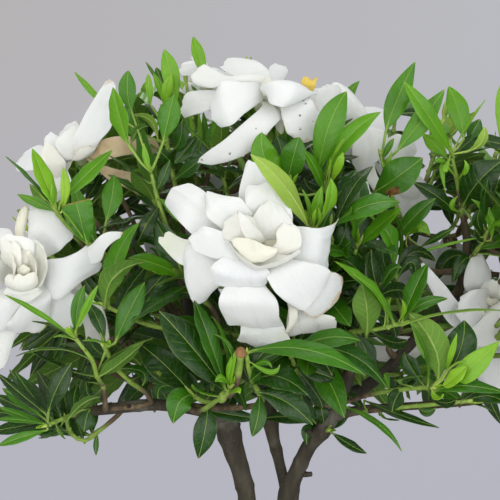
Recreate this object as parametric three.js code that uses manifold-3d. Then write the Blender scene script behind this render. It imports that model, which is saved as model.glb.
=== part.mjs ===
// Potted gardenia: a dwarf double-flowered gardenia grown as a low branching bush in a plain clay pot.
// Millimetres, +Z up. The origin is the middle of the pot's flat underside.
// The pot stands at the origin, the soil fills it to SOIL_TOP, three woody stems rise from the soil,
// fork into branches, and carry leafy shoots and double white flowers.
import * as THREE from "three";
import { mergeVertices } from "three/addons/utils/BufferGeometryUtils.js";
import Module from "manifold-3d";

const wasm = await Module();
wasm.setup();

// ---------- driving dimensions ----------
const POT_HEIGHT = 120; // foot to rim
const POT_FOOT_RADIUS = 51; // outside, at the flat foot
const POT_BODY_RADIUS = 68; // outside, just under the rim band
const POT_RIM_RADIUS = 74; // outside of the rim band
const POT_RIM_BAND = 24; // height of the rim band
const POT_WALL = 6;
const POT_FLOOR = 8;
const DRAIN_RADIUS = 4.5; // four drainage holes, off the centre
const DRAIN_RING = 27;
const SOIL_TOP = 105;
const GAP = 0.3; // clearance left between neighbouring pieces
const LEAF_HALF_THICKNESS = 0.45;
const STALK_HALF = 0.45; // half the width of a leaf stalk where it meets the stem
const PETAL_HALF_THICKNESS = 0.5;

// ---------- colours ----------
const CLAY = 0xb4683f;
const SOIL = 0x3a2a1e;
const BARK = 0x5b4d3f;
const TWIG = 0x6b6a3c;
const CALYX = 0x7aa34a;
const PETAL = 0xf6f5ee;
const LEAF_GREENS = [0x3f7a2a, 0x356b26, 0x4c8a30, 0x2f5f22, 0x5c9a3a];

// ---------- wood: name, sides, stations of [x, y, z, radius] ----------
const WOOD = [
  ["trunk_right",8,[[2.9,5,80.7,8.6],[1.9,4,104.6,6.8],[0.3,0,157.1,5],[2.9,-5,182.2,3.6],[9.4,-11,198,3.6],[17.5,-17,209,3.4],[25.3,-18,227,2.7],[27.4,-12,252.5,2.2],[21.6,-18,279.2,1.7]]],
  ["trunk_left",8,[[-6.9,-2,83.2,8],[-9.7,-2,106.6,6.3],[-17,-2,157.6,4.7],[-21.5,-4,185.6,4.5],[-26.4,-10,204.1,5.2],[-32.1,-14,219.2,3.8],[-41.1,-8,243,2.8],[-47.3,-8,272.2,2],[-48.9,-12,280.5,1.7]]],
  ["trunk_middle",8,[[-0.1,1,173.5,2.8],[-2.4,5,182.8,2.4],[-5.1,6,192.8,2.7],[-6.9,6,201.1,3.3],[-7.8,7,207.4,4.1],[-11.5,12,228.8,2.7],[-14.2,14,261,2.2],[-11.6,4,296,1.8],[-9.8,0,309.7,1.6]]],
  ["branch_left_low",6,[[-28.5,-16,212.8,3.3],[-36.8,-22,215.7,3],[-43.2,-25,217.5,2.8],[-56.1,-28,219.4,2.6],[-71.1,-31,219,2.4],[-83.8,-34,217.8,2],[-93.3,-38,216.3,1.5]]],
  ["branch_left_middle",6,[[-31.7,-10,217.6,2.2],[-44.2,0,220.1,1.9],[-58.2,8,221.1,1.7],[-72.6,16,223.5,1.5],[-89.5,24,230.8,1.4],[-106.3,28,243,1.3],[-122.3,26,255,1.2]]],
  ["branch_left_back",6,[[-36.7,-8,229.1,2.4],[-44.7,14,240.1,2],[-55.7,32,256.8,1.8],[-69.6,44,276.2,1.6],[-83.1,46,293.8,1.4]]],
  ["branch_right_low",6,[[19.3,-17,211.7,2.6],[27,-20,214.9,2.2],[48.4,-26,218.1,1.9],[65.2,-32,220.5,1.7],[77.5,-36,222,1.5],[92.2,-38,225,1.3]]],
  ["branch_right_upper",6,[[23.2,-17,221.1,2.9],[42.8,-4,229.4,2.6],[62.9,-4,251.1,2.3],[76.2,-4,266.4,2.1],[79.8,-6,289.9,1.9],[78.2,-7,298,1.7]]],
  ["branch_right_back",6,[[25.6,-14,226.4,2.4],[30.2,16,237.5,2],[36.4,40,255.9,1.8],[44,58,275.1,1.6],[50.7,64,292.8,1.4]]],
  ["branch_back",6,[[-10.1,10,218,2.5],[-13.2,40,234.3,2.1],[-17,66,255.6,1.8],[-19,82,279.3,1.6],[-18,84,301.8,1.4]]],
];

// ---------- flowers: name, tube, petals as rows of three points from the throat outwards ----------
const FLOWERS = [
  ["flower_front", [[-11.5,-42,282.8,1.9],[-11.9,-58.5,287.5,2.3],[-12.2,-72,291.2,3.6],[-12.3,-76.3,292.5,6.7],[-12.3,-80.7,293.7,4.2]], [
    [[[-13.4,-77.7,291.7],[-12.3,-77.7,292.9],[-11.2,-77.7,294]],[[-37.1,-87,295.4],[-33.4,-90,301.9],[-30,-88,308.5]],[[-51.7,-79,308.5],[-48.7,-81,314.1],[-40.3,-83,317.4]]],
    [[[-13.7,-80.7,292.9],[-12.3,-80.7,293.7],[-11,-80.7,294.5]],[[-27.1,-93,298.9],[-22,-96,303.4],[-16.6,-95,306.8]],[[-33.8,-90,309.7],[-34.3,-88,314],[-29.1,-90,312.5]]],
    [[[-13.9,-80.7,293.7],[-12.3,-80.7,293.7],[-10.7,-80.7,293.7]],[[-21.7,-91,312.1],[-12.3,-95,315.7],[-1.3,-86,309.6]],[[-18.6,-83,324.5],[-16.2,-84,326.1],[-11.5,-82,322.9]]],
    [[[-12.3,-80.7,295.3],[-12.3,-80.7,293.7],[-12.3,-80.7,292.1]],[[1.4,-90,300.7],[2.9,-93,293.1],[2.6,-90,285]],[[16.8,-81,304.2],[15.4,-85,294.9],[14.1,-81,281.9]]],
    [[[-13.9,-76.8,292.6],[-12.3,-76.8,292.6],[-10.7,-76.8,292.6]],[[-1.1,-83,272.5],[3.5,-87,277.6],[10,-83,283.6]],[[8.7,-77,263],[17.3,-80,269],[20.3,-76,279.4]]],
    [[[-13.9,-80.7,293.2],[-12.3,-80.7,293.7],[-10.8,-80.7,294.1]],[[-11.6,-96,282.4],[-3.9,-99,284.9],[4.8,-95,287]],[[-4.4,-90,272.4],[4.1,-92,271.8],[11.9,-86,276.8]]],
    [[[-13.8,-72,291.2],[-12.2,-72,291.2],[-10.6,-72,291.2]],[[-1.7,-76,269],[1.4,-80,267.8],[5.5,-76,265.3]],[[-2.4,-70,254.4],[8,-74,256.2],[17.6,-69,256.8]]],
    [[[-13.8,-72,291.2],[-12.2,-72,291.2],[-10.6,-72,291.2]],[[-20.6,-80,265.8],[-13.8,-84,265.4],[-6.2,-80,265.8]],[[-22.7,-74,251.3],[-11.4,-78,250.2],[1.6,-73,249.5]]],
    [[[-13.9,-80,293.5],[-12.3,-80,293.5],[-10.7,-80,293.5]],[[-29.5,-92,271.8],[-18.5,-99,271.7],[-6,-91,271.7]],[[-25.4,-80,260.5],[-14.6,-86,259.7],[-3.8,-79,260]]],
    [[[-12.7,-80.7,295.2],[-12.3,-80.7,293.7],[-12,-80.7,292.1]],[[-33.5,-87,295.8],[-34.3,-89,291.2],[-33.9,-87,286.3]],[[-49.7,-79,298.5],[-52,-80,296.2],[-54.2,-78,294.1]]],
    [[[-13.5,-80.5,294.7],[-12.3,-80.5,293.6],[-11.2,-80.5,292.5]],[[-43.8,-87,284],[-37.4,-91,278.8],[-29.2,-88,277.3]],[[-40.2,-80,269.4],[-37.8,-80,268.2],[-33.8,-79,269.3]]],
    [[[-13.3,-80.7,294.9],[-12.3,-80.7,293.7],[-11.3,-80.7,292.4]],[[-26.3,-97,297.2],[-24.3,-99,293.1],[-20.9,-97,287.9]],[[-38.8,-95,296.7],[-37.6,-96,294.4],[-34.5,-95,291.3]]],
    [[[-13.8,-80.7,294.2],[-12.3,-80.7,293.7],[-10.8,-80.7,293.1]],[[-27.9,-97,288.7],[-20.5,-100,287],[-12,-97,285.2]],[[-29.1,-93,279.4],[-19.7,-96,278.1],[-11.9,-93,279.4]]],
    [[[-13.8,-80.7,293.1],[-12.3,-80.7,293.7],[-10.9,-80.7,294.3]],[[-10.4,-97,293.3],[-4.9,-95,292],[1.5,-99,291.1]],[[-9.7,-101,302.5],[-3.1,-99,302.7],[2.3,-100,300.1]]],
    [[[-13.9,-80.7,293.5],[-12.3,-80.7,293.7],[-10.8,-80.7,293.8]],[[-17.4,-98,301.5],[-9.2,-95,302.5],[0.8,-97,300.7]],[[-13.9,-96,311.5],[-8.9,-95,311.9],[-3,-95,309.1]]],
    [[[-13.5,-80.7,292.5],[-12.3,-80.7,293.7],[-11.2,-80.7,294.8]],[[-17.4,-104,296.1],[-15.5,-106,297.8],[-12.8,-104,299.2]],[[-22.7,-104,306.1],[-21.6,-104,308],[-19.7,-103,307.2]]],
    [[[-13.9,-80.7,293.7],[-12.3,-80.7,293.7],[-10.7,-80.7,293.7]],[[-22.4,-104,291.9],[-14.7,-108,289.5],[-6.3,-104,291.9]],[[-20.4,-104,296.5],[-15.1,-107,295.2],[-10.1,-103,294.1]]],
    [[[-13.9,-80.7,293.5],[-12.3,-80.7,293.7],[-10.8,-80.7,293.8]],[[-13.2,-101,296.3],[-10.8,-100,295.9],[-8.2,-101,296.3]],[[-12.4,-103,300.3],[-10.1,-103,300.3],[-7.8,-103,299.5]]],
  ]],
  ["flower_top", [[-10.8,-2,341.5,1.9],[-11.3,-13,346.1,2.3],[-11.8,-22,349.9,3.6],[-11.9,-24.3,350.9,6.7],[-12,-26.6,351.8,4.2]], [
    [[[-13.4,-22.6,350.3],[-11.8,-22.6,350.2],[-10.2,-22.6,350]],[[-27.4,-18,361.3],[-17,-16,362.2],[-5.7,-16,360.9]],[[-27.6,-6,370.1],[-19.7,-4,371.1],[-14.3,-4,369.8]]],
    [[[-13.6,-26.6,351.7],[-12,-26.6,351.8],[-10.5,-26.6,352]],[[-32.3,-34,358.1],[-25.5,-36,358.9],[-13.6,-34,358.1]],[[-38.4,-28,367.7],[-35.8,-28,367.7],[-31.6,-28,365.6]]],
    [[[-13.1,-22.6,349.1],[-11.8,-22.6,350.2],[-10.6,-22.6,351.2]],[[-35.9,-26,346.4],[-32.4,-28,350.6],[-29.9,-26,355]],[[-45.7,-20,343.5],[-46.9,-22,349],[-45.6,-20,355.1]]],
    [[[-13.3,-26.6,350.9],[-12,-26.6,351.8],[-10.8,-26.6,352.8]],[[-21.2,-46,344.3],[-21.2,-50,350.1],[-14.5,-44,356.9]],[[-31.7,-42,339.4],[-34.2,-44,344],[-33,-41,352]]],
    [[[-13.5,-26.6,352.5],[-12,-26.6,351.8],[-10.6,-26.6,351.2]],[[-26.1,-50,336],[-19.5,-54,333.5],[-16.2,-50,329.8]],[[-37.9,-48,326.8],[-38.3,-48,324.8],[-35,-48,323.5]]],
    [[[-13.6,-26.6,352.1],[-12,-26.6,351.8],[-10.5,-26.6,351.6]],[[-11.9,-40,357],[-5.3,-44,354.4],[2.4,-40,351.2]],[[-0,-34,359.4],[6.7,-36,357.6],[13.6,-34,354.3]]],
    [[[-13.6,-26.6,351.5],[-12,-26.6,351.8],[-10.5,-26.6,352.2]],[[-3.6,-44,345.2],[2.2,-48,347.6],[9,-44,351.1]],[[-1.1,-44,333.9],[4.8,-46,333.1],[7.8,-42,335.2]]],
    [[[-13.4,-22,349.7],[-11.8,-22,349.9],[-10.2,-22,350.1]],[[1.3,-18,347.4],[8.2,-20,350.8],[14.3,-18,353.5]],[[10.3,-12,334.4],[16.4,-12,337.9],[20.9,-10,343.2]]],
  ]],
  ["flower_top_back", [[-33.9,34,351.2,1.9],[-35.7,27.4,356.1,2.3],[-37.3,22,360.1,3.6],[-37.8,20,361.6,6.7],[-38.4,18.1,363,4.2]], [
    [[[-39.5,19.5,361.6],[-38,19.5,362],[-36.4,19.5,362.3]],[[-44.3,14,363.5],[-42.5,14,368],[-38,16,369.9]],[[-48.4,14,363.5],[-48.9,14,368],[-44.4,16,370.8]]],
    [[[-39.3,20.5,361.5],[-37.7,20.5,361.3],[-36.1,20.5,361]],[[-41.8,20,370.1],[-38.1,20,372.8],[-33.5,20,371]],[[-45.5,22,373.9],[-41.9,24,377.2],[-37.3,24,375.8]]],
    [[[-38.9,21.4,361.2],[-37.5,21.4,360.6],[-36,21.4,360]],[[-32.6,20,368.3],[-28,22,369.3],[-23.5,24,366.6]],[[-31.8,26,375],[-27.2,28,376],[-21.7,30,372.5]]],
    [[[-38.2,22,361.4],[-37.3,22,360.1],[-36.3,22,358.9]],[[-28.1,28,362.2],[-24.5,30,358.6],[-25.4,30,353.9]],[[-21.7,36,363.4],[-17,40,358.9],[-19.8,40,353.3]]],
    [[[-38.3,22,361.4],[-37.3,22,360.1],[-36.3,22,358.9]],[[-42.4,36,361.6],[-42.4,38,356],[-38.7,38,352.3]],[[-47.5,46,362],[-48.6,50,355.4],[-42.9,50,350.7]]],
    [[[-38.7,21.4,360.7],[-37.3,22,360.1],[-35.9,22.6,359.6]],[[-39.6,38,369.1],[-35,42,371.2],[-29.3,42,368.4]],[[-41,52,372.7],[-35.4,58,374.9],[-28.6,56,371]]],
  ]],
  ["flower_left", [[-113.3,-20,270.6,1.9],[-112.3,-33.2,275.1,2.3],[-111.5,-44,278.8,3.6],[-111.3,-47.3,279.9,6.7],[-111.1,-50.6,281,4.2]], [
    [[[-113.1,-44.2,278.6],[-111.5,-44.2,278.8],[-109.9,-44.2,279]],[[-110.2,-46,297.5],[-101.6,-48,298.4],[-94.3,-46,290.7]],[[-109.6,-38,306.8],[-103.4,-40,308.2],[-97.7,-38,303]]],
    [[[-111.6,-47.1,278.2],[-111.3,-47.1,279.8],[-111,-47.1,281.4]],[[-97.7,-54,272.1],[-94.6,-58,279.9],[-99.2,-54,286.3]],[[-83.5,-46,277.2],[-80.3,-48,281.6],[-84.2,-46,291.2]]],
    [[[-111.8,-44,277.2],[-111.5,-44,278.8],[-111.3,-44,280.3]],[[-76.9,-44,288.1],[-77.1,-46,292.4],[-79.4,-44,294]],[[-67.7,-42,293.9],[-68.1,-42,294.7],[-69,-42,296]]],
    [[[-112.8,-48.6,280.3],[-111.2,-48.6,280.3],[-109.6,-48.6,280.3]],[[-112.7,-54,265.4],[-105.5,-58,266.7],[-99.4,-54,269.6]],[[-120.8,-46,256.1],[-112.1,-48,252.9],[-104.3,-46,254]]],
    [[[-112.9,-47.8,280.1],[-111.3,-47.8,280.1],[-109.7,-47.8,280.1]],[[-126,-54,268.8],[-118.7,-58,267.5],[-111.9,-54,267.9]],[[-129.2,-46,254.4],[-123,-48,252.9],[-117.4,-46,256.1]]],
    [[[-113.1,-44,278.8],[-111.5,-44,278.8],[-109.9,-44,278.8]],[[-124.8,-42,258.2],[-117.5,-45,257.7],[-110.3,-42,257.3]],[[-127.7,-36,238.5],[-123.3,-37,236.9],[-117.4,-36,241.1]]],
    [[[-112.8,-44,277.8],[-111.5,-44,278.8],[-110.3,-44,279.7]],[[-104,-38,262.9],[-97.8,-40,265.6],[-92,-38,268.9]],[[-97.4,-30,251.6],[-91.2,-31,254.3],[-87.8,-30,258.5]]],
    [[[-113,-44,278.1],[-111.5,-44,278.8],[-110.1,-44,279.5]],[[-93.6,-32,265.7],[-89.1,-34,265.9],[-86.7,-32,268.3]],[[-88.3,-26,246.7],[-83.9,-27,245.1],[-79.6,-26,248.4]]],
    [[[-111.4,-46.1,277.9],[-111.4,-46.1,279.5],[-111.4,-46.1,281.1]],[[-129.6,-52,274.4],[-128.8,-56,282.3],[-127.8,-52,289.5]],[[-144.1,-42,273.5],[-146.5,-42,281.1],[-143.9,-42,287.9]]],
    [[[-113.1,-44,278.8],[-111.5,-44,278.8],[-109.9,-44,278.8]],[[-127.9,-46,293.3],[-121.7,-48,298.4],[-115.3,-46,298.3]],[[-133.4,-38,303.8],[-127.4,-38,308.9],[-120.6,-38,308.1]]],
    [[[-112.7,-50.6,281],[-111.1,-50.6,281],[-109.5,-50.6,281]],[[-119.5,-62,289.3],[-112.6,-64,291.1],[-105.6,-62,289.3]],[[-121.1,-62,294.3],[-113.5,-63,296.4],[-106.3,-62,293.4]]],
    [[[-111.3,-50.6,282.6],[-111.1,-50.6,281],[-110.8,-50.6,279.4]],[[-101.5,-62,287.7],[-98.8,-64,281.3],[-100.8,-62,273.7]],[[-103.4,-60,291.7],[-99.1,-62,284.4],[-98.6,-60,275.2]]],
    [[[-112.6,-50.6,281.2],[-111.1,-50.6,281],[-109.5,-50.6,280.9]],[[-118.1,-62,272],[-110.4,-64,269.8],[-102.5,-62,272]],[[-120.1,-60,268.5],[-111.7,-61,266.2],[-101.9,-60,269.4]]],
  ]],
  ["flower_upper_left", [[-92.9,14,322.5,1.9],[-93.8,4.1,327.1,2.3],[-94.5,-4,330.8,3.6],[-94.7,-6.3,331.9,6.7],[-94.9,-8.5,332.9,4.2]], [
    [[[-95.9,-5.6,330.6],[-94.6,-5.6,331.5],[-93.4,-5.6,332.5]],[[-88.8,-6,350.3],[-84,-10,351.9],[-79.5,-6,349.4]],[[-82.4,2,361.2],[-79.7,2,361.2],[-77,2,359]]],
    [[[-96.3,-6.8,331.6],[-94.7,-6.8,332.1],[-93.2,-6.8,332.6]],[[-84.8,-12,334.4],[-81,-14,337],[-77.7,-12,338.8]],[[-78.1,-8,339.7],[-75.4,-8,343.2],[-76.2,-8,348.5]]],
    [[[-95.8,-4.6,330.1],[-94.5,-4.6,331.1],[-93.3,-4.6,332.1]],[[-103.6,-2,334.4],[-98.9,-4,337],[-93.8,-2,339.7]],[[-107.3,6,339.8],[-103.6,6,342.9],[-98.2,6,345.2]]],
    [[[-95.2,-4,329.4],[-94.5,-4,330.8],[-93.8,-4,332.2]],[[-108.8,-4,323.7],[-109.4,-6,328.2],[-107,-4,332.6]],[[-123.1,2,323.6],[-121.1,1,328.1],[-116.7,2,331.7]]],
    [[[-95,-4,329.3],[-94.5,-4,330.8],[-94,-4,332.3]],[[-107.8,-6,314],[-107.4,-8,320.2],[-104.1,-6,325.5]],[[-118.5,0,305.7],[-120.1,-1,311.1],[-118.4,0,316.5]]],
    [[[-96.1,-4,330.5],[-94.5,-4,330.8],[-92.9,-4,331.1]],[[-103.4,-12,314.1],[-97.9,-14,313.3],[-92.8,-12,316.8]],[[-107.6,-8,298.9],[-103.1,-9,298.1],[-97.8,-8,303.4]]],
    [[[-95.9,-4,330],[-94.5,-4,330.8],[-93.1,-4,331.6]],[[-89.7,-8,316.7],[-85.1,-10,319.4],[-81.7,-8,323.8]],[[-82.4,-2,305.8],[-76,-3,309.4],[-72.5,-2,314.7]]],
    [[[-96.3,-6.6,331.7],[-94.7,-6.6,332],[-93.2,-6.6,332.3]],[[-80.2,-14,329.1],[-76.5,-16,330],[-74.1,-14,332.6]],[[-64.3,-16,328.3],[-59.9,-16,330],[-57.3,-16,333.5]]],
    [[[-96,-4.2,330.4],[-94.5,-4.2,330.9],[-93,-4.2,331.4]],[[-79.4,-14,320.3],[-75.7,-16,322.1],[-73.2,-14,323.8]],[[-64.2,-18,308.2],[-60.7,-18,309.9],[-59,-18,312.6]]],
    [[[-96,-4,331.2],[-94.5,-4,330.8],[-92.9,-4,330.4]],[[-103.3,10,338.9],[-97.1,12,341.7],[-89.6,10,338.9]],[[-106.2,20,347.2],[-98.4,24,350.1],[-89.7,20,346.3]]],
  ]],
  ["flower_upper_right", [[35.2,28,321.4,1.9],[35.4,17,326.5,2.3],[35.6,8,330.8,3.6],[35.6,5.7,331.8,6.7],[35.6,3.5,332.9,4.2]], [
    [[[34,6.3,331.4],[35.6,6.3,331.6],[37.2,6.3,331.8]],[[22.4,0,342.4],[27.5,-4,346.8],[34.9,0,342.4]],[[16.3,4,356.8],[21.6,4,359.9],[28.8,4,355.9]]],
    [[[34.3,8,329.8],[35.6,8,330.8],[36.8,8,331.7]],[[19.2,8,339.8],[22.8,8,346.1],[28.2,8,348.8]],[[11.3,16,354.5],[15,16,358.1],[19.6,16,359.9]]],
    [[[34.2,3.5,332.2],[35.6,3.5,332.9],[37.1,3.5,333.6]],[[25.8,-10,337],[32.3,-12,340.5],[41.2,-10,339.6]],[[26.4,-8,323.8],[32.6,-9,321.1],[38.8,-8,324.6]]],
    [[[34.1,3.5,332.6],[35.6,3.5,332.9],[37.2,3.5,333.2]],[[26.5,-6,325.5],[31.7,-8,322.9],[38.1,-6,325.5]],[[28.7,0,318.3],[32.3,0,315.6],[35.9,0,316.5]]],
    [[[34.1,3.5,332.5],[35.6,3.5,332.9],[37.2,3.5,333.3]],[[36.2,-8,321.1],[38.8,-9,321.1],[41.1,-8,321.1]],[[41,-4,308.5],[41.9,-4,308.1],[42.8,-4,309.4]]],
    [[[34.7,4.3,331.2],[35.6,4.3,332.5],[36.6,4.3,333.8]],[[43.9,0,327.2],[47.3,-2,331.7],[49.3,0,337.1]],[[51.5,4,322.7],[56.9,4,327.2],[58,6,333.5]]],
    [[[34.2,8,331.7],[35.6,8,330.8],[36.9,8,329.9]],[[44.7,8,319],[50.1,8,319.9],[53,10,324.4]],[[53.5,14,307],[60.8,14,308.8],[64.7,16,314.2]]],
    [[[34.2,8,331.7],[35.6,8,330.8],[36.9,8,329.9]],[[46.2,14,311.6],[51.7,14,313.4],[56.4,16,317]],[[52.4,16,299.1],[60.2,16,301.4],[67.7,18,308.7]]],
    [[[34,8,330.8],[35.6,8,330.8],[37.2,8,330.8]],[[30.2,24,339],[38.7,26,343.7],[47.1,26,339]],[[29.9,34,345.6],[40.5,38,350.4],[50.7,36,344.7]]],
  ]],
  ["flower_right", [[97.1,8,253.3,1.9],[93.7,-4.1,258.1,2.3],[90.9,-14,262,3.6],[90.2,-16.2,262.9,6.7],[89.6,-18.5,263.8,4.2]], [
    [[[89.2,-14.3,261.9],[90.8,-14.3,262.2],[92.4,-14.3,262.4]],[[77,-18,269.5],[81.9,-20,273.2],[88.4,-18,271.3]],[[80.3,-12,283.2],[85.2,-12,285],[88.3,-12,281.4]]],
    [[[89.7,-17.1,261.7],[90,-17.1,263.3],[90.3,-17.1,264.8]],[[77.2,-24,256.1],[76,-26,261.6],[77.1,-24,266.6]],[[74.5,-24,260.5],[73.9,-25,264.1],[75.4,-23,268.3]]],
    [[[88.5,-16.8,262.7],[90.1,-16.8,263.2],[91.6,-16.8,263.6]],[[78.6,-26,253.7],[85.9,-30,254.2],[94.2,-26,258.1]],[[85.4,-22,242.7],[92.1,-24,242],[101.2,-22,246.2]]],
    [[[88.7,-18.5,262.5],[89.6,-18.5,263.8],[90.5,-18.5,265.2]],[[67.7,-30,257.7],[69.2,-31,263],[73.7,-30,263.7]],[[55.4,-30,279.3],[56.3,-30,281.9],[60.6,-30,279.3]]],
    [[[88.8,-18.2,262.4],[89.6,-18.2,263.7],[90.5,-18.2,265.1]],[[70.8,-26,253.7],[73.1,-28,257.4],[76,-26,259.8]],[[66.3,-26,268.5],[68.5,-26,269.4],[69.8,-26,267.7]]],
    [[[89.3,-14,262],[90.9,-14,262],[92.5,-14,262]],[[82.5,-12,240.4],[88.5,-14,238.9],[95.8,-12,241.3]],[[87.4,-4,223.9],[92.9,-4,222.1],[99.1,-4,224.8]]],
    [[[89.6,-14,263],[90.9,-14,262],[92.1,-14,261.1]],[[73.3,-8,239.9],[78.4,-10,236.5],[84.9,-8,235.4]],[[68.2,0,217.8],[72.7,0,215],[78.1,0,216.9]]],
    [[[90.1,-14,263.5],[90.9,-14,262],[91.6,-14,260.6]],[[63.8,-4,246.6],[65.5,-6,240.5],[71.1,-4,236.6]],[[35.6,2,244.9],[35.6,2,241.2],[41.1,2,233.9]]],
    [[[90.4,-14,260.5],[90.9,-14,262],[91.3,-14,263.6]],[[101.7,-18,256.3],[103.9,-20,262.7],[102.5,-18,268.6]],[[115.2,-12,257.4],[118.6,-12,263.6],[115.9,-12,269]]],
    [[[89.3,-14,262],[90.9,-14,262],[92.5,-14,262]],[[91.9,-18,273.1],[96.8,-20,275.9],[101.5,-18,272.2]],[[97.1,-12,283.2],[101.5,-12,285.8],[106,-12,283.2]]],
    [[[89.5,-14,261.2],[90.9,-14,262],[92.2,-14,262.9]],[[98.7,-16,246.3],[103.6,-18,249.2],[106.5,-16,254.3]],[[108.7,-10,235.6],[114,-10,240.1],[116.6,-10,246.4]]],
  ]],
  ["flower_back", [[-43.1,75.7,295.5,1.9],[-45.8,82.5,298,2.3],[-48,88,300,3.6],[-48.9,90.2,300.8,6.7],[-49.8,92.4,301.6,4.2]], [
    [[[-48.4,88.5,298.8],[-48.6,87.8,299.8],[-48.7,87.4,301]],[[-70.4,90.4,283.9],[-71.1,83.7,294.4],[-73.1,79.3,305.7]],[[-76.9,79.8,283.4],[-77.8,74.7,289.5],[-78.2,73.2,297.1]]],
    [[[-49.2,87.7,299.6],[-48.3,87.7,300.4],[-47.5,88,301.2]],[[-71.5,79.4,309.2],[-62.7,79.5,316.7],[-55.2,81.9,325.4]],[[-71.8,70.8,316.7],[-67,69.6,322],[-61.9,72.1,326.9]]],
    [[[-49.2,87.6,300.7],[-47.9,87.8,300.6],[-46.7,88.4,300.4]],[[-56.4,80.5,326],[-43.5,83.6,323.4],[-31.5,89.3,322.2]],[[-47.2,73.6,331.6],[-38.8,74.7,330.4],[-32,79.5,328.8]]],
    [[[-47.7,87.8,301.3],[-47.4,88.2,300.2],[-47.4,88.7,299.1]],[[-31.5,93,318],[-29.2,96.3,306.8],[-27.8,102,296.6]],[[-21.2,92.9,314.7],[-18.6,94.6,307.9],[-18.9,98.4,301.5]]],
    [[[-46.8,88.5,300.5],[-47.7,88.3,299.6],[-48.7,88.3,298.9]],[[-27.3,103.2,293.2],[-36.6,100.7,284.8],[-46.6,101.1,277.1]],[[-24.2,100.8,282.2],[-29.2,99,276.1],[-36.2,99.5,272.2]]],
    [[[-47.2,88.9,299.2],[-48.3,88.1,299.5],[-49.4,87.6,299.9]],[[-49.2,101.3,275.2],[-59,93.3,279.1],[-70.1,88.1,283.4]],[[-55,94.8,266.4],[-61.3,89.4,267.7],[-67.9,86.7,271.8]]],
    [[[-47.4,89.3,301.1],[-48,89.3,300.1],[-48.8,89.5,299.3]],[[-33.7,104.6,306],[-39.9,105.2,296.2],[-47.6,107.7,287.7]],[[-29.3,106.6,297.9],[-32.2,107.2,291.2],[-37.4,108.9,286.3]]],
    [[[-48.5,89.5,299.3],[-48.9,89,300.1],[-49.2,88.6,301]],[[-61.5,100.2,288],[-65.2,95.1,296],[-69.1,92.2,305.2]],[[-68.9,95.1,286.5],[-72,91.5,290.9],[-74.1,90.1,297]]],
    [[[-49.4,88.6,300.7],[-48.4,88.8,300.9],[-47.5,89.3,301.1]],[[-62.5,89.8,317.8],[-52.4,91.7,319.2],[-43.1,95.9,320.8]],[[-58.8,87.2,326.4],[-52.6,87.9,328.3],[-46.8,91.1,328.2]]],
  ]],
  ["flower_back_right", [[65.4,51.7,258.1,1.9],[70.1,57.4,260.2,2.3],[74,62,262,3.6],[75.5,63.8,262.7,6.7],[77.1,65.7,263.4,4.2]], [
    [[[74,62.6,260.9],[73.6,62.4,261.9],[73.3,62.3,263]],[[63.8,82.7,250.2],[59.6,79.7,260.4],[57,78.8,271.3]],[[52.3,83.6,251.5],[48.7,81.7,257.6],[48.4,80.9,264.7]]],
    [[[73.2,63,261.8],[73.6,62.1,262.5],[74.4,61.4,263.1]],[[56.5,77,273.5],[61.8,68,279.7],[68.6,61.2,287.1]],[[50.3,72,281.3],[52.5,66.2,285.9],[57.9,62.2,289.7]]],
    [[[73.2,62.5,263],[74.1,61.7,262.5],[75.1,61.2,262]],[[71.4,61.9,286.8],[79.8,54.4,280.7],[90.1,49.1,275.7]],[[72.6,51.1,289.7],[77.5,45.8,286.2],[84.1,43.5,282.5]]],
    [[[74.3,61.6,263.2],[74.5,61.6,262],[74.7,61.8,261]],[[89.2,48.9,275.1],[89.9,49.4,263.8],[92.7,51.4,253.2]],[[92.1,40.1,269.9],[92.8,39.5,262.8],[94.1,42.1,256.3]]],
    [[[75,61.2,262.2],[74.3,61.9,261.5],[73.8,62.8,261]],[[94.9,53.8,252.4],[87.7,60.8,246],[82.4,69.8,240.2]],[[93.8,51.6,242.1],[89.5,55.2,237.2],[86.1,61.4,234.4]]],
    [[[74.9,61.8,261.1],[73.9,62.3,261.5],[73.1,62.9,262]],[[81.5,67.8,240.1],[71.9,72.2,244.4],[63.8,78.9,248.8]],[[73.7,69.4,233.4],[67.2,72.1,235],[62.7,76.3,238.9]]],
    [[[74.7,63.4,261.2],[74.3,63.3,262.2],[74.1,63.2,263.3]],[[72.8,80.3,251.9],[68.8,78.7,262],[66.7,78.6,272.9]],[[64.7,83.1,253.9],[61.3,82.5,260],[60.7,82.3,266.9]]],
    [[[74.1,63.2,263.2],[74.8,62.6,262.9],[75.6,62.2,262.4]],[[76,67.4,282.7],[82.9,61.8,278.5],[91.1,58.1,274.5]],[[79.5,60.8,287.8],[83.8,56.6,286.1],[88.8,54.9,282.7]]],
    [[[75.6,62.2,262.7],[75.1,62.7,261.9],[74.7,63.4,261.3]],[[95.3,59.6,262],[90.5,64.7,254.4],[86.7,71.9,247.9]],[[98.7,59.1,253.8],[96.4,61.9,248.3],[93.3,66.7,245]]],
  ]],
];

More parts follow.
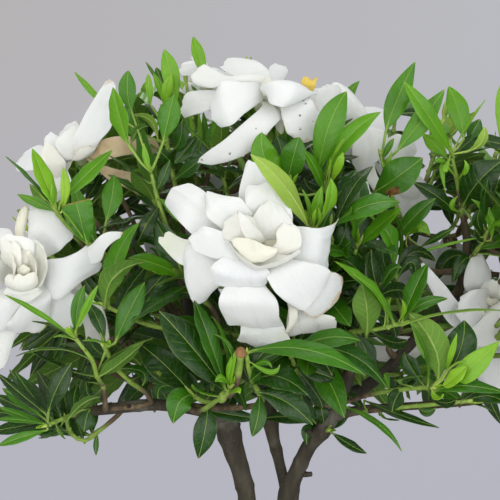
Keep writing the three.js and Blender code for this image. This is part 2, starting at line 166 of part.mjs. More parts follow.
// ---------- leafy pieces: name, kind, stems, leaves as [base, middle, tip, width, normal] ----------
const LEAFY = [
  ["stalk_front", "stalk", [[6,[[21.6,-18,279.2,1.4],[5.1,-21.8,278.4,1.4],[-8.9,-27.1,278.8,1.4],[-11.3,-33.3,280.4,1.4],[-11.4,-38.1,281.8,1.5]]],[6,[[-11.4,-37.2,281.5,1.7],[-11.4,-39.6,282.2,2.6],[-11.5,-43.4,283.3,3.1],[-11.6,-46.3,284.1,3.3]]]], [
    [-14.3,-45.3,283.7,-17.9,-50.5,285,-19.3,-55.6,286.4,2.3,1,-0.01,0.04],
    [-12.6,-46,281.4,-14.1,-52.1,279.6,-14.7,-57.6,279.8,2.3,0.38,0.24,0.89],
    [-10.6,-46.1,281.4,-9.3,-51.8,279.5,-8.9,-56.9,279.5,2.3,-0.37,0.26,0.89],
    [-8.9,-45.4,283.9,-6.2,-50.8,285.6,-5.7,-56.2,287.1,2.3,-1,0.01,-0.05],
    [-10.2,-44.8,286,-8.7,-48.5,290,-8.2,-52.7,292.1,2.3,-0.51,-0.22,-0.83],
    [-13,-44.7,286,-14.6,-48.1,289.5,-15,-52.1,291.3,2.3,0.52,-0.24,-0.82],
  ]],
  ["stalk_top", "stalk", [[6,[[-9.8,0,309.7,1.4],[-9.9,6.2,322.4,1.4],[-10.1,9.9,334.2,1.4],[-10.3,6.3,338,1.4],[-10.6,1.7,339.9,1.5]]],[6,[[-10.5,2.6,339.6,1.7],[-10.6,0.3,340.5,2.6],[-10.8,-3.4,342.1,3.1],[-11,-6.1,343.2,3.3]]]], [
  ]],
  ["stalk_top_back", "stalk", [[6,[[-10.4,1.3,305.2,1.4],[-20.3,24.5,322.9,1.4],[-29.2,42.5,339.9,1.4],[-31.9,41.1,346,1.4],[-33,37.1,348.9,1.5]]],[6,[[-32.8,37.9,348.3,1.7],[-33.3,36,349.8,2.6],[-34.2,32.8,352.1,3.1],[-34.9,30.5,353.9,3.3]]]], [
  ]],
  ["stalk_left", "stalk", [[6,[[-119.1,26.4,252.6,1.4],[-116.8,11.1,258.6,1.4],[-114.7,-3.8,264.8,1.4],[-114,-11.5,267.7,1.4],[-113.6,-16.2,269.3,1.5]]],[6,[[-113.7,-15.3,269,1.7],[-113.5,-17.6,269.8,2.6],[-113.2,-21.4,271.1,3.1],[-113,-24.2,272,3.3]]]], [
  ]],
  ["stalk_upper_left", "stalk", [[6,[[-83.1,46,293.8,1.4],[-87.4,37.6,304.4,1.4],[-91.1,28.7,314.7,1.4],[-92.2,22.1,318.8,1.4],[-92.6,17.6,320.9,1.5]]],[6,[[-92.5,18.5,320.4,1.7],[-92.7,16.3,321.5,2.6],[-93,12.6,323.2,3.1],[-93.3,9.9,324.4,3.3]]]], [
  ]],
  ["stalk_upper_right", "stalk", [[6,[[50.7,64,292.8,1.4],[42.8,53.6,303.2,1.4],[36.1,43,313.4,1.4],[35.1,36.1,317.5,1.4],[35.2,31.6,319.7,1.5]]],[6,[[35.2,32.5,319.2,1.7],[35.2,30.3,320.3,2.6],[35.3,26.6,322,3.1],[35.3,23.9,323.3,3.3]]]], [
  ]],
  ["stalk_right", "stalk", [[6,[[62.9,-4,251.1,1.6],[82.3,9.7,248.8,1.5],[98.3,19.5,248.2,1.4],[99.4,16.1,250.1,1.4],[98.2,11.6,251.9,1.5]]],[6,[[98.4,12.5,251.5,1.7],[97.8,10.2,252.4,2.6],[96.8,6.7,253.9,3.1],[96,4,254.9,3.3]]]], [
  ]],
  ["stalk_back", "stalk", [[6,[[-18.7,79.7,275.9,1.4],[-28.2,70.7,283,1.4],[-36.9,64.6,289.9,1.4],[-39.9,67.8,292.6,1.4],[-41.7,72.2,294.2,1.5]]],[6,[[-41.3,71.3,293.9,1.7],[-42.2,73.5,294.7,2.6],[-43.6,77,296,3.1],[-44.7,79.6,297,3.3]]]], [
  ]],
  ["stalk_back_right", "stalk", [[6,[[36.4,40,255.9,1.4],[46.5,40.5,254.8,1.4],[55.9,42,254.5,1.4],[59.8,45.1,255.6,1.4],[62.9,48.7,257,1.5]]],[6,[[62.3,48,256.7,1.7],[63.8,49.9,257.4,2.6],[66.3,52.8,258.5,3.1],[68.1,55,259.4,3.3]]]], [
  ]],
  ["leaves_young_front", "leaves", [[4,[[22.6,-16.7,275.3,1.4],[18.3,-31.8,271.9,1.2],[14.4,-46,271.2,1.2],[13,-52,275.3,1.1],[10.9,-62,286.9,1],[8.9,-70,297.2,0.9],[8,-72,299.7,0.8]]]], [
    [8,-72,299.7,-2.7,-98,316.6,-17,-102,329,8,0.57,-0.6,0.56],
    [8,-72,299.7,14,-88,308.9,14.6,-90,319.5,6.4,0.57,-0.74,0.34],
  ]],
  ["leaves_front_low_left", "leaves", [[4,[[-43.2,-25,217.5,1.6],[-40.7,-38.3,218.6,1.4],[-37.8,-51.2,220.7,1.2],[-35.3,-58,223.2,1.1],[-30.9,-68,227.9,1],[-26.7,-76,231.6,0.9],[-25,-80,235.1,0.8]]],[4,[[-26.7,-76,231.6,1.6],[-26.3,-75.9,231.9,1.6],[-26,-75.9,232.3,1.6],[-25.9,-76,232.5,1.7],[-23.4,-82,240.3,1.7],[-20.6,-86,250.5,1.7]]],[4,[[-37.8,-51.2,220.7,1.1],[-34.4,-50.1,221.9,1.1],[-31.9,-49.4,223.1,1.1],[-32.1,-50,223.6,1.1],[-36.2,-54,225.1,1],[-40.3,-58,228.3,0.8]]]], [
    [-26.1,-77.4,232.8,-38.4,-86,250.5,-53.2,-82,266.4,13.6,0.01,-0.75,0.67],
    [-25.3,-79.3,234.5,-33.6,-88,257.1,-39.2,-84,271,8.5,0.65,-0.73,0.21],
    [-24.8,-78.7,236,-27.4,-80,254.5,-32.7,-76,263.7,4,0.89,-0.36,0.3],
    [-40.3,-58,228.3,-51.8,-58,240.8,-63.4,-52,249.2,14.2,0.07,-0.68,0.73],
    [-39.8,-57.5,227.9,-45.3,-66,227.9,-48.6,-66,218,10,0.08,-0.93,0.37],
    [-35.3,-53.1,224.8,-35.7,-58,214,-38.7,-56,201.4,9,0.07,-0.93,0.36],
    [-37.1,-54.9,225.8,-43.9,-50,232.9,-52.6,-44,234.5,7.6,-0.06,-0.94,0.33],
    [-35.2,-53.1,224.8,-32.2,-46,231.4,-36.6,-42,239.4,8.4,-0.11,-0.95,0.3],
    [-36.9,-54.6,225.6,-48.4,-44,231.1,-59,-38,230.2,6.9,-0.05,-0.93,0.36],
  ]],
  ["leaves_front_low_right", "leaves", [[4,[[-43.2,-25,217.5,1.6],[-26.6,-39.3,220.1,1.4],[-13,-53.1,224.1,1.2],[-12,-60,227.8,1.1],[-15.4,-72,235.5,1],[-17.8,-82,244.3,0.9],[-18.2,-86,249.7,0.8]]]], [
    [-18.2,-86,249.7,5.6,-97,252.8,28.4,-95,242.3,8.8,0.11,-0.72,0.69],
    [-15.7,-73.1,236.4,-6.6,-80,240,6.3,-80,231.9,11.5,0.1,-0.68,0.73],
    [-14.1,-67.5,232.6,-2.3,-70,227.8,8.8,-68,217.9,9.2,0.1,-0.95,0.31],
    [-13.1,-63.8,230.3,-13.7,-68,221.7,-16.2,-68,213,6.3,-0.06,-0.95,0.29],
    [-16.2,-75.4,238.5,-14.6,-80,245.6,-9,-78,251.8,8.6,-0.07,-0.95,0.29],
    [-15.4,-72,235.5,-19.5,-66,242,-16.2,-62,250.5,7.4,0.03,-0.93,0.37],
  ]],
  ["leaves_front_right_low", "leaves", [[4,[[21.4,-19,217.4,1.6],[13.2,-27,220,1.4],[6.1,-35,223.6,1.2],[4.3,-40,227,1.1],[2.2,-54,237.7,1],[0.1,-68,245.6,0.9],[-0.8,-74,248.8,0.8]]]], [
    [-0.8,-74,248.8,13.3,-82,255.6,26.9,-82,254.4,8.6,0.06,-0.72,0.69],
    [-0.5,-71.9,247.7,21.1,-78,249.4,38.9,-74,233.4,8.7,-0.07,-0.69,0.72],
    [1,-62,242.2,10.1,-64,239.2,19.4,-60,235.3,6.7,-0.04,-0.93,0.37],
    [1.6,-58.1,240,10.6,-54,228.5,13.3,-50,221.9,6,0.11,-0.94,0.31],
    [2.3,-53.6,237.4,16.7,-48,225.8,23.7,-44,227.7,6.8,-0.02,-0.92,0.39],
    [2.7,-50.4,235,5.9,-46,222.9,11.1,-42,213.6,6.1,0.05,-0.96,0.28],
    [-0.2,-70,246.6,8.5,-62,259.6,16.2,-56,266.5,8.1,-0.09,-0.96,0.28],
    [2.9,-49,233.9,-5.1,-42,229.9,-10.1,-38,223.2,6.9,0.09,-0.93,0.37],
  ]],
  ["leaves_right_front", "leaves", [[4,[[27.6,-12.7,247.9,1.6],[20.4,-29.8,249.6,1.4],[15.7,-45.6,252,1.2],[19,-52,253.4,1.1],[27.6,-60,255.7,1],[35.3,-66,257.2,0.9],[43.9,-70,259.8,0.8]]]], [
    [43.9,-70,259.8,49.1,-74,273.6,54.9,-72,284.8,8.7,-0.67,-0.68,0.3],
    [43.9,-70,259.8,53.6,-70,268.3,63.9,-66,269.6,5.1,0.11,-0.7,0.71],
    [43.9,-70,259.8,63.7,-80,265.8,86.4,-78,265.9,5,-0.04,0.13,0.99],
    [42.6,-69.4,259.4,32,-76,274.2,16.7,-76,285.9,8,0.91,-0.37,0.18],
    [38.6,-67.5,258.2,35.8,-79,270.5,23.6,-81,281.1,5.1,0.92,-0.3,0.24],
    [31.1,-62.7,256.4,30.3,-72,266.1,28,-70,276.9,10.6,0.01,0.94,0.35],
    [27,-59.5,255.5,23,-54,260.4,22.2,-52,269.4,7.5,-0.06,-0.94,0.34],
    [31.5,-63.1,256.5,42,-56,250.6,49.3,-50,250.7,6.7,-0.06,-0.72,0.69],
    [24.4,-57,254.8,31.2,-56,246.4,28.9,-54,237.7,7.5,-0.08,-0.92,0.38],
  ]],
  ["leaves_right_low", "leaves", [[4,[[21.4,-19,217.4,1.6],[22.2,-23.5,218.7,1.4],[23.4,-27.8,220.2,1.2],[24.6,-30,221,1.1],[34.8,-44,226.8,1],[44.5,-58,230.8,1],[52.5,-68,233.2,0.9],[56.4,-73,234,0.8]]]], [
    [56.4,-73,234,70.8,-82,243.5,82.7,-82,254.4,8.6,-0.07,-0.94,0.33],
    [56.4,-73,234,68.5,-72,250.2,70.2,-68,261.2,11.7,-0.04,-0.94,0.33],
    [56.4,-73,234,69.3,-82,236.3,86.1,-82,233,6.1,-0.09,-0.71,0.7],
    [56.4,-73,234,57.1,-76,251.6,46.9,-72,264.9,11.6,-0.06,0.97,0.26],
    [55.4,-71.7,233.8,53.7,-78,249.4,46.4,-78,262.3,4.3,-0.9,-0.36,0.26],
    [53.2,-68.9,233.3,49.2,-60,241.1,47.2,-54,246.1,6.7,0.03,-0.94,0.33],
  ]],
  ["leaves_upper_left", "leaves", [[4,[[-48.9,-12,280.5,1.3],[-48.5,-19.5,279.3,1.2],[-48.4,-26.2,279.3,1.1],[-49,-28,281.8,1.1],[-53,-33,298,1],[-56.7,-35,310.5,0.9],[-59.1,-36,320.8,0.8]]],[4,[[-48.9,-12,280.5,1.1],[-47.4,-10.8,284.1,1.1],[-46.2,-9.9,287.9,1.1],[-46.3,-10,290.1,1.1],[-49.5,-14,312.4,1],[-52.8,-18,330,0.9],[-53.9,-20,343.9,0.8]]]], [
    [-59.1,-36,320.8,-69.1,-38,335.2,-74.9,-38,357.1,9.1,-0.66,-0.72,0.22],
    [-59.1,-36,320.8,-67.4,-31,342.9,-69.1,-30,365,7.7,0.03,-0.96,0.27],
    [-59.1,-36,320.8,-65,-30,334.8,-59.9,-28,342.1,6.2,0.01,0.61,0.79],
    [-59.1,-36,320.8,-53.3,-40,334.3,-47.8,-40,353.7,9.9,-0.1,-0.94,0.33],
    [-58.1,-35.6,316.4,-68.1,-35,322,-77.5,-34,328,5,-0.11,-0.15,0.98],
    [-55.5,-34.3,306.4,-60.2,-40,299.7,-64.5,-40,290.8,6.1,-0.09,-0.95,0.29],
    [-53.8,-19.7,342.1,-51.2,-22,356.8,-54.1,-22,374,8.6,0.02,-0.95,0.32],
    [-53.9,-19.9,343.3,-51.4,-26,353.7,-50.5,-27,363.5,5,0.11,-0.96,0.27],
    [-53.8,-19.8,342.2,-58,-16,358.7,-62.5,-14,368.8,5.1,0.68,-0.69,0.23],
    [-53.5,-19.3,339.2,-56.6,-10,356.3,-58.5,-8,366.9,5.2,-0.07,-0.94,0.34],
    [-52.6,-17.8,329,-71.1,-6,342.3,-64.8,-6,356,4.4,-0.1,-0.95,0.29],
    [-51.7,-16.7,324.1,-44.8,-20,330,-40.5,-20,336.1,7,-0.01,-0.95,0.3],
    [-50.5,-15.3,318,-43,-24,322.3,-36.8,-26,327.5,6.2,0.07,-0.93,0.36],
  ]],
  ["leaves_left", "leaves", [[4,[[-48.1,-10,276.3,1.4],[-56,-23.2,273.9,1.3],[-64,-35.4,273.6,1.2],[-68.8,-40,277.2,1.1],[-76.7,-46,285.3,1],[-84.7,-50,291.4,1],[-96.3,-50,302.3,0.9],[-99.1,-50,306.9,0.8]]]], [
    [-98.4,-50,305.8,-103.2,-50,316.1,-109.1,-46,331,8.2,0.63,-0.71,0.32],
    [-96.5,-50,302.7,-109.5,-50,316.1,-119.7,-48,327.3,5.2,0.64,-0.19,0.75],
    [-96.6,-50,302.8,-88.2,-46,317.6,-74.5,-44,331.4,9.8,-0.02,-0.7,0.72],
    [-84.9,-50,291.6,-86.6,-55,299.2,-89,-55,308.8,11.6,-0.08,-0.94,0.33],
    [-97.7,-50,304.6,-107.2,-43,308.3,-116.2,-36,311.4,5,0.06,-0.71,0.7],
    [-79.6,-47.4,287.5,-77.1,-40,306.9,-75.7,-36,320.3,8,0.09,-0.95,0.3],
    [-79.9,-47.6,287.7,-88,-34,302.4,-93.7,-28,316.3,6.9,0.02,-0.95,0.32],
    [-78.1,-46.7,286.4,-72.4,-47,295.9,-64.9,-45,303.3,6.1,0.07,-0.92,0.39],
    [-75.6,-45.2,284.2,-69,-36,291.8,-60,-30,296.6,7.7,-0.01,-0.7,0.71],
  ]],
  ["leaves_left_middle", "leaves", [[4,[[-42.9,-7,250.8,1.6],[-42.9,-25,251.1,1.4],[-44.7,-41.1,252.6,1.2],[-49.9,-46,254.4,1.1],[-63,-52,258.5,1],[-71.8,-56,263.1,0.9],[-76.7,-57,265.7,0.8]]]], [
    [-76.2,-56.9,265.4,-72.3,-58,285.7,-62.6,-54,300.4,11.1,-0.68,-0.68,0.28],
    [-76.7,-57,265.7,-72.5,-66,279,-60.2,-66,284.7,9.9,0.03,0.56,0.83],
    [-75,-56.6,264.8,-83.7,-44,271.1,-89.6,-36,279,5.3,0.07,-0.95,0.3],
    [-67.8,-54.2,261,-58.9,-50,271.7,-51.5,-46,279.8,8.3,-0.11,-0.94,0.32],
    [-71.2,-55.7,262.8,-68.4,-46,271.3,-59.4,-40,282.7,6.8,-0.1,-0.93,0.36],
  ]],
  ["leaves_left_low", "leaves", [[4,[[-79.6,-33,218.2,1.6],[-79,-37.8,219.9,1.4],[-78.5,-42.2,222.1,1.2],[-78.6,-44,224.2,1.1],[-79,-48,230.9,1],[-80.9,-54,236,1],[-82.3,-60,243.6,0.9],[-85.3,-63,248.6,0.9],[-88.4,-64,252.9,0.8]]],[4,[[-79.6,-33,218.2,1.2],[-68.3,-33.2,219.4,1.2],[-59.5,-34.1,221.4,1.1],[-60,-36,223.8,1.1],[-68.7,-44,232.8,1],[-74.6,-54,241.9,1],[-76.5,-60,247.8,0.9],[-77.2,-61,249.2,0.8]]]], [
    [-88.4,-64,252.9,-88.1,-66,265,-85,-64,275.5,5.1,0.59,-0.77,0.25],
    [-88.4,-64,252.9,-84.4,-70,265.5,-78.2,-70,276.1,4.8,-0.9,-0.32,0.29],
    [-88.4,-64,252.9,-102,-66,263.4,-118.2,-64,271.4,6.3,-0.1,0.13,0.99],
    [-82.3,-60,243.6,-97.9,-54,247.8,-115.7,-50,243.5,6.8,-0.03,0.12,0.99],
    [-80.5,-52.8,235,-97.8,-42,238.5,-115.9,-34,246.9,6.9,0.11,0.14,0.98],
    [-80.8,-53.5,235.6,-71.7,-58,241.7,-60.9,-58,250.8,7.5,-0.08,0.62,0.78],
    [-79.6,-49.8,232.4,-90.2,-42,233.4,-97.7,-36,237.6,5.4,-0.06,0.13,0.99],
    [-77.2,-61,249.2,-67,-64,264,-61.1,-60,276.8,8.9,-0.03,-0.94,0.34],
    [-77.2,-61,249.2,-79.5,-62,259.6,-84.8,-58,266.7,5.6,0.68,-0.68,0.28],
    [-76.5,-60,247.8,-66,-62,254.7,-56.6,-60,252.8,6.3,0.05,0.14,0.99],
    [-68.1,-43.5,232.2,-59.9,-36,236.8,-55.9,-30,243.7,7,-0.02,-0.95,0.32],
    [-74.9,-54.8,242.7,-82.2,-44,245.6,-86,-40,251.1,5.3,-0.09,-0.93,0.35],
  ]],
  ["leaves_bottom_left", "leaves", [[4,[[-75.4,-32,218.6,1.6],[-75.8,-30.8,219.4,1.4],[-76.4,-29.9,220.1,1.2],[-76.8,-30,220.1,1.1],[-89.6,-40,218.4,1],[-95.9,-52,217.5,0.9],[-101,-58,216.1,0.8]]],[4,[[-76.2,-30.3,219.8,1.1],[-73.6,-23.8,218.2,1.1],[-72.2,-18.5,216.6,1.1],[-73.5,-18,215,1.1],[-83.1,-20,206.9,1],[-90,-22,202.4,1],[-95.9,-24,206.7,0.9],[-97.3,-26,212.4,0.8]]]], [
    [-101,-58,216.1,-99.5,-62,231.4,-92.7,-60,243.2,9.3,-0.1,-0.96,0.27],
    [-100.9,-57.8,216.1,-111.3,-52,227.3,-123.5,-46,235.7,6.8,-0.07,-0.74,0.67],
    [-101,-58,216.1,-110.3,-60,211.4,-123.6,-58,206.8,6,-0.04,0.14,0.99],
    [-95.7,-51.7,217.5,-90.4,-56,225,-79.1,-56,226.7,7.5,-0.12,0.62,0.77],
    [-100.6,-57.5,216.2,-113,-50,218.5,-124.9,-44,221.7,4.9,-0.11,-0.14,0.98],
    [-100.3,-57.2,216.3,-114.6,-44,224.2,-123.2,-38,228.4,6.1,-0.03,-0.96,0.28],
  ]],
  ["leaves_right_centre", "leaves", [[4,[[26.3,-16.7,231,1.6],[26.5,-22.4,232.4,1.4],[26.9,-27.7,234.5,1.2],[27.2,-30,236.8,1.1],[29,-40,250.2,1],[31.8,-48,261,0.9],[33.8,-54,267.9,0.8]]]], [
    [33.8,-54,267.9,33.7,-64,278.8,32.6,-62,289.7,9.6,0.62,-0.74,0.27],
    [33.8,-54,267.9,26.6,-60,281.8,16.7,-60,285.5,8.2,0.02,-0.69,0.73],
    [33.4,-52.7,266.4,25.7,-50,267.5,22.5,-48,259.7,7.5,0,-0.94,0.33],
    [33.4,-52.8,266.6,45,-40,270.8,51.4,-36,267.8,6.9,0.01,-0.96,0.26],
    [33.8,-53.9,267.8,24.6,-54,274.6,20.5,-52,282.8,8.2,-0.01,-0.96,0.29],
    [32,-48.6,261.7,41.4,-44,258.4,45.2,-40,250.2,6.9,-0.11,-0.92,0.37],
  ]],
  ["leaves_right_middle", "leaves", [[4,[[25.5,-13.3,262.4,1.6],[23.3,-22.1,262.1,1.4],[21.4,-30.4,263.1,1.2],[20.8,-34,265.9,1.1],[19.2,-46,279.8,1],[16.9,-56,290.6,0.9],[15.8,-62,299.2,0.8]]]], [
    [15.9,-61.6,298.6,29.3,-72,307.8,43.6,-70,309.3,10.9,0.11,-0.69,0.72],
    [16,-60.8,297.5,24.4,-66,314.1,33.4,-60,323.7,8.4,-0.68,-0.69,0.25],
    [18.9,-47.2,281.1,27.3,-50,292.7,29.9,-48,297.6,9,-0.07,-0.95,0.3],
    [17.1,-55.1,289.6,21.6,-60,295,22.5,-58,303.9,6.7,0.05,-0.96,0.26],
  ]],
  ["leaves_top_centre", "leaves", [[4,[[21.6,-18,279.2,1.3],[13.3,-22.8,278.3,1.2],[6.1,-27.5,279,1.1],[4.5,-30,281.9,1.1],[2.5,-40,298,1],[0.6,-46,310.9,0.9],[-0.3,-48,317.7,0.8]]]], [
    [-0.3,-48,317.6,-10.4,-56,326.1,-12.1,-56,337.6,10.4,-0.09,-0.92,0.38],
    [-0.3,-48,317.7,0.7,-58,327,3.1,-58,335.6,9.6,-0.1,-0.92,0.38],
    [-0.3,-48,317.7,-3.6,-44,329.3,-6.1,-42,336.4,7.6,-0.01,-0.95,0.31],
    [0.5,-46.3,312,10.2,-56,322,4,-56,331.5,6.7,0.63,-0.71,0.33],
    [0.6,-46,310.9,-7.7,-40,314.9,-14.4,-36,319.1,6.1,-0.09,-0.96,0.28],
    [1.2,-44,306.6,-6,-40,309,-11.9,-36,307.2,6.9,-0.04,-0.95,0.3],
  ]],
  ["leaves_top_right", "leaves", [[4,[[21.6,-18,279.2,1.3],[20.6,-20.6,280,1.2],[19.7,-23,281.2,1.1],[19.5,-24,282.3,1.1],[18.1,-34,299.4,1],[15.9,-42,310.8,0.9],[13.2,-46,317.6,0.8]]]], [
    [13.2,-46,317.6,15.2,-54,339.3,23.1,-52,354.5,10.8,0,-0.96,0.29],
    [13.2,-46,317.6,23.4,-56,335.2,37.1,-54,345.9,8.2,-0.66,-0.72,0.2],
    [13.5,-45.5,316.8,10.9,-40,325.9,8.5,-36,331.8,6.1,0.1,-0.96,0.27],
    [13.2,-46,317.6,6.8,-36,324.2,4.4,-30,330.1,6.1,0.07,-0.94,0.32],
    [16.1,-41.1,309.6,23.6,-40,314.9,28.1,-36,321.6,6.9,-0,-0.93,0.37],
    [16.5,-39.7,307.5,21.2,-38,299.6,26.6,-34,293.4,7.6,0.04,-0.92,0.39],
    [15.4,-42.7,312.1,24.9,-16,350.1,32.3,-10,360.7,5.5,-0.04,-0.69,0.72],
  ]],
  ["leaves_right_bottom", "leaves", [[4,[[19.4,-18,213.2,1.6],[18.6,-15.7,213.4,1.4],[18.1,-13.9,213.7,1.2],[18.5,-14,213.8,1.1],[33.8,-24,216,1],[49.4,-34,219.5,1],[64.2,-40,221.9,0.9],[75.5,-44,223.8,0.8]]],[4,[[18.1,-13.9,213.7,1.1],[14.3,-8.4,205.5,1.1],[11.4,-4.4,199.3,1.1],[11.8,-6,199.7,1.1],[15,-14,204.9,1],[17.4,-20,206.9,0.8]]]], [
    [34,-24.1,216,48.6,-34,216.5,65.4,-34,210.4,5.4,0.11,0.13,0.99],
    [26.2,-19,214.9,37.4,-34,213.9,48.9,-36,200.3,4.3,0.01,0.12,0.99],
    [75.5,-44,223.8,83.7,-46,226.3,91.4,-46,222.9,6.9,0.08,-0.74,0.66],
    [17.4,-20,206.9,24.6,-24,204.1,35.3,-22,196.1,5.1,0.04,-0.75,0.67],
  ]],
  ["leaves_right_inner", "leaves", [[4,[[49.4,-4,236.6,1.6],[44.7,-7.8,241.9,1.4],[47.2,-11.6,247.5,1.2],[49.4,-14,250.5,1.1],[47.3,-26,265.1,1],[45.2,-38,276.6,0.9],[43.8,-44,281.3,0.8]]]], [
    [43.8,-44,281.3,41.3,-56,293.1,33.8,-56,302.2,9.3,0.56,-0.75,0.35],
    [44.7,-40.1,278.2,47.8,-36,293.5,43,-32,304,3.8,-0.93,-0.31,0.19],
    [46,-33.6,272.3,40.7,-30,281.9,41.9,-26,292.9,7,-0.1,-0.93,0.37],
    [45.2,-38,276.6,53.8,-28,286.1,64.1,-22,281.3,7,-0.06,-0.75,0.66],
  ]],
  ["leaves_upper_right", "leaves", [[4,[[78.2,-4.7,275.5,1.5],[69.3,-5.7,275.6,1.4],[61.3,-6.9,277.1,1.2],[58.7,-8,280.2,1.1],[49.9,-14,298.3,1],[43.9,-22,312.7,1],[40.8,-26,323.6,0.9],[39.3,-28,327.9,0.8]]]], [
    [39.7,-27.4,326.7,43.3,-26,349.8,54.5,-24,368.7,12.4,0.05,-0.94,0.35],
    [40.4,-26.5,324.7,54.9,-30,341.2,67.1,-28,356.6,10.8,-0.02,-0.95,0.31],
    [42.9,-23.3,316.3,44.1,-38,319.1,55.9,-38,327.2,14.5,-0.1,-0.96,0.28],
    [44.1,-21.7,312.1,50.7,-14,321.2,58.3,-8,322.9,6.3,-0.09,-0.92,0.37],
    [49.5,-14.5,299.2,55.9,-24,304.1,63,-26,310.6,9.4,-0.05,-0.72,0.69],
    [51.5,-12.9,295,62.9,-24,291.9,72.2,-26,296.4,5.5,-0.05,0.12,0.99],
    [52,-12.6,294.1,66.8,-28,287,82.9,-30,292.7,3.5,0.11,0.13,0.99],
    [48.6,-15.8,301.5,41.6,-28,304.2,37.9,-32,300.1,7,-0.06,-0.92,0.39],
  ]],
  ["leaves_far_right_top", "leaves", [[4,[[78.2,-7,298,1.3],[77.7,-8.4,299.3,1.2],[77.1,-9.6,300.7,1.1],[76.9,-10,301.7,1.1],[75.2,-12,309.7,1],[74,-14,316.8,1],[71.5,-16,326.5,0.9],[71,-16,329.1,0.8]]]], [
    [71.4,-16,326.9,60.2,-33,342.4,47.5,-35,360.2,9.6,0.61,-0.75,0.26],
    [71.1,-16,328.8,73.9,-16,344.8,69.9,-12,358.9,9,-0.11,-0.94,0.31],
    [71,-16,328.9,77,-22,340.4,86,-22,352.9,4.3,-0.91,-0.33,0.24],
    [71.2,-16,327.9,83.4,-24,330,84.1,-24,342.5,7.8,-0.07,0.6,0.8],
    [71.7,-15.8,325.8,80.1,-10,337.9,85.9,-6,343.2,7.1,-0.09,-0.94,0.32],
    [75.9,-11.2,306.4,66,-18,315.2,53.4,-18,316.1,7.9,0.05,-0.69,0.73],
  ]],
  ["leaves_far_right", "leaves", [[4,[[79.1,-5,280,1.5],[79.5,-6.2,279.8,1.3],[79.8,-7.4,279.9,1.2],[80,-8,280.2,1.1],[82.7,-14,285.1,1],[85.2,-20,290.8,0.9],[86.6,-22,295.3,0.8]]]], [
    [86.6,-22,295.3,81.8,-24,316.2,92.2,-26,325.7,14.8,-0.1,-0.92,0.37],
    [86.4,-21.7,294.6,83.7,-29,306,85.6,-27,318,6.6,0.68,-0.68,0.27],
    [85.7,-20.7,292.5,93.6,-16,302,95.6,-14,312.4,8.7,0.05,-0.93,0.37],
    [83.3,-15.5,286.6,92.9,-16,290.5,104.1,-12,295.6,6.3,-0.09,-0.71,0.7],
    [80.9,-10.1,281.9,72.5,-4,281.7,66.6,-2,270.7,7.3,0.04,-0.93,0.36],
  ]],
  ["leaves_edge_right", "leaves", [[4,[[78.2,-4.7,275.5,1.5],[92.8,-6.3,274.4,1.4],[101.7,1.1,275.3,1.2],[101.6,4,279.3,1.1],[99.5,-2,298.6,1],[96.9,-6,316.6,0.9],[95.2,-10,330,0.8]]]], [
    [95.7,-8.8,325.9,92,-12,346.6,94.4,-10,359,7.5,-0.09,-0.92,0.37],
    [95.3,-9.7,329.1,103.3,-8,343.2,108.8,-6,355.6,8.8,0.03,-0.93,0.35],
    [95.6,-9.1,326.9,103.6,-2,334.4,113.6,4,338,7.2,-0,-0.76,0.65],
    [97.5,-5.1,312.4,106.3,-8,318.4,115.1,-8,320.2,8,0,-0.71,0.7],
    [98.8,-3.1,303.4,106.3,-4,301.4,115.9,0,304.8,8,0.04,-0.75,0.66],
    [100,-0.5,293.9,108.9,0,291.3,119.3,2,287.6,7.3,0.06,-0.15,0.99],
    [96.8,-6.3,317.6,102.7,8,325.3,106.3,14,334.4,7.3,-0.1,-0.95,0.3],
  ]],
  ["leaves_back_0", "leaves", [[3,[[25.5,-13.3,262.4,1.6],[7.3,-17.4,263.1,1.2],[6.9,-40.9,282.5,0.7]]],[3,[[7.3,-20.3,265.5,1.1],[-35.3,-16,290.1,0.7]]],[3,[[-3.2,-19.2,271.6,1.1],[-7.6,-19.9,307.3,0.7]]],[3,[[7.2,-23.4,268.1,1.1],[11.7,-55.8,277.7,0.7]]],[3,[[-8.1,-18.7,274.4,1.1],[-29.7,-10.2,249.5,0.7]]],[3,[[-29.7,-10.2,249.5,1.1],[-45.1,-42.9,276.2,0.7]]],[3,[[8.3,-31.5,270.5,1.1],[2.7,-64.2,277.1,0.7]]],[3,[[7.2,-37.8,271.8,1.1],[1.8,-62.4,257.9,0.7]]],[3,[[4.6,-49.7,265.1,1.1],[4.9,-59.7,250.8,0.7]]],[3,[[-4.4,-19.4,281.4,1.1],[-1.5,-3.3,312.3,0.7]]],[3,[[-26.7,-11.4,253,1.1],[-45.5,1.2,272.2,0.7]]],[3,[[4.8,-55.9,256.3,1.1],[7.9,-58.2,247.3,0.7]]],[3,[[7.1,-29.6,273.2,1.1],[30.1,-43.6,299.1,0.7]]],[3,[[6.2,-42.4,269.2,1.1],[27.3,-56.8,290.7,0.7]]],[3,[[-28.6,-10.6,250.7,1.1],[-28.2,-26.4,228.2,0.7]]],[3,[[-32.1,-16.3,288.3,1.1],[-30,-19,325.1,0.7]]],[3,[[-6.4,-19.7,297.3,1.1],[-4,-22.9,330,0.7]]],[3,[[-24.3,-12.3,255.7,1.1],[19.5,3.2,240.3,0.7]]],[3,[[-32.1,-16.3,288.3,1.1],[-58.5,-19.1,307.4,0.7]]],[3,[[-10.4,-7.4,250.8,1.1],[-47.6,7.4,237.8,0.7]]],[3,[[10.1,-0.1,243.6,1.1],[-5.2,29.2,242.1,0.7]]]], [
    [7.1,-31.7,274.9,15.8,-45.8,264.4,25.1,-60.7,252.9,11.8,-0.11,-0.5,0.86],
    [-31.3,-16.4,287.8,-37.5,-31.5,283.8,-43.4,-50.3,278.7,10.2,-0.36,0.06,0.93],
    [-3.2,-13,293.7,-20.6,-25.9,292.3,-35.2,-37.6,287.2,10.2,0.05,-0.25,0.97],
    [11,-50.5,276.1,17.1,-65.4,266.9,23,-81,260.1,9.8,-0.13,-0.35,0.93],
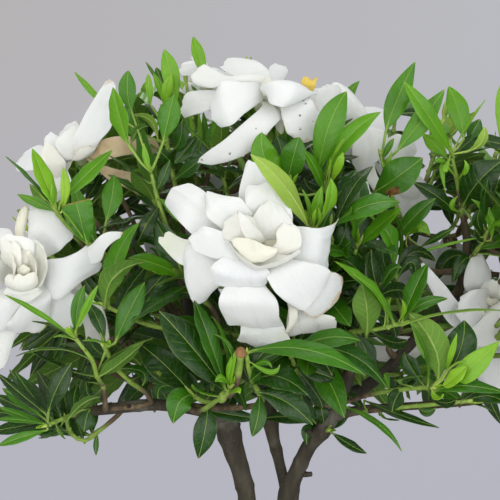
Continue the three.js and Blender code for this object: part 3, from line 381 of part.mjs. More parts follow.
    [-29.3,-10.4,250,-26,-22.7,238.9,-27.6,-39.9,226.7,10.8,-0.84,-0.13,0.53],
    [-43.4,-39.4,273.3,-54.4,-53.8,267.3,-65.9,-69.8,260.1,10.1,0,-0.27,0.96],
    [4,-52.2,263.7,-13.9,-63.4,272.4,-30.6,-73.8,275.7,11.6,0.4,-0.65,0.64],
    [4.8,-57.1,254.5,-9.8,-68.7,249,-21.6,-80.9,242.8,9.1,0.34,-0.62,0.71],
    [7.1,-57.6,249.7,-6.1,-67.7,244.7,-17.1,-81.9,237.8,10.4,0.52,-0.56,0.64],
    [-2.2,-7.3,304.6,-16.1,-6.7,306,-31.2,-12.6,311,10,0.25,-0.1,0.96],
    [-39.8,-2.6,266.4,-40.5,-12.6,268.7,-47.5,-29,268,11.7,-0.8,0.06,0.59],
    [7.9,-58.2,247.3,8.2,-53.6,260.1,9.1,-61.3,274,11.4,0.03,-1,0.06],
    [22.9,-39.2,291,12.4,-40.3,296.9,-2.4,-45.4,305.2,10.7,0.39,-0.52,0.76],
    [23.8,-54.4,287.2,27.6,-51.5,303.7,29.4,-51.7,320.4,10.1,0.18,-0.91,0.39],
    [-28.2,-24.6,230.7,-21.4,-35.2,238.5,-18.2,-53.5,246.3,9.9,-0.67,-0.64,-0.37],
    [-30.4,-18.5,318.5,-33.9,-33.1,320.9,-39.7,-49.7,320.5,9.4,-0.08,0.14,0.99],
    [-4.5,-22.2,323,-17.4,-24.1,336,-32.1,-30.4,350.1,9.4,0.42,-0.45,0.79],
    [15.4,1.8,241.7,2.5,-6.4,235.3,-7.4,-22.2,224.1,12.2,0.91,-0.33,-0.25],
    [-50.3,-18.2,301.4,-71.9,-10.6,293.8,-91.1,-6.4,287.3,12,-0.21,-0.36,0.91],
    [-45.1,6.4,238.7,-55.8,-6,240.8,-71.2,-21.5,240.2,9.1,-0.89,0.45,-0.1],
    [-3.8,26.5,242.2,3.8,32.8,227.4,10.3,40.6,208.4,10.6,-0.77,0.6,0.21],
  ]],
  ["leaves_back_1", "leaves", [[3,[[-77.7,45.2,286.7,1.1],[-58.8,44.1,306.3,1.1],[-68.1,53.8,342.4,0.7]]],[3,[[-60.3,45.7,312.2,1.1],[-43.7,54.9,353.8,0.7]]],[3,[[-67.9,44.6,296.9,1.1],[-67.8,68.3,321.9,0.7]]],[3,[[-67.9,50.6,303.2,1.1],[-48.5,77.3,335.3,0.7]]],[3,[[-54.4,49,326.9,1.1],[-46.5,31,359.2,0.7]]],[3,[[-58.8,44.1,306.3,1.1],[-72.9,27,348.5,0.7]]],[3,[[-73,44.9,291.6,1.1],[-87.3,43,330.3,0.7]]],[3,[[-58.2,64,319.3,1.1],[-25,75,346.9,0.7]]],[3,[[-77.7,45.2,286.7,1.1],[-90.8,58.7,313.1,0.7]]],[3,[[-61.5,59.4,313.8,1.1],[-40.7,89.8,316.1,0.7]]],[3,[[-66.4,44.5,298.5,1.1],[-66.1,85.8,306.9,0.7]]],[3,[[-53.4,46.8,330.9,1.1],[-17.3,41.1,364.1,0.7]]],[3,[[-70.7,44.8,294,1.1],[-101.6,26.8,319.3,0.7]]],[3,[[-37.9,44.4,345.1,1.1],[-8.8,-4,353,0.7]]]], [
    [-64.6,50.1,328.6,-76.2,63.5,328,-88.5,77.2,324.1,11.2,-0.04,-0.01,1],
    [-44.1,45.3,339.4,-43.2,70,338.7,-45.8,89.5,338,11.8,-0.13,-0.08,0.99],
    [-66.3,59.2,301.5,-55.1,74,298,-50.5,89.4,294,10,-0.34,0.24,0.91],
    [-50.8,74.1,331.5,-57.1,87.3,331.1,-67.5,100.6,331,9.3,0.14,-0.03,0.99],
    [-48.8,36.4,349.6,-59.9,40.1,345.1,-76.1,51,344.9,12.1,0.02,-0.01,1],
    [-68.9,31.9,336.4,-76.8,43.9,334.8,-85.4,62.7,335.2,11.5,-0.18,-0.12,0.98],
    [-81.5,43.8,314.7,-77.4,28.9,330.3,-74.6,18.8,343.9,12,-0.5,0.47,0.73],
    [-32,72.7,341.1,-31.2,87.3,331.7,-39.1,105.4,330.9,11.9,0.04,0.02,1],
    [-87.6,55.4,306.6,-100.2,67,303.1,-114.1,78.7,300.4,11.3,-0.12,0.06,0.99],
    [-44.4,84.3,315.7,-28,72.3,310.2,-19.4,65.1,317.2,9.3,-0.2,0.49,0.85],
    [-66.1,81.3,306,-79.5,90.5,301.1,-96.5,98.5,300.3,11.3,0.06,0.24,0.97],
    [-29.5,30.4,347.4,-15,18.9,349.1,-16.8,-0.8,354.6,10.3,-0.08,0.18,0.98],
    [-94.3,31.1,313.3,-98.5,44.8,308.3,-102.7,64.8,308,12,-0.44,-0.09,0.9],
    [-10.1,-1.9,352.7,-7.2,14.6,346.1,-6.6,32.2,354.7,11.1,-0.06,-0.35,0.93],
  ]],
  ["leaves_back_2", "leaves", [[3,[[-16.5,62.8,253,1.4],[0.2,77.8,253.3,1.2],[0.8,107.7,268.1,0.7]]],[3,[[0.2,77.8,253.3,1.1],[17.2,111,250.5,0.7]]],[3,[[1.9,81,253,1.1],[-8.4,102.4,241.5,0.7]]],[3,[[5.8,88.8,252.4,1.1],[27.3,109.8,277.9,0.7]]],[3,[[-4.2,73.8,253.2,1.1],[-25.2,106.8,257.6,0.7]]],[3,[[14.3,97.1,262.4,1.1],[10.8,109.5,294.3,0.7]]],[3,[[0.5,90.6,259.6,1.1],[-16.7,115.3,284.6,0.7]]],[3,[[-7,71.3,253.2,1.1],[6.5,92.2,225.3,0.7]]],[3,[[1.4,84.3,235.9,1.1],[30.2,97.3,235.1,0.7]]],[3,[[15.6,90.7,235.5,1.1],[42.9,105.2,261.5,0.7]]],[3,[[-1.8,79.3,242.5,1.1],[18.9,55.9,279.9,0.7]]],[3,[[-2.2,78.8,243.2,1.1],[-31,94.5,230.3,0.7]]],[3,[[-14.2,89.4,255.3,1.1],[-29.9,101.7,300.1,0.7]]],[3,[[-14.9,85.7,237.5,1.1],[-43.8,109.2,274,0.7]]],[3,[[10.1,65.8,264,1.1],[0.7,46.7,252.9,0.7]]],[3,[[29.2,97.9,248.5,1.1],[53.3,104,288.3,0.7]]]], [
    [0.6,97,262.8,2.5,109.5,246.7,4,123.1,228.3,11,-0.04,0.62,0.78],
    [19,92.5,238.8,4,98.4,229.5,-7.2,106.9,213.2,11.1,0.18,0.82,0.54],
    [-11.2,83.7,239.2,-13.1,97.6,221.1,-19.1,107.7,201.3,11.3,0.04,0.76,0.65],
    [23.8,106.4,273.8,15.2,118.2,273.8,4.2,133.7,274.2,9.7,0.56,0.44,0.71],
    [-24.6,93.6,249.8,-25.5,103.5,236.1,-28.9,114.7,216.5,10,-0.12,0.67,0.73],
    [12,105.2,283.3,26.5,112.1,280.2,42.8,125.1,274.3,12.2,-0.21,0.52,0.83],
    [-13.6,110.8,280.1,-30.6,118.2,286.7,-45.5,128.3,290.7,9.9,0.5,0.66,0.56],
    [4,88.4,230.4,-8.3,81.6,215,-22.7,86.2,200.6,11,0.23,0.94,0.24],
    [24.4,94.7,235.3,18.2,93,219.9,8.9,101.2,202.9,10.8,0.36,0.82,0.45],
    [34,99.1,256.4,32.5,104.8,242.2,26.2,118.7,226.3,10.6,0.35,0.62,0.71],
    [17.7,57.2,277.8,11.3,68.7,273.7,5.2,86.5,273.1,10,0.41,0.19,0.89],
    [-28,92.9,231.6,-33.4,96.7,213,-38.1,106.7,193,11.8,-0.14,0.71,0.69],
    [-26.1,98.7,289.1,-17.3,94.9,303.8,-7.1,97.5,317.3,11,-0.43,0.69,0.58],
    [-36.5,103.3,264.8,-29.6,112.3,256.6,-19.8,128.1,247.3,10.6,-0.39,0.57,0.73],
    [0.7,46.7,252.9,-7.6,44.5,264.4,-17,54.4,277.4,11.1,0.16,0.99,-0],
    [45,101.9,274.5,38.2,102.7,264.8,28.8,116.9,251.5,10.3,0.29,0.59,0.76],
  ]],
  ["leaves_back_3", "leaves", [[3,[[50.7,64,292.8,1.1],[81.5,41.2,289.3,1.1],[102.4,53.7,320.1,0.7]]],[3,[[78.6,43.4,289.6,1.1],[109.6,42.2,301.1,0.7]]],[3,[[78.6,43.4,289.6,1.1],[91.2,72.9,308.9,0.7]]],[3,[[81.5,41.2,289.3,1.1],[97.8,30.7,327.5,0.7]]],[3,[[67.8,51.3,290.9,1.1],[75.6,52.4,332.7,0.7]]],[3,[[81.5,41.2,289.3,1.1],[108.1,66.7,292.5,0.7]]],[3,[[54.9,60.9,292.3,1.1],[73.7,76,326.4,0.7]]],[3,[[92.1,42.9,294.6,1.1],[120.4,22.6,313.8,0.7]]],[3,[[69.2,51.5,298.6,1.1],[73.2,33.3,342.5,0.7]]],[3,[[81.5,41.2,289.3,1.1],[114.6,53.4,275.6,0.7]]]], [
    [94.9,49.2,309.1,114.5,50.1,304.3,133.3,51.1,298.8,9.8,0.13,0.27,0.95],
    [103.6,42.4,298.9,117.9,50.6,292,131.8,61.6,288.4,9.4,0.2,-0.06,0.98],
    [87.2,63.4,302.7,99.7,58.9,305.2,114.6,51.4,310.9,10.8,0.14,0.65,0.75],
    [93,33.8,316.2,83.5,37.4,327.4,74.7,46.4,340.9,8.8,0.62,-0.04,0.78],
    [74.1,52.2,324.6,66.9,64.3,335.1,61.3,78.8,345.8,12.2,0.57,-0.13,0.81],
    [101,59.8,291.6,100.7,80.8,282.3,101.9,101.8,280,12.6,0.59,0.01,0.8],
    [70.2,73.2,320,67,89.7,325.9,63.1,107.3,332.4,11.2,0.5,-0.09,0.86],
    [113.1,27.9,308.8,109.3,34.3,316.9,108,48.9,330.2,10.5,0.71,-0.09,0.7],
    [72.1,38.4,330.1,83.1,44.3,326.5,97.7,57.8,322.8,11.5,0.08,-0.03,1],
    [108.6,51.2,278.1,116.7,55.3,255.4,129.6,63.5,239.4,10.6,0.44,0.24,0.86],
  ]],
  ["leaves_back_4", "leaves", [[3,[[32,22.9,242.8,1.5],[57.7,42.2,235.2,1.2],[85.7,72.9,238.8,0.7]]],[3,[[57.7,42.2,235.2,1.1],[69.3,76,258,0.7]]],[3,[[63.1,48.1,235.9,1.1],[63.6,82,228,0.7]]],[3,[[60.4,45.2,235.5,1.1],[88.5,58.6,219.8,0.7]]],[3,[[68.7,54.3,236.6,1.1],[101.4,56.7,250,0.7]]],[3,[[35.3,25.4,241.8,1.1],[48.1,49,256.3,0.7]]],[3,[[75.6,54.8,239.4,1.1],[96.9,70.4,265.8,0.7]]],[3,[[66.2,48,232.3,1.1],[103.7,43.4,232.5,0.7]]],[3,[[41.9,30.3,239.9,1.1],[68.8,24.6,252,0.7]]],[3,[[63.3,58.7,233.4,1.1],[56.4,97.1,244.5,0.7]]],[3,[[32,22.9,242.8,1.1],[28.6,48.9,233.3,0.7]]]], [
    [76.5,62.8,237.6,71.6,72.7,222.8,67.7,84,205.1,10.6,0.7,0.55,0.45],
    [64.8,62.8,249.1,49.8,73.6,255,40.1,85.6,257.6,9.7,0.65,0.63,0.42],
    [63.6,82,228,62.4,99.9,223.3,60.8,121.1,213.7,8.3,1,-0.08,-0.02],
    [80.1,54.6,224.5,71.3,68.6,217.3,64.8,87.8,208.5,12.7,0.92,0.38,0.05],
    [97,56.4,248.2,110,68.6,237.4,128,86.2,225.4,10.1,0.64,0.12,0.76],
    [46.2,45.5,254.1,51.5,58.3,242.4,59.4,71.3,230,9.3,0.51,0.23,0.83],
    [92.8,67.4,260.7,106.9,64.6,258,122.5,64.2,252.7,9.6,0.18,0.7,0.69],
    [88.7,45.2,232.4,95.7,29.3,243.6,105.7,24.5,251.6,10.7,0.85,0.53,0.06],
    [60.9,26.3,248.4,67.4,7.2,253.9,76.1,-9.2,256.5,11.8,0.84,0.36,0.4],
    [57.4,91.7,242.9,62.6,100,230.3,72,110.4,216.7,10.5,0.06,0.62,0.78],
    [28.9,46.5,234.2,38.4,47.3,220.4,51.7,50.6,202.9,9.9,0.12,0.83,0.55],
  ]],
  ["leaves_back_5", "leaves", [[3,[[62.9,-4,251.1,1.6],[91.4,6.8,245.1,1.2],[124.7,4,252.8,0.7]]],[3,[[84.8,4.3,246.5,1.1],[118.5,-17.5,263.6,0.7]]],[3,[[91.4,6.8,245.1,1.1],[116.1,25.1,243,0.7]]],[3,[[99.7,6.1,247,1.1],[132.2,18.6,269.1,0.7]]],[3,[[85.6,4.6,246.3,1.1],[115.4,-8.7,236.1,0.7]]],[3,[[102,-6.9,255.3,1.1],[125.6,-4.7,279.5,0.7]]],[3,[[82,3.2,247.1,1.1],[103.5,11.4,228.1,0.7]]],[3,[[96.4,10.5,244.7,1.1],[117.8,39.4,259.4,0.7]]],[3,[[86.1,4.8,243.5,1.1],[114.9,-30.7,246.3,0.7]]],[3,[[105,-6.6,258.3,1.1],[120.1,9.1,295.1,0.7]]],[3,[[108.2,9.4,252.8,1.1],[129.8,33.2,286.3,0.7]]],[3,[[62.9,-4,251.1,1.2],[53.4,-13.1,231.3,0.7]]]], [
    [119.4,4.4,251.6,129.9,-8.6,253.1,142,-21.4,255.1,10.3,0.74,0.59,0.32],
    [113,-13.9,260.8,122.5,-30.5,255.2,134.6,-45.7,248.4,12.1,0.62,0.29,0.73],
    [109.1,19.9,243.6,107.2,41.2,243,109.3,60.5,241.2,11.8,0.98,-0.05,0.21],
    [126.2,16.3,265,136.4,35,261.8,149.9,53.5,252.6,10.3,0.71,-0.41,0.57],
    [100.4,-2,241.2,101.3,-5.8,251.4,108.9,-4.5,268.9,11.4,0.99,-0.14,0.08],
    [120.8,-5.1,274.6,132.9,-14,268.6,147,-24.1,259.4,10.8,0.45,0.2,0.87],
    [94.7,8,235.9,84.2,25.7,220.2,83.2,41.5,205.9,11.5,1,0.04,0.08],
    [110.9,30.1,254.7,112.9,38.5,237.6,121.4,43.1,221.8,10.7,0.7,0.26,0.67],
    [107.4,-21.5,245.6,102.2,-43,251,103.5,-61.6,257,12.3,0.97,-0.12,0.21],
    [117.8,6.7,289.5,124.5,23.3,291.5,134.9,37.6,290.3,11,0.48,-0.38,0.79],
    [123.2,25.9,276.1,135.2,23.8,265.6,153,18.1,253.4,10.7,0.47,0.29,0.84],
    [53.4,-13.1,231.3,64.2,-10,235.6,79.2,-11.6,238.6,10.8,0.31,-0.93,-0.17],
  ]],
  ["leaves_back_6", "leaves", [[3,[[50.7,64,292.8,1.1],[20.5,57,309,1.1],[20.8,70,349,0.7]]],[3,[[30.8,59.4,303.5,1.1],[19.8,50.4,310,0.7]]],[3,[[20.5,57,309,1.1],[4.5,86.3,339.5,0.7]]],[3,[[26.3,55.7,306.2,1.1],[18.5,94.9,319.9,0.7]]],[3,[[34.8,60.3,301.3,1.1],[39.3,87.4,333.1,0.7]]],[3,[[20.3,50.8,309.7,1.1],[23,40.8,346.9,0.7]]],[3,[[19.8,50.4,310,1.1],[-3.7,56.9,351,0.7]]],[3,[[38.9,61.3,299.1,1.1],[50.3,67.6,341.5,0.7]]],[3,[[22.4,52.5,308.5,1.1],[3.6,40.7,309.6,0.7]]],[3,[[23.8,68.2,310.6,1.1],[-16.9,89.4,326.1,0.7]]],[3,[[29,59,304.5,1.1],[35.1,101.3,304.1,0.7]]],[3,[[50.7,64,292.8,1.1],[55.8,89.2,314.1,0.7]]],[3,[[12.4,74.1,314.9,1.1],[-4.9,103.2,310.7,0.7]]],[3,[[3.6,40.7,309.6,1.1],[-11.9,43.9,301.2,0.7]]],[3,[[41.5,62.8,308.9,1.1],[54,48.6,354.9,0.7]]],[3,[[-3.6,42.2,305.7,1.1],[7,8,329.7,0.7]]]], [
    [20.6,62.9,327.1,32.9,73.2,325.9,46.4,84.1,324.8,9.8,-0.08,0.19,0.98],
    [17.5,49.4,308.8,2.1,50.8,308.6,-13.9,55.4,317.6,12.7,0.42,0.26,0.87],
    [1.8,79.6,319,-0.2,67.6,339.5,-7.1,55.2,352.5,12.4,0,0.67,0.74],
    [32.1,80.3,304.3,4.2,95.4,294.8,-8.5,109.6,291,11.9,0.16,0.38,0.91],
    [37.8,78.2,322.3,50.6,95.1,318.8,64,109.7,315.4,11.6,-0.12,0.16,0.98],
    [22.1,44.1,334.6,40.5,44.7,336,59.2,51.4,337.2,13,-0.15,0.11,0.98],
    [3.9,54.8,337.7,11.8,64.8,336.1,26.8,77.6,338.5,12.4,-0.19,0.11,0.98],
    [48,66.3,333,55.4,81.6,335.8,62.3,99,338.6,11.7,0.01,-0.13,0.99],
    [1.3,41.2,308.4,1.7,27.8,316.9,-0.3,17,331.2,9.8,0.05,0.61,0.79],
    [-6.6,84,322.2,-0.6,90.5,301.4,13.6,103,295.5,11.7,-0.1,0.42,0.9],
    [33,86.5,304.2,21.5,97.9,277.8,11.7,110.6,267.4,10.8,0.18,0.53,0.83],
    [52.7,73.7,301,39.5,91.9,289.9,28.7,106.7,283.8,12.4,0.23,0.46,0.86],
    [-3.4,100.7,311.1,-17.7,108,313.2,-31,118.3,317.8,11.3,0.56,0.42,0.71],
    [-11.9,43.9,301.2,-21,27.7,298.5,-32.4,16.3,306.6,12.3,-0.03,0.48,0.87],
    [50.2,52.9,341.1,55.5,64.4,338.5,60.2,83.9,336.3,12.3,0.12,-0.02,0.99],
    [5.2,13.8,325.6,-2.4,21.3,331.7,-12.9,32,345.7,13.2,0.15,-0.4,0.9],
  ]],
  ["leaves_back_7", "leaves", [[3,[[73.1,-4,262.8,1.6],[80.8,-31.8,269.3,1.2],[110.2,-47.8,300.6,0.7]]],[3,[[86.9,-35.1,275.8,1.1],[118.5,-26.3,289.4,0.7]]],[3,[[88.8,-34.6,276.6,1.1],[102.3,-29.7,314.8,0.7]]],[3,[[74.3,-8.3,263.8,1.2],[117.3,-41.1,273.2,0.7]]],[3,[[80.8,-31.8,269.3,1.1],[104.4,-61.8,283.7,0.7]]],[3,[[98.2,-26.6,269,1.1],[123.9,-13.2,307.4,0.7]]],[3,[[87.4,-18.3,266.7,1.1],[100.9,-49,257.6,0.7]]],[3,[[93.5,-32.9,289.8,1.1],[100.5,-16.6,334.9,0.7]]],[3,[[107.1,-21.9,282.4,1.1],[108.3,1.4,321.7,0.7]]],[3,[[96,-37.8,260.9,1.1],[92.4,-72.2,266.7,0.7]]]], [
    [100,-42.3,289.8,118.3,-48.6,280.2,136.1,-56.1,272.2,12.4,0.23,-0.24,0.94],
    [107,-22,282.2,126.8,-23.7,269,144.7,-24.8,255.6,11.4,0.41,-0.24,0.88],
    [94.7,-30.1,297.5,91,-43.3,293.6,91.2,-62.6,287.9,10.9,0.45,-0.1,0.89],
    [106.8,-33.1,270.9,103,-48.6,272.6,100.7,-63.1,280.3,9,0.86,-0.14,0.48],
    [97.9,-53.5,279.7,116.8,-52.4,273.7,137.1,-50.3,269.7,11.6,0.15,-0.63,0.76],
    [116.4,-17.1,296.2,122.2,-26.5,294.7,130.4,-42,293.4,10.2,0.45,0.2,0.87],
    [99.4,-45.6,258.6,111,-46,246.6,126.7,-47.4,234.8,9,0.25,-0.6,0.76],
    [97.3,-24,314.6,90.3,3.7,317.9,90.6,20.6,324.8,10,0.36,-0.21,0.91],
    [108,-4.9,311,119.2,3.1,302.6,138.8,4.3,295.4,10.3,0.18,-0.05,0.98],
    [93.2,-64.8,265.5,75.5,-78.2,269.1,65.9,-93,277.1,12.6,0.73,-0.5,0.47],
  ]],
  ["leaves_back_8", "leaves", [[3,[[-53.8,29,254,1.4],[-56.5,47.3,244.7,1.2],[-79.3,73.8,254.7,0.7]]],[3,[[-66,58.3,248.9,1.1],[-98.8,69.8,270,0.7]]],[3,[[-68.3,59.1,250.4,1.1],[-97.3,58.5,242.8,0.7]]],[3,[[-80.2,58.9,247.3,1.1],[-111.6,49.1,259.4,0.7]]],[3,[[-62.9,54.7,247.5,1.1],[-77.2,84,280.2,0.7]]],[3,[[-77.9,62.5,256.5,1.1],[-108.3,57.7,286.9,0.7]]],[3,[[-77.7,58.9,247.9,1.1],[-96,35.1,234.8,0.7]]],[3,[[-56.5,47.3,244.7,1.1],[-64.9,79.5,237.9,0.7]]],[3,[[-58.3,54.4,243.2,1.1],[-81.2,64.7,224.7,0.7]]],[3,[[-89.6,43.4,239.4,1.1],[-113.1,34.5,276.4,0.7]]],[3,[[-69.9,69.1,263.5,1.1],[-91.6,76.3,297.6,0.7]]],[3,[[-60.6,63,241.4,1.1],[-66.8,95.8,263.5,0.7]]],[3,[[-92.7,39.4,237.2,1.1],[-110.2,25.2,250.3,0.7]]],[3,[[-92.2,60.2,270.8,1.1],[-111.4,43.1,304.1,0.7]]],[3,[[-60.7,63.3,241.3,1.1],[-50.8,100.6,246.1,0.7]]],[3,[[-68.6,66.4,260.6,1.1],[-55.9,97.4,290.5,0.7]]],[3,[[-57.7,51.8,243.7,1.1],[-50.8,21.2,232.9,0.7]]],[3,[[-53.8,29,254,1.1],[-69.5,1.7,262.3,0.7]]],[3,[[-54.1,35.8,238.1,1.1],[-45.7,76.6,221.8,0.7]]],[3,[[-104.8,37.6,263.4,1.1],[-120.2,21.4,293.3,0.7]]]], [
    [-75.1,68.9,252.9,-80.7,80,238.9,-87.5,92.2,224.7,10.4,-0.47,0.38,0.8],
    [-88.1,66,263.1,-87.1,80.9,256.4,-85.6,100.9,245.8,12.7,-0.69,0.23,0.69],
    [-85.7,48.5,242.2,-88.4,70.2,231.5,-89.2,88.9,222.3,10.3,-0.85,0.14,0.5],
    [-98.6,40,253.6,-115,32.7,247,-130.8,22.6,236.6,12.1,-0.57,0.57,0.59],
    [-74.7,78.9,274.5,-87.5,85.9,266,-103.5,93.6,252.7,9.8,-0.09,0.41,0.91],
    [-103.6,58.4,282.2,-121.4,52.5,276.8,-140.6,51.2,272.2,11.6,-0.21,0.47,0.86],
    [-95.5,35.7,235.2,-94.5,44.2,219.9,-99.3,55.7,202.4,10.3,-0.84,0.05,0.53],
    [-63.6,74.5,239,-66.4,82.6,221.8,-72.4,92.2,204.8,10.7,-0.4,0.55,0.73],
    [-75.1,61.9,229.7,-85.3,48.5,216.1,-99.2,41.7,203.9,10.7,-0.49,0.84,0.23],
    [-107.6,34.7,268.8,-119.2,31.1,257.7,-135.7,31.2,246.1,10,-0.45,0.26,0.86],
    [-84.4,73.9,286.2,-102.3,63.7,286.6,-120.6,58.9,283.8,10.8,-0.2,0.57,0.8],
    [-65.7,90.2,259.7,-61.9,107.2,256.4,-60.9,125.5,252.3,9.6,-0.64,0.16,0.75],
    [-103.7,30.4,245.5,-102.3,33.7,232.1,-109.4,45.6,215.1,11.8,-0.8,-0.01,0.6],
    [-104.8,49,292.6,-115.1,37.1,280.2,-130.4,36.3,270,10.7,-0.42,0.25,0.88],
    [-52.1,95.9,245.5,-53.7,106.9,230,-59.8,120.6,212.5,11.3,-0.21,0.53,0.82],
    [-55.9,97.4,290.5,-64.4,108.2,292.3,-73.5,120.3,291.6,9,0.28,0.11,0.95],
    [-50.8,21.2,232.9,-57.9,9.9,237.3,-71.6,-1.3,241.4,9.6,-0.81,0.57,-0.13],
    [-66.2,7.4,260.6,-73.3,-5.6,244.5,-86.4,-15.5,230.9,10.8,-0.56,-0.02,0.83],
    [-46.5,72.6,223.4,-57.4,78.4,228.6,-72.7,87.4,234,9.9,0.04,0.92,-0.39],
    [-114.3,27.6,281.9,-118,28.3,266.9,-129.1,37.6,253.3,11.4,-0.62,0.09,0.78],
  ]],
];

// ---------- small vector helpers ----------
const V3 = (x, y, z) => new THREE.Vector3(x, y, z);
const add = (a, b, s = 1) => a.clone().addScaledVector(b, s);

// ---------- solids ----------
// A closed triangle mesh becomes a solid; its shared corners are merged first.
function toSolid(points, faces) {
  const position = new Float32Array(faces.length * 9);
  let k = 0;
  for (const f of faces) for (const i of f) { const p = points[i]; position[k++] = p.x; position[k++] = p.y; position[k++] = p.z; }
  const geometry = new THREE.BufferGeometry().setAttribute("position", new THREE.BufferAttribute(position, 3));
  const merged = mergeVertices(geometry, 1e-4);
  const build = (flip) => {
    const triVerts = new Uint32Array(merged.index.array);
    if (flip) for (let i = 0; i < triVerts.length; i += 3) [triVerts[i + 1], triVerts[i + 2]] = [triVerts[i + 2], triVerts[i + 1]];
    return new wasm.Manifold(new wasm.Mesh({ numProp: 3, vertProperties: merged.attributes.position.array, triVerts }));
  };
  let solid = build(false);
  if (solid.volume() < 0) solid = build(true);
  return solid;
}

function fromGeometry(geometry) {
  const g = geometry.index ? geometry.toNonIndexed() : geometry.clone();
  g.deleteAttribute("normal");
  g.deleteAttribute("uv");
  const merged = mergeVertices(g, 1e-3);
  return new wasm.Manifold(new wasm.Mesh({ numProp: 3, vertProperties: merged.attributes.position.array, triVerts: new Uint32Array(merged.index.array) }));
}

// A round stem along a path of [x, y, z, radius] stations, closed at both ends.
function stem(path, sides, grow = 0) {
  const n = path.length, P = path.map((p) => V3(p[0], p[1], p[2]));
  const T = P.map((p, i) => P[Math.min(n - 1, i + 1)].clone().sub(P[Math.max(0, i - 1)]).normalize());
  const up = Math.abs(T[0].z) < 0.9 ? V3(0, 0, 1) : V3(0, 1, 0);
  let N = add(up, T[0], -up.dot(T[0])).normalize();
  const points = [], faces = [];
  for (let i = 0; i < n; i++) {
    if (i) N = add(N, T[i], -N.dot(T[i])).normalize();
    const B = T[i].clone().cross(N), r = path[i][3] + grow;
    const c = i === 0 ? add(P[0], T[0], -grow) : i === n - 1 ? add(P[i], T[i], grow) : P[i];
    for (let k = 0; k < sides; k++) {
      const a = (2 * Math.PI * k) / sides;
      points.push(add(add(c, N, Math.cos(a) * r), B, Math.sin(a) * r));
    }
  }
  for (let i = 0; i < n - 1; i++) for (let k = 0; k < sides; k++) {
    const a = i * sides + k, b = i * sides + ((k + 1) % sides);
    faces.push([a, b, b + sides], [a, b + sides, a + sides]);
  }
  const o = (n - 1) * sides;
  for (let k = 1; k < sides - 1; k++) faces.push([0, k + 1, k], [o, o + k, o + k + 1]);
  return toSolid(points, faces);
}

// A leaf blade: [base, middle, tip, width, upper-side normal]. It is a keeled lance: a small three-cornered
// stalk section inside the stem, the widest section at the middle point, and the tip. The two edges stand
// a little above the midrib, as a folded blade's do.
function leaf(row, grow = 0) {
  const B = V3(row[0], row[1], row[2]), M = V3(row[3], row[4], row[5]), T = V3(row[6], row[7], row[8]);
  const w = row[9] / 2, up = V3(row[10], row[11], row[12]);
  const control = M.clone().multiplyScalar(2).addScaledVector(B, -0.5).addScaledVector(T, -0.5);
  const section = (c, d, side, lift, keel, back) => {
    const n = add(up, d, -up.dot(d)).normalize(), s = d.clone().cross(n), at = add(c, d, back);
    return [add(add(at, s, -side), n, lift), add(add(at, s, side), n, lift), add(at, n, -keel)];
  };
  const start = control.clone().sub(B).normalize(), middle = T.clone().sub(B).normalize(), end = T.clone().sub(control).normalize();
  const half = 2 * LEAF_HALF_THICKNESS;
  const points = [
    ...section(B, start, STALK_HALF + grow, STALK_HALF * 0.6 + grow, STALK_HALF + grow, -grow),
    ...section(M, middle, w + 1.6 * grow, 0.12 * w + grow, half + grow, 0),
    add(T, end, 1.5 * grow),
  ];
  const faces = [[0, 1, 2], [6, 4, 3], [6, 5, 4], [6, 3, 5]];
  for (let j = 0; j < 3; j++) {
    const a = j, b = (j + 1) % 3;
    faces.push([a, b + 3, b], [a, a + 3, b + 3]);
  }
  return toSolid(points, faces);
}

// A petal: rows of three points from the throat to the free edge. Both skins share the outline,
// and the inner points stand PETAL_HALF_THICKNESS off the middle surface.
function petal(rows, grow = 0) {
  const nr = rows.length, R = rows.map((r) => r.map((p) => V3(p[0], p[1], p[2])));
  const rim = R.map((r) => r.map((p) => p.clone()));
  if (grow) {
    for (let i = 0; i < nr; i++) {
      const a = R[i][0].clone().sub(R[i][2]).normalize();
      rim[i][0].addScaledVector(a, grow);
      rim[i][2].addScaledVector(a, -grow);
    }
    for (let j = 0; j < 3; j++) rim[nr - 1][j].addScaledVector(R[nr - 1][j].clone().sub(R[nr - 2][j]).normalize(), grow);
  }
  const points = [], faces = [], top = [], low = [];
  for (let i = 0; i < nr; i++) {
    top.push([]); low.push([]);
    for (let j = 0; j < 3; j++) {
      const inner = j === 1 && i < nr - 1;
      if (!inner) { points.push(rim[i][j]); top[i].push(points.length - 1); low[i].push(points.length - 1); continue; }
      const du = R[Math.min(nr - 1, i + 1)][1].clone().sub(R[Math.max(0, i - 1)][1]);
      const n = du.cross(R[i][2].clone().sub(R[i][0])).normalize(), h = PETAL_HALF_THICKNESS + grow;
      points.push(add(rim[i][1], n, h), add(rim[i][1], n, -h));
      top[i].push(points.length - 2); low[i].push(points.length - 1);
    }
  }
  for (let i = 0; i < nr - 1; i++) for (let j = 0; j < 2; j++) {
    const q = (g) => [g[i][j], g[i][j + 1], g[i + 1][j + 1], g[i + 1][j]];
    // the diagonal runs from the outline to the middle line, so that no cell is flat
    const cell = (g, flip) => {
      const [a, b, c, d] = q(g);
      const tris = j === 0 ? [[a, b, d], [b, c, d]] : [[a, b, c], [a, c, d]];
      for (const t of tris) faces.push(flip ? [t[0], t[2], t[1]] : t);
    };
    cell(top, false);
    cell(low, true);
  }
  // the narrow end at the throat
  faces.push([top[0][0], low[0][1], top[0][1]], [top[0][1], low[0][1], top[0][2]]);
  return toSolid(points, faces);
}

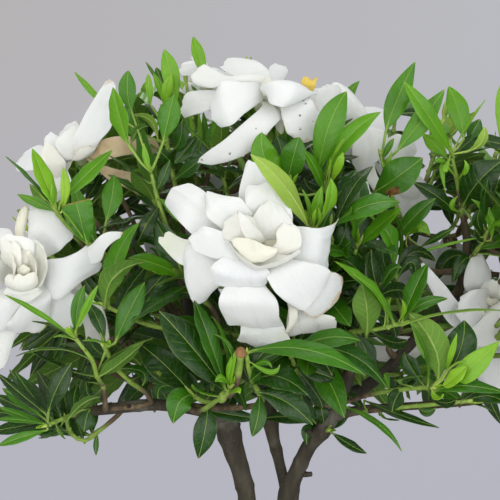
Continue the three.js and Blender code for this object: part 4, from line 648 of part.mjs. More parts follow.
const union = (solids) => {
  let list = solids.filter((s) => s.numTri() > 0);
  while (list.length > 1) {
    const next = [];
    for (let i = 0; i < list.length; i += 2) next.push(i + 1 < list.length ? list[i].add(list[i + 1]) : list[i]);
    list = next;
  }
  return list[0];
};
const largest = (solid) => solid.decompose().reduce((a, b) => (b.volume() > a.volume() ? b : a));
const meets = (a, b) => {
  const A = a.boundingBox(), B = b.boundingBox();
  return [0, 1, 2].every((i) => A.min[i] < B.max[i] + 1 && B.min[i] < A.max[i] + 1);
};

// A cut can leave slivers whose corners lie almost on each other. The corners are drawn onto a fine
// grid, the triangles that fold shut are dropped, and the piece is kept if it is still one sound body.
const GRIDS = [0.01, 0.02, 0.014, 0.007, 0.03, 0.023, 0.005, 0.04, 0.05, 0.0033, 0.002];
function onGrid(solid, step) {
  const m = solid.getMesh(), np = m.numProp, ids = new Map(), corner = [], flat = [];
  for (let i = 0; i < m.vertProperties.length; i += np) {
    const q = [0, 1, 2].map((k) => Math.round(m.vertProperties[i + k] / step));
    const key = q.join(" ");
    if (!ids.has(key)) { ids.set(key, flat.length / 3); flat.push(...q.map((v) => v * step)); }
    corner.push(ids.get(key));
  }
  let faces = [];
  for (let i = 0; i < m.triVerts.length; i += 3) {
    const f = [corner[m.triVerts[i]], corner[m.triVerts[i + 1]], corner[m.triVerts[i + 2]]];
    if (f[0] !== f[1] && f[1] !== f[2] && f[0] !== f[2]) faces.push(f);
  }
  const same = new Map();
  faces.forEach((f, i) => { const k = [...f].sort((a, b) => a - b).join(" "); same.set(k, [...(same.get(k) || []), i]); });
  const drop = new Set();
  for (const list of same.values()) if (list.length === 2) list.forEach((i) => drop.add(i));
  faces = faces.filter((f, i) => !drop.has(i));
  const edges = new Map();
  for (const [a, b, c] of faces) for (const [p, q] of [[a, b], [b, c], [c, a]]) edges.set(p + " " + q, (edges.get(p + " " + q) || 0) + 1);
  for (const [k, n] of edges) { const [p, q] = k.split(" "); if (n !== 1 || edges.get(q + " " + p) !== 1) return null; }
  const used = [...new Set(faces.flat())], place = new Map(used.map((v, i) => [v, i]));
  const vertProperties = new Float32Array(used.flatMap((v) => [flat[3 * v], flat[3 * v + 1], flat[3 * v + 2]]));
  const triVerts = new Uint32Array(faces.flat().map((v) => place.get(v)));
  try {
    const made = new wasm.Manifold(new wasm.Mesh({ numProp: 3, vertProperties, triVerts }));
    return made.volume() > 0 ? made : null;
  } catch {
    return null;
  }
}
function settle(solid) {
  const body = largest(solid);
  for (const step of GRIDS) {
    const made = onGrid(body, step);
    if (!made) continue;
    const one = largest(made);
    if (made.decompose().length === 1) return made;
    const again = onGrid(one, step);
    if (again && again.decompose().length === 1) return again;
  }
  return body;
}
function toMeshGeometry(solid, normals = true) {
  const m = solid.getMesh(), np = m.numProp, flat = new Float32Array((m.vertProperties.length / np) * 3);
  for (let i = 0, k = 0; i < m.vertProperties.length; i += np) { flat[k++] = m.vertProperties[i]; flat[k++] = m.vertProperties[i + 1]; flat[k++] = m.vertProperties[i + 2]; }
  const geometry = new THREE.BufferGeometry();
  geometry.setAttribute("position", new THREE.BufferAttribute(flat, 3));
  geometry.setIndex(new THREE.BufferAttribute(new Uint32Array(m.triVerts), 1));
  if (normals) geometry.computeVertexNormals();
  return geometry;
}

// ---------- assembly ----------
const group = new THREE.Group();
group.name = "potted_gardenia";
const placed = []; // each finished piece with the slightly larger solid that keeps its neighbours clear

function place(name, colour, roughness, solid, clearance) {
  let body = solid;
  for (const p of placed) if (meets(body, p.clearance)) body = body.subtract(p.clearance);
  body = settle(body);
  const mesh = new THREE.Mesh(toMeshGeometry(body), new THREE.MeshStandardMaterial({ color: colour, roughness, metalness: 0 }));
  mesh.name = name;
  group.add(mesh);
  placed.push({ name, clearance: clearance.add(solid) });
  return body;
}

// pot: a lathe profile with a rim band, and four drainage holes
{
  const inner = (z) => POT_FOOT_RADIUS - POT_WALL + ((POT_RIM_RADIUS - POT_WALL - 2 - (POT_FOOT_RADIUS - POT_WALL)) * (z - POT_FLOOR)) / (POT_HEIGHT - POT_FLOOR);
  const band = POT_HEIGHT - POT_RIM_BAND;
  const profile = [
    [0, 0], [POT_FOOT_RADIUS - 1.5, 0], [POT_FOOT_RADIUS, 1.5], [POT_BODY_RADIUS, band - 0.5], [POT_RIM_RADIUS, band + 1],
    [POT_RIM_RADIUS, POT_HEIGHT - 2], [POT_RIM_RADIUS - 2, POT_HEIGHT], [inner(POT_HEIGHT) + 1, POT_HEIGHT], [inner(POT_HEIGHT), POT_HEIGHT - 1.5],
    [inner(POT_FLOOR), POT_FLOOR], [0, POT_FLOOR],
  ].map(([r, z]) => new THREE.Vector2(r, z));
  const lathe = (list, segments) => {
    const g = new THREE.LatheGeometry(list, segments);
    g.rotateX(Math.PI / 2);
    return g;
  };
  const turned = (list, segments) => {
    const g = lathe(list, segments);
    let s = fromGeometry(g);
    if (s.volume() < 0) {
      const i = g.index.array;
      for (let k = 0; k < i.length; k += 3) [i[k + 1], i[k + 2]] = [i[k + 2], i[k + 1]];
      s = fromGeometry(g);
    }
    return s;
  };
  let pot = turned(profile, 28);
  for (let k = 0; k < 4; k++) {
    const a = Math.PI / 4 + (k * Math.PI) / 2;
    const hole = new THREE.CylinderGeometry(DRAIN_RADIUS, DRAIN_RADIUS, POT_FLOOR * 4, 8);
    hole.rotateX(Math.PI / 2);
    hole.translate(Math.cos(a) * DRAIN_RING, Math.sin(a) * DRAIN_RING, POT_FLOOR / 2);
    pot = pot.subtract(fromGeometry(hole));
  }
  place("pot", CLAY, 0.85, pot, pot);

  // root ball and soil: it fills the pot with a slightly domed, uneven top
  const s = GAP + 0.1;
  const soilProfile = [
    [0, POT_FLOOR + GAP], [inner(POT_FLOOR + GAP) - s, POT_FLOOR + GAP],
    [inner(SOIL_TOP - 1) - s, SOIL_TOP - 1], [45, SOIL_TOP + 0.3], [0, SOIL_TOP + 1.5],
  ].map(([r, z]) => new THREE.Vector2(r, z));
  let soil = turned(soilProfile, 28);
  for (const [, , path] of WOOD) if (path[0][2] < SOIL_TOP) soil = soil.subtract(stem(path, 8, GAP));
  soil = settle(soil);
  const mesh = new THREE.Mesh(toMeshGeometry(soil), new THREE.MeshStandardMaterial({ color: SOIL, roughness: 1, metalness: 0 }));
  mesh.name = "soil";
  group.add(mesh);
}

// woody stems and branches, the trunks first
for (const [name, sides, path] of WOOD) place(name, BARK, 0.9, stem(path, sides), stem(path, sides, GAP));

// stems come before petals and blades: a blade gives way where another shoot's stem runs, so that no shoot is cut in two
const shoots = LEAFY.map(([name, kind, stems, leaves]) => ({
  name, kind, leaves,
  stems: union(stems.map(([sides, path]) => stem(path, sides))),
  clear: union(stems.map(([sides, path]) => stem(path, sides, GAP))),
}));
const woods = placed.slice();
shoots.forEach((s, i) => {
  for (const p of woods) if (meets(s.stems, p.clearance)) s.stems = s.stems.subtract(p.clearance);
  for (const q of shoots.slice(0, i)) if (meets(s.stems, q.clear)) s.stems = s.stems.subtract(q.clear);
  s.stems = largest(s.stems);
});

// flowers: a short tube with its heart, and the petals
for (const [name, tube, petals] of FLOWERS) {
  const parts = [stem(tube, 8)], clear = [stem(tube, 8, GAP)];
  for (const rows of petals) { parts.push(petal(rows)); clear.push(petal(rows, GAP)); }
  let body = union(parts);
  for (const s of shoots) if (meets(body, s.clear)) body = body.subtract(s.clear);
  place(name, PETAL, 0.55, body, union(clear));
}

// stalks and leafy shoots: stems, leaf stalks and blades grown as one
let tint = 0;
for (const s of shoots) {
  let body = s.stems;
  if (s.leaves.length) {
    let blades = union(s.leaves.map((row) => leaf(row)));
    for (const q of shoots) if (q !== s && meets(blades, q.clear)) blades = blades.subtract(q.clear);
    for (const p of placed) if (meets(blades, p.clearance)) blades = blades.subtract(p.clearance);
    body = body.add(blades);
  }
  body = settle(body);
  const mesh = new THREE.Mesh(toMeshGeometry(body), new THREE.MeshStandardMaterial({ color: s.kind === "stalk" ? CALYX : LEAF_GREENS[tint++ % LEAF_GREENS.length], roughness: 0.45, metalness: 0 }));
  mesh.name = s.name;
  group.add(mesh);
  if (s.leaves.length) placed.push({ name: s.name, clearance: union([...s.leaves.map((row) => leaf(row, GAP)), body]) });
}

export default group;
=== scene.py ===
"""The looks of the potted gardenia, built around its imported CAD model.

Tables first, in millimetres in the part's own frame: wood, flowers, stalks and leafy shoots. Then the code that turns each row into a mesh, the materials, and the camera, light and floor.
"""

import math

import bpy
import numpy as np
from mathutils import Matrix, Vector


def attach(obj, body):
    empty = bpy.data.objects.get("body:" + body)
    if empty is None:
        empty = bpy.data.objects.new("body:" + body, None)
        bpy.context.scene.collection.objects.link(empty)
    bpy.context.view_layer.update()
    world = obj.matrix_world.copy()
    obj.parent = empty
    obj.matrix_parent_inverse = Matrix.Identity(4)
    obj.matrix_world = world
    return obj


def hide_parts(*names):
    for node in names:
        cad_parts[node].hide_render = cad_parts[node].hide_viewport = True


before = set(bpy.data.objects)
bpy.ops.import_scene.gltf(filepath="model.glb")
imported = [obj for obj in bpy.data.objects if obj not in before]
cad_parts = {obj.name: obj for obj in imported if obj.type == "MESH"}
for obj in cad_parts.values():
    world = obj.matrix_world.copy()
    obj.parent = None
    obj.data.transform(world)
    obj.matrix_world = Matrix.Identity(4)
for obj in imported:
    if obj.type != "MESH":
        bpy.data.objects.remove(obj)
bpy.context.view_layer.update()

# woody stems and branches: rows of x, y, z, radius
WOOD = {
"trunk_left":[[-6.9,-2,83.2,8],[-7.9,-2,93.5,7.2],[-9.7,-2,106.6,6.3],[-13.4,-2,134.5,5.4],[-17,-2,157.6,4.7],[-18.8,-2,175.1,4.1],[-21.5,-4,185.6,4.5],[-24.2,-6,195.2,4.7],[-26.4,-10,204.1,5.2],[-28.6,-13,211.4,4.6],[-32.1,-14,219.2,3.8],[-36.6,-12,229.7,3.2],[-41.1,-8,243,2.8],[-44.7,-6,258.5,2.4],[-47.3,-8,272.2,2],[-48.9,-12,280.5,1.7]],
"trunk_right":[[2.9,5,80.7,8.6],[2.4,4,91.4,7.8],[1.9,4,104.6,6.8],[0.9,2,133.3,5.8],[0.3,0,157.1,5],[0.2,-2,172.8,4.6],[2.9,-5,182.2,3.6],[5.9,-8,190.1,3.5],[9.4,-11,198,3.6],[13.2,-14,203.1,3.9],[17.5,-17,209,3.4],[21.4,-19,217.4,3],[25.3,-18,227,2.7],[28.2,-14,238.9,2.4],[27.4,-12,252.5,2.2],[24.5,-14,267.4,2],[21.6,-18,279.2,1.7]],
"trunk_middle":[[-0.1,1,173.5,2.8],[-2.4,5,182.8,2.4],[-5.1,6,192.8,2.7],[-6.9,6,201.1,3.3],[-7.8,7,207.4,4.1],[-9.7,9,216.3,3.1],[-11.5,12,228.8,2.7],[-13.3,14,244.8,2.4],[-14.2,14,261,2.2],[-13.3,10,278.8,2],[-11.6,4,296,1.8],[-9.8,0,309.7,1.6]],
"branch_left_low":[[-28.5,-16,212.8,3.3],[-36.8,-22,215.7,3],[-43.2,-25,217.5,2.8],[-56.1,-28,219.4,2.6],[-71.1,-31,219,2.4],[-83.8,-34,217.8,2],[-93.3,-38,216.3,1.5]],
"branch_left_middle":[[-31.7,-10,217.6,2.2],[-44.2,0,220.1,1.9],[-58.2,8,221.1,1.7],[-72.6,16,223.5,1.5],[-89.5,24,230.8,1.4],[-106.3,28,243,1.3],[-122.3,26,255,1.2]],
"branch_left_back":[[-36.7,-8,229.1,2.4],[-44.7,14,240.1,2],[-55.7,32,256.8,1.8],[-69.6,44,276.2,1.6],[-83.1,46,293.8,1.4]],
"branch_right_low":[[19.3,-17,211.7,2.6],[27,-20,214.9,2.2],[48.4,-26,218.1,1.9],[65.2,-32,220.5,1.7],[77.5,-36,222,1.5],[92.2,-38,225,1.3]],
"branch_right_upper":[[23.2,-17,221.1,2.9],[32.2,-8,222.7,2.7],[42.8,-4,229.4,2.6],[52.7,-4,240.2,2.5],[62.9,-4,251.1,2.3],[70,-4,259.2,2.2],[76.2,-4,266.4,2.1],[79.1,-5,280,2],[79.8,-6,289.9,1.9],[78.2,-7,298,1.7]],
"branch_right_back":[[25.6,-14,226.4,2.4],[30.2,16,237.5,2],[36.4,40,255.9,1.8],[44,58,275.1,1.6],[50.7,64,292.8,1.4]],
"branch_back":[[-10.1,10,218,2.5],[-13.2,40,234.3,2.1],[-17,66,255.6,1.8],[-19,82,279.3,1.6],[-18,84,301.8,1.4]],
}

# flowers: the tube, then each petal as rows of three points from the throat, and its tint: cream, tan, green, curl, specks
FLOWERS = {
"flower_front":([[-11.5,-42,282.8,1.9],[-11.9,-58.5,287.5,2.3],[-12.2,-72,291.2,3.6],[-12.3,-76.3,292.5,5.2],[-12.3,-80.7,293.7,3.2]],[
([[[-13.4,-77.7,291.7],[-12.3,-77.7,292.9],[-11.2,-77.7,294]],[[-17,-78,293.7],[-15.4,-77,295.2],[-13.8,-78,296.9]],[[-37.1,-87,295.4],[-33.4,-90,301.9],[-30,-88,308.5]],[[-44.6,-86,302.1],[-40.5,-90,308.5],[-33.5,-87,313.1]],[[-51.7,-79,308.5],[-48.7,-81,314.1],[-40.3,-83,317.4]]],[0,0,0,0,0]),
([[[-13.7,-80.7,292.9],[-12.3,-80.7,293.7],[-11,-80.7,294.5]],[[-14.6,-84,295.6],[-13,-84,296.4],[-11.9,-84,297.2]],[[-27.1,-93,298.9],[-22,-96,303.4],[-16.6,-95,306.8]],[[-33.7,-93,304.8],[-29.4,-97,308.8],[-20.9,-94,311.8]],[[-33.8,-90,309.7],[-34.3,-88,314],[-29.1,-90,312.5]]],[0.05,0,0,0,0]),
([[[-13.9,-80.7,293.7],[-12.3,-80.7,293.7],[-10.7,-80.7,293.7]],[[-13.8,-82,295.5],[-10.6,-80,296.2],[-7.5,-82,295.5]],[[-19.7,-88,305.3],[-13.1,-89,307.7],[-4.4,-86,303.7]],[[-21.3,-88,312.4],[-15,-90,315.6],[-7.6,-86,311.9]],[[-20.1,-86,319.4],[-14.6,-88,321.4],[-8.3,-84,317]],[[-19,-83,324.1],[-16.2,-84,326.1],[-13,-82,324.1]]],[0,0,0,0,0]),
([[[-12.2,-82,295.5],[-11.8,-82,293.9],[-11.4,-82,292.3]],[[-7.5,-84,296.4],[-6.7,-84,292.5],[-6.7,-84,288.9]],[[1.8,-89,300.5],[3.3,-91,292.9],[2.6,-89,284.5]],[[9.7,-88,299.8],[9.6,-91,292.9],[8.2,-88,282.9]],[[15,-84,301],[13.8,-86,293.8],[11.9,-84,282.5]],[[18,-80,303.6],[16.2,-81,296.2],[13.3,-80,283.8]]],[0,0.35,0,0,0]),
([[[-13.9,-76.8,292.6],[-12.3,-76.8,292.6],[-10.7,-76.8,292.6]],[[-8.2,-78,288],[-5.8,-78,288.9],[-4.2,-78,288]],[[-1.1,-83,272.5],[3.5,-87,277.6],[10,-83,283.6]],[[3.7,-82,266.8],[11.4,-87,272.9],[14.8,-83,282.4]],[[8.7,-77,263],[17.3,-80,269],[20.3,-76,279.4]]],[0,0.5,0,0,0]),
([[[-13.9,-80.7,293.2],[-12.3,-80.7,293.7],[-10.8,-80.7,294.1]],[[-11.5,-86,287.8],[-9.1,-86,289.4],[-5.9,-86,289.4]],[[-10.8,-96,281.6],[-3.1,-98,284.1],[5.6,-95,287]],[[-6.9,-95,274.9],[1.6,-98,276.3],[13.2,-90,284.6]],[[0.7,-90,270],[6.2,-91,268.5],[13.4,-87,277.6]]],[0,0,0,0,0]),
([[[-13.8,-72,291.2],[-12.2,-72,291.2],[-10.6,-72,291.2]],[[-7.3,-70,274.4],[-4.8,-70,275.3],[-2.4,-70,274.4]],[[-1.7,-76,269],[1.4,-80,267.8],[5.5,-76,265.3]],[[-2.1,-75,262],[5.4,-80,262.9],[16.1,-74,263.5]],[[-2.4,-70,254.4],[8,-74,256.2],[17.6,-69,256.8]]],[0.35,0,0.1,0,0]),
([[[-13.8,-74.9,292.5],[-12.2,-74.9,292.1],[-10.7,-74.9,291.6]],[[-2.6,-79,270.9],[-1.1,-81,271.1],[1.4,-79,269.7]],[[-1.5,-83,266.1],[0.4,-85,266.7],[2.1,-82,265.6]],[[-1.8,-81,261.1],[0.1,-83,261.3],[1.4,-80,261.7]],[[-3.7,-77,255.7],[-2.2,-78,256.7],[-0.5,-77,258.2]]],[0.7,0,0,0,0]),
([[[-13.8,-72,291.2],[-12.2,-72,291.2],[-10.6,-72,291.2]],[[-19.4,-74,277.3],[-15.4,-74,278.1],[-11.4,-74,277.3]],[[-20.6,-80,265.8],[-13.8,-83,265.3],[-6.2,-80,265.8]],[[-21,-79,258.4],[-11.4,-82,258],[-2.6,-78,258.7]],[[-22.3,-74,252.1],[-10.6,-77,250.5],[0.8,-73,249.5]]],[0,0,0.35,0,0]),
([[[-13.9,-80,293.5],[-12.3,-80,293.5],[-10.7,-80,293.5]],[[-18.6,-82,285.2],[-15.4,-82,286],[-12.2,-82,285.2]],[[-26.8,-91,277.2],[-18.6,-96,278.5],[-10.7,-91,277.2]],[[-29.5,-92,271.8],[-18.5,-99,271.7],[-6,-91,271.7]],[[-28.1,-87,265.7],[-17,-94,265.3],[-5.5,-86,264.8]],[[-25.4,-80,260.5],[-14.6,-86,259.7],[-3.8,-79,260]]],[0,0,0,0,0]),
([[[-12.7,-80.7,295.2],[-12.3,-80.7,293.7],[-12,-80.7,292.1]],[[-21,-82,292.3],[-20.6,-82,290.7],[-20.2,-82,289.1]],[[-33.5,-87,295.8],[-34.3,-89,291.2],[-33.9,-87,286.3]],[[-42.3,-84,295.2],[-43.4,-86,291],[-43.1,-84,284.5]],[[-49.7,-79,298.5],[-52,-80,296.2],[-54.2,-78,294.1]]],[0.15,0,0.55,0,0]),
([[[-13.3,-80.7,295],[-12.3,-80.7,293.7],[-11.4,-80.7,292.4]],[[-21,-82,289.9],[-19.8,-82,288.3],[-18.6,-82,286.8]],[[-34.3,-89,293.6],[-31.1,-91,286.7],[-24.8,-90,280.7]],[[-43,-86,291.4],[-38.2,-89,281],[-28.4,-88,276.9]],[[-43.2,-84,281.3],[-38.3,-86,275.2],[-32.1,-84,273.4]],[[-40.2,-80,269.8],[-37.8,-80,268.6],[-34.6,-79,269.7]]],[0,0,0,0,0]),
([[[-13.3,-80.7,294.9],[-12.3,-80.7,293.7],[-11.3,-80.7,292.4]],[[-16.2,-90,292.9],[-15.4,-90,292.1],[-14.6,-90,290.9]],[[-25.5,-96,297.9],[-24,-98,293],[-20.9,-97,287.9]],[[-33.7,-96,301],[-31.7,-98,295],[-27.9,-96,287.8]],[[-38,-93,298.9],[-40.4,-94,295.5],[-39.3,-92,291]]],[0,0,0,0,0]),
([[[-13.8,-80.7,294.2],[-12.3,-80.7,293.7],[-10.8,-80.7,293.1]],[[-16.2,-90,290.1],[-14.6,-90,289.3],[-13.1,-90,288.9]],[[-27.9,-97,288.7],[-20.5,-99,286.9],[-12,-97,286]],[[-32.1,-97,285.2],[-21.2,-100,281.9],[-9.2,-97,283.2]],[[-31.1,-93,279],[-19.7,-95,276.4],[-10.4,-93,278.2]]],[0,0,0,0,0]),
([[[-13.9,-80.7,293.7],[-12.3,-80.7,293.7],[-10.7,-80.7,293.7]],[[-14.7,-92,292.6],[-12.3,-92,291.8],[-10,-92,292.6]],[[-20.9,-97,291.8],[-13.9,-97,287.1],[-3.8,-97,290.2]],[[-25.5,-100,294.3],[-14.7,-101,285.1],[1.9,-99,290.4]],[[-25.1,-103,296.8],[-14.3,-104.5,286.9],[2.6,-101,292.8]]],[0.3,0,0,0,0]),
([[[-13.9,-80.7,293.4],[-12.3,-80.7,293.7],[-10.8,-80.7,293.9]],[[-9.2,-94,288.8],[-6.9,-94,289.2],[-4.1,-94,289.6]],[[-10,-97,291.4],[-4.2,-95,290.9],[1.6,-97,291.8]],[[-6.9,-98,294.6],[-1.9,-96,294.4],[3.1,-97,295.3]],[[-6.6,-98,298.8],[-1.9,-96,299.5],[2,-97,299.9]],[[-5,-97,301.1],[-2.3,-96,301.8],[0.4,-96.5,301.8]]],[0.4,0,0,0,0]),
([[[-13.9,-80.7,293.5],[-12.3,-80.7,293.7],[-10.8,-80.7,293.8]],[[-13.9,-92,294.6],[-10,-91,295.3],[-6.1,-92,295.3]],[[-17.4,-97,300.3],[-9.2,-95,301.8],[0.1,-96,299.9]],[[-15.5,-97,305.7],[-8.9,-95,307.2],[-1.1,-95,304.1]],[[-13.1,-95,309.5],[-9.2,-94,310.7],[-3.8,-94,307.9]]],[0.3,0,0,0,0]),
([[[-13.6,-80.7,292.7],[-12.3,-80.7,293.7],[-11.1,-80.7,294.7]],[[-14.7,-92,293.8],[-13.9,-92,294.6],[-12.7,-92,295.3]],[[-24.3,-98,295.3],[-20.9,-100,300.1],[-16.2,-98,304.6]],[[-29,-96,296.8],[-27.4,-98,301.1],[-22.4,-97,306.1]]],[0.45,0,0,0,0]),
([[[-13.9,-80.7,293.2],[-12.3,-80.7,293.7],[-10.8,-80.7,294.2]],[[-16.2,-98,295],[-13.9,-99,295.8],[-11.6,-98,296.5]],[[-20.4,-104,299.6],[-17,-106,300.8],[-13.6,-104,299.9]],[[-21.2,-106,303.5],[-18.9,-108,304.4],[-16.6,-106,303.1]],[[-22.7,-104,306.5],[-21.2,-105,307.3],[-19.7,-104,306.1]]],[0.35,0.6,0,0,0]),
([[[-13.9,-80.7,293.7],[-12.3,-80.7,293.7],[-10.7,-80.7,293.7]],[[-13.9,-96,293.3],[-12.3,-96,292.5],[-10.8,-96,293.3]],[[-21.6,-101,292.4],[-16.2,-103,287.6],[-8.1,-101,289.4]],[[-23.5,-101,294.6],[-17,-106,290.9],[-6.6,-101.5,291.7]],[[-24.5,-100,296.2],[-18.1,-104,296.1],[-6.8,-100,293.2]]],[0.75,0,0,0,0]),
([[[-13.2,-74.6,293.3],[-12.2,-74.6,292],[-11.3,-74.6,290.7]],[[-18.6,-76,291.9],[-17,-75,290.2],[-16.2,-76,288.7]],[[-31.3,-80,301],[-34.5,-80,292.2],[-30.6,-80,281.8]],[[-38.6,-76,297.5],[-42.7,-76,289.5],[-37.1,-76,275.8]]],[0,0,0,0,0]),
([[[-12.2,-74.7,293.6],[-12.2,-74.7,292],[-12.2,-74.7,290.4]],[[-6.6,-76,294.3],[-5.8,-75,291.5],[-6.6,-76,288.7]],[[5.3,-80,296.2],[7.7,-80,289.8],[4.5,-80,280.2]],[[13.5,-76,291.9],[15.1,-76,285.5],[11.1,-76,275]]],[0,0,0,0,0]),
([[[-13.9,-80.7,293.7],[-12.3,-80.7,293.7],[-10.7,-80.7,293.7]],[[-13.9,-88,295.1],[-11.5,-88,295.1],[-9.1,-88,295.1]],[[-18.2,-93,304.4],[-10.8,-95,308],[-0.2,-92,302.4]],[[-18.9,-94,311.4],[-10.8,-96,315],[-2.2,-92,309.8]],[[-18.2,-92,316],[-13.1,-93,317.6],[-8,-91,318]]],[0.08,0,0,0,0]),
([[[-13.9,-80.7,293.7],[-12.3,-80.7,293.7],[-10.7,-80.7,293.7]],[[-12.3,-91,291.8],[-10,-91,291.4],[-6.8,-91,291.8]],[[-12.7,-92,295],[-9.2,-91,294.5],[-4.5,-92,295]],[[-12.7,-93,298.9],[-8.8,-92,299.3],[-4.2,-94,299]],[[-12,-95,302.2],[-8.8,-94,302.9],[-4.6,-96,302.6]]],[1,0,0,0,0]),
]),
"flower_top":([[-10.8,-2,341.5,1.9],[-11.3,-13,346.1,2.3],[-11.8,-22,349.9,3.6],[-11.9,-24.3,350.9,5.2],[-12,-26.6,351.8,3.2]],[
([[[-12.9,-25.9,350.2],[-12,-25.2,351.3],[-11,-24.5,352.3]],[[-10.9,-22,360.2],[-9.2,-21,361.6],[-8.3,-20,363.3]],[[-16.1,-26,361.4],[-14.4,-22,364.5],[-11.8,-18,367.3]],[[-23,-26,361.8],[-23.1,-21,365.9],[-17.9,-14,369.9]],[[-29.1,-22,365],[-29.2,-17,367.4],[-26.2,-12,370.2]]],[0.1,0,0,0,0]),
([[[-13.1,-27,350.7],[-12,-26.6,351.8],[-11,-26.2,353]],[[-11.9,-34,357.7],[-10.6,-34,358.9],[-9.3,-33,360.7]],[[-18.3,-38,358.8],[-18.7,-39,360.4],[-18.7,-36,362.2]],[[-26.3,-38,357.9],[-26.3,-40,359.5],[-26.3,-36,361.4]],[[-33.1,-36,356.3],[-33.5,-37,360.1],[-32.3,-32,364.5]],[[-39.2,-31,357.3],[-41.7,-31,361.6],[-37.1,-28,367.3]]],[0.1,0,0,0,0]),
([[[-13.1,-22.6,349.1],[-11.8,-22.6,350.2],[-10.6,-22.6,351.2]],[[-28.3,-22,347.3],[-24.8,-22,349.9],[-23.1,-22,351.6]],[[-35.9,-26,346.4],[-32.4,-28,350.6],[-29.9,-26,355]],[[-42.9,-24,344.7],[-40.2,-26,350.7],[-36.8,-24,355.9]],[[-45.7,-20,343.5],[-46.9,-22,349],[-45.6,-20,355.1]]],[0,0,0,0,0]),
([[[-12,-26.6,350.2],[-12,-26.6,351.8],[-12,-26.6,353.4]],[[-11.9,-32,350.9],[-11.5,-33,354.7],[-11.9,-32,357.7]],[[-18.7,-44,345.6],[-19.5,-45,352.3],[-19.5,-43,358.6]],[[-24.9,-46,340.6],[-27.4,-48,349.3],[-28.7,-44,358.6]],[[-30.9,-42,339],[-33.3,-44,345.6],[-32.1,-41,354.1]]],[0,0,0,0,0]),
([[[-13.5,-26.6,352.5],[-12,-26.6,351.8],[-10.6,-26.6,351.2]],[[-11.9,-34,349.6],[-7.6,-34,348.8],[-4.2,-34,346.2]],[[-18.3,-46,342.7],[-12,-50,341],[-7.8,-46,339.3]],[[-26.1,-50,336],[-19.5,-54,333.5],[-16.2,-50,329.8]],[[-33.6,-50,330.2],[-28.6,-53,327.7],[-24.5,-50,326]],[[-37.9,-48,326.8],[-38.3,-48,324.8],[-35,-48,323.5]]],[0,0,0,0,0.8]),
([[[-13.6,-26.6,351.8],[-12,-26.6,351.8],[-10.4,-26.6,351.8]],[[-11.1,-36,354.6],[-8.5,-36,354.6],[-6,-36,354.6]],[[-8.6,-40,358.7],[-3.6,-42,357],[1.5,-40,352.8]],[[-1,-38,359.6],[3.6,-41,357],[6.7,-38,352.9]],[[5.9,-35,357.2],[8.8,-36,355.5],[10.2,-34,353.4]]],[0,0.3,0,0,0]),
([[[-12.7,-26.6,353.3],[-12,-26.6,351.8],[-11.4,-26.6,350.4]],[[-11.9,-40,357.4],[-11.1,-41,355.3],[-9.8,-40,352.8]],[[-6.1,-44,359],[-6.6,-48,354.3],[-8.6,-45,349.4]],[[1,-44,358.1],[-0.4,-50,353],[-4.1,-47,348.1]],[[7.9,-40,354.9],[5.2,-44,351.9],[1,-43,349]],[[11.8,-37,353.8],[9.6,-38,352.9],[6.2,-38,352.1]]],[0,0,0,0,0]),
([[[-13.5,-26.6,351.3],[-12,-26.6,351.8],[-10.5,-26.6,352.4]],[[-4.7,-36,348.7],[0.8,-38,351.2],[6.7,-36,353]],[[-3.2,-44,341.9],[3.9,-46,345.2],[10.7,-42,348.6]],[[-1.5,-44,337.3],[5.6,-46,339.3],[12.9,-41,343.6]],[[0.3,-42,335.6],[6.1,-44,333.5],[14.3,-38,338.1]]],[0,0.45,0,0,1]),
([[[-13.6,-26.6,351.6],[-12,-26.6,351.8],[-10.5,-26.6,352.1]],[[2.6,-34,349.6],[6,-34,350.5],[8.5,-34,350.5]],[[5.7,-42,342.7],[9,-43,345.2],[11.7,-40,346.1]],[[7.4,-42,336.9],[11.6,-42,339.4],[14.3,-38,341.1]],[[9.2,-38,336.5],[12.6,-38,336],[15.7,-36,338.2]]],[0,0.5,0,0,0.6]),
([[[-12.6,-22,348.5],[-11.8,-22,349.9],[-11,-22,351.3]],[[4.8,-18,352.6],[6.1,-18,354.8],[7.4,-18,356.9]],[[11.7,-18,348.7],[13.4,-20,352.5],[14.3,-18,356.9]],[[14.5,-15,344.4],[17.9,-17,350],[19.8,-14,358.4]],[[18.6,-12,347.5],[21.7,-12,352.8],[23.1,-10,356.8]]],[0.1,0,0,0,0]),
([[[-13.6,-26.6,352.2],[-12,-26.6,351.8],[-10.5,-26.6,351.5]],[[-7.6,-28,349.8],[-5.4,-28,349.8],[-3.3,-28,348.9]],[[-6.8,-32,342.9],[-4.7,-34,342.8],[-2.5,-32,342]],[[-5.9,-32,338.6],[-4.2,-33,337.3],[-2.5,-32,336.9]]],[0.5,0,0.8,0,0]),
([[[-13.4,-22,349.9],[-11.8,-22,349.9],[-10.2,-22,349.9]],[[-11.7,-12,353.6],[-10,-12,354.5],[-7.3,-12,353.6]],[[-9.9,-2,360.1],[-7.2,0,361.1],[-3.6,0,359.3]],[[-8.9,8,365.9],[-4.8,10,366.9],[-0.7,8,363.2]],[[-7.5,12,368.3],[-3.4,13,368.8],[0.7,12,366.1]]],[0,0,0,0,0]),
([[[-13.6,-26.6,351.8],[-12,-26.6,351.8],[-10.4,-26.6,351.8]],[[-11.9,-30,351.4],[-9.3,-30,351.8],[-6.7,-30,351.4]],[[-14.4,-34,355.5],[-10.2,-36,357.2],[-5.1,-34,355.5]],[[-13.6,-34,359.8],[-9.4,-34,361],[-5.1,-34,358.9]]],[0.5,0,0,0,0]),
([[[-13.6,-26.6,351.9],[-12.1,-26.6,351.9],[-10.5,-26.6,351.9]],[[5.3,-34,356],[7.7,-34,355.5],[10.4,-34,356]],[[4.5,-34,358.9],[8,-36,358.4],[11.3,-34,358.7]],[[6.2,-33,362.4],[8.9,-34.5,360.2],[12.4,-32,363.2]]],[2,0.55,0,0,0]),
]),
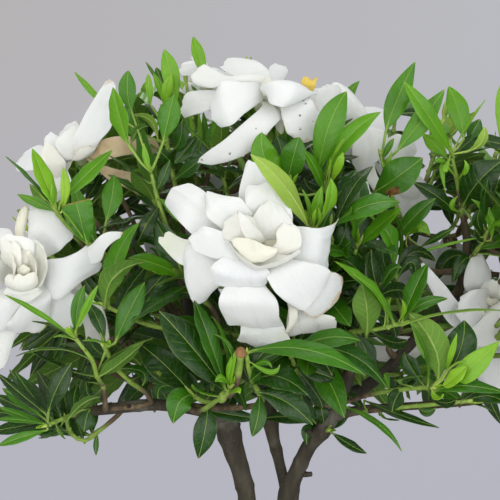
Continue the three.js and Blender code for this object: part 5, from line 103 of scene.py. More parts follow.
"flower_top_back":([[-33.9,34,351.2,1.9],[-35.7,27.4,356.1,2.3],[-37.3,22,360.1,3.6],[-37.8,20,361.6,5.2],[-38.4,18.1,363,3.2]],[
([[[-39.5,19.5,361.6],[-38,19.5,362],[-36.4,19.5,362.3]],[[-37.2,18,360],[-35.3,18,360.9],[-33.5,18,360.9]],[[-44.3,14,363.5],[-42.5,14,368],[-38,16,369.9]],[[-48.4,14,363.5],[-48.9,14,368],[-44.4,16,370.8]]],[0,0,0,0,0]),
([[[-39.4,20.1,361.9],[-37.8,20.1,361.5],[-36.2,20.1,361.1]],[[-38.1,20,361.9],[-36.3,20,361.9],[-34.5,20,361]],[[-41.8,20,368.3],[-39,20,370.1],[-36.3,20,368.3]],[[-44.6,22,373],[-41.4,24,375.8],[-38.2,24,374]]],[0,0,0,0,0]),
([[[-38.9,21.4,361.2],[-37.5,21.4,360.6],[-36,21.4,360]],[[-34.5,20,361],[-31.7,20,361],[-29.9,20,359.1]],[[-29.9,20,363.7],[-27.1,22,365.2],[-23.5,24,363]],[[-25.3,26,366.7],[-22.6,28,367.7],[-18.9,30,365.1]]],[0,0,0,0,0]),
([[[-38.2,22,361.4],[-37.3,22,360.1],[-36.3,22,358.9]],[[-33.6,22,359.2],[-31.7,22,357.4],[-30.8,22,355.5]],[[-28.1,28,362.2],[-24.5,30,358.6],[-25.4,30,353.9]],[[-21.7,36,363.4],[-17,40,358.9],[-19.8,40,353.3]]],[0,0,0,0,0]),
([[[-38.3,22,361.4],[-37.3,22,360.1],[-36.3,22,358.9]],[[-37.4,26,360.3],[-35.5,26,357.5],[-33.7,26,355.7]],[[-42.4,36,361.6],[-42.4,38,356],[-38.7,38,352.3]],[[-47.5,46,362],[-48.6,50,355.4],[-42.9,50,350.7]]],[0,0,0,0,0]),
([[[-38.7,21.4,360.7],[-37.3,22,360.1],[-35.9,22.6,359.6]],[[-36.5,26,362.1],[-33.7,28,362.2],[-31.9,28,360.4]],[[-37.7,38,365.4],[-34,42,366.5],[-29.3,42,364.6]],[[-38,50,367.8],[-34.3,54,369],[-28.5,52,367]]],[0,0,0,0,0]),
([[[-39,21.3,361],[-37.5,21.3,360.7],[-35.9,21.3,360.3]],[[-36.3,20,360.1],[-34.5,20,360.1],[-32.6,20,359.1]],[[-38.8,12,361.6],[-35.1,10,362.4],[-31.5,12,360.7]],[[-39.7,12,365.2],[-35.2,12,366.1],[-30.7,14,363.5]]],[0.5,0,0,0,0]),
]),
"flower_left":([[-113.3,-20,270.6,1.9],[-112.3,-33.2,275.1,2.3],[-111.5,-44,278.8,3.6],[-111.3,-47.3,279.9,5.2],[-111.1,-50.6,281,3.2]],[
([[[-113.1,-44.2,278.6],[-111.5,-44.2,278.8],[-109.9,-44.2,279]],[[-110.9,-42,282.8],[-107.5,-42,284.5],[-104.2,-42,283.7]],[[-110.2,-46,295.8],[-102.4,-48,297.6],[-95.2,-46,289.5]],[[-110.3,-42,303.2],[-101.2,-44,304.5],[-91.8,-42,295.1]],[[-109.1,-38,306.8],[-104.5,-38,308.1],[-99,-38,301.7]]],[0,0,0,0,0]),
([[[-113,-44,278.1],[-111.5,-44,278.8],[-110.1,-44,279.5]],[[-112.9,-40,284.4],[-112.1,-40,285.2],[-111.2,-40,285.2]],[[-116.3,-42,295.6],[-113.9,-44,296.5],[-112.1,-42,295.6]],[[-114.7,-38,306],[-111.8,-40,306.9],[-110,-38,305.1]]],[0.9,0.25,0,0,0]),
([[[-111.5,-47.3,278.3],[-111.3,-47.3,279.9],[-111.1,-47.3,281.5]],[[-107.8,-47,276.5],[-106.9,-47,279.9],[-106.9,-47,283.2]],[[-100.3,-53,269.1],[-99.9,-56,277.7],[-100.2,-53,285]],[[-95.8,-53,268.4],[-92.3,-57,278.2],[-92.7,-53,286]],[[-88,-51,275],[-86,-54,281.3],[-87.1,-51,289.4]],[[-79.2,-47,279.7],[-80.2,-49,285.9],[-84.1,-47,291]]],[0,0,0,0,0]),
([[[-111.6,-48.1,278.6],[-111.2,-48.1,280.2],[-110.8,-48.1,281.7]],[[-96.9,-46,281.5],[-96.9,-46,283.2],[-96.1,-46,284.8]],[[-88.3,-48,282.5],[-88.2,-49,285.5],[-87.4,-48,288.4]],[[-79,-53,284.1],[-80.5,-54,287.9],[-82.7,-53,291.2]],[[-76.3,-55,289.7],[-77,-56,292.6],[-78.7,-55,295.1]],[[-72.1,-55,293.2],[-73.3,-56,295],[-75,-55,296.4]],[[-69.3,-54,294.2],[-69.9,-54.5,295.3],[-70.5,-54,296.3]],[[-67.1,-53,294.5],[-67.3,-53,295],[-67.4,-53,295.4]]],[0,0.7,0,0,0]),
([[[-112.8,-48.6,280.3],[-111.2,-48.6,280.3],[-109.6,-48.6,280.3]],[[-107.4,-50,275.9],[-105.7,-50,275.1],[-104,-50,275.9]],[[-112.7,-54,265.4],[-105.5,-58,266.7],[-99.4,-54,269.6]],[[-118.4,-50,258.2],[-108.6,-54,258.7],[-100.8,-50,262.5]],[[-120.8,-46,256.1],[-112.1,-48,252.9],[-104.3,-46,254]]],[0,0.15,0,0,0]),
([[[-112.9,-47.8,280.1],[-111.3,-47.8,280.1],[-109.7,-47.8,280.1]],[[-116.6,-50,275.1],[-114.1,-50,274.2],[-111.6,-50,275.1]],[[-126,-54,268.8],[-118.7,-58,267.5],[-111.9,-54,267.9]],[[-129.3,-50,260.8],[-121.1,-54,259.5],[-114.2,-50,261.6]],[[-129.2,-46,254.4],[-123,-48,252.9],[-117.4,-46,256.1]]],[0,0,0,0,0]),
([[[-113.1,-44,278.8],[-111.5,-44,278.8],[-109.9,-44,278.8]],[[-117.3,-40,272.5],[-114.7,-40,271.6],[-112.2,-40,272.5]],[[-125.6,-42,258.2],[-119.2,-45,257.7],[-113.7,-42,257.3]],[[-128.6,-40,248.5],[-122.3,-42,247.1],[-117.5,-40,249.4]],[[-128.5,-36,238.5],[-124.1,-37,236.9],[-120.8,-36,239.4]]],[0.1,0,0,0,0]),
([[[-112.7,-45.8,278.4],[-111.4,-45.8,279.4],[-110.1,-45.8,280.3]],[[-106.2,-46,276.4],[-104.5,-46,277.2],[-102.8,-46,278.9]],[[-102.7,-48,263.9],[-96.6,-50,266.2],[-90.9,-48,269.4]],[[-100.1,-46,258.2],[-93.5,-48,260.1],[-87.8,-46,265]],[[-95.8,-43,253.2],[-90.6,-44,255.4],[-86,-43,260]]],[0,0,0,0,0]),
([[[-113,-44,278.1],[-111.5,-44,278.8],[-110.1,-44,279.5]],[[-104.4,-34,277.9],[-102.7,-34,278.8],[-101,-34,279.6]],[[-93.6,-32,265.7],[-89.1,-34,265.9],[-86.7,-32,268.3]],[[-88.7,-30,254.2],[-84.2,-32,254.4],[-81.8,-30,257.7]],[[-88.3,-26,246.7],[-83.9,-27,245.1],[-79.6,-26,248.4]]],[0.25,0,0,0,0]),
([[[-113,-44,278.1],[-111.5,-44,278.8],[-110.1,-44,279.5]],[[-95.7,-36,272.9],[-93.9,-36,273.8],[-92.2,-36,274.7]],[[-84.8,-42,266.7],[-82.9,-44,268.6],[-81.4,-42,269.2]],[[-80,-44,258.4],[-78.6,-46,259.5],[-77.9,-44,260.1]],[[-79,-42,249.6],[-77.6,-43,249.3],[-76.4,-42,250.1]]],[0.6,0,0,0,0]),
([[[-111.4,-46.1,277.9],[-111.4,-46.1,279.5],[-111.4,-46.1,281.1]],[[-118,-46,278.9],[-118.8,-46,281.5],[-117.9,-46,284]],[[-129.6,-52,274.4],[-128.8,-56,282.3],[-127.8,-52,289.5]],[[-138.7,-48,271.5],[-139.9,-50,281.8],[-137.7,-48,290.9]],[[-144.1,-42,273.5],[-146.5,-42,281.1],[-143.9,-42,287.9]]],[0,0,0,0,0]),
([[[-113.1,-44,278.8],[-111.5,-44,278.8],[-109.9,-44,278.8]],[[-116.8,-42,284.5],[-114.3,-42,285.4],[-111.8,-42,284.5]],[[-128,-46,289.9],[-121.7,-48,292.6],[-115.3,-46,293.3]],[[-132.8,-42,291.3],[-125.7,-44,295.7],[-118.4,-42,296.4]],[[-133.5,-38,292.8],[-127.5,-38,296.6],[-121.6,-38,296.6]]],[0,0,0,0,0]),
([[[-112.7,-50.6,281],[-111.1,-50.6,281],[-109.5,-50.6,281]],[[-115.1,-54,282.1],[-110.9,-54,282.9],[-106.7,-54,282.1]],[[-118.9,-61,288.4],[-112,-63,290.6],[-105.7,-61,288.4]],[[-120.5,-61,293],[-112.9,-62,295.5],[-104.9,-61,293]]],[0.15,0,0,0,0]),
([[[-112.6,-50.6,281.2],[-111.1,-50.6,281],[-109.5,-50.6,280.9]],[[-116,-54,276.3],[-111.8,-54,274.6],[-106.8,-54,275.4]],[[-117.4,-61,273.6],[-111.3,-63,271.7],[-104.2,-61,273.6]],[[-119.2,-60,271],[-111.7,-61,269],[-102.7,-60,272.7]]],[0.3,0,0,0,0]),
([[[-111,-50.6,282.6],[-111.1,-50.6,281],[-111.1,-50.6,279.4]],[[-115.9,-54,282.1],[-116.7,-54,279.6],[-115.9,-54,277.1]],[[-122,-62,287.7],[-122.6,-64,281.3],[-121.3,-62,273.7]],[[-125.9,-58,289.9],[-127.3,-60,280.9],[-125.3,-58,271.7]]],[0.2,0,0,0,0]),
([[[-112.5,-50.6,281.7],[-111.1,-50.6,281],[-109.6,-50.6,280.3]],[[-113.4,-54,281.3],[-111.6,-55,280.5],[-110.1,-54,279.6]],[[-118.6,-58,284.1],[-114.8,-61,281.8],[-111.7,-60,279.3]],[[-119.5,-62,289.3],[-115,-65,287.1],[-110.2,-64,286.2]],[[-118.6,-62,293.4],[-115.1,-64,293.2],[-111.1,-63,292.3]]],[0.4,0,0,0,0]),
([[[-112.7,-50.6,281],[-111.1,-50.6,281],[-109.5,-50.6,281]],[[-114.1,-58,278.3],[-111.1,-59,277.1],[-108.3,-58,278.3]],[[-117.2,-62,274.9],[-110.2,-65,272.7],[-104.1,-62,275.3]],[[-117.3,-64,277.6],[-110.3,-67,275],[-103.8,-64,278.4]],[[-115.6,-64,280.5],[-110.8,-66,279],[-105.4,-64,282.1]]],[0.5,0,0,0,0]),
([[[-111.3,-50.6,282.6],[-111.1,-50.6,281],[-110.8,-50.6,279.4]],[[-109,-56,282.3],[-108.1,-56,280.2],[-108.2,-56,277.7]],[[-105,-60,286.7],[-102.6,-60,280.9],[-105,-61,274]],[[-104.6,-63,291],[-100.6,-63,284.5],[-102.2,-64,275.5]],[[-106.9,-64,293.6],[-101.3,-66,290.4],[-99.8,-66,280.6]]],[0.35,0,0,0,0]),
([[[-111.3,-50.6,282.6],[-111.1,-50.6,281],[-110.8,-50.6,279.4]],[[-110.3,-58,281.6],[-109.1,-58,279.5],[-109.5,-58,277]],[[-108.2,-61,284.3],[-105.4,-61,280.2],[-107.8,-62,274.5]],[[-108.6,-64,287.4],[-104.5,-64,283.7],[-105.3,-65,275.6]],[[-109.2,-65,288.7],[-105.4,-66,286.8],[-104.2,-67,279.9]]],[0.6,0,0,0,0]),
([[[-112.6,-50.6,281.1],[-111.1,-50.6,281],[-109.5,-50.6,280.9]],[[-114,-56,276.5],[-111.5,-56,275.6],[-108.2,-56,276]],[[-116.7,-60,273.5],[-110.7,-62,270],[-103.5,-60,272.7]],[[-117.2,-62,272],[-110.6,-63,268],[-101.6,-62,272.5]]],[0.3,0,0,0,0]),
([[[-111.8,-50.6,282.5],[-111.1,-50.6,281],[-110.4,-50.6,279.6]],[[-112.8,-58,280.8],[-112,-58,279.1],[-111.2,-58,277.5]],[[-115.5,-62,283.6],[-113.7,-63,280.4],[-113.9,-62,275.3]],[[-115.9,-64,287],[-113.6,-66,283.1],[-114.4,-64,275.5]],[[-115,-65,288.7],[-112.6,-67,285.6],[-113.3,-66,279]]],[0.6,0,0,0,0]),
([[[-112.6,-50.6,281.2],[-111.1,-50.6,281],[-109.5,-50.6,280.8]],[[-113.1,-56,280.6],[-111.5,-56,280.2],[-109.8,-56,280.2]],[[-114.1,-60,283.4],[-110.7,-61,281.8],[-107.6,-60,283.4]],[[-114.2,-62,286.9],[-110.4,-63,285.3],[-106.8,-62,286.9]],[[-113.5,-61,289.7],[-110.5,-62,290.6],[-107.8,-61,289.7]]],[0.7,0,0,0,0]),
([[[-112.7,-50.6,281],[-111.1,-50.6,281],[-109.5,-50.6,281]],[[-112.7,-56,276.9],[-110.9,-57,276.5],[-109.4,-56,276.9]],[[-112.8,-61,279],[-110,-62,278.2],[-107.5,-61,279]],[[-112.3,-63,281.2],[-109.5,-64,280.9],[-107.1,-63,281.2]],[[-111.6,-63,282.8],[-109.4,-64,283.5],[-107.5,-63,282.8]]],[0.8,0,0,0,0]),
]),
"flower_upper_left":([[-92.9,14,322.5,1.9],[-93.8,4.1,327.1,2.3],[-94.5,-4,330.8,3.6],[-94.7,-6.3,331.9,5.2],[-94.9,-8.5,332.9,3.2]],[
([[[-96.2,-5.4,331.5],[-94.6,-5.4,331.5],[-93,-5.4,331.5]],[[-95,-8,327.3],[-91.4,-8,326.4],[-87.9,-8,327.3]],[[-95.5,-11,333.5],[-89.2,-12,331.7],[-83.1,-11,333.9]],[[-91.9,-11,341.4],[-85.2,-12,339.6],[-78,-9,340.5]],[[-87.2,-9,350.2],[-82.7,-10,348.4],[-78.5,-7,349.4]],[[-82.2,-5,358.3],[-80,-5,358.3],[-77,-4,358.3]],[[-81,-3,360.5],[-79.7,-3,360.8],[-78,-2.5,360.1]]],[0,0.35,0,0,0]),
([[[-95.8,-4,329.9],[-94.5,-4,330.8],[-93.2,-4,331.8]],[[-95.8,0,330.8],[-94,0,332.6],[-92.2,0,333.5]],[[-101.6,3,333.5],[-97.8,2,337.1],[-93.4,3,339.8]],[[-103.7,6,337.1],[-99.9,5,340.7],[-95.5,6,343.4]]],[0,0,0,0,0]),
([[[-95.8,-4,329.9],[-94.5,-4,330.8],[-93.2,-4,331.8]],[[-102.3,-6,322],[-100.6,-6,323.3],[-98.8,-6,324.6]],[[-112,-7,321.1],[-109.2,-8,325.5],[-105.8,-6,329.9]],[[-121.2,-2,321],[-117.9,-2.5,326.4],[-111.8,-1,332.1]],[[-122.3,0,323.2],[-120.1,0,326.8],[-114.3,1,330.6]]],[0,0,0,0,0]),
([[[-96.1,-3.8,330.6],[-94.5,-4,330.8],[-92.9,-4.2,331]],[[-105.9,-6,317.5],[-103.1,-7,317.5],[-99.6,-7,318.4]],[[-109.8,-10,323.3],[-103.4,-12,322.9],[-98.3,-10,323.8]],[[-108.5,-9,332.2],[-105.4,-9,332.6],[-101.9,-9,330]]],[0.5,0,0,0,0]),
([[[-96.1,-4,330.6],[-94.5,-4,330.8],[-92.9,-4,331.1]],[[-103.2,-6,321.1],[-100.6,-6,321.1],[-97.9,-6,322]],[[-105.7,-8,313.1],[-101.2,-9,312.3],[-95.9,-8,314.9]],[[-106.2,-5,307.7],[-102.6,-5,306.8],[-98.1,-5,308.6]]],[0,0,0,0,0]),
([[[-96.3,-6,331.5],[-94.7,-6,331.7],[-93.1,-6,332]],[[-95.7,-9,325.5],[-93.1,-9,325.5],[-90.4,-9,326.4]],[[-93.6,-12,329.1],[-89.2,-12,328.2],[-85.8,-11,330]],[[-91,-12,331.7],[-87.4,-12,331.7],[-84.1,-10,331.7]]],[0.5,0.4,0,0,0]),
([[[-95,-6.3,333.5],[-94.7,-6.3,331.9],[-94.4,-6.3,330.3]],[[-86.9,-8,333.5],[-86.1,-8,330],[-85.2,-8,325.5]],[[-75.3,-10,336.1],[-74.3,-11,331.7],[-73.5,-10,327.3]],[[-65.5,-10,335.7],[-64.7,-10,331.7],[-64.3,-10,328.6]],[[-58.6,-8,334.8],[-57.7,-8,331.3],[-58.2,-8,328.2]]],[0.9,0.95,0,0,0]),
([[[-95.2,-4,332.3],[-94.5,-4,330.8],[-93.8,-4,329.4]],[[-87.2,-6,325.5],[-86.3,-6,323.7],[-85.5,-6,322]],[[-77.8,-12,322.1],[-76,-13,319.4],[-77.8,-12,315.9]],[[-69.7,-14,320.3],[-68,-14,315.9],[-69.8,-14,312.4]],[[-63.7,-13,317.7],[-61.1,-13,309.8],[-62.8,-13,308]]],[0.6,0.92,0,0,0]),
([[[-96,-4,331.2],[-94.5,-4,330.8],[-92.9,-4,330.4]],[[-94.9,0,329.9],[-93.2,0,329.9],[-91.4,0,329]],[[-101.5,10,333.5],[-97.2,12,335.7],[-91.5,10,333.9]],[[-104.3,18,336.2],[-99,20,338.5],[-93.2,18,335.3]]],[0,0,0,0,0]),
([[[-96.2,-5.4,331.2],[-94.6,-5.4,331.5],[-93,-5.4,331.7]],[[-99.4,-8,325.5],[-96.7,-8,325.5],[-94.1,-8,326.4]],[[-102.8,-9,331.7],[-98.2,-10,330.8],[-93,-9,332.6]],[[-101.2,-7,337],[-97.6,-7,339.2],[-94.2,-6,341]]],[0.15,0,0,0,0]),
([[[-96.1,-4,330.5],[-94.5,-4,330.8],[-92.9,-4,331.1]],[[-101.4,-6,324.6],[-99.7,-6,325.1],[-97,-6,325.5]],[[-107.6,-6,329.9],[-103.9,-7,329.9],[-98.6,-7,331.7]],[[-108.8,-3,335.7],[-105.7,-3,337.3],[-101.7,-3,336.2]]],[0,0,0,0,0]),
]),
"flower_upper_right":([[35.2,28,321.4,1.9],[35.4,17,326.5,2.3],[35.6,8,330.8,3.6],[35.6,5.7,331.8,5.2],[35.6,3.5,332.9,3.2]],[
([[[34,6.3,331.4],[35.6,6.3,331.6],[37.2,6.3,331.8]],[[29.2,8,333.5],[32.8,8,335.3],[36.4,8,334.4]],[[22.4,0,342.4],[27.5,-4,346.8],[34.9,0,342.4]],[[18.8,0,350.4],[26.5,-4,353],[36.2,0,345.1]],[[16.3,4,356.8],[21.6,4,359.9],[28.8,4,355.9]]],[0,0,0,0,0]),
([[[34.3,8,329.8],[35.6,8,330.8],[36.8,8,331.7]],[[28.4,10,331.7],[30.2,10,333.5],[32.1,10,334.4]],[[19.2,8,339.8],[22.8,8,346.1],[28.2,8,348.8]],[[13.9,12,348],[16.6,12,353.4],[23,12,356.1]],[[11.3,16,354.5],[15,16,358.1],[19.6,16,359.9]]],[0.1,0,0,0,0]),
([[[34.2,3.5,332.2],[35.6,3.5,332.9],[37.1,3.5,333.6]],[[32.1,-2,329.9],[34.8,-2,331.7],[37.5,-2,332.6]],[[28,-10,337],[34,-12,339.6],[41.1,-12,338.8]],[[27.8,-13,330],[35.5,-16,331.3],[43.5,-14,336.1]],[[28.4,-11,323.8],[34.1,-12,321.6],[40.7,-12,326.5]]],[0.05,0,0,0,0]),
([[[34.1,3.5,332.6],[35.6,3.5,332.9],[37.2,3.5,333.2]],[[32.1,-2,328.1],[34.8,-2,328.1],[37.5,-2,329]],[[29.1,-8,324.6],[33.3,-11,322],[38.7,-9,325.5]],[[29.5,-8,320.7],[33.8,-10,318.1],[37.9,-9,320.2]]],[0.2,0,0,0,0]),
([[[34.1,3.5,332.5],[35.6,3.5,332.9],[37.2,3.5,333.2]],[[33.7,-6,324.6],[35.4,-6,324.6],[37.7,-6,325.5]],[[33.7,-12,318.5],[36.3,-13,317.7],[39,-12,319.4]],[[37.2,-13,312.4],[39.3,-14,312.4],[41.2,-12,314.1]],[[40.5,-10,309.2],[41.4,-10,308.8],[41.9,-9,309.6]]],[0,0,0.3,0,0]),
([[[34.7,4.3,331.2],[35.6,4.3,332.5],[36.6,4.3,333.8]],[[38,4,329.9],[39.8,4,331.7],[40.7,4,333.5]],[[43.9,0,327.2],[47.3,-2,331.7],[49.3,0,337.1]],[[48.4,0,323.6],[52.9,0,329],[53.9,2,335.3]],[[51.5,4,322.7],[56.9,4,327.2],[58,6,333.5]]],[0.1,0,0,0,0]),
([[[34.2,8,331.7],[35.6,8,330.8],[36.9,8,329.9]],[[38.3,8,328.1],[40.1,8,327.1],[41,8,326.2]],[[44.7,8,319],[50.1,8,319.9],[53,10,324.4]],[[49.5,10,311.7],[55.8,10,314.4],[58.7,12,319.8]],[[53.5,14,307],[60.8,14,308.8],[64.7,16,314.2]]],[0.1,0,0,0,0]),
([[[34.2,8,331.7],[35.6,8,330.8],[36.9,8,329.9]],[[37.7,12,326.2],[39.5,12,325.3],[40.4,12,324.4]],[[46.2,14,311.6],[51.7,14,313.4],[56.4,16,317]],[[50.8,14,304.2],[58.1,14,306.1],[63.8,16,310.6]],[[52.4,16,299.1],[60.2,16,301.4],[67.7,18,308.7]]],[0,0,0,0,0]),
([[[34.1,3.5,332.4],[35.6,3.5,332.9],[37.1,3.5,333.4]],[[30.1,-6,326.4],[32.8,-6,327.3],[35.4,-6,328.2]],[[28.8,-12,325.6],[33.1,-13,324.7],[37.6,-12,327.3]],[[30.5,-13,329.1],[33.9,-14,328.2],[37.5,-13,330.9]]],[0.7,0,0,0,0]),
([[[34,8,330.8],[35.6,8,330.8],[37.2,8,330.8]],[[33.3,14,330.7],[36,14,331.7],[38.7,14,330.7]],[[30.2,24,339],[38.7,26,343.7],[47.1,26,339]],[[29.9,34,345.6],[40.5,38,350.4],[50.7,36,344.7]]],[0,0,0,0,0]),
([[[34.4,8,331.9],[35.6,8,330.8],[36.7,8,329.6]],[[38.9,16,329.8],[40.7,16,328.9],[41.7,16,327.1]],[[48.2,28,331.6],[53.1,30,327.9],[52.2,30,321.3]],[[55,40,331.6],[60.9,42,325.9],[58.1,42,319.2]]],[0,0,0,0,0]),
([[[35,8,329.3],[35.6,8,330.8],[36.1,8,332.3]],[[30.7,16,328],[30.7,16,330.7],[32.5,16,332.6]],[[22,26,325.1],[20.3,28,332.5],[23.9,26,339]],[[16,36,322.2],[13.2,38,331.6],[17.9,38,340.1]]],[0,0,0,0,0]),
]),
"flower_right":([[97.1,8,253.3,1.9],[93.7,-4.1,258.1,2.3],[90.9,-14,262,3.6],[90.2,-16.2,262.9,5.2],[89.6,-18.5,263.8,3.2]],[
([[[89.2,-14.2,262.1],[90.8,-14.2,262.1],[92.4,-14.2,262.1]],[[85.8,-12,264.5],[87.6,-12,265.4],[89.8,-12,264.5]],[[77,-18,269.5],[81.9,-20,271.5],[87.5,-18,269.5]],[[77.6,-16,276.9],[83,-18,278.8],[89.1,-16,275.5]],[[80.8,-12,282.7],[84.7,-12,284.3],[87.9,-12,281]]],[0,0,0,0,0]),
([[[89.5,-17,261.5],[89.9,-17,263.2],[90.4,-17,265]],[[84.1,-30,256.8],[84.1,-32,263.9],[85.7,-30,270.2]],[[77.5,-34,253.8],[75,-36,262.6],[77.4,-34,269.8]],[[72.8,-34,257.2],[71.7,-35,263.4],[74.1,-33,267.9]]],[0.05,0,0,0,0]),
([[[88.6,-17,262.8],[89.9,-17,263.2],[91.7,-17,263.7]],[[82.6,-34,258.1],[86.7,-35,260.8],[91.1,-34,264.1]],[[75.7,-35,251.3],[83.8,-38,253.4],[94.5,-35,259.1]],[[78.6,-33,245.9],[87.8,-35,245.7],[97.6,-32,251.4]]],[0.12,0,0,0,0]),
([[[88.7,-18.5,262.5],[89.6,-18.5,263.8],[90.5,-18.5,265.2]],[[78.6,-20,259.2],[79.4,-20,260.5],[80.3,-20,261.8]],[[67.7,-30,257.7],[69.2,-31,263],[73.7,-30,263.7]],[[60.4,-32,270.9],[62,-33,274.4],[66.4,-32,272.6]],[[55.4,-30,279.3],[56.3,-30,281.9],[60.6,-30,279.3]]],[0,0,0,0,0]),
([[[88.8,-18.2,262.4],[89.6,-18.2,263.7],[90.5,-18.2,265.1]],[[80.6,-18,257.2],[81.5,-18,258.5],[82.3,-18,259.8]],[[70.8,-26,253.7],[73.1,-28,257.4],[76,-26,259.8]],[[65.3,-28,262.6],[67.7,-29,265.4],[69.6,-28,265.3]],[[66.3,-26,268.5],[68.5,-26,269.4],[69.8,-26,267.7]]],[0,0,0,0,0]),
([[[89.3,-14,262],[90.9,-14,262],[92.5,-14,262]],[[88,-10,256.3],[90.7,-10,255.4],[93.3,-10,256.3]],[[82.5,-12,240.4],[88.5,-14,238.9],[95.8,-12,241.3]],[[83.2,-8,230.9],[90.1,-10,228.5],[98.4,-8,231.8]],[[87.4,-4,223.9],[92.9,-4,222.1],[99.1,-4,224.8]]],[0,0,0,0,0]),
([[[89.6,-14,263],[90.9,-14,262],[92.1,-14,261.1]],[[85.6,-8,256.9],[87.4,-8,255.1],[89.2,-8,254.2]],[[73.3,-8,239.9],[78.4,-10,236.5],[84.9,-8,235.4]],[[65.8,-4,227.5],[71,-6,223.3],[79.3,-4,223.9]],[[68.2,0,217.8],[72.7,0,215],[78.1,0,216.9]]],[0,0.4,0,0,0]),
([[[90.1,-14,263.5],[90.9,-14,262],[91.6,-14,260.6]],[[84.4,-4,256.5],[85.3,-4,254.7],[86.2,-4,252.9]],[[63.8,-4,246.6],[65.5,-6,240.5],[71.1,-4,236.6]],[[47.9,-2,246.3],[48.6,-4,241.1],[52.5,-2,234.5]],[[35.6,2,244.9],[35.6,2,241.2],[41.1,2,233.9]]],[0.1,0,0,0,0]),
([[[90.4,-14,260.5],[90.9,-14,262],[91.3,-14,263.6]],[[93.5,-14,259.4],[95.3,-14,262],[95.3,-14,264.7]],[[101.7,-18,256.3],[103.9,-20,262.7],[102.5,-18,268.6]],[[110,-16,255.2],[113.1,-18,263.4],[110.7,-16,271.1]],[[115.2,-12,257.4],[118.6,-12,263.6],[115.9,-12,269]]],[0,0,0,0,0]),
([[[89.3,-14,262],[90.9,-14,262],[92.5,-14,262]],[[91.1,-12,265.4],[93.8,-12,266.3],[95.6,-12,265.4]],[[91.9,-18,273.1],[96.8,-20,275.9],[101.5,-18,272.2]],[[93.9,-16,279.1],[99.7,-18,282.7],[106.2,-16,278.2]],[[97.1,-12,283.2],[101.5,-12,285.8],[106,-12,283.2]]],[0,0,0,0,0]),
([[[89.5,-14,261.2],[90.9,-14,262],[92.2,-14,262.9]],[[93,-12,256.5],[95.7,-12,257.4],[97.4,-12,259.2]],[[98.7,-16,246.3],[103.6,-18,249.2],[106.5,-16,254.3]],[[103.5,-14,238.9],[109.3,-16,243.6],[113.1,-14,250.5]],[[108.7,-10,235.6],[114,-10,240.1],[116.6,-10,246.4]]],[0,0,0,0,0]),
([[[88,-18.5,263.6],[89.6,-18.5,263.8],[91.2,-18.5,264.1]],[[85.2,-22,262.9],[87.8,-22,264.6],[90.5,-22,263.8]],[[81.4,-30,268.9],[86.2,-32,271.7],[91.7,-30,268.9]],[[82.8,-32,272.6],[87,-32,274.3],[91.4,-32,271.7]]],[0.3,0,0,0,0]),
([[[89.2,-18.5,265.4],[89.6,-18.5,263.8],[89.9,-18.5,262.3]],[[90.5,-22,263.8],[93.1,-22,262],[91.4,-22,259.4]],[[93.5,-30,268.1],[96.6,-32,263.1],[93.6,-30,256.8]],[[93,-33,270.1],[95.4,-34,264.1],[93.1,-33,258.9]]],[0.4,0,0,0,0]),
([[[88.2,-18.5,264.7],[89.6,-18.5,263.8],[91,-18.5,263]],[[86.1,-22,262],[87.9,-22,259.4],[90.5,-22,259.4]],[[81.4,-30,263.7],[83.8,-32,257.9],[91,-30,255.9]],[[81.8,-33,265.8],[84.3,-34,260.7],[90.5,-33,258.9]]],[0.5,0,0,0,0]),
([[[88,-18.5,263.8],[89.6,-18.5,263.8],[91.2,-18.5,263.8]],[[86.7,-24,263.1],[88.4,-24,262.2],[90.2,-24,263.1]],[[84.4,-33,265.8],[87,-33,264.9],[89.6,-33,265.8]],[[84.8,-36,267.8],[86.5,-36,266.5],[88.6,-36,267.4]]],[0.9,0,0,0,0]),
]),
"flower_back":([[-43.1,75.7,295.5,1.9],[-45.8,82.5,298,2.3],[-48,88,300,3.6],[-48.9,90.2,300.8,5.2],[-49.8,92.4,301.6,3.2]],[
([[[-49.2,87.7,299.6],[-48.3,87.7,300.4],[-47.5,88,301.2]],[[-62.3,86.4,303.4],[-56.1,86.5,309],[-50.2,88.5,314.7]],[[-71.5,79.4,309.2],[-62.7,79.5,316.7],[-55.2,81.9,325.4]],[[-71.8,70.8,316.7],[-67,69.6,322],[-61.9,72.1,326.9]]],[0,0,0,0,0]),
([[[-47.7,87.8,301.3],[-47.4,88.2,300.2],[-47.4,88.7,299.1]],[[-41.9,91.7,312],[-39.8,94.2,304.1],[-39.2,98.2,296.6]],[[-31.5,93,318],[-29.2,96.3,306.8],[-27.8,102,296.6]],[[-21.2,92.9,314.7],[-18.6,94.6,307.9],[-18.9,98.4,301.5]]],[0,0,0,0,0]),
([[[-46.8,88.5,300.5],[-47.7,88.3,299.6],[-48.7,88.3,298.9]],[[-37.2,98.3,300.1],[-43.6,96.9,293.6],[-51.1,96.8,288.4]],[[-27.3,103.2,293.2],[-36.6,100.7,284.8],[-46.6,101.1,277.1]],[[-24.2,100.8,282.2],[-29.2,99,276.1],[-36.2,99.5,272.2]]],[0,0,0,0,0]),
([[[-47.2,88.9,299.2],[-48.3,88.1,299.5],[-49.4,87.6,299.9]],[[-47.1,99.3,289.1],[-54.6,93.7,291],[-62.5,89.9,294.4]],[[-49.2,101.3,275.2],[-59,93.3,279.1],[-70.1,88.1,283.4]],[[-55,94.8,266.4],[-61.3,89.4,267.7],[-67.9,86.7,271.8]]],[0,0,0,0,0]),
([[[-47.4,89.3,301.1],[-48,89.3,300.1],[-48.8,89.5,299.3]],[[-41.4,97.6,306.5],[-45.7,98.2,299.5],[-51.7,99.3,293.5]],[[-33.7,104.6,306],[-39.9,105.2,296.2],[-47.6,107.7,287.7]],[[-29.3,106.6,297.9],[-32.2,107.2,291.2],[-37.4,108.9,286.3]]],[0,0.25,0,0,0]),
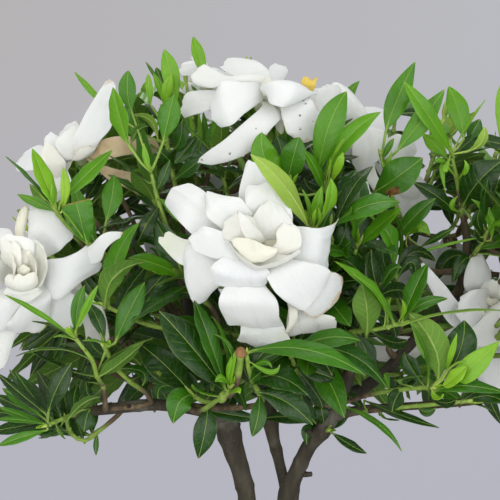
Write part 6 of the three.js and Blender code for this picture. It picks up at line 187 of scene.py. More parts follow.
([[[-47.4,89.7,300.2],[-48.4,89.3,299.8],[-49.4,88.9,299.7]],[[-43.9,101.1,298.7],[-50.8,98,296],[-58.1,95.5,295]],[[-41.8,108.6,289.8],[-51.2,103.2,287],[-61.4,99.9,285.5]],[[-44.8,108.9,280],[-50.5,105.8,277.3],[-56.9,103.3,277.7]]],[0,0,0,0,0]),
([[[-48.5,89.5,299.3],[-48.9,89,300.1],[-49.2,88.6,301]],[[-53.5,97.4,293.6],[-56.4,93.8,299.3],[-58.6,91.5,306.1]],[[-61.5,100.2,288],[-65.2,95.1,296],[-69.1,92.2,305.2]],[[-68.9,95.1,286.5],[-72,91.5,290.9],[-74.1,90.1,297]]],[0,0.25,0,0,0]),
([[[-49.3,89,299.7],[-48.9,88.8,300.6],[-48.4,88.8,301.5]],[[-59,93.6,298.2],[-56,91.9,304.7],[-52.3,91.7,311.1]],[[-68.9,92,299.8],[-64.1,89.6,308.5],[-59.7,89.5,317.8]],[[-73.4,87.2,305.8],[-71.3,85.1,311.5],[-67.8,85.6,316.9]]],[0,0,0,0,0]),
([[[-49.4,88.6,300.7],[-48.4,88.8,300.9],[-47.5,89.3,301.1]],[[-58.3,91.4,307.6],[-51.1,92.9,309.2],[-44.4,95.8,310]],[[-62.5,89.8,317.8],[-52.4,91.7,319.2],[-43.1,95.9,320.8]],[[-58.8,87.2,326.4],[-52.6,87.9,328.3],[-46.8,91.1,328.2]]],[0,0,0,0,0]),
([[[-48.7,88.7,301.5],[-47.9,89.1,300.7],[-47.4,89.7,299.9]],[[-50.4,93.3,312.8],[-45.2,96.3,307],[-41.6,100.3,300.7]],[[-45.3,96.9,322.6],[-38.5,100.5,313.8],[-33.3,106.2,305.4]],[[-34.5,97.4,324],[-29.7,99.4,318.8],[-27.6,103.1,313]]],[0,0,0,0,0]),
([[[-49.2,89.7,301.6],[-48.4,90.1,301.2],[-48.1,90.6,300.5]],[[-54.5,92.9,307.9],[-49.2,95.7,304.7],[-46.7,99.4,299.3]],[[-54.9,97,314.9],[-47.6,100.1,309.9],[-44,106.4,303.4]],[[-51.9,102.4,316.6],[-47.3,105.3,314.3],[-45.2,108.2,309.3]]],[0.15,0,0,0,0]),
([[[-48.2,90.2,301.4],[-48.3,90.4,300.6],[-48.8,90.5,300]],[[-48,95.5,307.8],[-48.8,96.8,302.1],[-52.5,97.6,297.5]],[[-44.4,102.4,310.3],[-45.7,103.1,302.1],[-50.6,105.5,295.9]],[[-44.3,108,308],[-44.9,109.8,303.1],[-48.2,109.8,299.1]]],[0.15,0,0,0,0]),
([[[-48.1,90.6,300.5],[-48.9,90.3,300.2],[-49.7,90,300.4]],[[-46,99.5,302.4],[-51.7,97.2,300.3],[-57.4,94.9,301.6]],[[-46.9,108.2,298.7],[-54.3,103.5,296.2],[-62.5,101.2,297.7]],[[-51.9,111.8,295.5],[-57,110.2,293.4],[-61.6,107.6,294.8]]],[0.15,0,0,0,0]),
([[[-49.3,90.3,299.9],[-49.4,89.9,300.7],[-49.2,89.8,301.5]],[[-53,98,297.3],[-54,95.4,302.6],[-52.4,94.6,308.6]],[[-60.1,102.6,296.3],[-61,98.5,303.5],[-60,98.3,312.2]],[[-65.9,104.3,300],[-67.5,102.3,304.7],[-65.7,101.5,309.9]]],[0.15,0,0,0,0]),
([[[-49.7,89.9,300.7],[-49,89.9,301.3],[-48.2,90.1,301.5]],[[-57.3,95.5,301.1],[-52.2,95.1,305.5],[-46.5,97,307.4]],[[-63.7,98.7,307.3],[-55.9,97.2,312.1],[-48.3,100.3,315.3]],[[-63.4,101.6,312.9],[-59.4,101.6,317.2],[-54,102.8,318.3]]],[0.15,0,0,0,0]),
([[[-48.7,91.5,300.8],[-49.3,91.3,300.6],[-49.9,91.1,300.7]],[[-46.6,97,303.1],[-51,95.6,301.4],[-55.3,93.7,302.4]],[[-46.9,102.8,302.9],[-52.8,100.1,300.6],[-58.9,97.9,301.9]],[[-50.5,105.1,302.7],[-54.5,104.4,301.4],[-58,102.2,302.1]]],[0.4,0,0,0,0]),
([[[-49.6,91.3,300.5],[-49.8,91,301],[-49.8,90.8,301.6]],[[-50.3,97.1,298.6],[-52,94.8,302.3],[-51.6,93.6,306.7]],[[-54,101.5,298.1],[-55.9,97.7,303.1],[-55.7,96.4,309.3]],[[-56.7,103,301],[-58.5,101.5,304.3],[-57.8,99.9,308]]],[0.4,0,0,0,0]),
([[[-49.8,90.9,301.4],[-49.3,91,301.7],[-48.7,91.2,301.7]],[[-54.9,94,301.6],[-50.9,94.6,303.7],[-46.9,96.4,303.7]],[[-58.3,97.3,304.5],[-52.5,97.6,307],[-47,100.3,307.2]],[[-57.3,100.4,306.8],[-54.1,101.5,308.9],[-50.4,102.4,308.6]]],[0.4,0,0,0,0]),
([[[-48.8,91.2,301.8],[-48.7,91.4,301.2],[-48.9,91.5,300.6]],[[-50.4,94,306.8],[-49.7,95.6,302.6],[-51.4,96.6,298.5]],[[-49.7,98.4,310],[-48.7,100.1,304.1],[-51,102.3,298.6]],[[-49.4,102.7,308.9],[-48.8,104.5,305.5],[-50.2,105,301.9]]],[0.4,0,0,0,0]),
([[[-50.3,92,301.4],[-50.2,92,301.7],[-49.9,92,302]],[[-52.2,94.8,300.3],[-51.4,94.1,302.7],[-49.6,94.3,304.7]],[[-54.2,97.1,300.6],[-53.1,96.2,303.8],[-50.6,96.6,306.7]],[[-54.5,98.8,302.5],[-54,98.6,304.7],[-52.2,98.3,306.2]]],[0.8,0,0,0,0]),
([[[-49.4,92.2,302.1],[-49.1,92.3,301.8],[-49.1,92.5,301.4]],[[-51.6,93.6,304.9],[-49.8,94.9,302.9],[-49.4,96.1,300.3]],[[-53,95.9,306.8],[-50.4,97.7,304],[-49.9,99.3,300.4]],[[-52.7,98.7,306.6],[-51.3,100.3,305],[-50.8,100.9,302.6]]],[0.8,0,0,0,0]),
([[[-49.4,92.5,301],[-49.8,92.4,301],[-50.2,92.2,301.2]],[[-48.3,96.2,301.7],[-51,95.1,301.5],[-53.4,93.9,302.9]],[[-48.6,99.6,302.1],[-52.2,98.1,301.8],[-55.6,96.4,303.8]],[[-50.9,101.3,302.8],[-53.4,100.8,302.8],[-55.2,99.2,303.8]]],[0.8,0,0,0,0]),
]),
"flower_back_right":([[65.4,51.7,258.1,1.9],[70.1,57.4,260.2,2.3],[74,62,262,3.6],[75.5,63.8,262.7,5.2],[77.1,65.7,263.4,3.2]],[
([[[74,62.6,260.9],[73.6,62.4,261.9],[73.3,62.3,263]],[[71.9,74,254.6],[68.5,72.3,261.9],[66.8,71.4,269.8]],[[63.8,82.7,250.2],[59.6,79.7,260.4],[57,78.8,271.3]],[[52.3,83.6,251.5],[48.7,81.7,257.6],[48.4,80.9,264.7]]],[0,0,0,0,0]),
([[[74.3,61.6,263.2],[74.5,61.6,262],[74.7,61.8,261]],[[82.4,58.5,271.8],[83.8,58.2,263.8],[85.8,59.7,256.1]],[[89.2,48.9,275.1],[89.9,49.4,263.8],[92.7,51.4,253.2]],[[92.1,40.1,269.9],[92.8,39.5,262.8],[94.1,42.1,256.3]]],[0,0,0,0,0]),
([[[75,61.2,262.2],[74.3,61.9,261.5],[73.8,62.8,261]],[[87,58.1,259.8],[82.1,63.1,254.9],[77.9,69.6,251.2]],[[94.9,53.8,252.4],[87.7,60.8,246],[82.4,69.8,240.2]],[[93.8,51.6,242.1],[89.5,55.2,237.2],[86.1,61.4,234.4]]],[0,0.25,0,0,0]),
([[[74.9,61.8,261.1],[73.9,62.3,261.5],[73.1,62.9,262]],[[81.9,65.8,251.8],[74.9,69.3,254.2],[69.1,73.9,257.9]],[[81.5,67.8,240.1],[71.9,72.2,244.4],[63.8,78.9,248.8]],[[73.7,69.4,233.4],[67.2,72.1,235],[62.7,76.3,238.9]]],[0,0,0,0,0]),
([[[74.7,63.4,261.2],[74.3,63.3,262.2],[74.1,63.2,263.3]],[[77.2,72.4,255.8],[74.1,71.6,263],[72.8,70.9,270.9]],[[72.8,80.3,251.9],[68.8,78.7,262],[66.7,78.6,272.9]],[[64.7,83.1,253.9],[61.3,82.5,260],[60.7,82.3,266.9]]],[0,0,0,0,0]),
([[[74,63.8,262],[74.4,63,262.8],[75,62.4,263.4]],[[72.1,74.9,263.9],[74.7,69.6,269.2],[78.9,64.9,273.8]],[[67.5,82.5,270],[71.3,74.7,276.8],[77.1,68.4,283.6]],[[63.2,81.4,278.8],[64.9,76.6,283.6],[69.3,72.6,287]]],[0,0,0,0,0]),
([[[74.1,63.2,263.2],[74.8,62.6,262.9],[75.6,62.2,262.4]],[[74.8,68.8,272.5],[80,64.7,269.9],[85.7,62,266.5]],[[76,67.4,282.7],[82.9,61.8,278.5],[91.1,58.1,274.5]],[[79.5,60.8,287.8],[83.8,56.6,286.1],[88.8,54.9,282.7]]],[0,0,0,0,0]),
([[[74.8,62.6,263.5],[75.2,62.5,262.4],[75.5,62.6,261.4]],[[80.9,64.1,272.8],[83.5,63.4,265.2],[85.9,64.5,257.7]],[[89.3,61.1,278.5],[92,60.2,267.6],[95.5,61.8,257.2]],[[95.8,54.3,275.3],[97.7,53.2,268.6],[99.2,55.1,262.1]]],[0,0,0,0,0]),
([[[75.6,62.2,262.7],[75.1,62.7,261.9],[74.7,63.4,261.3]],[[86,61.9,265.5],[83,65.7,259.8],[79.9,70.8,255.3]],[[95.3,59.6,262],[90.5,64.7,254.4],[86.7,71.9,247.9]],[[98.7,59.1,253.8],[96.4,61.9,248.3],[93.3,66.7,245]]],[0,0,0,0,0]),
([[[75.7,62.6,261.6],[74.7,63.1,261.8],[73.8,63.8,262.2]],[[85.5,66.3,257.1],[78.4,70.5,258.2],[72.1,74.9,260.9]],[[89.7,71.4,248.5],[79.4,76.2,250.7],[70.8,82.6,254.4]],[[83.9,75.1,241.1],[77.3,78,241.9],[72.3,81.8,245.3]]],[0,0,0,0,0]),
([[[76,63.7,261.9],[75.3,64.1,262.2],[74.8,64.4,262.9]],[[84.1,67.3,259.9],[78.8,70.2,262.4],[75.2,72.1,267.7]],[[88.3,73.7,256.5],[80.7,77,260],[76.2,80.8,267.3]],[[87.7,80.4,256.9],[83.4,83.7,258.9],[80.2,84.7,263.7]]],[0.15,0,0,0,0]),
([[[75.1,64.4,262.1],[75,64.1,262.9],[75.4,63.7,263.5]],[[77.6,71.6,259.9],[77.2,69.6,265.1],[79.7,66.7,269.7]],[[76.4,78.9,260.9],[75.7,75.5,267.9],[79.3,73.1,275]],[[75.8,82.6,265.8],[75.3,81.5,270.6],[77.7,78.8,274.5]]],[0.15,0,0,0,0]),
([[[74.8,64.3,263],[75.3,63.7,263.2],[76.1,63.2,263.1]],[[74.9,72.9,264.9],[78.8,67.9,267],[84,64.4,266.2]],[[75.4,77.8,272.1],[80.1,70,273.6],[87.8,65.7,273.4]],[[79.2,77.5,276.8],[82.6,73.4,279],[86.9,70,277.8]]],[0.15,0,0,0,0]),
([[[75.5,63.6,263.5],[75.9,63.4,262.8],[76.1,63.5,262]],[[78.5,68.2,270.2],[81.5,66.8,265.1],[82.9,68.1,259.6]],[[85.8,68.2,275.4],[88.3,65.8,267.6],[91.3,67.8,260.3]],[[92,68,274.4],[94.9,66.7,270.2],[95.6,67.8,265.2]]],[0.15,0,0,0,0]),
([[[76.3,63.2,262.7],[75.8,63.7,262.1],[75.1,64.4,262.1]],[[84.2,64.3,266],[80.6,68.2,262.1],[76.1,73.1,261.5]],[[91.8,66.4,263.9],[86,71.2,258.8],[80.9,78.9,257.5]],[[93.9,71.3,260.3],[91.3,74.9,256.7],[87.1,78.9,256.4]]],[0.15,0,0,0,0]),
([[[76.8,64.4,262.5],[76.3,64.8,262.4],[75.8,65.2,262.7]],[[82.7,65.5,263.9],[79.2,68.5,263.1],[75.8,71,264.8]],[[87.4,68.7,263.7],[82.3,72.5,262.6],[77.7,76.3,265]],[[88,73.4,263.2],[85.3,76.4,262.5],[82,78.1,263.9]]],[0.4,0,0,0,0]),
([[[75.9,65.2,262.5],[75.7,65,263.1],[75.9,64.7,263.6]],[[79,70.1,260.4],[78.2,69,264.6],[79.6,66.8,268.5]],[[80.3,75.8,260.6],[79.1,73.9,266.4],[81.3,71.5,272]],[[81.2,78.8,264.2],[80.8,78.4,268],[81.8,76.1,271.2]]],[0.4,0,0,0,0]),
([[[75.7,64.9,263.5],[76.2,64.5,263.6],[76.7,64.1,263.3]],[[75.6,71,265],[79.1,67.7,265.5],[82.8,65.4,263.7]],[[77.3,75.1,268.9],[81.6,70,269.1],[87.1,67.2,266.9]],[[81.2,75.6,270.8],[84.5,73.1,271.5],[87.3,70.8,269.6]]],[0.4,0,0,0,0]),
([[[76.6,64.2,263.4],[76.7,64.3,262.8],[76.5,64.7,262.4]],[[79.7,66.3,267.8],[80.1,67.4,263.9],[78.9,69.9,260.8]],[[84.6,68,269.9],[84.7,69.2,264.4],[83.6,73,260.1]],[[87.9,70.5,268.5],[88.7,71.7,265.2],[87.2,73.6,262.4]]],[0.4,0,0,0,0]),
([[[77,65.3,263.9],[77.3,65.1,263.6],[77.5,65.1,263.3]],[[77.5,68,266.4],[79.3,67,264.6],[80.4,67.1,262.2]],[[78.8,70.4,268],[81.3,69,265.6],[82.9,69.1,262.3]],[[81.1,71.9,267.7],[83,71.5,266.3],[83.7,71.1,264.1]]],[0.8,0,0,0,0]),
([[[77.3,65.4,262.8],[77,65.7,262.8],[76.7,65.9,262.9]],[[80.9,66,263.6],[78.8,67.8,263.2],[76.7,69.4,264.2]],[[83.5,67.6,264.4],[80.7,70.1,263.7],[77.7,72.2,265.1]],[[83.9,70.2,264.9],[82.4,72.1,264.7],[80.2,73.1,265.4]]],[0.8,0,0,0,0]),
([[[76.6,65.9,263.2],[76.5,65.9,263.5],[76.6,65.7,263.8]],[[78.5,68.7,261.8],[77.9,68.1,264.4],[78.5,66.8,266.6]],[[80,71.6,261.9],[79.1,70.5,265.4],[80,68.8,268.5]],[[81.2,72.4,263.7],[81.2,72.3,266.1],[81.4,70.8,267.8]]],[0.8,0,0,0,0]),
]),
}

# flower stalks with their calyx, and its sepals as leaf rows
STALKS = {
"stalk_front":([[[21.6,-18,279.2,1.35],[13.8,-20.4,278.9,1.35],[5.1,-21.8,278.4,1.35],[-2.9,-23.7,278.3,1.35],[-8.9,-27.1,278.8,1.35],[-11.3,-33.3,280.4,1.35],[-11.4,-38.1,281.8,1.5]],[[-11.4,-37.2,281.5,1.7],[-11.4,-39.6,282.2,2.6],[-11.5,-43.4,283.3,3.1],[-11.6,-46.3,284.1,3.3]]],[
[-14.3,-45.3,283.7,-17.9,-50.5,285,-19.3,-55.6,286.4,2.6,1,-0.01,0.04,0.1,0.35,0,0,-14.3,-45.3,283.7],
[-12.6,-46,281.4,-14.1,-52.1,279.6,-14.7,-57.6,279.8,2.6,0.38,0.24,0.89,0.1,0.35,0,0,-12.6,-46,281.4],
[-10.6,-46.1,281.4,-9.3,-51.8,279.5,-8.9,-56.9,279.5,2.6,-0.37,0.26,0.89,0.1,0.35,0,0,-10.6,-46.1,281.4],
[-8.9,-45.4,283.9,-6.2,-50.8,285.6,-5.7,-56.2,287.1,2.6,-1,0.01,-0.05,0.1,0.35,0,0,-8.9,-45.4,283.9],
[-10.2,-44.8,286,-8.7,-48.5,290,-8.2,-52.7,292.1,2.6,-0.51,-0.22,-0.83,0.1,0.35,0,0,-10.2,-44.8,286],
[-13,-44.7,286,-14.6,-48.1,289.5,-15,-52.1,291.3,2.6,0.52,-0.24,-0.82,0.1,0.35,0,0,-13,-44.7,286],
]),
"stalk_top":([[[-9.8,0,309.7,1.35],[-9.9,2.5,315.8,1.35],[-9.9,6.2,322.4,1.35],[-10,9.3,328.8,1.35],[-10.1,9.9,334.2,1.35],[-10.3,6.3,338,1.35],[-10.6,1.7,339.9,1.5]],[[-10.5,2.6,339.6,1.7],[-10.6,0.3,340.5,2.6],[-10.8,-3.4,342.1,3.1],[-11,-6.1,343.2,3.3]]],[
[-13.6,-5,343,-17.3,-10,345.3,-18.9,-15,347.6,2.6,1,-0.07,-0.05,0.1,0.35,0,0,-13.6,-5,343],
[-12.5,-6,340.8,-14.4,-11.8,340.8,-15.1,-17,342.4,2.6,0.59,0.29,0.76,0.1,0.35,0,0,-12.5,-6,340.8],
[-9.5,-6.2,340.8,-8.3,-11.2,340.4,-8.3,-15.5,341.7,2.6,-0.53,0.35,0.77,0.1,0.35,0,0,-9.5,-6.2,340.8],
[-8.2,-5.2,343.2,-5.6,-9.4,345.3,-5.1,-13.6,347.1,2.6,-0.99,0,-0.12,0.1,0.35,0,0,-8.2,-5.2,343.2],
[-9.9,-4.3,345.2,-9.1,-8.4,349.9,-9,-13.2,352.7,2.6,-0.37,-0.34,-0.86,0.1,0.35,0,0,-9.9,-4.3,345.2],
[-12.6,-4.3,344.8,-14.9,-7.8,349.2,-15.8,-12.1,352,2.6,0.61,-0.33,-0.72,0.1,0.35,0,0,-12.6,-4.3,344.8],
]),
"stalk_top_back":([[[-10.4,1.3,305.2,1.35],[-15.2,11.9,313.7,1.35],[-20.3,24.5,322.9,1.35],[-25.1,35.8,331.9,1.35],[-29.2,42.5,339.9,1.35],[-31.9,41.1,346,1.35],[-33,37.1,348.9,1.5]],[[-32.8,37.9,348.3,1.7],[-33.3,36,349.8,2.6],[-34.2,32.8,352.1,3.1],[-34.9,30.5,353.9,3.3]]],[
[-37.2,32,353.3,-41.8,28.5,356.6,-44.2,24.4,359.9,2.6,0.96,-0.28,0,0.1,0.35,0,0,-37.2,32,353.3],
[-35.8,30,351.2,-38.4,24.3,352.1,-40,19.6,354.7,2.6,0.44,0.45,0.78,0.1,0.35,0,0,-35.8,30,351.2],
[-33.6,29.6,351.4,-33.5,24.3,352.1,-34.3,20.4,354.2,2.6,-0.38,0.62,0.69,0.1,0.35,0,0,-33.6,29.6,351.4],
[-32.1,30.5,353.2,-30,25.8,355.8,-30,21.8,358.5,2.6,-0.95,0.3,0.04,0.1,0.35,0,0,-32.1,30.5,353.2],
[-32.9,32.1,355.1,-32,28.9,360.2,-32.6,25.1,363.8,2.6,-0.67,-0.31,-0.68,0.1,0.35,0,0,-32.9,32.1,355.1],
[-35.6,32.9,355.1,-38,30.6,360.5,-39.6,26.9,364.4,2.6,0.37,-0.62,-0.69,0.1,0.35,0,0,-35.6,32.9,355.1],
]),
"stalk_left":([[[-119.1,26.4,252.6,1.35],[-118,18.6,255.5,1.35],[-116.8,11.1,258.6,1.35],[-115.7,3.7,261.7,1.35],[-114.7,-3.8,264.8,1.35],[-114,-11.5,267.7,1.35],[-113.6,-16.2,269.3,1.5]],[[-113.7,-15.3,269,1.7],[-113.5,-17.6,269.8,2.6],[-113.2,-21.4,271.1,3.1],[-113,-24.2,272,3.3]]],[
[-115.8,-23.4,271.9,-118.8,-28.3,273.8,-119.7,-33.1,275.4,2.6,1,0.05,-0.07,0.1,0.35,0,0,-115.8,-23.4,271.9],
[-114.7,-24.1,269.7,-116,-30.3,269.6,-115.9,-35.9,271,2.6,0.61,0.3,0.74,0.1,0.35,0,0,-114.7,-24.1,269.7],
[-111.6,-23.9,269.6,-109.6,-29.8,269.2,-109,-35.1,270.6,2.6,-0.56,0.23,0.79,0.1,0.35,0,0,-111.6,-23.9,269.6],
[-110.4,-23,271.9,-106.8,-27.3,273.6,-105.4,-31.7,275.2,2.6,-0.99,-0.09,-0.06,0.1,0.35,0,0,-110.4,-23,271.9],
[-111.4,-22.5,273.7,-109.3,-25.7,277.2,-108.6,-29.6,279.1,2.6,-0.62,-0.29,-0.73,0.1,0.35,0,0,-111.4,-22.5,273.7],
[-114.7,-22.7,273.8,-116.5,-26.3,277.9,-117,-30.3,280.3,2.6,0.61,-0.21,-0.76,0.1,0.35,0,0,-114.7,-22.7,273.8],
]),
"stalk_upper_left":([[[-83.1,46,293.8,1.35],[-85.2,41.5,298.9,1.35],[-87.4,37.6,304.4,1.35],[-89.4,33.6,309.8,1.35],[-91.1,28.7,314.7,1.35],[-92.2,22.1,318.8,1.35],[-92.6,17.6,320.9,1.5]],[[-92.5,18.5,320.4,1.7],[-92.7,16.3,321.5,2.6],[-93,12.6,323.2,3.1],[-93.3,9.9,324.4,3.3]]],[
[-95.9,10.9,323.6,-99.3,5.8,325.5,-100.6,0.7,327.8,2.6,0.99,-0.02,0.14,0.1,0.35,0,0,-95.9,10.9,323.6],
[-94.7,10,321.9,-97,4.4,321.3,-98.1,-0.6,322.4,2.6,0.54,0.31,0.78,0.1,0.35,0,0,-94.7,10,321.9],
[-92.2,9.7,321.8,-91.2,3.4,321.1,-91.2,-2,322.3,2.6,-0.38,0.41,0.83,0.1,0.35,0,0,-92.2,9.7,321.8],
[-90.5,10.7,324.3,-87.2,6.7,326.5,-86.1,2.8,328.5,2.6,-0.99,0.03,-0.12,0.1,0.35,0,0,-90.5,10.7,324.3],
[-91.5,11.6,326,-89.9,8.2,330.4,-89.6,4.3,333.2,2.6,-0.61,-0.29,-0.74,0.1,0.35,0,0,-91.5,11.6,326],
[-94.8,11.9,325.9,-97.3,8.9,330.5,-98.5,5.2,333.5,2.6,0.59,-0.38,-0.71,0.1,0.35,0,0,-94.8,11.9,325.9],
]),
"stalk_upper_right":([[[50.7,64,292.8,1.35],[47,58.6,297.8,1.35],[42.8,53.6,303.2,1.35],[38.9,48.6,308.5,1.35],[36.1,43,313.4,1.35],[35.1,36.1,317.5,1.35],[35.2,31.6,319.7,1.5]],[[35.2,32.5,319.2,1.7],[35.2,30.3,320.3,2.6],[35.3,26.6,322,3.1],[35.3,23.9,323.3,3.3]]],[
[32.6,24.8,322.8,29.6,20.4,324.8,28.9,16.2,326.8,2.6,1,0.02,0.01,0.1,0.35,0,0,32.6,24.8,322.8],
[33.7,23.9,320.9,32.1,18.9,320.6,31.8,14.7,322,2.6,0.58,0.35,0.73,0.1,0.35,0,0,33.7,23.9,320.9],
[36.8,23.9,320.8,38.4,17.7,321.1,38.9,12.3,323,2.6,-0.55,0.35,0.76,0.1,0.35,0,0,36.8,23.9,320.8],
[38,24.7,322.5,41.2,19.4,324.5,42.4,14.2,326.9,2.6,-0.99,0.04,0.13,0.1,0.35,0,0,38,24.7,322.5],
[36.7,25.8,324.9,38.5,22.9,329.4,39.1,19.1,332.2,2.6,-0.52,-0.37,-0.77,0.1,0.35,0,0,36.7,25.8,324.9],
[33.7,25.7,324.9,32,22.3,329.3,31.5,18.2,332,2.6,0.58,-0.34,-0.74,0.1,0.35,0,0,33.7,25.7,324.9],
]),
"stalk_right":([[[62.9,-4,251.1,1.6],[72,2,250,1.55],[82.3,9.7,248.8,1.5],[91.8,16.5,248,1.45],[98.3,19.5,248.2,1.4],[99.4,16.1,250.1,1.35],[98.2,11.6,251.9,1.5]],[[98.4,12.5,251.5,1.7],[97.8,10.2,252.4,2.6],[96.8,6.7,253.9,3.1],[96,4,254.9,3.3]]],[
[93.7,5.6,254.7,89.6,1.4,256.8,87.7,-3.5,258.9,2.6,0.95,-0.29,-0.05,0.1,0.35,0,0,93.7,5.6,254.7],
[94.9,4.3,252.3,92,-1.1,251.9,90.3,-6.2,253.3,2.6,0.5,0.19,0.84,0.1,0.35,0,0,94.9,4.3,252.3],
[97.7,3.7,252.6,97.9,-2.9,252.2,97.1,-8.5,253.4,2.6,-0.52,0.44,0.73,0.1,0.35,0,0,97.7,3.7,252.6],
[98.8,4.3,255,100.7,-0.4,257,100.5,-4.5,258.8,2.6,-0.96,0.21,-0.15,0.1,0.35,0,0,98.8,4.3,255],
[97.8,5.3,256.7,98.2,0.7,261.1,97.2,-4.1,263.7,2.6,-0.59,-0.15,-0.8,0.1,0.35,0,0,97.8,5.3,256.7],
[95,6,256.7,91.9,2.4,261.5,89.9,-2.1,264.6,2.6,0.45,-0.44,-0.78,0.1,0.35,0,0,95,6,256.7],
]),
"stalk_back":([[[-18.7,79.7,275.9,1.35],[-23.4,75.9,279.3,1.35],[-28.2,70.7,283,1.35],[-32.8,66.3,286.6,1.35],[-36.9,64.6,289.9,1.35],[-39.9,67.8,292.6,1.35],[-41.7,72.2,294.2,1.5]],[[-41.3,71.3,293.9,1.7],[-42.2,73.5,294.7,2.6],[-43.6,77,296,3.1],[-44.7,79.6,297,3.3]]],[
[-42,79.9,296,-41,85.7,296.7,-41.8,90.4,298,2.6,-0.86,-0.44,0.25,0.1,0.35,0,0,-42,79.9,296],
[-43.8,79.8,294.2,-45,85.4,293.1,-46.6,90.1,294,2.6,-0.19,-0.4,0.9,0.1,0.35,0,0,-43.8,79.8,294.2],
[-46,78.8,294.6,-49.6,82.8,293.6,-51.7,86.8,294.4,2.6,0.64,-0.03,0.77,0.1,0.35,0,0,-46,78.8,294.6],
[-46.7,77.6,297.3,-51.5,81.1,300,-54.5,85.7,302.1,2.6,0.86,0.44,-0.26,0.1,0.35,0,0,-46.7,77.6,297.3],
[-45,77.6,299,-47.4,80.7,303,-49.2,84.6,305,2.6,0.25,0.42,-0.87,0.1,0.35,0,0,-45,77.6,299],
[-42.7,78.6,298.8,-42.4,83.3,303.3,-43.5,88,306.1,2.6,-0.61,0.04,-0.79,0.1,0.35,0,0,-42.7,78.6,298.8],
]),
"stalk_back_right":([[[36.4,40,255.9,1.35],[41.4,40.5,255.4,1.35],[46.5,40.5,254.8,1.35],[51.4,40.7,254.4,1.35],[55.9,42,254.5,1.35],[59.8,45.1,255.6,1.35],[62.9,48.7,257,1.5]],[[62.3,48,256.7,1.7],[63.8,49.9,257.4,2.6],[66.3,52.8,258.5,3.1],[68.1,55,259.4,3.3]]],[
[69.4,52.4,259.7,75.2,54.1,262.1,79.4,57.2,263.9,2.6,-0.7,0.68,-0.24,0.1,0.35,0,0,69.4,52.4,259.7],
[69.2,53.6,257.1,74.6,56.7,255.9,78.6,60.2,256.4,2.6,-0.62,0.24,0.75,0.1,0.35,0,0,69.2,53.6,257.1],
[67.4,55.3,256.6,70.6,60.3,255.3,73.9,64.5,256.1,2.6,0.03,-0.38,0.93,0.1,0.35,0,0,67.4,55.3,256.6],
[65.6,56.1,258.5,66.5,62.3,259.3,69,67.1,260.6,2.6,0.71,-0.67,0.21,0.1,0.35,0,0,65.6,56.1,258.5],
[65.7,55.1,260.9,66.9,60.3,264.7,69.7,64.8,267.1,2.6,0.67,-0.31,-0.67,0.1,0.35,0,0,65.7,55.1,260.9],
[67.8,53.2,261.5,70.7,55,265.7,73.4,57.7,267.8,2.6,-0.08,0.41,-0.91,0.1,0.35,0,0,67.8,53.2,261.5],
]),
}

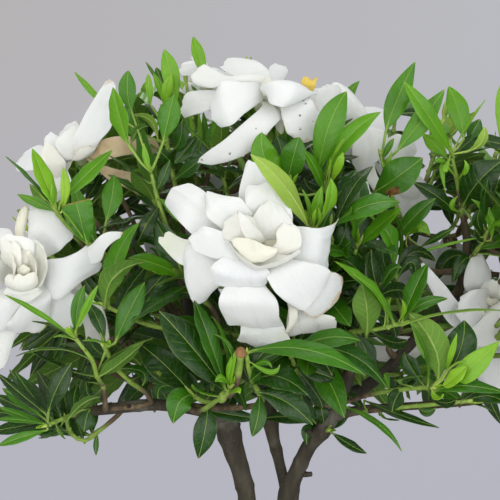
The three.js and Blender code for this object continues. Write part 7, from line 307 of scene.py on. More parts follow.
# leafy shoots: 1 for those in front, which get the finest blades, then stems, then leaves: base, middle, tip, width,
# upper side, fold, tone (the leaf's own darkness with age, plus painted shade on the leaves deep in the crown),
# outline, look, foot on the stem
LEAFY = {
"leaves_young_front":(1,[[[22.6,-16.7,275.3,1.35],[20.5,-24.2,274,1.3],[18.3,-31.8,271.9,1.25],[16.3,-39.2,270.5,1.2],[14.4,-46,271.2,1.15],[13,-52,275.3,1.1],[10.9,-62,286.9,1],[8.9,-70,297.2,0.9],[8,-72,299.7,0.8]]],[
[6.6,-76,298.7,-3.5,-98,316.2,-17,-101,328.9,9.3,-0.3,0.85,-0.3,0.2,0.1,0,0,8,-72,299.7],
[9.4,-76,299.1,14,-88,308.9,14.6,-90,319.5,7.1,0.57,-0.74,0.34,0.2,0.2,0,1,8,-72,299.7],
[8.3,-74,299.4,9.6,-80,308.1,11.6,-80,316.1,4.4,0.02,-0.93,0.36,0.1,0.42,0,0,8,-72,299.7],
[7.6,-73,299.4,6.5,-78,308.1,3.7,-78,314.8,2,-0.09,-0.96,0.27,0.1,0.45,0,0,8,-72,299.7],
[8.6,-78,300.1,8.3,-84,304,9,-86,307.2,1.6,0.04,-0.95,0.32,0.1,0.15,0,0,8,-72,299.7],
[9.8,-78,299.7,10.7,-84,304,9.8,-86,307.6,1.6,-0.09,-0.92,0.39,0.1,0.15,0,0,8,-72,299.7],
[8.9,-70,297.2,12,-72,304.6,17.7,-70,311.8,4.8,0.03,-0.93,0.37,0.1,0.85,0,0,8.9,-70,297.2],
]),
"leaves_front_low_left":(1,[[[-43.2,-25,217.5,1.6],[-41.8,-31.8,218.1,1.5],[-40.7,-38.3,218.6,1.4],[-39.5,-44.7,219.3,1.3],[-37.8,-51.2,220.7,1.2],[-35.3,-58,223.2,1.1],[-30.9,-68,227.9,1],[-26.7,-76,231.6,0.9],[-25,-80,235.1,0.8]],[[-25.9,-75,231.1,1.6],[-24.3,-77,233.8,1.7],[-22.4,-80,238.4,1.75],[-21.6,-83,244.5,1.8],[-21,-85.5,248.8,1.9],[-20.6,-88,250.6,2.05]],[[-37.8,-51.2,220.7,1.1],[-36.3,-50.8,221.3,1.1],[-34.4,-50.1,221.9,1.1],[-32.8,-49.6,222.5,1.1],[-31.9,-49.4,223.1,1.1],[-32.1,-50,223.6,1.1],[-36.2,-54,225.1,0.95],[-40.3,-58,228.3,0.8]]],[
[-26.1,-77.4,232.8,-38.4,-86,250.5,-53.2,-82,266.4,15.1,0.01,-0.75,0.67,0.1,0.86,0,1,-26.1,-77.4,232.8],
[-26.6,-80,234.3,-33.6,-88,257.1,-39.2,-84,271,9.5,0.65,-0.73,0.21,0.2,0.66,0,1,-25.3,-79.3,234.5],
[-25.4,-78,233.2,-24.9,-85,243.1,-22.1,-87,251.8,3.6,-0.35,-0.9,0.2,0.2,0.34,0,0,-25,-80,235.1],
[-25.4,-82,236.3,-28.1,-86,240.1,-30.9,-86,238.5,4.4,0.08,-0.7,0.71,0.1,0.36,0,0,-25,-80,235.1],
[-26.5,-76,231.8,-22.6,-84,235,-21,-86,233.7,3.6,-0.06,-0.73,0.68,0.1,0.2,0,0,-26.5,-76,231.8],
[-24.7,-78.7,236,-27.4,-80,254.5,-32.7,-76,263.7,4.4,0.89,-0.36,0.3,0.2,0.6,0,0,-24.7,-78.7,236],
[-25,-80,235.1,-24.1,-86,250.5,-31.7,-86,257.7,3.6,0.9,-0.33,0.28,0.2,0.58,0,0,-25,-80,235.1],
[-28,-73.6,230.5,-37.1,-78,233.2,-40.3,-78,236.4,4,-0.04,-0.15,0.99,0.2,0.5,0,0,-28,-73.6,230.5],
[-40.3,-58,228.3,-51.8,-58,240.8,-63.4,-52,249.2,15.8,0.07,-0.68,0.73,0.1,0.93,0,0,-40.3,-58,228.3],
[-39.8,-57.6,227.9,-45.3,-66,227.9,-48.6,-66,218,11.1,0.08,-0.93,0.37,0.1,0.5,0,1,-39.8,-57.6,227.9],
[-34.6,-54,224.2,-35.7,-58,214,-38.7,-56,201.4,10,0.07,-0.93,0.36,0.1,0.95,0,0,-35.3,-53.1,224.7],
[-37.9,-54,225.9,-43.9,-50,232.9,-52.6,-44,234.5,8.4,-0.06,-0.94,0.33,0.1,0.95,0,0,-37.1,-54.9,225.8],
[-41.9,-58,229.1,-53,-52,231.5,-55.8,-48,225.3,6.3,-0.03,-0.96,0.26,0.1,0.85,0,0,-40.3,-58,228.3],
[-36.3,-52,224.7,-32.2,-46,231.4,-36.6,-42,239.4,9.3,-0.11,-0.95,0.3,0.1,0.95,0,0,-35.3,-53.1,224.7],
[-38.8,-52,226.4,-48.4,-44,231.1,-59,-38,230.2,7.6,-0.05,-0.93,0.36,0.1,0.92,0,0,-36.9,-54.6,225.6],
]),
"leaves_front_low_right":(1,[[[-43.2,-25,217.5,1.6],[-35.5,-32.2,218.9,1.5],[-26.6,-39.3,220.1,1.4],[-18.5,-46.3,221.7,1.3],[-13,-53.1,224.1,1.2],[-12,-60,227.8,1.1],[-15.4,-72,235.5,1],[-17.8,-82,244.3,0.9],[-18.2,-86,249.7,0.8]]],[
[-17.8,-88,250.8,5.6,-97,252.8,28.4,-95,242.3,9.7,0.11,-0.72,0.69,0.1,0.42,0,2,-18.2,-86,249.7],
[-17,-74,235,-6.6,-80,240,6.3,-80,231.9,12.8,0.1,-0.68,0.73,0.1,0.9,0,0,-15.6,-73.1,236.4],
[-14.5,-68,231.6,-2.3,-70,227.8,8.8,-68,217.9,10.2,0.1,-0.95,0.31,0.1,0.84,0,0,-14.1,-67.5,232.6],
[-13.1,-63.8,230.2,-13.7,-68,221.7,-16.2,-68,213,7,-0.06,-0.95,0.29,0.1,0.72,0,0,-13.1,-63.8,230.2],
[-16.2,-75.4,238.5,-14.6,-80,245.6,-9,-78,251.8,9.6,-0.07,-0.95,0.29,0.1,0.93,0,0,-16.2,-75.4,238.5],
[-17.2,-79.5,242.1,-10.6,-82,247.5,-3.4,-80,249.7,4.8,0.03,-0.69,0.73,0.1,0.75,0,0,-17.2,-79.5,242.1],
[-17.4,-80.3,242.8,-11.4,-86,246.5,-8.3,-88,244.4,2.4,0.08,-0.94,0.33,0.1,0.5,0,0,-17.4,-80.3,242.8],
[-15.4,-72,235.5,-19.5,-66,242,-16.2,-62,250.5,8.2,0.03,-0.93,0.37,0.1,0.95,0,0,-15.4,-72,235.5],
[-13.8,-66.2,231.8,-8,-66,231.2,-3,-64,232.6,7.4,-0.09,-0.93,0.35,0.1,0.93,0,0,-13.8,-66.2,231.8],
[-18,-84,247,-9,-84,242.2,-5.1,-84,245.4,2.4,0.09,-0.93,0.37,0.1,0.4,0,0,-18,-84,247],
[-39.3,-28.6,218.2,-25.7,-25.3,214.7,-12.7,-20,212,6.4,0.16,-1,0.42,0.1,0.91,0,0,-39.3,-28.6,218.2],
]),
"leaves_front_right_low":(1,[[[21.4,-19,217.4,1.6],[17.4,-23.1,218.8,1.5],[13.2,-27,220,1.4],[9.2,-30.8,221.4,1.3],[6.1,-35,223.6,1.2],[4.3,-40,227,1.1],[2.2,-54,237.7,1],[0.1,-68,245.6,0.9],[-0.8,-74,248.8,0.8]]],[
[-0.8,-74,248.8,13.3,-82,255.6,26.9,-82,254.4,9.6,0.06,-0.72,0.69,0.1,0.56,0,1,-0.8,-74,248.8],
[-0.5,-71.9,247.7,21.1,-78,249.4,38.9,-74,233.4,9.6,-0.07,-0.69,0.72,0.1,0.86,0,0,-0.5,-71.9,247.7],
[1,-62,242.2,10.1,-64,239.2,19.4,-60,235.3,7.4,-0.04,-0.93,0.37,0.1,0.93,0,0,1,-62,242.2],
[1.6,-58.1,240,10.6,-54,228.5,13.3,-50,221.9,6.7,0.11,-0.94,0.31,0.1,0.9,0,0,1.6,-58.1,240],
[2.3,-53.6,237.4,16.7,-48,225.8,23.7,-44,227.7,7.6,-0.02,-0.92,0.39,0.1,0.92,0,0,2.3,-53.6,237.4],
[2.8,-50.4,235,5.9,-46,222.9,11.1,-42,213.6,6.8,0.05,-0.96,0.28,0.1,0.9,0,0,2.8,-50.4,235],
[-0.2,-70,246.6,8.5,-62,259.6,16.2,-56,266.5,9.1,-0.09,-0.96,0.28,0.1,0.93,0,0,-0.2,-70,246.6],
[2.4,-48,235.1,-5.1,-42,229.9,-10.1,-38,223.2,7.7,0.09,-0.93,0.37,0.1,0.95,0,0,3,-49,233.9],
]),
"leaves_right_front":(1,[[[27.6,-12.7,247.9,1.6],[24.6,-21.1,248.7,1.5],[20.4,-29.8,249.6,1.4],[16.8,-38.1,250.7,1.3],[15.7,-45.6,252,1.2],[19,-52,253.4,1.1],[27.6,-60,255.7,1],[35.3,-66,257.2,0.9],[43.9,-70,259.8,0.8]]],[
[44.6,-71,260.7,49.1,-74,273.6,54.9,-72,284.8,9.7,-0.67,-0.68,0.3,0.2,0.56,0,1,43.9,-70,259.8],
[45.5,-70,261.4,53.6,-70,268.3,63.9,-66,269.6,5.7,0.11,-0.7,0.71,0.1,0.72,0,0,43.9,-70,259.8],
[44.6,-72,259.6,63.7,-80,265.8,86.4,-78,265.9,5.6,-0.04,0.13,0.99,0.2,0.5,0,0,43.9,-70,259.8],
[41.8,-71,259.5,32,-76,274.2,16.7,-76,285.9,8.8,0.91,-0.37,0.18,0.2,0.36,0,0,42.6,-69.4,259.4],
[37.4,-70,258.1,35.8,-79,270.5,23.6,-81,281.1,5.6,0.92,-0.3,0.24,0.2,0.36,0,0,38.6,-67.5,258.2],
[30.6,-64,253.7,30.3,-72,266.1,28,-70,276.9,11.7,0.01,0.94,0.35,0.2,0.68,0,0,31.1,-62.7,256.4],
[39.4,-67.9,258.4,39.7,-62,266.3,41.5,-60,269.4,1.6,-0.01,-0.93,0.38,0.1,0.25,0,0,39.4,-67.9,258.4],
[43.5,-70,261,44.7,-78,266.3,43.5,-82,270.8,2.4,0.07,-0.95,0.29,0.1,0.25,0,0,43.9,-70,259.7],
[46.1,-69,260.9,52.5,-66,265,56,-64,265.2,2.5,-0.06,-0.15,0.99,0.2,0.6,0,0,43.9,-70,259.8],
[28.6,-58,255,23,-54,260.4,22.2,-52,269.4,8.3,-0.06,-0.94,0.34,0.1,0.9,0,0,27,-59.5,255.5],
[32.4,-62,256.3,42,-56,250.6,49.3,-50,250.7,7.5,-0.06,-0.72,0.69,0.1,0.9,0,0,31.5,-63.1,256.5],
[25.4,-56,254.8,31.2,-56,246.4,28.9,-54,237.7,8.3,-0.08,-0.92,0.38,0.1,0.92,0,0,24.4,-57,254.8],
]),
"leaves_right_low":(1,[[[21.4,-19,217.4,1.6],[21.9,-21.3,218,1.5],[22.2,-23.5,218.7,1.4],[22.6,-25.6,219.4,1.3],[23.4,-27.8,220.2,1.2],[24.6,-30,221,1.1],[34.8,-44,226.8,1.03],[44.5,-58,230.8,0.95],[52.5,-68,233.2,0.88],[56.4,-73,234,0.8]]],[
[62.9,-76,235.3,70.8,-82,243.5,82.7,-82,254.4,9.6,-0.07,-0.94,0.33,0.1,0.18,0,1,56.4,-73,234],
[59.7,-76,233.7,64.5,-82,239.5,69.4,-84,244.6,6.4,-0.6,-0.75,0.29,0.2,0.12,0,0,56.4,-73,234],
[62.6,-72,238.8,68.5,-72,250.2,70.2,-68,261.2,13,-0.04,-0.94,0.33,0.1,0.82,0,0,56.4,-73,234],
[62.3,-74,240.7,64.1,-78,249.4,65.8,-80,257.3,2.8,0.01,-0.93,0.37,0.1,0.22,0,0,56.4,-73,234],
[57.3,-76,232.9,69.3,-82,236.3,86.1,-82,233,6.8,-0.09,-0.71,0.7,0.1,0.62,0,0,56.4,-73,234],
[59.3,-72,237.1,57.1,-76,251.6,46.9,-72,264.9,12.9,-0.06,0.97,0.26,0.2,0.56,0,0,56.4,-73,234],
[54.9,-72,234.7,53.7,-78,249.4,46.4,-78,262.3,4.8,-0.9,-0.36,0.26,0.2,0.52,0,0,55.4,-71.7,233.8],
[60.4,-76,237.7,63.9,-80,244,69.2,-82,246.3,3.2,0.01,-0.14,0.99,0.2,0.2,0,0,56.4,-73,234],
[56.3,-74,234.2,58,-80,231.1,60.3,-84,233.4,3.6,0.1,-0.72,0.69,0.1,0.2,0,0,56.4,-73,234],
[54.1,-68,234,49.2,-60,241.1,47.2,-54,246.1,7.4,0.03,-0.94,0.33,0.1,0.88,0,0,53.2,-68.9,233.4],
[46.3,-60.4,231.4,43.6,-58,227.4,42.2,-56,221.2,7.5,0,-0.93,0.36,0.1,0.93,0,0,46.3,-60.4,231.4],
[41.4,-53.6,229.5,39.3,-60,236.1,38.3,-62,237.2,3.3,-0.01,-0.94,0.33,0.1,0.5,0,0,41.4,-53.6,229.5],
[49.4,-66,233.7,43.3,-70,236.8,53.4,-74,239.1,4.1,0,-0.14,0.99,0.2,0.75,0,0,50.4,-65.5,232.6],
[55.2,-66,232.9,61.7,-60,226.1,69.1,-54,225.9,5.8,0.05,-0.69,0.73,0.1,0.9,0,0,52.5,-68,233.2],
]),
"leaves_upper_left":(1,[[[-48.9,-12,280.5,1.27],[-48.7,-15.6,280.1,1.24],[-48.5,-19.5,279.3,1.21],[-48.3,-23.2,278.8,1.17],[-48.4,-26.2,279.3,1.14],[-49,-28,281.8,1.1],[-53,-33,298,1],[-56.7,-35,310.5,0.9],[-59.1,-36,320.8,0.8]],[[-48.9,-12,280.5,1.1],[-48.2,-11.5,282.4,1.1],[-47.4,-10.8,284.1,1.1],[-46.7,-10.2,286,1.1],[-46.2,-9.9,287.9,1.1],[-46.3,-10,290.1,1.1],[-49.5,-14,312.4,1],[-52.8,-18,330,0.9],[-53.9,-20,343.9,0.8]]],[
[-68.7,-38,332.2,-71.9,-39,344,-74.9,-38,356.7,10.1,-0.66,-0.72,0.22,0.2,0.42,0,0,-59.1,-36,320.8],
[-67.4,-31,345.9,-69.4,-30,354.8,-69,-29,364.2,7.7,0.03,-0.96,0.27,0.1,0.5,0,0,-59.1,-36,320.8],
[-67.8,-33,332.6,-64.8,-32,338.6,-60.3,-30,340.3,5.1,0.01,0.61,0.79,0.2,0.9,0,0,-59.1,-36,320.8],
[-53.8,-38,333.5,-51.4,-40,343.6,-49.1,-39,353.3,10.1,-0.1,-0.94,0.33,0.1,0.55,0,0,-59.1,-36,320.8],
[-59.6,-35,316.1,-68.1,-35,322,-77.5,-34,328,5.5,-0.11,-0.15,0.98,0.2,0.85,0,0,-58.1,-35.6,316.4],
[-59,-37,320.8,-61.1,-38,326.7,-61.9,-38,333.1,3,-0.1,-0.96,0.27,0.1,0.22,0,0,-59.1,-36,320.8],
[-57.1,-35.2,312.3,-54,-37,318.2,-51,-36,325.9,5.1,-0.02,-0.93,0.37,0.1,0.8,0,0,-57.1,-35.2,312.3],
[-55.5,-33,306.6,-60.2,-40,299.7,-64.5,-40,290.8,6.8,-0.09,-0.95,0.29,0.1,0.9,0,0,-55.4,-34.3,306.4],
[-56.6,-36,309.7,-49.8,-44,305.8,-47.6,-46,300,5.1,0.03,-0.68,0.73,0.1,0.6,0,0,-56.5,-34.9,309.9],
[-49.1,-20,348.2,-51.2,-22,361.5,-54.1,-22,373.6,7.8,0.02,-0.95,0.32,0.1,0.36,0,0,-53.8,-19.7,342.1],
[-52.9,-22,349,-52.7,-26,355.8,-50.5,-27,362.6,4.7,0.11,-0.96,0.27,0.1,0.3,0,0,-53.9,-19.9,343.3],
[-54.9,-18,356.1,-58.9,-16,362.7,-62.7,-14,368.6,2.6,0.68,-0.69,0.23,0.2,0.68,0,0,-53.8,-19.8,342.2],
[-54.8,-20,350,-55.9,-22,356.8,-58.9,-22,363.3,4.3,-0.69,-0.7,0.21,0.2,0.38,0,0,-53.7,-19.6,341],
[-60,-20,349.5,-60.8,-21,356.8,-61.2,-20,363.3,3.5,-0.04,-0.93,0.37,0.1,0.3,0,0,-53.7,-19.6,341.2],
[-54.2,-14,357.1,-56.6,-10,362,-58.5,-8,366.5,3.5,-0.07,-0.94,0.34,0.1,0.7,0,0,-53.6,-19.3,339.2],
[-56.9,-22,334.4,-60.1,-26,342.9,-67.3,-27,344.7,4.7,0.03,0.61,0.79,0.2,0.42,0,0,-53.1,-18.6,334],
[-53.7,-16,336.5,-60.9,-12,348.4,-66.4,-10,348.4,5.3,0.01,-0.16,0.99,0.2,0.85,0,0,-53.3,-18.9,336.2],
[-56.7,-10,330,-71.1,-6,342.3,-64.8,-6,356,4.9,-0.1,-0.95,0.29,0.1,0.6,0,0,-52.6,-17.8,329],
[-78,-8,346.3,-87.7,-3,356.3,-95.7,1,365.1,3.3,0.3,-0.9,0.3,0.2,0.42,0,0,-52.9,-18.3,331.9],
[-50.9,-20,330,-47.2,-26,334.4,-46.2,-28,342.9,6.9,-0.04,-0.94,0.34,0.1,0.8,0,0,-52.8,-18,330.2],
[-51,-20,323.5,-44.8,-20,330,-40.5,-20,336.1,7.8,-0.01,-0.95,0.3,0.1,0.85,0,0,-51.7,-16.7,324.1],
[-50.1,-20,317,-43,-24,322.3,-36.8,-26,327.5,6.9,0.07,-0.93,0.36,0.1,0.8,0,0,-50.6,-15.3,318],
[-49.8,-18,321.3,-52.9,-24,326.6,-57.5,-26,330.1,5.2,-0.06,-0.94,0.34,0.1,0.85,0,0,-51.2,-16.1,321.5],
[-40.9,-8,329.1,-42.2,-8,337,-44,-6,345.9,2,0,-1,0.2,0.2,0.3,0,0,-40.9,-8,329.1],
[-39.6,-8,329.1,-39.1,-8,337.9,-40.1,-6,347.6,2.2,0,-1,0.2,0.2,0.36,0,0,-39.6,-8,329.1],
[-37.5,-4,329,-37,-4,337.9,-38,-2,347.7,3.1,0,-1,0.2,0.2,0.5,0,0,-37.5,-4,329],
[-36.5,-6,329.9,-33.4,-6,336.1,-33.5,-4,343.2,5.8,0,-1,0.3,0.2,0.5,0,0,-36.5,-6,329.9],
[-45.4,-6,334.4,-45,-6,340.6,-46.3,-4,346.8,3.1,0,-1,0.3,0.2,0.6,0,0,-45.4,-6,334.4],
[-36.3,-12,360.6,-39.4,-12,370.7,-42,-10,379.9,5.7,0.1,-1,0.1,0.2,0.38,0,0,-36.3,-12,360.6],
]),
"leaves_left":(1,[[[-48.1,-10,276.3,1.39],[-52.2,-16.5,275.4,1.33],[-56,-23.2,273.9,1.27],[-59.9,-29.6,272.9,1.22],[-64,-35.4,273.6,1.16],[-68.8,-40,277.2,1.1],[-76.7,-46,285.3,1.03],[-84.7,-50,291.4,0.95],[-96.3,-50,302.3,0.88],[-99.1,-50,306.9,0.8]]],[
[-97.5,-50,305.6,-102,-50,316.5,-108.2,-46,331,8.7,0.63,-0.71,0.32,0.2,0.3,0,0,-98.5,-50,305.8],
[-96.7,-50,303.5,-108.2,-50,317.3,-119.2,-48,327.7,5.4,0.64,-0.19,0.75,0.2,0.58,0,0,-96.5,-50,302.7],
[-95.4,-50,304.4,-93.8,-52,314.4,-94.6,-52,323.2,4.2,0.11,-0.95,0.28,0.1,0.12,0,0,-97,-50,303.4],
[-96,-48,309.3,-85.7,-46,319.7,-74.7,-44,330.2,8.8,-0.02,-0.7,0.72,0.1,0.5,0,0,-96.6,-50,302.8],
[-84.9,-52,291.6,-86.6,-55,299.2,-89,-55,308.8,12.8,-0.08,-0.94,0.33,0.1,0.52,2,0,-84.8,-50,291.6],
[-98.9,-49,306.4,-99.3,-52,311.1,-99.2,-52,316.5,2.1,-0.1,-0.93,0.35,0.1,0.3,0,0,-98.9,-50,306.4],
[-98.3,-47,304.2,-107.2,-43,308.3,-116.2,-36,311.4,5.5,0.06,-0.71,0.7,0.1,0.5,0,0,-97.7,-50,304.6],
[-77.8,-42,299.8,-75.4,-40,310.7,-74.8,-36,319.9,8.9,0.09,-0.95,0.3,0.1,0.55,0,0,-79.6,-47.4,287.5],
[-85.7,-52,292.8,-90.2,-59,300.7,-94.3,-59,305.2,3.3,0.61,-0.19,0.77,0.2,0.25,0,0,-85.9,-50,292.6],
[-81.1,-44,288.5,-88,-34,302.4,-93.7,-28,316.3,7.7,0.02,-0.95,0.32,0.1,0.6,0,0,-79.9,-47.6,287.7],
[-78.7,-43,278.7,-73.2,-43,289.3,-64.1,-42,298.5,10.1,0,-1,0.25,0.1,0.97,0,0,-78.1,-46.7,286.4],
[-76.1,-44,284.7,-69,-36,291.8,-60,-30,296.6,8.5,-0.01,-0.7,0.71,0.1,0.9,0,0,-75.7,-45.2,284.2],
]),
"leaves_left_middle":(1,[[[-42.9,-7,250.8,1.6],[-43.4,-15.8,251,1.5],[-42.9,-25,251.1,1.4],[-42.9,-33.8,251.6,1.3],[-44.7,-41.1,252.6,1.2],[-49.9,-46,254.4,1.1],[-63,-52,258.5,1],[-71.8,-56,263.1,0.9],[-76.7,-57,265.7,0.8]]],[
[-75.7,-58,265.8,-72.3,-58,285.7,-62.6,-54,300.4,12.4,-0.68,-0.68,0.28,0.2,0.6,0,0,-76.2,-56.9,265.5],
[-76.8,-60,265.2,-72.5,-66,279,-60.2,-66,284.7,11,0.03,0.56,0.83,0.2,0.72,0,0,-76.7,-57,265.7],
[-75,-56.6,264.8,-83.7,-44,271.1,-89.6,-36,279,5.9,0.07,-0.95,0.3,0.1,0.85,0,0,-75,-56.6,264.8],
[-70.8,-55.5,262.6,-62.2,-50,267.5,-58,-50,268.4,4.2,-0.03,-0.14,0.99,0.2,0.6,0,0,-70.8,-55.5,262.6],
[-67.8,-54.2,261,-58.9,-50,271.7,-51.5,-46,279.8,9.2,-0.11,-0.94,0.32,0.1,0.88,0,0,-67.8,-54.2,261],
[-66.4,-53.6,260.3,-59.9,-60,261.1,-55,-60,257.8,5.8,-0.08,-0.16,0.98,0.2,0.8,0,0,-66.4,-53.6,260.3],
[-72,-54,262.9,-68.4,-46,271.3,-59.4,-40,282.7,7.6,-0.1,-0.93,0.36,0.1,0.95,0,0,-71.2,-55.7,262.8],
]),
"leaves_left_low":(1,[[[-79.6,-33,218.2,1.6],[-79.3,-35.4,219.1,1.5],[-79,-37.8,219.9,1.4],[-78.7,-40.1,220.8,1.3],[-78.5,-42.2,222.1,1.2],[-78.6,-44,224.2,1.1],[-79,-48,230.9,1.04],[-80.9,-54,236,0.98],[-82.3,-60,243.6,0.92],[-85.3,-63,248.6,0.86],[-88.4,-64,252.9,0.8]],[[-79.6,-33,218.2,1.2],[-74.5,-33.3,218.9,1.18],[-68.3,-33.2,219.4,1.16],[-62.8,-33.3,220.1,1.14],[-59.5,-34.1,221.4,1.12],[-60,-36,223.8,1.1],[-68.7,-44,232.8,1.03],[-74.6,-54,241.9,0.95],[-76.5,-60,247.8,0.88],[-77.2,-61,249.2,0.8]]],[
[-88.3,-65,255.5,-87.5,-66,266.3,-84.6,-64,275.1,5.7,0.2,-0.95,0.2,0.2,0.6,0,0,-88.4,-64,252.9],
[-88.6,-66,256,-83.6,-70,266.3,-78.6,-70,275.7,3.7,-0.4,-0.9,0.2,0.2,0.32,0,0,-88.4,-64,252.9],
[-89.9,-65,254.2,-103.6,-66,263.8,-117.6,-64,271.2,3.5,0,-0.5,0.9,0.2,0.42,0,0,-88.4,-64,252.9],
[-88.9,-63,253.1,-97.7,-58,257.1,-108.2,-54,259.1,3.3,0.01,-0.14,0.99,0.2,0.85,0,0,-88.4,-64,252.9],
[-88,-63.9,252.3,-93.5,-66,254.4,-97.5,-67,253.7,3.3,0.07,-0.14,0.99,0.2,0.4,0,0,-88,-63.9,252.3],
[-88.9,-67,254.5,-90.6,-70,256.9,-91.6,-71,258.7,2.4,-0.05,-0.95,0.32,0.1,0.2,0,0,-88.4,-64,252.9],
[-82.3,-60,243.6,-97.9,-54,247.8,-115.7,-50,243.5,7.5,-0.03,0.12,0.99,0.2,0.8,0,0,-82.3,-60,243.6],
[-81.1,-52,235.7,-97.8,-42,238.5,-115.9,-34,246.9,7.7,0.11,0.14,0.98,0.2,0.9,0,0,-80.5,-52.8,235],
[-80.7,-53.5,235.6,-71.7,-58,241.7,-60.9,-58,250.8,8.3,-0.08,0.62,0.78,0.2,0.72,0,0,-80.7,-53.5,235.6],
[-79.6,-49.8,232.4,-90.2,-42,233.4,-97.7,-36,237.6,6,-0.06,0.13,0.99,0.2,0.9,0,0,-79.6,-49.8,232.4],
[-78.9,-47.6,230.3,-84.5,-48,226.6,-86.6,-44,232.8,5.1,0.02,-0.95,0.3,0.1,0.9,0,0,-78.9,-47.6,230.3],
[-84.3,-64,248.3,-89.9,-58,249.2,-96.2,-54,249.5,5,-0.12,-0.15,0.98,0.2,0.8,0,0,-85.2,-62.9,248.5],
[-72.6,-62,250.9,-66.6,-64,264,-60.3,-60,276,9.4,-0.03,-0.94,0.34,0.1,0.55,0,1,-77.2,-61,249.2],
[-76.9,-62,252.2,-79.7,-62,260.5,-84,-58,267.1,6.2,0.2,-0.95,0.2,0.2,0.9,0,0,-77.2,-61,249.1],
[-74.5,-64,250,-79.4,-68,252.6,-85.3,-70,252.8,3.7,0,-0.15,0.99,0.2,0.42,0,0,-77.2,-61,249.2],
[-81.3,-50,234.6,-70.9,-58,245.8,-56.6,-60,252.8,6.2,0.05,0.14,0.99,0.2,0.62,0,0,-76.5,-60,247.8],
[-76.9,-60.5,248.5,-75.3,-64,250.8,-74.3,-66,252.7,2.5,0.09,-0.93,0.37,0.1,0.2,0,0,-76.9,-60.5,248.5],
[-72.4,-50.3,238.5,-62.6,-46,236.5,-62.8,-44,230.2,5.1,0.08,-0.93,0.37,0.1,0.85,0,0,-72.4,-50.3,238.5],
[-68.1,-43.5,232.2,-59.9,-36,236.8,-55.9,-30,243.7,7.7,-0.02,-0.95,0.32,0.1,0.95,0,0,-68.1,-43.5,232.2],
[-74.6,-54,243.6,-82.2,-44,245.6,-86,-40,251.1,5.9,-0.09,-0.93,0.35,0.1,0.9,0,0,-74.8,-54.8,242.7],
]),
"leaves_bottom_left":(1,[[[-75.4,-32,218.6,1.6],[-75.6,-31.5,219,1.5],[-75.8,-30.8,219.4,1.4],[-76.1,-30.2,219.8,1.3],[-76.4,-29.9,220.1,1.2],[-76.8,-30,220.1,1.1],[-89.6,-40,218.4,1],[-95.9,-52,217.5,0.9],[-101,-58,216.1,0.8]],[[-76.1,-30.2,219.8,1.1],[-75.1,-27.2,218.9,1.1],[-73.6,-23.8,218.2,1.1],[-72.4,-20.7,217.6,1.1],[-72.2,-18.5,216.6,1.1],[-73.5,-18,215,1.1],[-83.1,-20,206.9,1.03],[-90,-22,202.4,0.95],[-95.9,-24,206.7,0.88],[-97.3,-26,212.4,0.8]]],[
[-100.8,-59,221.3,-96.4,-62,232.7,-90.7,-60,242.4,8.7,-0.1,-0.96,0.27,0.1,0.82,0,1,-101,-58,216.1],
[-101.8,-58,220.7,-112.6,-52,227.7,-124.4,-46,236.5,5.4,-0.07,-0.74,0.67,0.1,0.92,0,0,-100.9,-57.8,216.1],
[-101.4,-58,214,-112.4,-60,211,-122.3,-58,207.3,4.6,0,-0.85,0.5,0.2,0.55,0,0,-101,-58,216.1],
[-93.8,-52,216.7,-86.6,-56,225,-79.1,-56,227.5,5.4,-0.12,0.62,0.77,0.2,0.9,0,0,-95.7,-51.7,217.6],
[-84.9,-44,220.4,-86.5,-46,216,-87.4,-46,210.9,8.5,0,-1,0.1,0.1,0.9,0,0,-92.9,-46.2,218],
[-100.6,-58,216.1,-113,-50,218.5,-124.9,-44,221.7,3.8,0,-0.8,0.6,0.2,0.64,0,0,-100.6,-57.5,216.2],
[-101,-58,216.1,-114.4,-52,217.1,-126,-48,216.4,2.9,0,-0.8,0.6,0.2,0.62,0,0,-101,-58,216.1],
[-98.2,-54,215.8,-97,-50,210.8,-94.8,-48,208.3,2.9,-0.06,-0.15,0.99,0.2,0.85,0,0,-98,-54.4,216.9],
[-102.1,-56,217.8,-114.6,-44,224.2,-123.2,-38,228.4,4.7,-0.03,-0.96,0.28,0.1,0.66,0,0,-100.3,-57.2,216.3],
[-96.2,-50,215.1,-100.7,-48,210.4,-107.2,-44,207.9,2.5,0,-0.7,0.7,0.2,0.85,0,0,-95.3,-50.9,217.6],
[-91.6,-43.7,218.1,-92.2,-40,224.4,-90.9,-36,229.8,5.1,-0.01,-0.94,0.33,0.1,0.85,0,0,-91.6,-43.7,218.1],
[-84.3,-20.3,206.1,-84.9,-20,200.6,-84.9,-20,195.3,2.6,-0.1,-0.96,0.27,0.1,0.7,0,0,-84.3,-20.3,206.1],
[-97.2,-25.9,212,-104.8,-22,218.8,-109.7,-18,223.5,6.1,-0.04,-0.95,0.3,0.1,0.8,0,0,-97.2,-25.9,212],
[-96.3,-24.6,208.4,-104.3,-20,204.2,-111.9,-16,205.2,5.3,0.08,-0.16,0.98,0.2,0.8,0,0,-96.3,-24.6,208.4],
[-97.3,-26,212.4,-93.6,-20,218.4,-90.5,-16,223.1,5.3,-0.1,-0.92,0.39,0.1,0.85,0,0,-97.3,-26,212.4],
[-98.5,-55,216.8,-115.5,-34.2,219.2,-130,-25.2,224.1,6.8,0.26,-1,0.45,0.1,0.86,0,0,-98.5,-55,216.8],
[-98.5,-55,216.8,-110,-37.4,224.7,-119.1,-28.5,234.3,6.1,-0.3,-1,0.44,0.1,0.91,0,0,-98.5,-55,216.8],
[-98.5,-55,216.8,-116.4,-36.1,211.4,-132.2,-26.8,206.8,6.4,-0.27,-1,0.59,0.1,0.92,0,0,-98.5,-55,216.8],
[-73.5,-18,215,-68.1,-16.4,222.3,-62.4,-9.2,227.1,7.5,-0.27,-1,0.59,0.1,0.86,0,0,-73.5,-18,215],
[-86.5,-21,204.6,-86.5,-17.1,211.8,-85.6,-10.4,217.8,5.5,-0.24,-1,0.32,0.1,0.93,0,0,-86.5,-21,204.6],
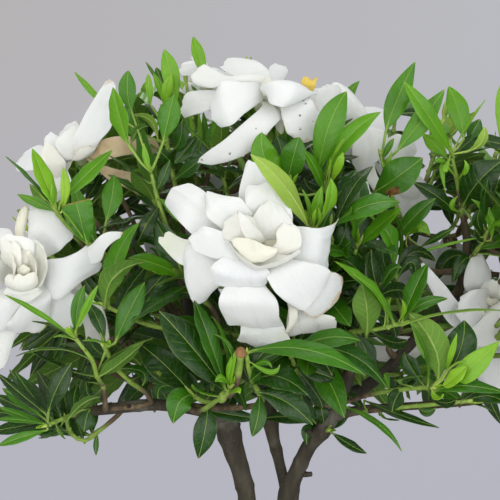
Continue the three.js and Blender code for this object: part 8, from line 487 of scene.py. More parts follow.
[-98.5,-55,216.8,-111.7,-36.6,218.6,-124.4,-23.5,220.1,6.9,0.1,-1,0.48,0.1,0.92,0,0,-98.5,-55,216.8],
[-98.5,-55,216.8,-111.3,-36.1,225,-122.3,-23.6,234.4,6.8,0.27,-1,0.42,0.1,0.88,0,0,-98.5,-55,216.8],
[-98.5,-55,216.8,-107.8,-34.8,223.2,-115.7,-26.6,231,6.7,0.2,-1,0.28,0.1,0.93,0,0,-98.5,-55,216.8],
[-95.9,-24,206.7,-98.3,-19.2,218.4,-102,-16.4,229.3,6.7,0.2,-1,0.57,0.1,0.86,0,0,-95.9,-24,206.7],
[-95.9,-24,206.7,-110.3,-21.5,207.8,-123.5,-19.3,209.6,6.5,0.15,-1,0.38,0.1,0.88,0,0,-95.9,-24,206.7],
[-95.9,-52,217.5,-103.4,-32.3,225.1,-110.7,-19.3,233.1,7.2,0.2,-1,0.47,0.1,0.92,0,0,-95.9,-52,217.5],
[-98.5,-55,216.8,-116.4,-34.8,216.1,-132.6,-24,216,7.2,0.08,-1,0.58,0.1,0.95,0,0,-98.5,-55,216.8],
[-95.9,-24,206.7,-103.5,-19.6,211.9,-110.1,-16.4,217.3,5.8,-0.16,-1,0.43,0.1,0.89,0,0,-95.9,-24,206.7],
[-95.9,-24,206.7,-103.7,-22.8,208.2,-111.8,-16.5,207.7,5.5,-0.09,-1,0.11,0.1,0.89,0,0,-95.9,-24,206.7],
[-95.9,-24,206.7,-95.1,-19.4,213.6,-94.2,-16.7,220.4,5.5,-0.14,-1,0.57,0.1,0.87,0,0,-95.9,-24,206.7],
[-86.5,-21,204.6,-98.8,-17.5,207,-110.5,-12.4,209.2,6.1,-0.01,-1,0.44,0.1,0.86,0,0,-86.5,-21,204.6],
[-90,-22,202.4,-93.1,-19.4,209.2,-96.6,-16.8,215.2,5.5,0.11,-1,0.21,0.1,0.95,0,0,-90,-22,202.4],
[-95.9,-24,206.7,-109,-20.8,212.2,-121.2,-18.2,217.4,7,0.23,-1,0.45,0.1,0.88,0,0,-95.9,-24,206.7],
]),
"leaves_right_centre":(1,[[[26.3,-16.7,231,1.6],[26.4,-19.5,231.8,1.5],[26.5,-22.4,232.4,1.4],[26.7,-25.2,233.2,1.3],[26.9,-27.7,234.5,1.2],[27.2,-30,236.8,1.1],[29,-40,250.2,1],[31.8,-48,261,0.9],[33.8,-54,267.9,0.8]]],[
[38.6,-56,267.3,33.7,-64,278.8,32.6,-62,289.7,10.6,0.62,-0.74,0.27,0.2,0.86,0,1,33.8,-54,267.9],
[35.4,-54,267.9,26.6,-60,281.8,16.7,-60,285.5,9.1,0.02,-0.69,0.73,0.1,0.82,0,0,33.8,-54,267.9],
[36.4,-52,269.4,41.2,-54,279.6,46.2,-54,281.3,6.6,-0.02,-0.68,0.73,0.1,0.72,0,0,33.8,-54,267.9],
[33.9,-52,266.9,25.7,-50,267.5,22.5,-48,259.7,8.4,0,-0.94,0.33,0.1,0.9,0,0,33.3,-52.7,266.4],
[35.8,-50,268.4,45,-40,270.8,51.4,-36,267.8,7.6,0.01,-0.96,0.26,0.1,0.93,0,0,33.4,-52.8,266.6],
[33.7,-53.9,267.8,24.6,-54,274.6,20.5,-52,282.8,9.1,-0.01,-0.96,0.29,0.1,0.93,0,0,33.7,-53.9,267.8],
[32,-48.6,261.7,41.4,-44,258.4,45.2,-40,250.2,7.6,-0.11,-0.92,0.37,0.1,0.93,0,0,32,-48.6,261.7],
]),
"leaves_right_middle":(1,[[[25.5,-13.3,262.4,1.55],[24.4,-17.7,262.4,1.46],[23.3,-22.1,262.1,1.37],[22.3,-26.4,262.1,1.28],[21.4,-30.4,263.1,1.19],[20.8,-34,265.9,1.1],[19.2,-46,279.8,1],[16.9,-56,290.6,0.9],[15.8,-62,299.2,0.8]]],[
[15.8,-61.6,298.6,29.3,-72,307.8,43.6,-70,309.3,12.1,0.11,-0.69,0.72,0.1,0.55,0,0,15.8,-61.6,298.6],
[16.6,-62,296.7,24.4,-66,314.1,33.4,-60,323.7,9.3,-0.68,-0.69,0.25,0.2,0.86,0,1,16,-60.8,297.5],
[19.8,-50,283.5,28.6,-54,302.9,34.6,-52,300.3,5,0,-0.95,0.31,0.1,0.5,0,0,18.4,-49.5,283.6],
[20.7,-48,280.8,27.3,-50,292.7,29.9,-48,297.6,10,-0.07,-0.95,0.3,0.1,0.9,0,0,18.9,-47.2,281.1],
[17.8,-56,288.9,21.6,-60,295,22.5,-58,303.9,7.4,0.05,-0.96,0.26,0.1,0.92,0,0,17.1,-55.1,289.6],
[17.4,-53.7,288.1,24.5,-54,288.8,31.5,-50,283.5,8.3,0.01,-0.72,0.69,0.1,0.9,0,0,17.4,-53.7,288.1],
[17.1,-60,293.3,12.9,-54,296.3,14.7,-50,303.5,6.6,-0.11,-0.95,0.31,0.1,0.95,0,0,16.4,-58.5,294.2],
[20.2,-38,270.5,26.2,-42,275.2,29.7,-40,281.8,8.5,0.03,-0.94,0.33,0.1,0.93,0,0,20.2,-38,270.5],
]),
"leaves_top_centre":(1,[[[21.6,-18,279.2,1.27],[17.6,-20.4,279,1.24],[13.3,-22.8,278.3,1.21],[9.2,-25.1,278,1.17],[6.1,-27.5,279,1.14],[4.5,-30,281.9,1.1],[2.5,-40,298,1],[0.6,-46,310.9,0.9],[-0.3,-48,317.7,0.8]]],[
[-1.2,-50,316.9,-10.4,-56,326.1,-12.1,-56,337.6,11.5,-0.09,-0.92,0.38,0.1,0.5,1,0,-0.3,-48,317.6],
[-1.2,-50,317.7,0.7,-58,327,3.1,-58,335.6,10.7,-0.1,-0.92,0.38,0.1,0.6,1,0,-0.3,-48,317.7],
[-1.1,-46,318.5,-3.6,-44,329.3,-6.1,-42,336.4,8.4,-0.01,-0.95,0.31,0.1,0.82,0,0,-0.3,-48,317.7],
[13.8,-50,312.7,10.2,-56,322,4,-56,331.5,7.4,0.63,-0.71,0.33,0.2,0.6,0,0,0.5,-46.3,312],
[0.1,-50,314.4,1.2,-54,317.8,2.8,-56,320.3,1.7,-0.05,-0.96,0.28,0.1,0.25,0,0,0,-47.3,315.2],
[-0.3,-50,314.4,-0.4,-54,317.8,-0.1,-56,320.3,1.7,0.01,-0.96,0.29,0.1,0.25,0,0,0,-47.3,315.2],
[0.6,-46,310.9,-7.7,-40,314.9,-14.4,-36,319.1,6.8,-0.09,-0.96,0.28,0.1,0.9,0,0,0.6,-46,310.9],
[-0.2,-44,313.4,4.2,-40,313.2,7.6,-38,310.6,5.9,-0.1,-0.95,0.29,0.1,0.9,0,0,0.4,-46.5,312.7],
[1.2,-44,306.6,-6,-40,309,-11.9,-36,307.2,7.6,-0.04,-0.95,0.3,0.1,0.9,0,0,1.2,-44,306.6],
[-0.7,-46,315.9,-7.8,-44,319.3,-9.4,-42,312.5,5,0.06,-0.95,0.3,0.1,0.85,0,0,0,-47.4,315.6],
]),
"leaves_top_right":(1,[[[21.6,-18,279.2,1.27],[21.1,-19.3,279.7,1.24],[20.6,-20.6,280,1.21],[20.1,-21.9,280.5,1.17],[19.7,-23,281.2,1.14],[19.5,-24,282.3,1.1],[18.1,-34,299.4,1],[15.9,-42,310.8,0.9],[13.2,-46,317.6,0.8]]],[
[11.4,-48,319.3,15.2,-54,339.3,23.1,-52,354.5,12,0,-0.96,0.29,0.1,0.5,0,0,13.2,-46,317.6],
[13.2,-46,317.6,23.4,-56,335.2,37.1,-54,345.9,9.1,-0.66,-0.72,0.2,0.2,0.4,0,0,13.2,-46,317.6],
[14.7,-50,316.1,16.7,-58,326.1,22,-58,335.2,3.7,0.92,-0.36,0.18,0.2,0.2,0,0,13.2,-46,317.6],
[15.5,-50,315.2,19.1,-60,323.7,21.1,-60,329.4,3.7,0.05,-0.94,0.34,0.1,0.2,0,0,13.4,-45.6,317],
[15.1,-50,314.4,15.9,-58,322,15.8,-60,327,3.7,0.9,-0.36,0.25,0.2,0.26,0,0,13.6,-45.4,316.5],
[13.3,-44,317.6,10.9,-40,325.9,8.5,-36,331.8,6.8,0.1,-0.96,0.27,0.1,0.88,0,0,13.5,-45.5,316.8],
[11.6,-44,320.1,6.8,-36,324.2,4.4,-30,330.1,6.8,0.07,-0.94,0.32,0.1,0.9,0,0,13.2,-46,317.6],
[16.8,-42,309.1,23.6,-40,314.9,28.1,-36,321.6,7.6,0,-0.93,0.37,0.1,0.92,0,0,16.1,-41.2,309.6],
[15.1,-42,313.3,9.4,-36,313.1,6.1,-32,318.1,6.8,-0.02,-0.94,0.33,0.1,0.9,0,0,15.1,-43.1,312.7],
[16.5,-39.7,307.5,21.2,-38,299.6,26.6,-34,293.4,8.5,0.04,-0.92,0.39,0.1,0.92,0,0,16.5,-39.7,307.5],
[23.1,28,335.3,26.9,32,351.2,34.5,34,362.2,6.5,0,-0.9,0.3,0.1,0.5,0,0,21.9,37.8,330],
]),
"leaves_right_bottom":(1,[[[19.4,-18,213.2,1.6],[19.1,-17,213.3,1.5],[18.6,-15.7,213.4,1.4],[18.2,-14.6,213.6,1.3],[18.1,-13.9,213.7,1.2],[18.5,-14,213.8,1.1],[33.8,-24,216,1.03],[49.4,-34,219.5,0.95],[64.2,-40,221.9,0.88],[75.5,-44,223.8,0.8]],[[18.1,-13.9,213.7,1.1],[16.4,-11.5,209.9,1.1],[14.3,-8.4,205.5,1.1],[12.4,-5.6,201.6,1.1],[11.4,-4.4,199.3,1.1],[11.8,-6,199.7,1.1],[15,-14,204.9,0.95],[17.4,-20,206.9,0.8]]],[
[32.7,-26,221.2,47.7,-34,216,65,-34,210.4,5.2,0,-0.6,0.8,0.2,0.85,0,0,34,-24.1,216.1],
[22.4,-24,218.7,38.2,-34,212.1,48.5,-36,200.3,3.5,0.2,-0.7,0.6,0.2,0.5,0,0,26.2,-19.1,214.9],
[75.5,-44,223.8,83.7,-46,226.3,91.4,-46,222.9,7.6,0.08,-0.74,0.66,0.1,0.88,0,0,75.5,-44,223.8],
[70.6,-42.3,223,79.5,-40,221.9,87.6,-38,218,6,-0.09,-0.15,0.98,0.2,0.85,0,0,70.6,-42.3,223],
[55.1,-36.3,220.4,58.4,-38,218,62.7,-38,219.8,4.3,-0.1,-0.95,0.29,0.1,0.85,0,0,55.1,-36.3,220.4],
[46.8,-32.4,219,45.4,-30,222.8,48.2,-28,226.8,6.1,-0.1,-0.93,0.35,0.1,0.9,0,0,46.8,-32.4,219],
[73.3,-43.2,223.4,79.5,-40,227,87.2,-34,227.8,6,0.06,-0.68,0.73,0.1,0.9,0,0,73.3,-43.2,223.4],
[39.7,-27.8,217.4,41.7,-24,212.9,49.1,-20,211.3,3.9,-0.08,-0.14,0.99,0.2,0.85,0,0,39.7,-27.8,217.4],
[18.6,-21,206.2,26.8,-24,201,34.5,-22,196.8,4.8,0,-0.8,0.6,0.1,0.88,0,0,17.4,-20,206.9],
[14.1,-11.8,203.4,8.7,-16.9,206.3,8.2,-16.9,199.6,5.8,0.08,-0.92,0.39,0.1,0.82,0,0,14.1,-11.8,203.4],
[15.8,-16,205.5,14.7,-21,215.1,12.3,-15,220.3,6.2,-0.06,-0.92,0.39,0.1,0.9,0,0,15.8,-16,205.5],
[16.6,-18.1,206.2,22.3,-11.1,209.7,27.5,-13,216.4,6.2,-0.02,-0.94,0.33,0.1,0.92,0,0,16.6,-18.1,206.2],
[16.4,-11.5,209.9,2.1,-9.3,210.8,-11.2,-3.3,209.1,6.7,0.06,-1,0.47,0.2,0.92,0,0,16.4,-11.5,209.9],
[33.8,-24,216,28.3,-20.1,220.7,22.4,-17.1,224.2,5.5,0.24,-1,0.25,0.2,0.9,0,0,33.8,-24,216],
[12.4,-5.6,201.6,13,-4.6,209.4,13.8,0.5,216,5.6,0.14,-1,0.47,0.2,0.94,0,0,12.4,-5.6,201.6],
]),
"leaves_right_inner":(1,[[[49.4,-4,236.6,1.6],[45.8,-6,239.3,1.5],[44.7,-7.8,241.9,1.4],[45.4,-9.6,244.6,1.3],[47.2,-11.6,247.5,1.2],[49.4,-14,250.5,1.1],[47.3,-26,265.1,1],[45.2,-38,276.6,0.9],[43.8,-44,281.3,0.8]]],[
[43.6,-46,280.6,41.3,-56,293.1,33.8,-56,302.2,10.3,0.56,-0.75,0.35,0.2,0.58,0,0,43.8,-44,281.3],
[45.2,-38,274.8,51.8,-40,282.7,54,-36,272.1,6.8,0.06,-0.92,0.39,0.1,0.9,0,0,45.3,-37.2,275.7],
[44.7,-40.1,278.2,47.8,-36,293.5,43,-32,304,4.3,-0.93,-0.31,0.19,0.2,0.7,0,0,44.7,-40.1,278.2],
[46,-33.6,272.3,40.7,-30,281.9,41.9,-26,292.9,7.8,-0.1,-0.93,0.37,0.1,0.92,0,0,46,-33.6,272.3],
[45.2,-38,276.6,53.8,-28,286.1,64.1,-22,281.3,7.8,-0.06,-0.75,0.66,0.1,0.92,0,0,45.2,-38,276.6],
[46.9,-28,267,53.1,-28,263.5,58.5,-26,268.5,7.8,-0.02,-0.92,0.38,0.1,0.92,0,0,46.9,-28,267],
]),
"leaves_upper_right":(1,[[[78.2,-4.7,275.5,1.52],[73.8,-5.2,275.8,1.44],[69.3,-5.7,275.6,1.35],[65,-6.2,275.9,1.27],[61.3,-6.9,277.1,1.19],[58.7,-8,280.2,1.1],[49.9,-14,298.3,1.03],[43.9,-22,312.7,0.95],[40.8,-26,323.6,0.88],[39.3,-28,327.9,0.8]]],[
[41.4,-28,338.2,46.2,-27,351.9,54.3,-24,368.3,9.9,0.05,-0.94,0.35,0.1,0.5,0,0,39.8,-27.4,326.7],
[46,-30,329.6,55.8,-30,342,66.6,-28,356.2,9.4,-0.02,-0.95,0.31,0.1,0.52,0,0,40.5,-26.5,324.7],
[35.8,-30,311.6,44.9,-38,318.3,56.3,-38,326.9,14.8,-0.1,-0.96,0.28,0.1,0.52,0,4,42.9,-23.3,316.3],
[39.6,-30,325.8,42,-32,330.9,44.5,-32,335.2,3,-0.1,-0.93,0.36,0.1,0.55,0,0,39.7,-27.6,326.9],
[39.2,-30,326.7,41,-34,323.3,43.3,-36,330.1,2.6,-0.06,-0.96,0.28,0.1,0.35,0,0,39.4,-27.9,327.7],
[44.1,-21.7,312.1,50.7,-14,321.2,58.3,-8,322.9,7,-0.09,-0.92,0.37,0.1,0.8,0,0,44.1,-21.7,312.1],
[35.9,-24,306.2,31.3,-28,309.4,26,-30,306.9,5.2,-0.05,-0.95,0.29,0.1,0.92,0,0,43.2,-22.9,315],
[45.2,-18,289.3,54.2,-24,301,63.4,-26,309.3,7.8,0,-0.9,0.4,0.1,0.72,0,0,49.6,-14.5,299.2],
[51.9,-13,291.2,56.6,-18,296.8,61.9,-18,292.4,6.1,-0.08,-0.94,0.32,0.1,0.35,0,0,51,-13.2,296],
[57.5,-18,287.6,64.9,-22,292.2,71.6,-24,296.3,3.9,0,-0.8,0.6,0.2,0.75,0,0,51.5,-12.9,295.1],
[53.8,-20,283.8,66.2,-24,288.4,86,-26,292.9,2,0,-0.6,0.8,0.2,0.4,0,0,52,-12.6,294.1],
[48.7,-18,300.3,41.6,-28,304.2,37.9,-32,300.1,7.8,-0.06,-0.92,0.39,0.1,0.93,0,0,48.6,-15.8,301.5],
]),
"leaves_far_right_top":(1,[[[78.2,-7,298,1.27],[77.9,-7.7,298.6,1.24],[77.7,-8.4,299.3,1.21],[77.4,-9,299.9,1.17],[77.1,-9.6,300.7,1.14],[76.9,-10,301.7,1.1],[75.2,-12,309.7,1.03],[74,-14,316.8,0.95],[71.5,-16,326.5,0.88],[71,-16,329.1,0.8]]],[
[72.1,-18,327,59.3,-33,344.1,48.3,-35,359.1,8.5,0.3,-0.9,0.3,0.2,0.34,0,0,71.4,-16,326.9],
[76.6,-16,334.8,74.1,-16,346.6,70.1,-12,358,9.6,-0.11,-0.94,0.31,0.1,0.46,0,0,71,-16,328.8],
[72.7,-18,332.2,78.8,-22,343,85.2,-22,352.1,2.6,-0.91,-0.33,0.24,0.2,0.28,0,0,71,-16,329],
[76.8,-20,329.4,82.9,-24,333.1,84.3,-24,340.4,5.6,-0.07,0.6,0.8,0.2,0.2,0,0,71.2,-16,328],
[69.7,-16,325.6,64.6,-14,331.7,58.7,-12,337,6.6,-0.11,-0.95,0.3,0.1,0.34,0,0,71.5,-15.9,326.1],
[78.9,-12,334.4,81.8,-10,338.8,85,-6,343.7,7.1,-0.09,-0.94,0.32,0.1,0.72,0,0,71.6,-15.8,325.8],
[70.3,-18,325.7,63.3,-18,328.7,61.6,-18,327.4,3.1,-0.12,-0.16,0.98,0.2,0.6,0,0,71.5,-16,326.4],
[71.2,-18,323,65.2,-24,325.7,63.1,-24,324,2.6,-0.04,-0.95,0.29,0.1,0.4,0,0,72.2,-15.4,323.8],
[73.3,-16,317.8,67,-20,323.1,68.5,-20,310.9,3,0.02,-0.94,0.33,0.1,0.42,0,0,73.6,-14.3,318.2],
[73.3,-16,316.9,76.8,-22,321.4,75.9,-22,325.7,2.6,0.06,-0.93,0.35,0.1,0.35,0,0,73.8,-14.1,317.4],
[76.3,-11,300.4,65.2,-18,309.5,53.8,-18,316.1,7.4,0,-0.9,0.4,0.1,0.86,0,0,75.9,-11.2,306.4],
[75.7,-12,302.7,71.6,-16,305.5,74.2,-16,309.9,2.6,-0.03,-0.95,0.31,0.1,0.3,0,0,76.6,-10.4,303.2],
[70.3,-18,327.4,67.6,-26,322.3,66.8,-26,320.6,2.6,0.11,-0.95,0.28,0.1,0.3,0,0,71.3,-16,327.6],
[71.5,-16,326.5,78.1,-13.3,332.8,85.6,-8,337.7,5.5,0.12,-1,0.12,0.2,0.85,0,0,71.5,-16,326.5],
]),
"leaves_far_right":(1,[[[79.1,-5,280,1.5],[79.3,-5.6,279.9,1.42],[79.5,-6.2,279.8,1.34],[79.6,-6.8,279.8,1.26],[79.8,-7.4,279.9,1.18],[80,-8,280.2,1.1],[82.7,-14,285.1,1],[85.2,-20,290.8,0.9],[86.6,-22,295.3,0.8]]],[
[87.7,-24,291,86.4,-26,301.6,78.5,-26,308.9,4.3,0,-0.9,0.3,0.2,0.4,0,0,85.3,-20.1,291],
[76.3,-14,304.5,81.8,-24,316.2,92.2,-26,325.7,16.5,-0.1,-0.92,0.37,0.1,0.88,0,1,86.6,-22,295.3],
[86.4,-21.7,294.6,83.7,-29,306,85.6,-27,318,7.4,0.68,-0.68,0.27,0.2,0.55,0,2,86.4,-21.7,294.6],
[86.5,-20,292.5,93.6,-16,302,95.6,-14,312.4,9.7,0.05,-0.93,0.37,0.1,0.6,0,0,85.8,-20.7,292.4],
[83.3,-15.5,286.6,92.9,-16,290.5,104.1,-12,295.6,7,-0.09,-0.71,0.7,0.1,0.6,0,0,83.3,-15.5,286.6],
[80.8,-9.7,281.6,76.5,-14,280.7,72.2,-14,270.9,6.2,0,-0.93,0.37,0.1,0.88,0,0,80.8,-9.7,281.6],
[82.4,-13.4,284.6,92.2,-21,283.8,100.9,-20.9,280.3,3.9,0.07,0.12,0.99,0.2,0.5,0,0,82.4,-13.4,284.6],
[86.6,-22,295.3,89.7,-30,298.3,93.7,-32,297.6,3.9,0.02,-0.92,0.38,0.1,0.35,0,0,86.6,-22,295.3],
[80.9,-10.1,281.9,72.5,-4,281.7,66.6,-2,270.7,8.1,0.04,-0.93,0.36,0.1,0.92,0,0,80.9,-10.1,281.9],
[85.5,-20.4,291.7,81.9,-24,298.9,82.5,-26,304.2,5.2,-0.06,-0.96,0.26,0.1,0.85,0,0,85.5,-20.4,291.7],
[85.5,-18,289.8,82.6,-26,292.9,79.7,-28,296.5,4.3,-0.08,-0.95,0.31,0.1,0.9,0,0,84.7,-18.6,289.5],
]),
"leaves_edge_right":(1,[[[78.2,-4.7,275.5,1.52],[85.7,-7.4,275.2,1.44],[92.8,-6.3,274.4,1.35],[98.4,-2.9,274,1.27],[101.7,1.1,275.3,1.19],[101.6,4,279.3,1.1],[99.5,-2,298.6,1],[96.9,-6,316.6,0.9],[95.2,-10,330,0.8]]],[
[95.7,-10,325.6,94.2,-12,346.6,93.5,-10,359,6.6,-0.09,-0.92,0.37,0.1,0.3,0,0,95.7,-8.8,325.9],
[95.2,-10,329.1,90.6,-14,330.4,87,-14,333.9,3.5,0.01,-0.15,0.99,0.2,0.75,0,0,95.6,-9,326.8],
[95.3,-9.7,329.1,103.3,-8,343.2,108.8,-6,355.6,9.7,0.03,-0.93,0.35,0.1,0.4,0,0,95.3,-9.7,329.1],
[96,-8,327.3,103.6,-2,334.4,113.6,4,338,8,0,-0.76,0.65,0.1,0.5,0,0,95.5,-9.1,326.9],
[96.3,-7.4,321.3,89.6,-18,318.7,91.1,-20,313.5,4.4,0.07,-0.93,0.36,0.1,0.4,0,0,96.3,-7.4,321.3],
[97.8,-6,312.2,106.3,-8,318.4,115.1,-8,320.2,8.9,0,-0.71,0.7,0.1,0.7,0,0,97.5,-5,312.3],
[99.1,-4,303.2,106.3,-4,301.4,115.9,0,304.8,8.9,0.04,-0.75,0.66,0.1,0.8,0,0,98.8,-3.1,303.4],
[100,-0.5,293.9,108.9,0,291.3,119.3,2,287.6,8.1,0.06,-0.15,0.99,0.2,0.85,0,0,100,-0.5,293.9],
[97.2,-4,318.4,102.7,8,325.3,106.3,14,334.4,8.2,-0.1,-0.95,0.3,0.1,0.6,0,0,96.7,-6.3,317.6],
]),
"leaves_back_0":(0,[[[25.5,-13.3,262.4,1.55],[20.8,-14.4,262.5,1.47],[15.6,-15,262.3,1.39],[10.8,-15.7,262.3,1.31],[7.3,-17.4,263.1,1.23],[6,-20.6,265.1,1.15],[6.5,-30.7,271.8,1],[6.9,-40.9,282.5,0.7]],[[6,-20.6,265.1,1.15],[-0.1,-16.1,265.2,1.15],[-6.4,-10.6,264.6,1.15],[-12.4,-5.8,264.6,1.15],[-18,-3.2,266,1.15],[-22.7,-4.5,270,1.15],[-29,-10.3,278,1],[-35.3,-16,290.1,0.7]],[[-6.4,-10.6,264.6,1.15],[-5.8,-9.8,268,1.15],[-5.1,-8.6,271.3,1.15],[-4.4,-7.5,274.7,1.15],[-4.1,-7.3,278.1,1.15],[-4.3,-8.4,281.7,1.15],[-5.9,-14.1,292.5,1],[-7.6,-19.9,307.3,0.7]],[[6.2,-24,267.4,1.15],[7,-25.9,265.7,1.15],[7.9,-27.8,263.7,1.15],[8.7,-29.6,262,1.15],[9.4,-31.6,261.1,1.15],[9.8,-34,261.6,1.15],[10.7,-44.9,267.7,1],[11.7,-55.8,277.7,0.7]],[[-12.4,-5.8,264.6,1.15],[-11.5,-2.4,260.4,1.15],[-10,1.8,256.1,1.15],[-8.8,5.4,252,1.15],[-8.9,7.3,249,1.15],[-11.2,6,247.6,1.15],[-20.4,-2.1,246.5,1],[-29.7,-10.2,249.5,0.7]],[[-29.7,-10.2,249.5,1.15],[-30.7,-14,252.4,1.15],[-31.3,-17.6,255.4,1.15],[-32,-21.2,258.5,1.15],[-33.4,-24.9,261.4,1.15],[-35.7,-29.1,264.1,1.15],[-40.4,-36,268.2,1],[-45.1,-42.9,276.2,0.7]],[[9.8,-34,261.6,1.15],[8.1,-35.4,261.2,1.15],[6.4,-36.7,260.6,1.15],[4.7,-38,260.1,1.15],[3.5,-39.5,260.1,1.15],[3,-41.4,260.8,1.15],[2.8,-52.8,267,1],[2.7,-64.2,277.1,0.7]],[[3.5,-39.5,260.1,1.15],[3.2,-39.7,257.2,1.15],[2.9,-39.5,254,1.15],[2.6,-39.5,251.1,1.15],[2.4,-40.2,249.1,1.15],[2.3,-42.1,248.8,1.15],[2,-52.2,251.3,1],[1.8,-62.4,257.9,0.7]],[[2.4,-40.2,249.1,1.15],[2.9,-39.6,247.7,1.15],[3.6,-38.7,246.1,1.15],[4.1,-37.9,244.6,1.15],[4.5,-37.8,243.6,1.15],[4.7,-38.6,243.4,1.15],[4.8,-49.2,245.1,1],[4.9,-59.7,250.8,0.7]],[[-4.3,-8.4,281.7,1.15],[-3.3,-5.8,282.9,1.15],[-2.2,-2.9,284,1.15],[-1.1,-0.2,285.3,1.15],[-0.4,1.5,287,1.15],[-0.2,1.7,289.6,1.15],[-0.9,-0.8,298.9,1],[-1.5,-3.3,312.3,0.7]],[[-14.3,3.3,247.2,1.15],[-16.3,4.5,249.3,1.15],[-18.2,6,251.6,1.15],[-20.1,7.3,253.8,1.15],[-22.3,8,255.9,1.15],[-25.1,7.6,257.7,1.15],[-35.3,4.4,263,1],[-45.5,1.2,272.2,0.7]],[[4.5,-37.8,243.6,1.15],[5.1,-36.4,242.6,1.15],[5.7,-34.7,241.5,1.15],[6.2,-33.3,240.5,1.15],[6.6,-32.6,239.8,1.15],[6.9,-33.2,239.7,1.15],[7.4,-45.7,241.5,1],[7.9,-58.2,247.3,0.7]],[[6.5,-30.7,271.8,1.15],[10.5,-29.2,272.3,1.15],[14.7,-27,272.6,1.15],[18.7,-25.2,273,1.15],[22,-24.7,274.2,1.15],[23.9,-26.2,276.6,1.15],[27,-34.9,285.9,1],[30.1,-43.6,299.1,0.7]],[[10.4,-41.3,265.7,1.15],[13.2,-40.1,266.8,1.15],[16.1,-38.4,267.8,1.15],[18.9,-37,268.9,1.15],[21.1,-36.6,270.3,1.15],[22.4,-38,272.1,1.15],[24.9,-47.4,279.4,1],[27.3,-56.8,290.7,0.7]],[[-20.4,-2.1,246.5,1.15],[-19.5,-3.2,242.6,1.15],[-18.2,-3.9,238.5,1.15],[-17,-4.8,234.7,1.15],[-16.8,-6.3,231.6,1.15],[-18,-9.2,229.7,1.15],[-23.1,-17.8,227,1],[-28.2,-26.4,228.2,0.7]],[[-33.2,-14.1,286.1,1.15],[-30.7,-13,288.3,1.15],[-27.8,-11.5,290.3,1.15],[-25.1,-10.2,292.4,1.15],[-23.4,-9.6,294.9,1.15],[-23.4,-10.2,298,1.15],[-26.7,-14.6,309.5,1],[-30,-19,325.1,0.7]],[[-6.5,-16.1,297.4,1.15],[-5.5,-15.3,298.1,1.15],[-4.4,-14.3,298.7,1.15],[-3.4,-13.5,299.3,1.15],[-2.7,-13,300.2,1.15],[-2.5,-13.2,301.4,1.15],[-3.3,-18,313.7,1],[-4,-22.9,330,0.7]],[[-8.9,7.3,249,1.15],[-5.9,9.7,250.2,1.15],[-3,12.6,252,1.15],[-0.2,15.2,253.5,1.15],[2.5,16.7,254.1,1.15],[5,16,252.7,1.15],[12.3,9.6,244.5,1],[19.5,3.2,240.3,0.7]],[[-33.2,-14.1,286.1,1.15],[-36.1,-13.1,285.6,1.15],[-39.2,-11.7,284.7,1.15],[-42.1,-10.5,284.2,1.15],[-44.7,-10,284.4,1.15],[-46.8,-10.6,286.1,1.15],[-52.6,-14.8,294.8,1],[-58.5,-19.1,307.4,0.7]],[[-17,-4.8,234.7,1.15],[-19,-0.5,235.3,1.15],[-20.4,4.4,236.2,1.15],[-22.1,8.9,237.2,1.15],[-24.5,11.9,237.7,1.15],[-28.3,12.3,237.3,1.15],[-37.9,9.9,235.5,1],[-47.6,7.4,237.8,0.7]],[[7.4,13.8,250,1.15],[6.3,14.1,250.1,1.15],[5.2,14.3,250.4,1.15],[4.1,14.5,250.7,1.15],[3.2,14.9,250.8,1.15],[2.6,15.5,250.3,1.15],[-1.3,22.3,244.2,1],[-5.2,29.2,242.1,0.7]]],[
[6.9,-40.9,282.5,2.4,-49.3,291.2,-2,-59,297.4,8.8,0.8,-0.57,0.2,0.15,0.52,0,0,6.9,-40.9,282.5],
[6.9,-40.9,282.5,8.9,-53.1,282.7,10.9,-66.5,282,8.7,-0.13,-0.01,0.99,0.11,0.6,0,0,6.9,-40.9,282.5],
[6.7,-36.6,278,1.6,-48.8,278.9,-2.8,-61.7,280.4,10.7,0.31,-0.28,0.91,0.12,0.84,0,0,6.7,-36.6,278],
[6.7,-36.6,278,21.1,-46.4,281.8,35.6,-57.8,282.7,12.3,-0.47,-0.53,0.7,0.17,0.78,0,0,6.7,-36.6,278],
[6.7,-36.6,278,2.2,-40.8,292.3,-2.3,-46.4,306.5,9.9,0.34,-0.92,0.2,0.19,0.84,0,0,6.7,-36.6,278],
[6.6,-32.6,273.8,15.8,-45.8,264.4,25.1,-60.7,252.9,13.1,-0.11,-0.5,0.86,0.09,1,0,0,6.6,-32.6,273.8],
[6.6,-32.6,273.8,0.4,-32.2,289.5,-5.6,-33.4,303.9,12.4,0.21,-0.88,0.43,0.23,0.9,0,0,6.6,-32.6,273.8],
[-35.3,-16,290.1,-45.7,-21.4,292.7,-57,-27.5,294.6,7.4,0.26,-0.16,0.95,0.11,0.58,0,0,-35.3,-16,290.1],
[-35.3,-16,290.1,-36.3,-25.1,298,-38.1,-35,305,8.2,-0.81,0.28,0.52,0.1,0.56,0,0,-35.3,-16,290.1],
[-35.3,-16,290.1,-42.2,-18.1,300.4,-50,-20.9,309.6,8.4,-0.05,-0.99,0.12,0.13,0.61,0,0,-35.3,-16,290.1],
[-32.6,-13.6,285,-37.5,-31.5,283.8,-43.4,-50.3,278.7,11.4,-0.36,0.06,0.93,0.23,0.81,0,0,-32.6,-13.6,285],
[-32.6,-13.6,285,-30,-12.9,301.2,-28.4,-13.1,314.3,11.3,-0.69,-0.57,0.46,0.11,0.84,0,0,-32.6,-13.6,285],
[-32.6,-13.6,285,-50.4,-12.9,289.2,-69.2,-13.2,291.7,13.1,0.11,-0.55,0.83,0.13,0.75,0,0,-32.6,-13.6,285],
[-30.1,-11.3,280.2,-20.9,-25.8,287.4,-12.9,-43.7,288.9,12.9,-0.68,-0.25,0.69,0.19,1,0,0,-30.1,-11.3,280.2],
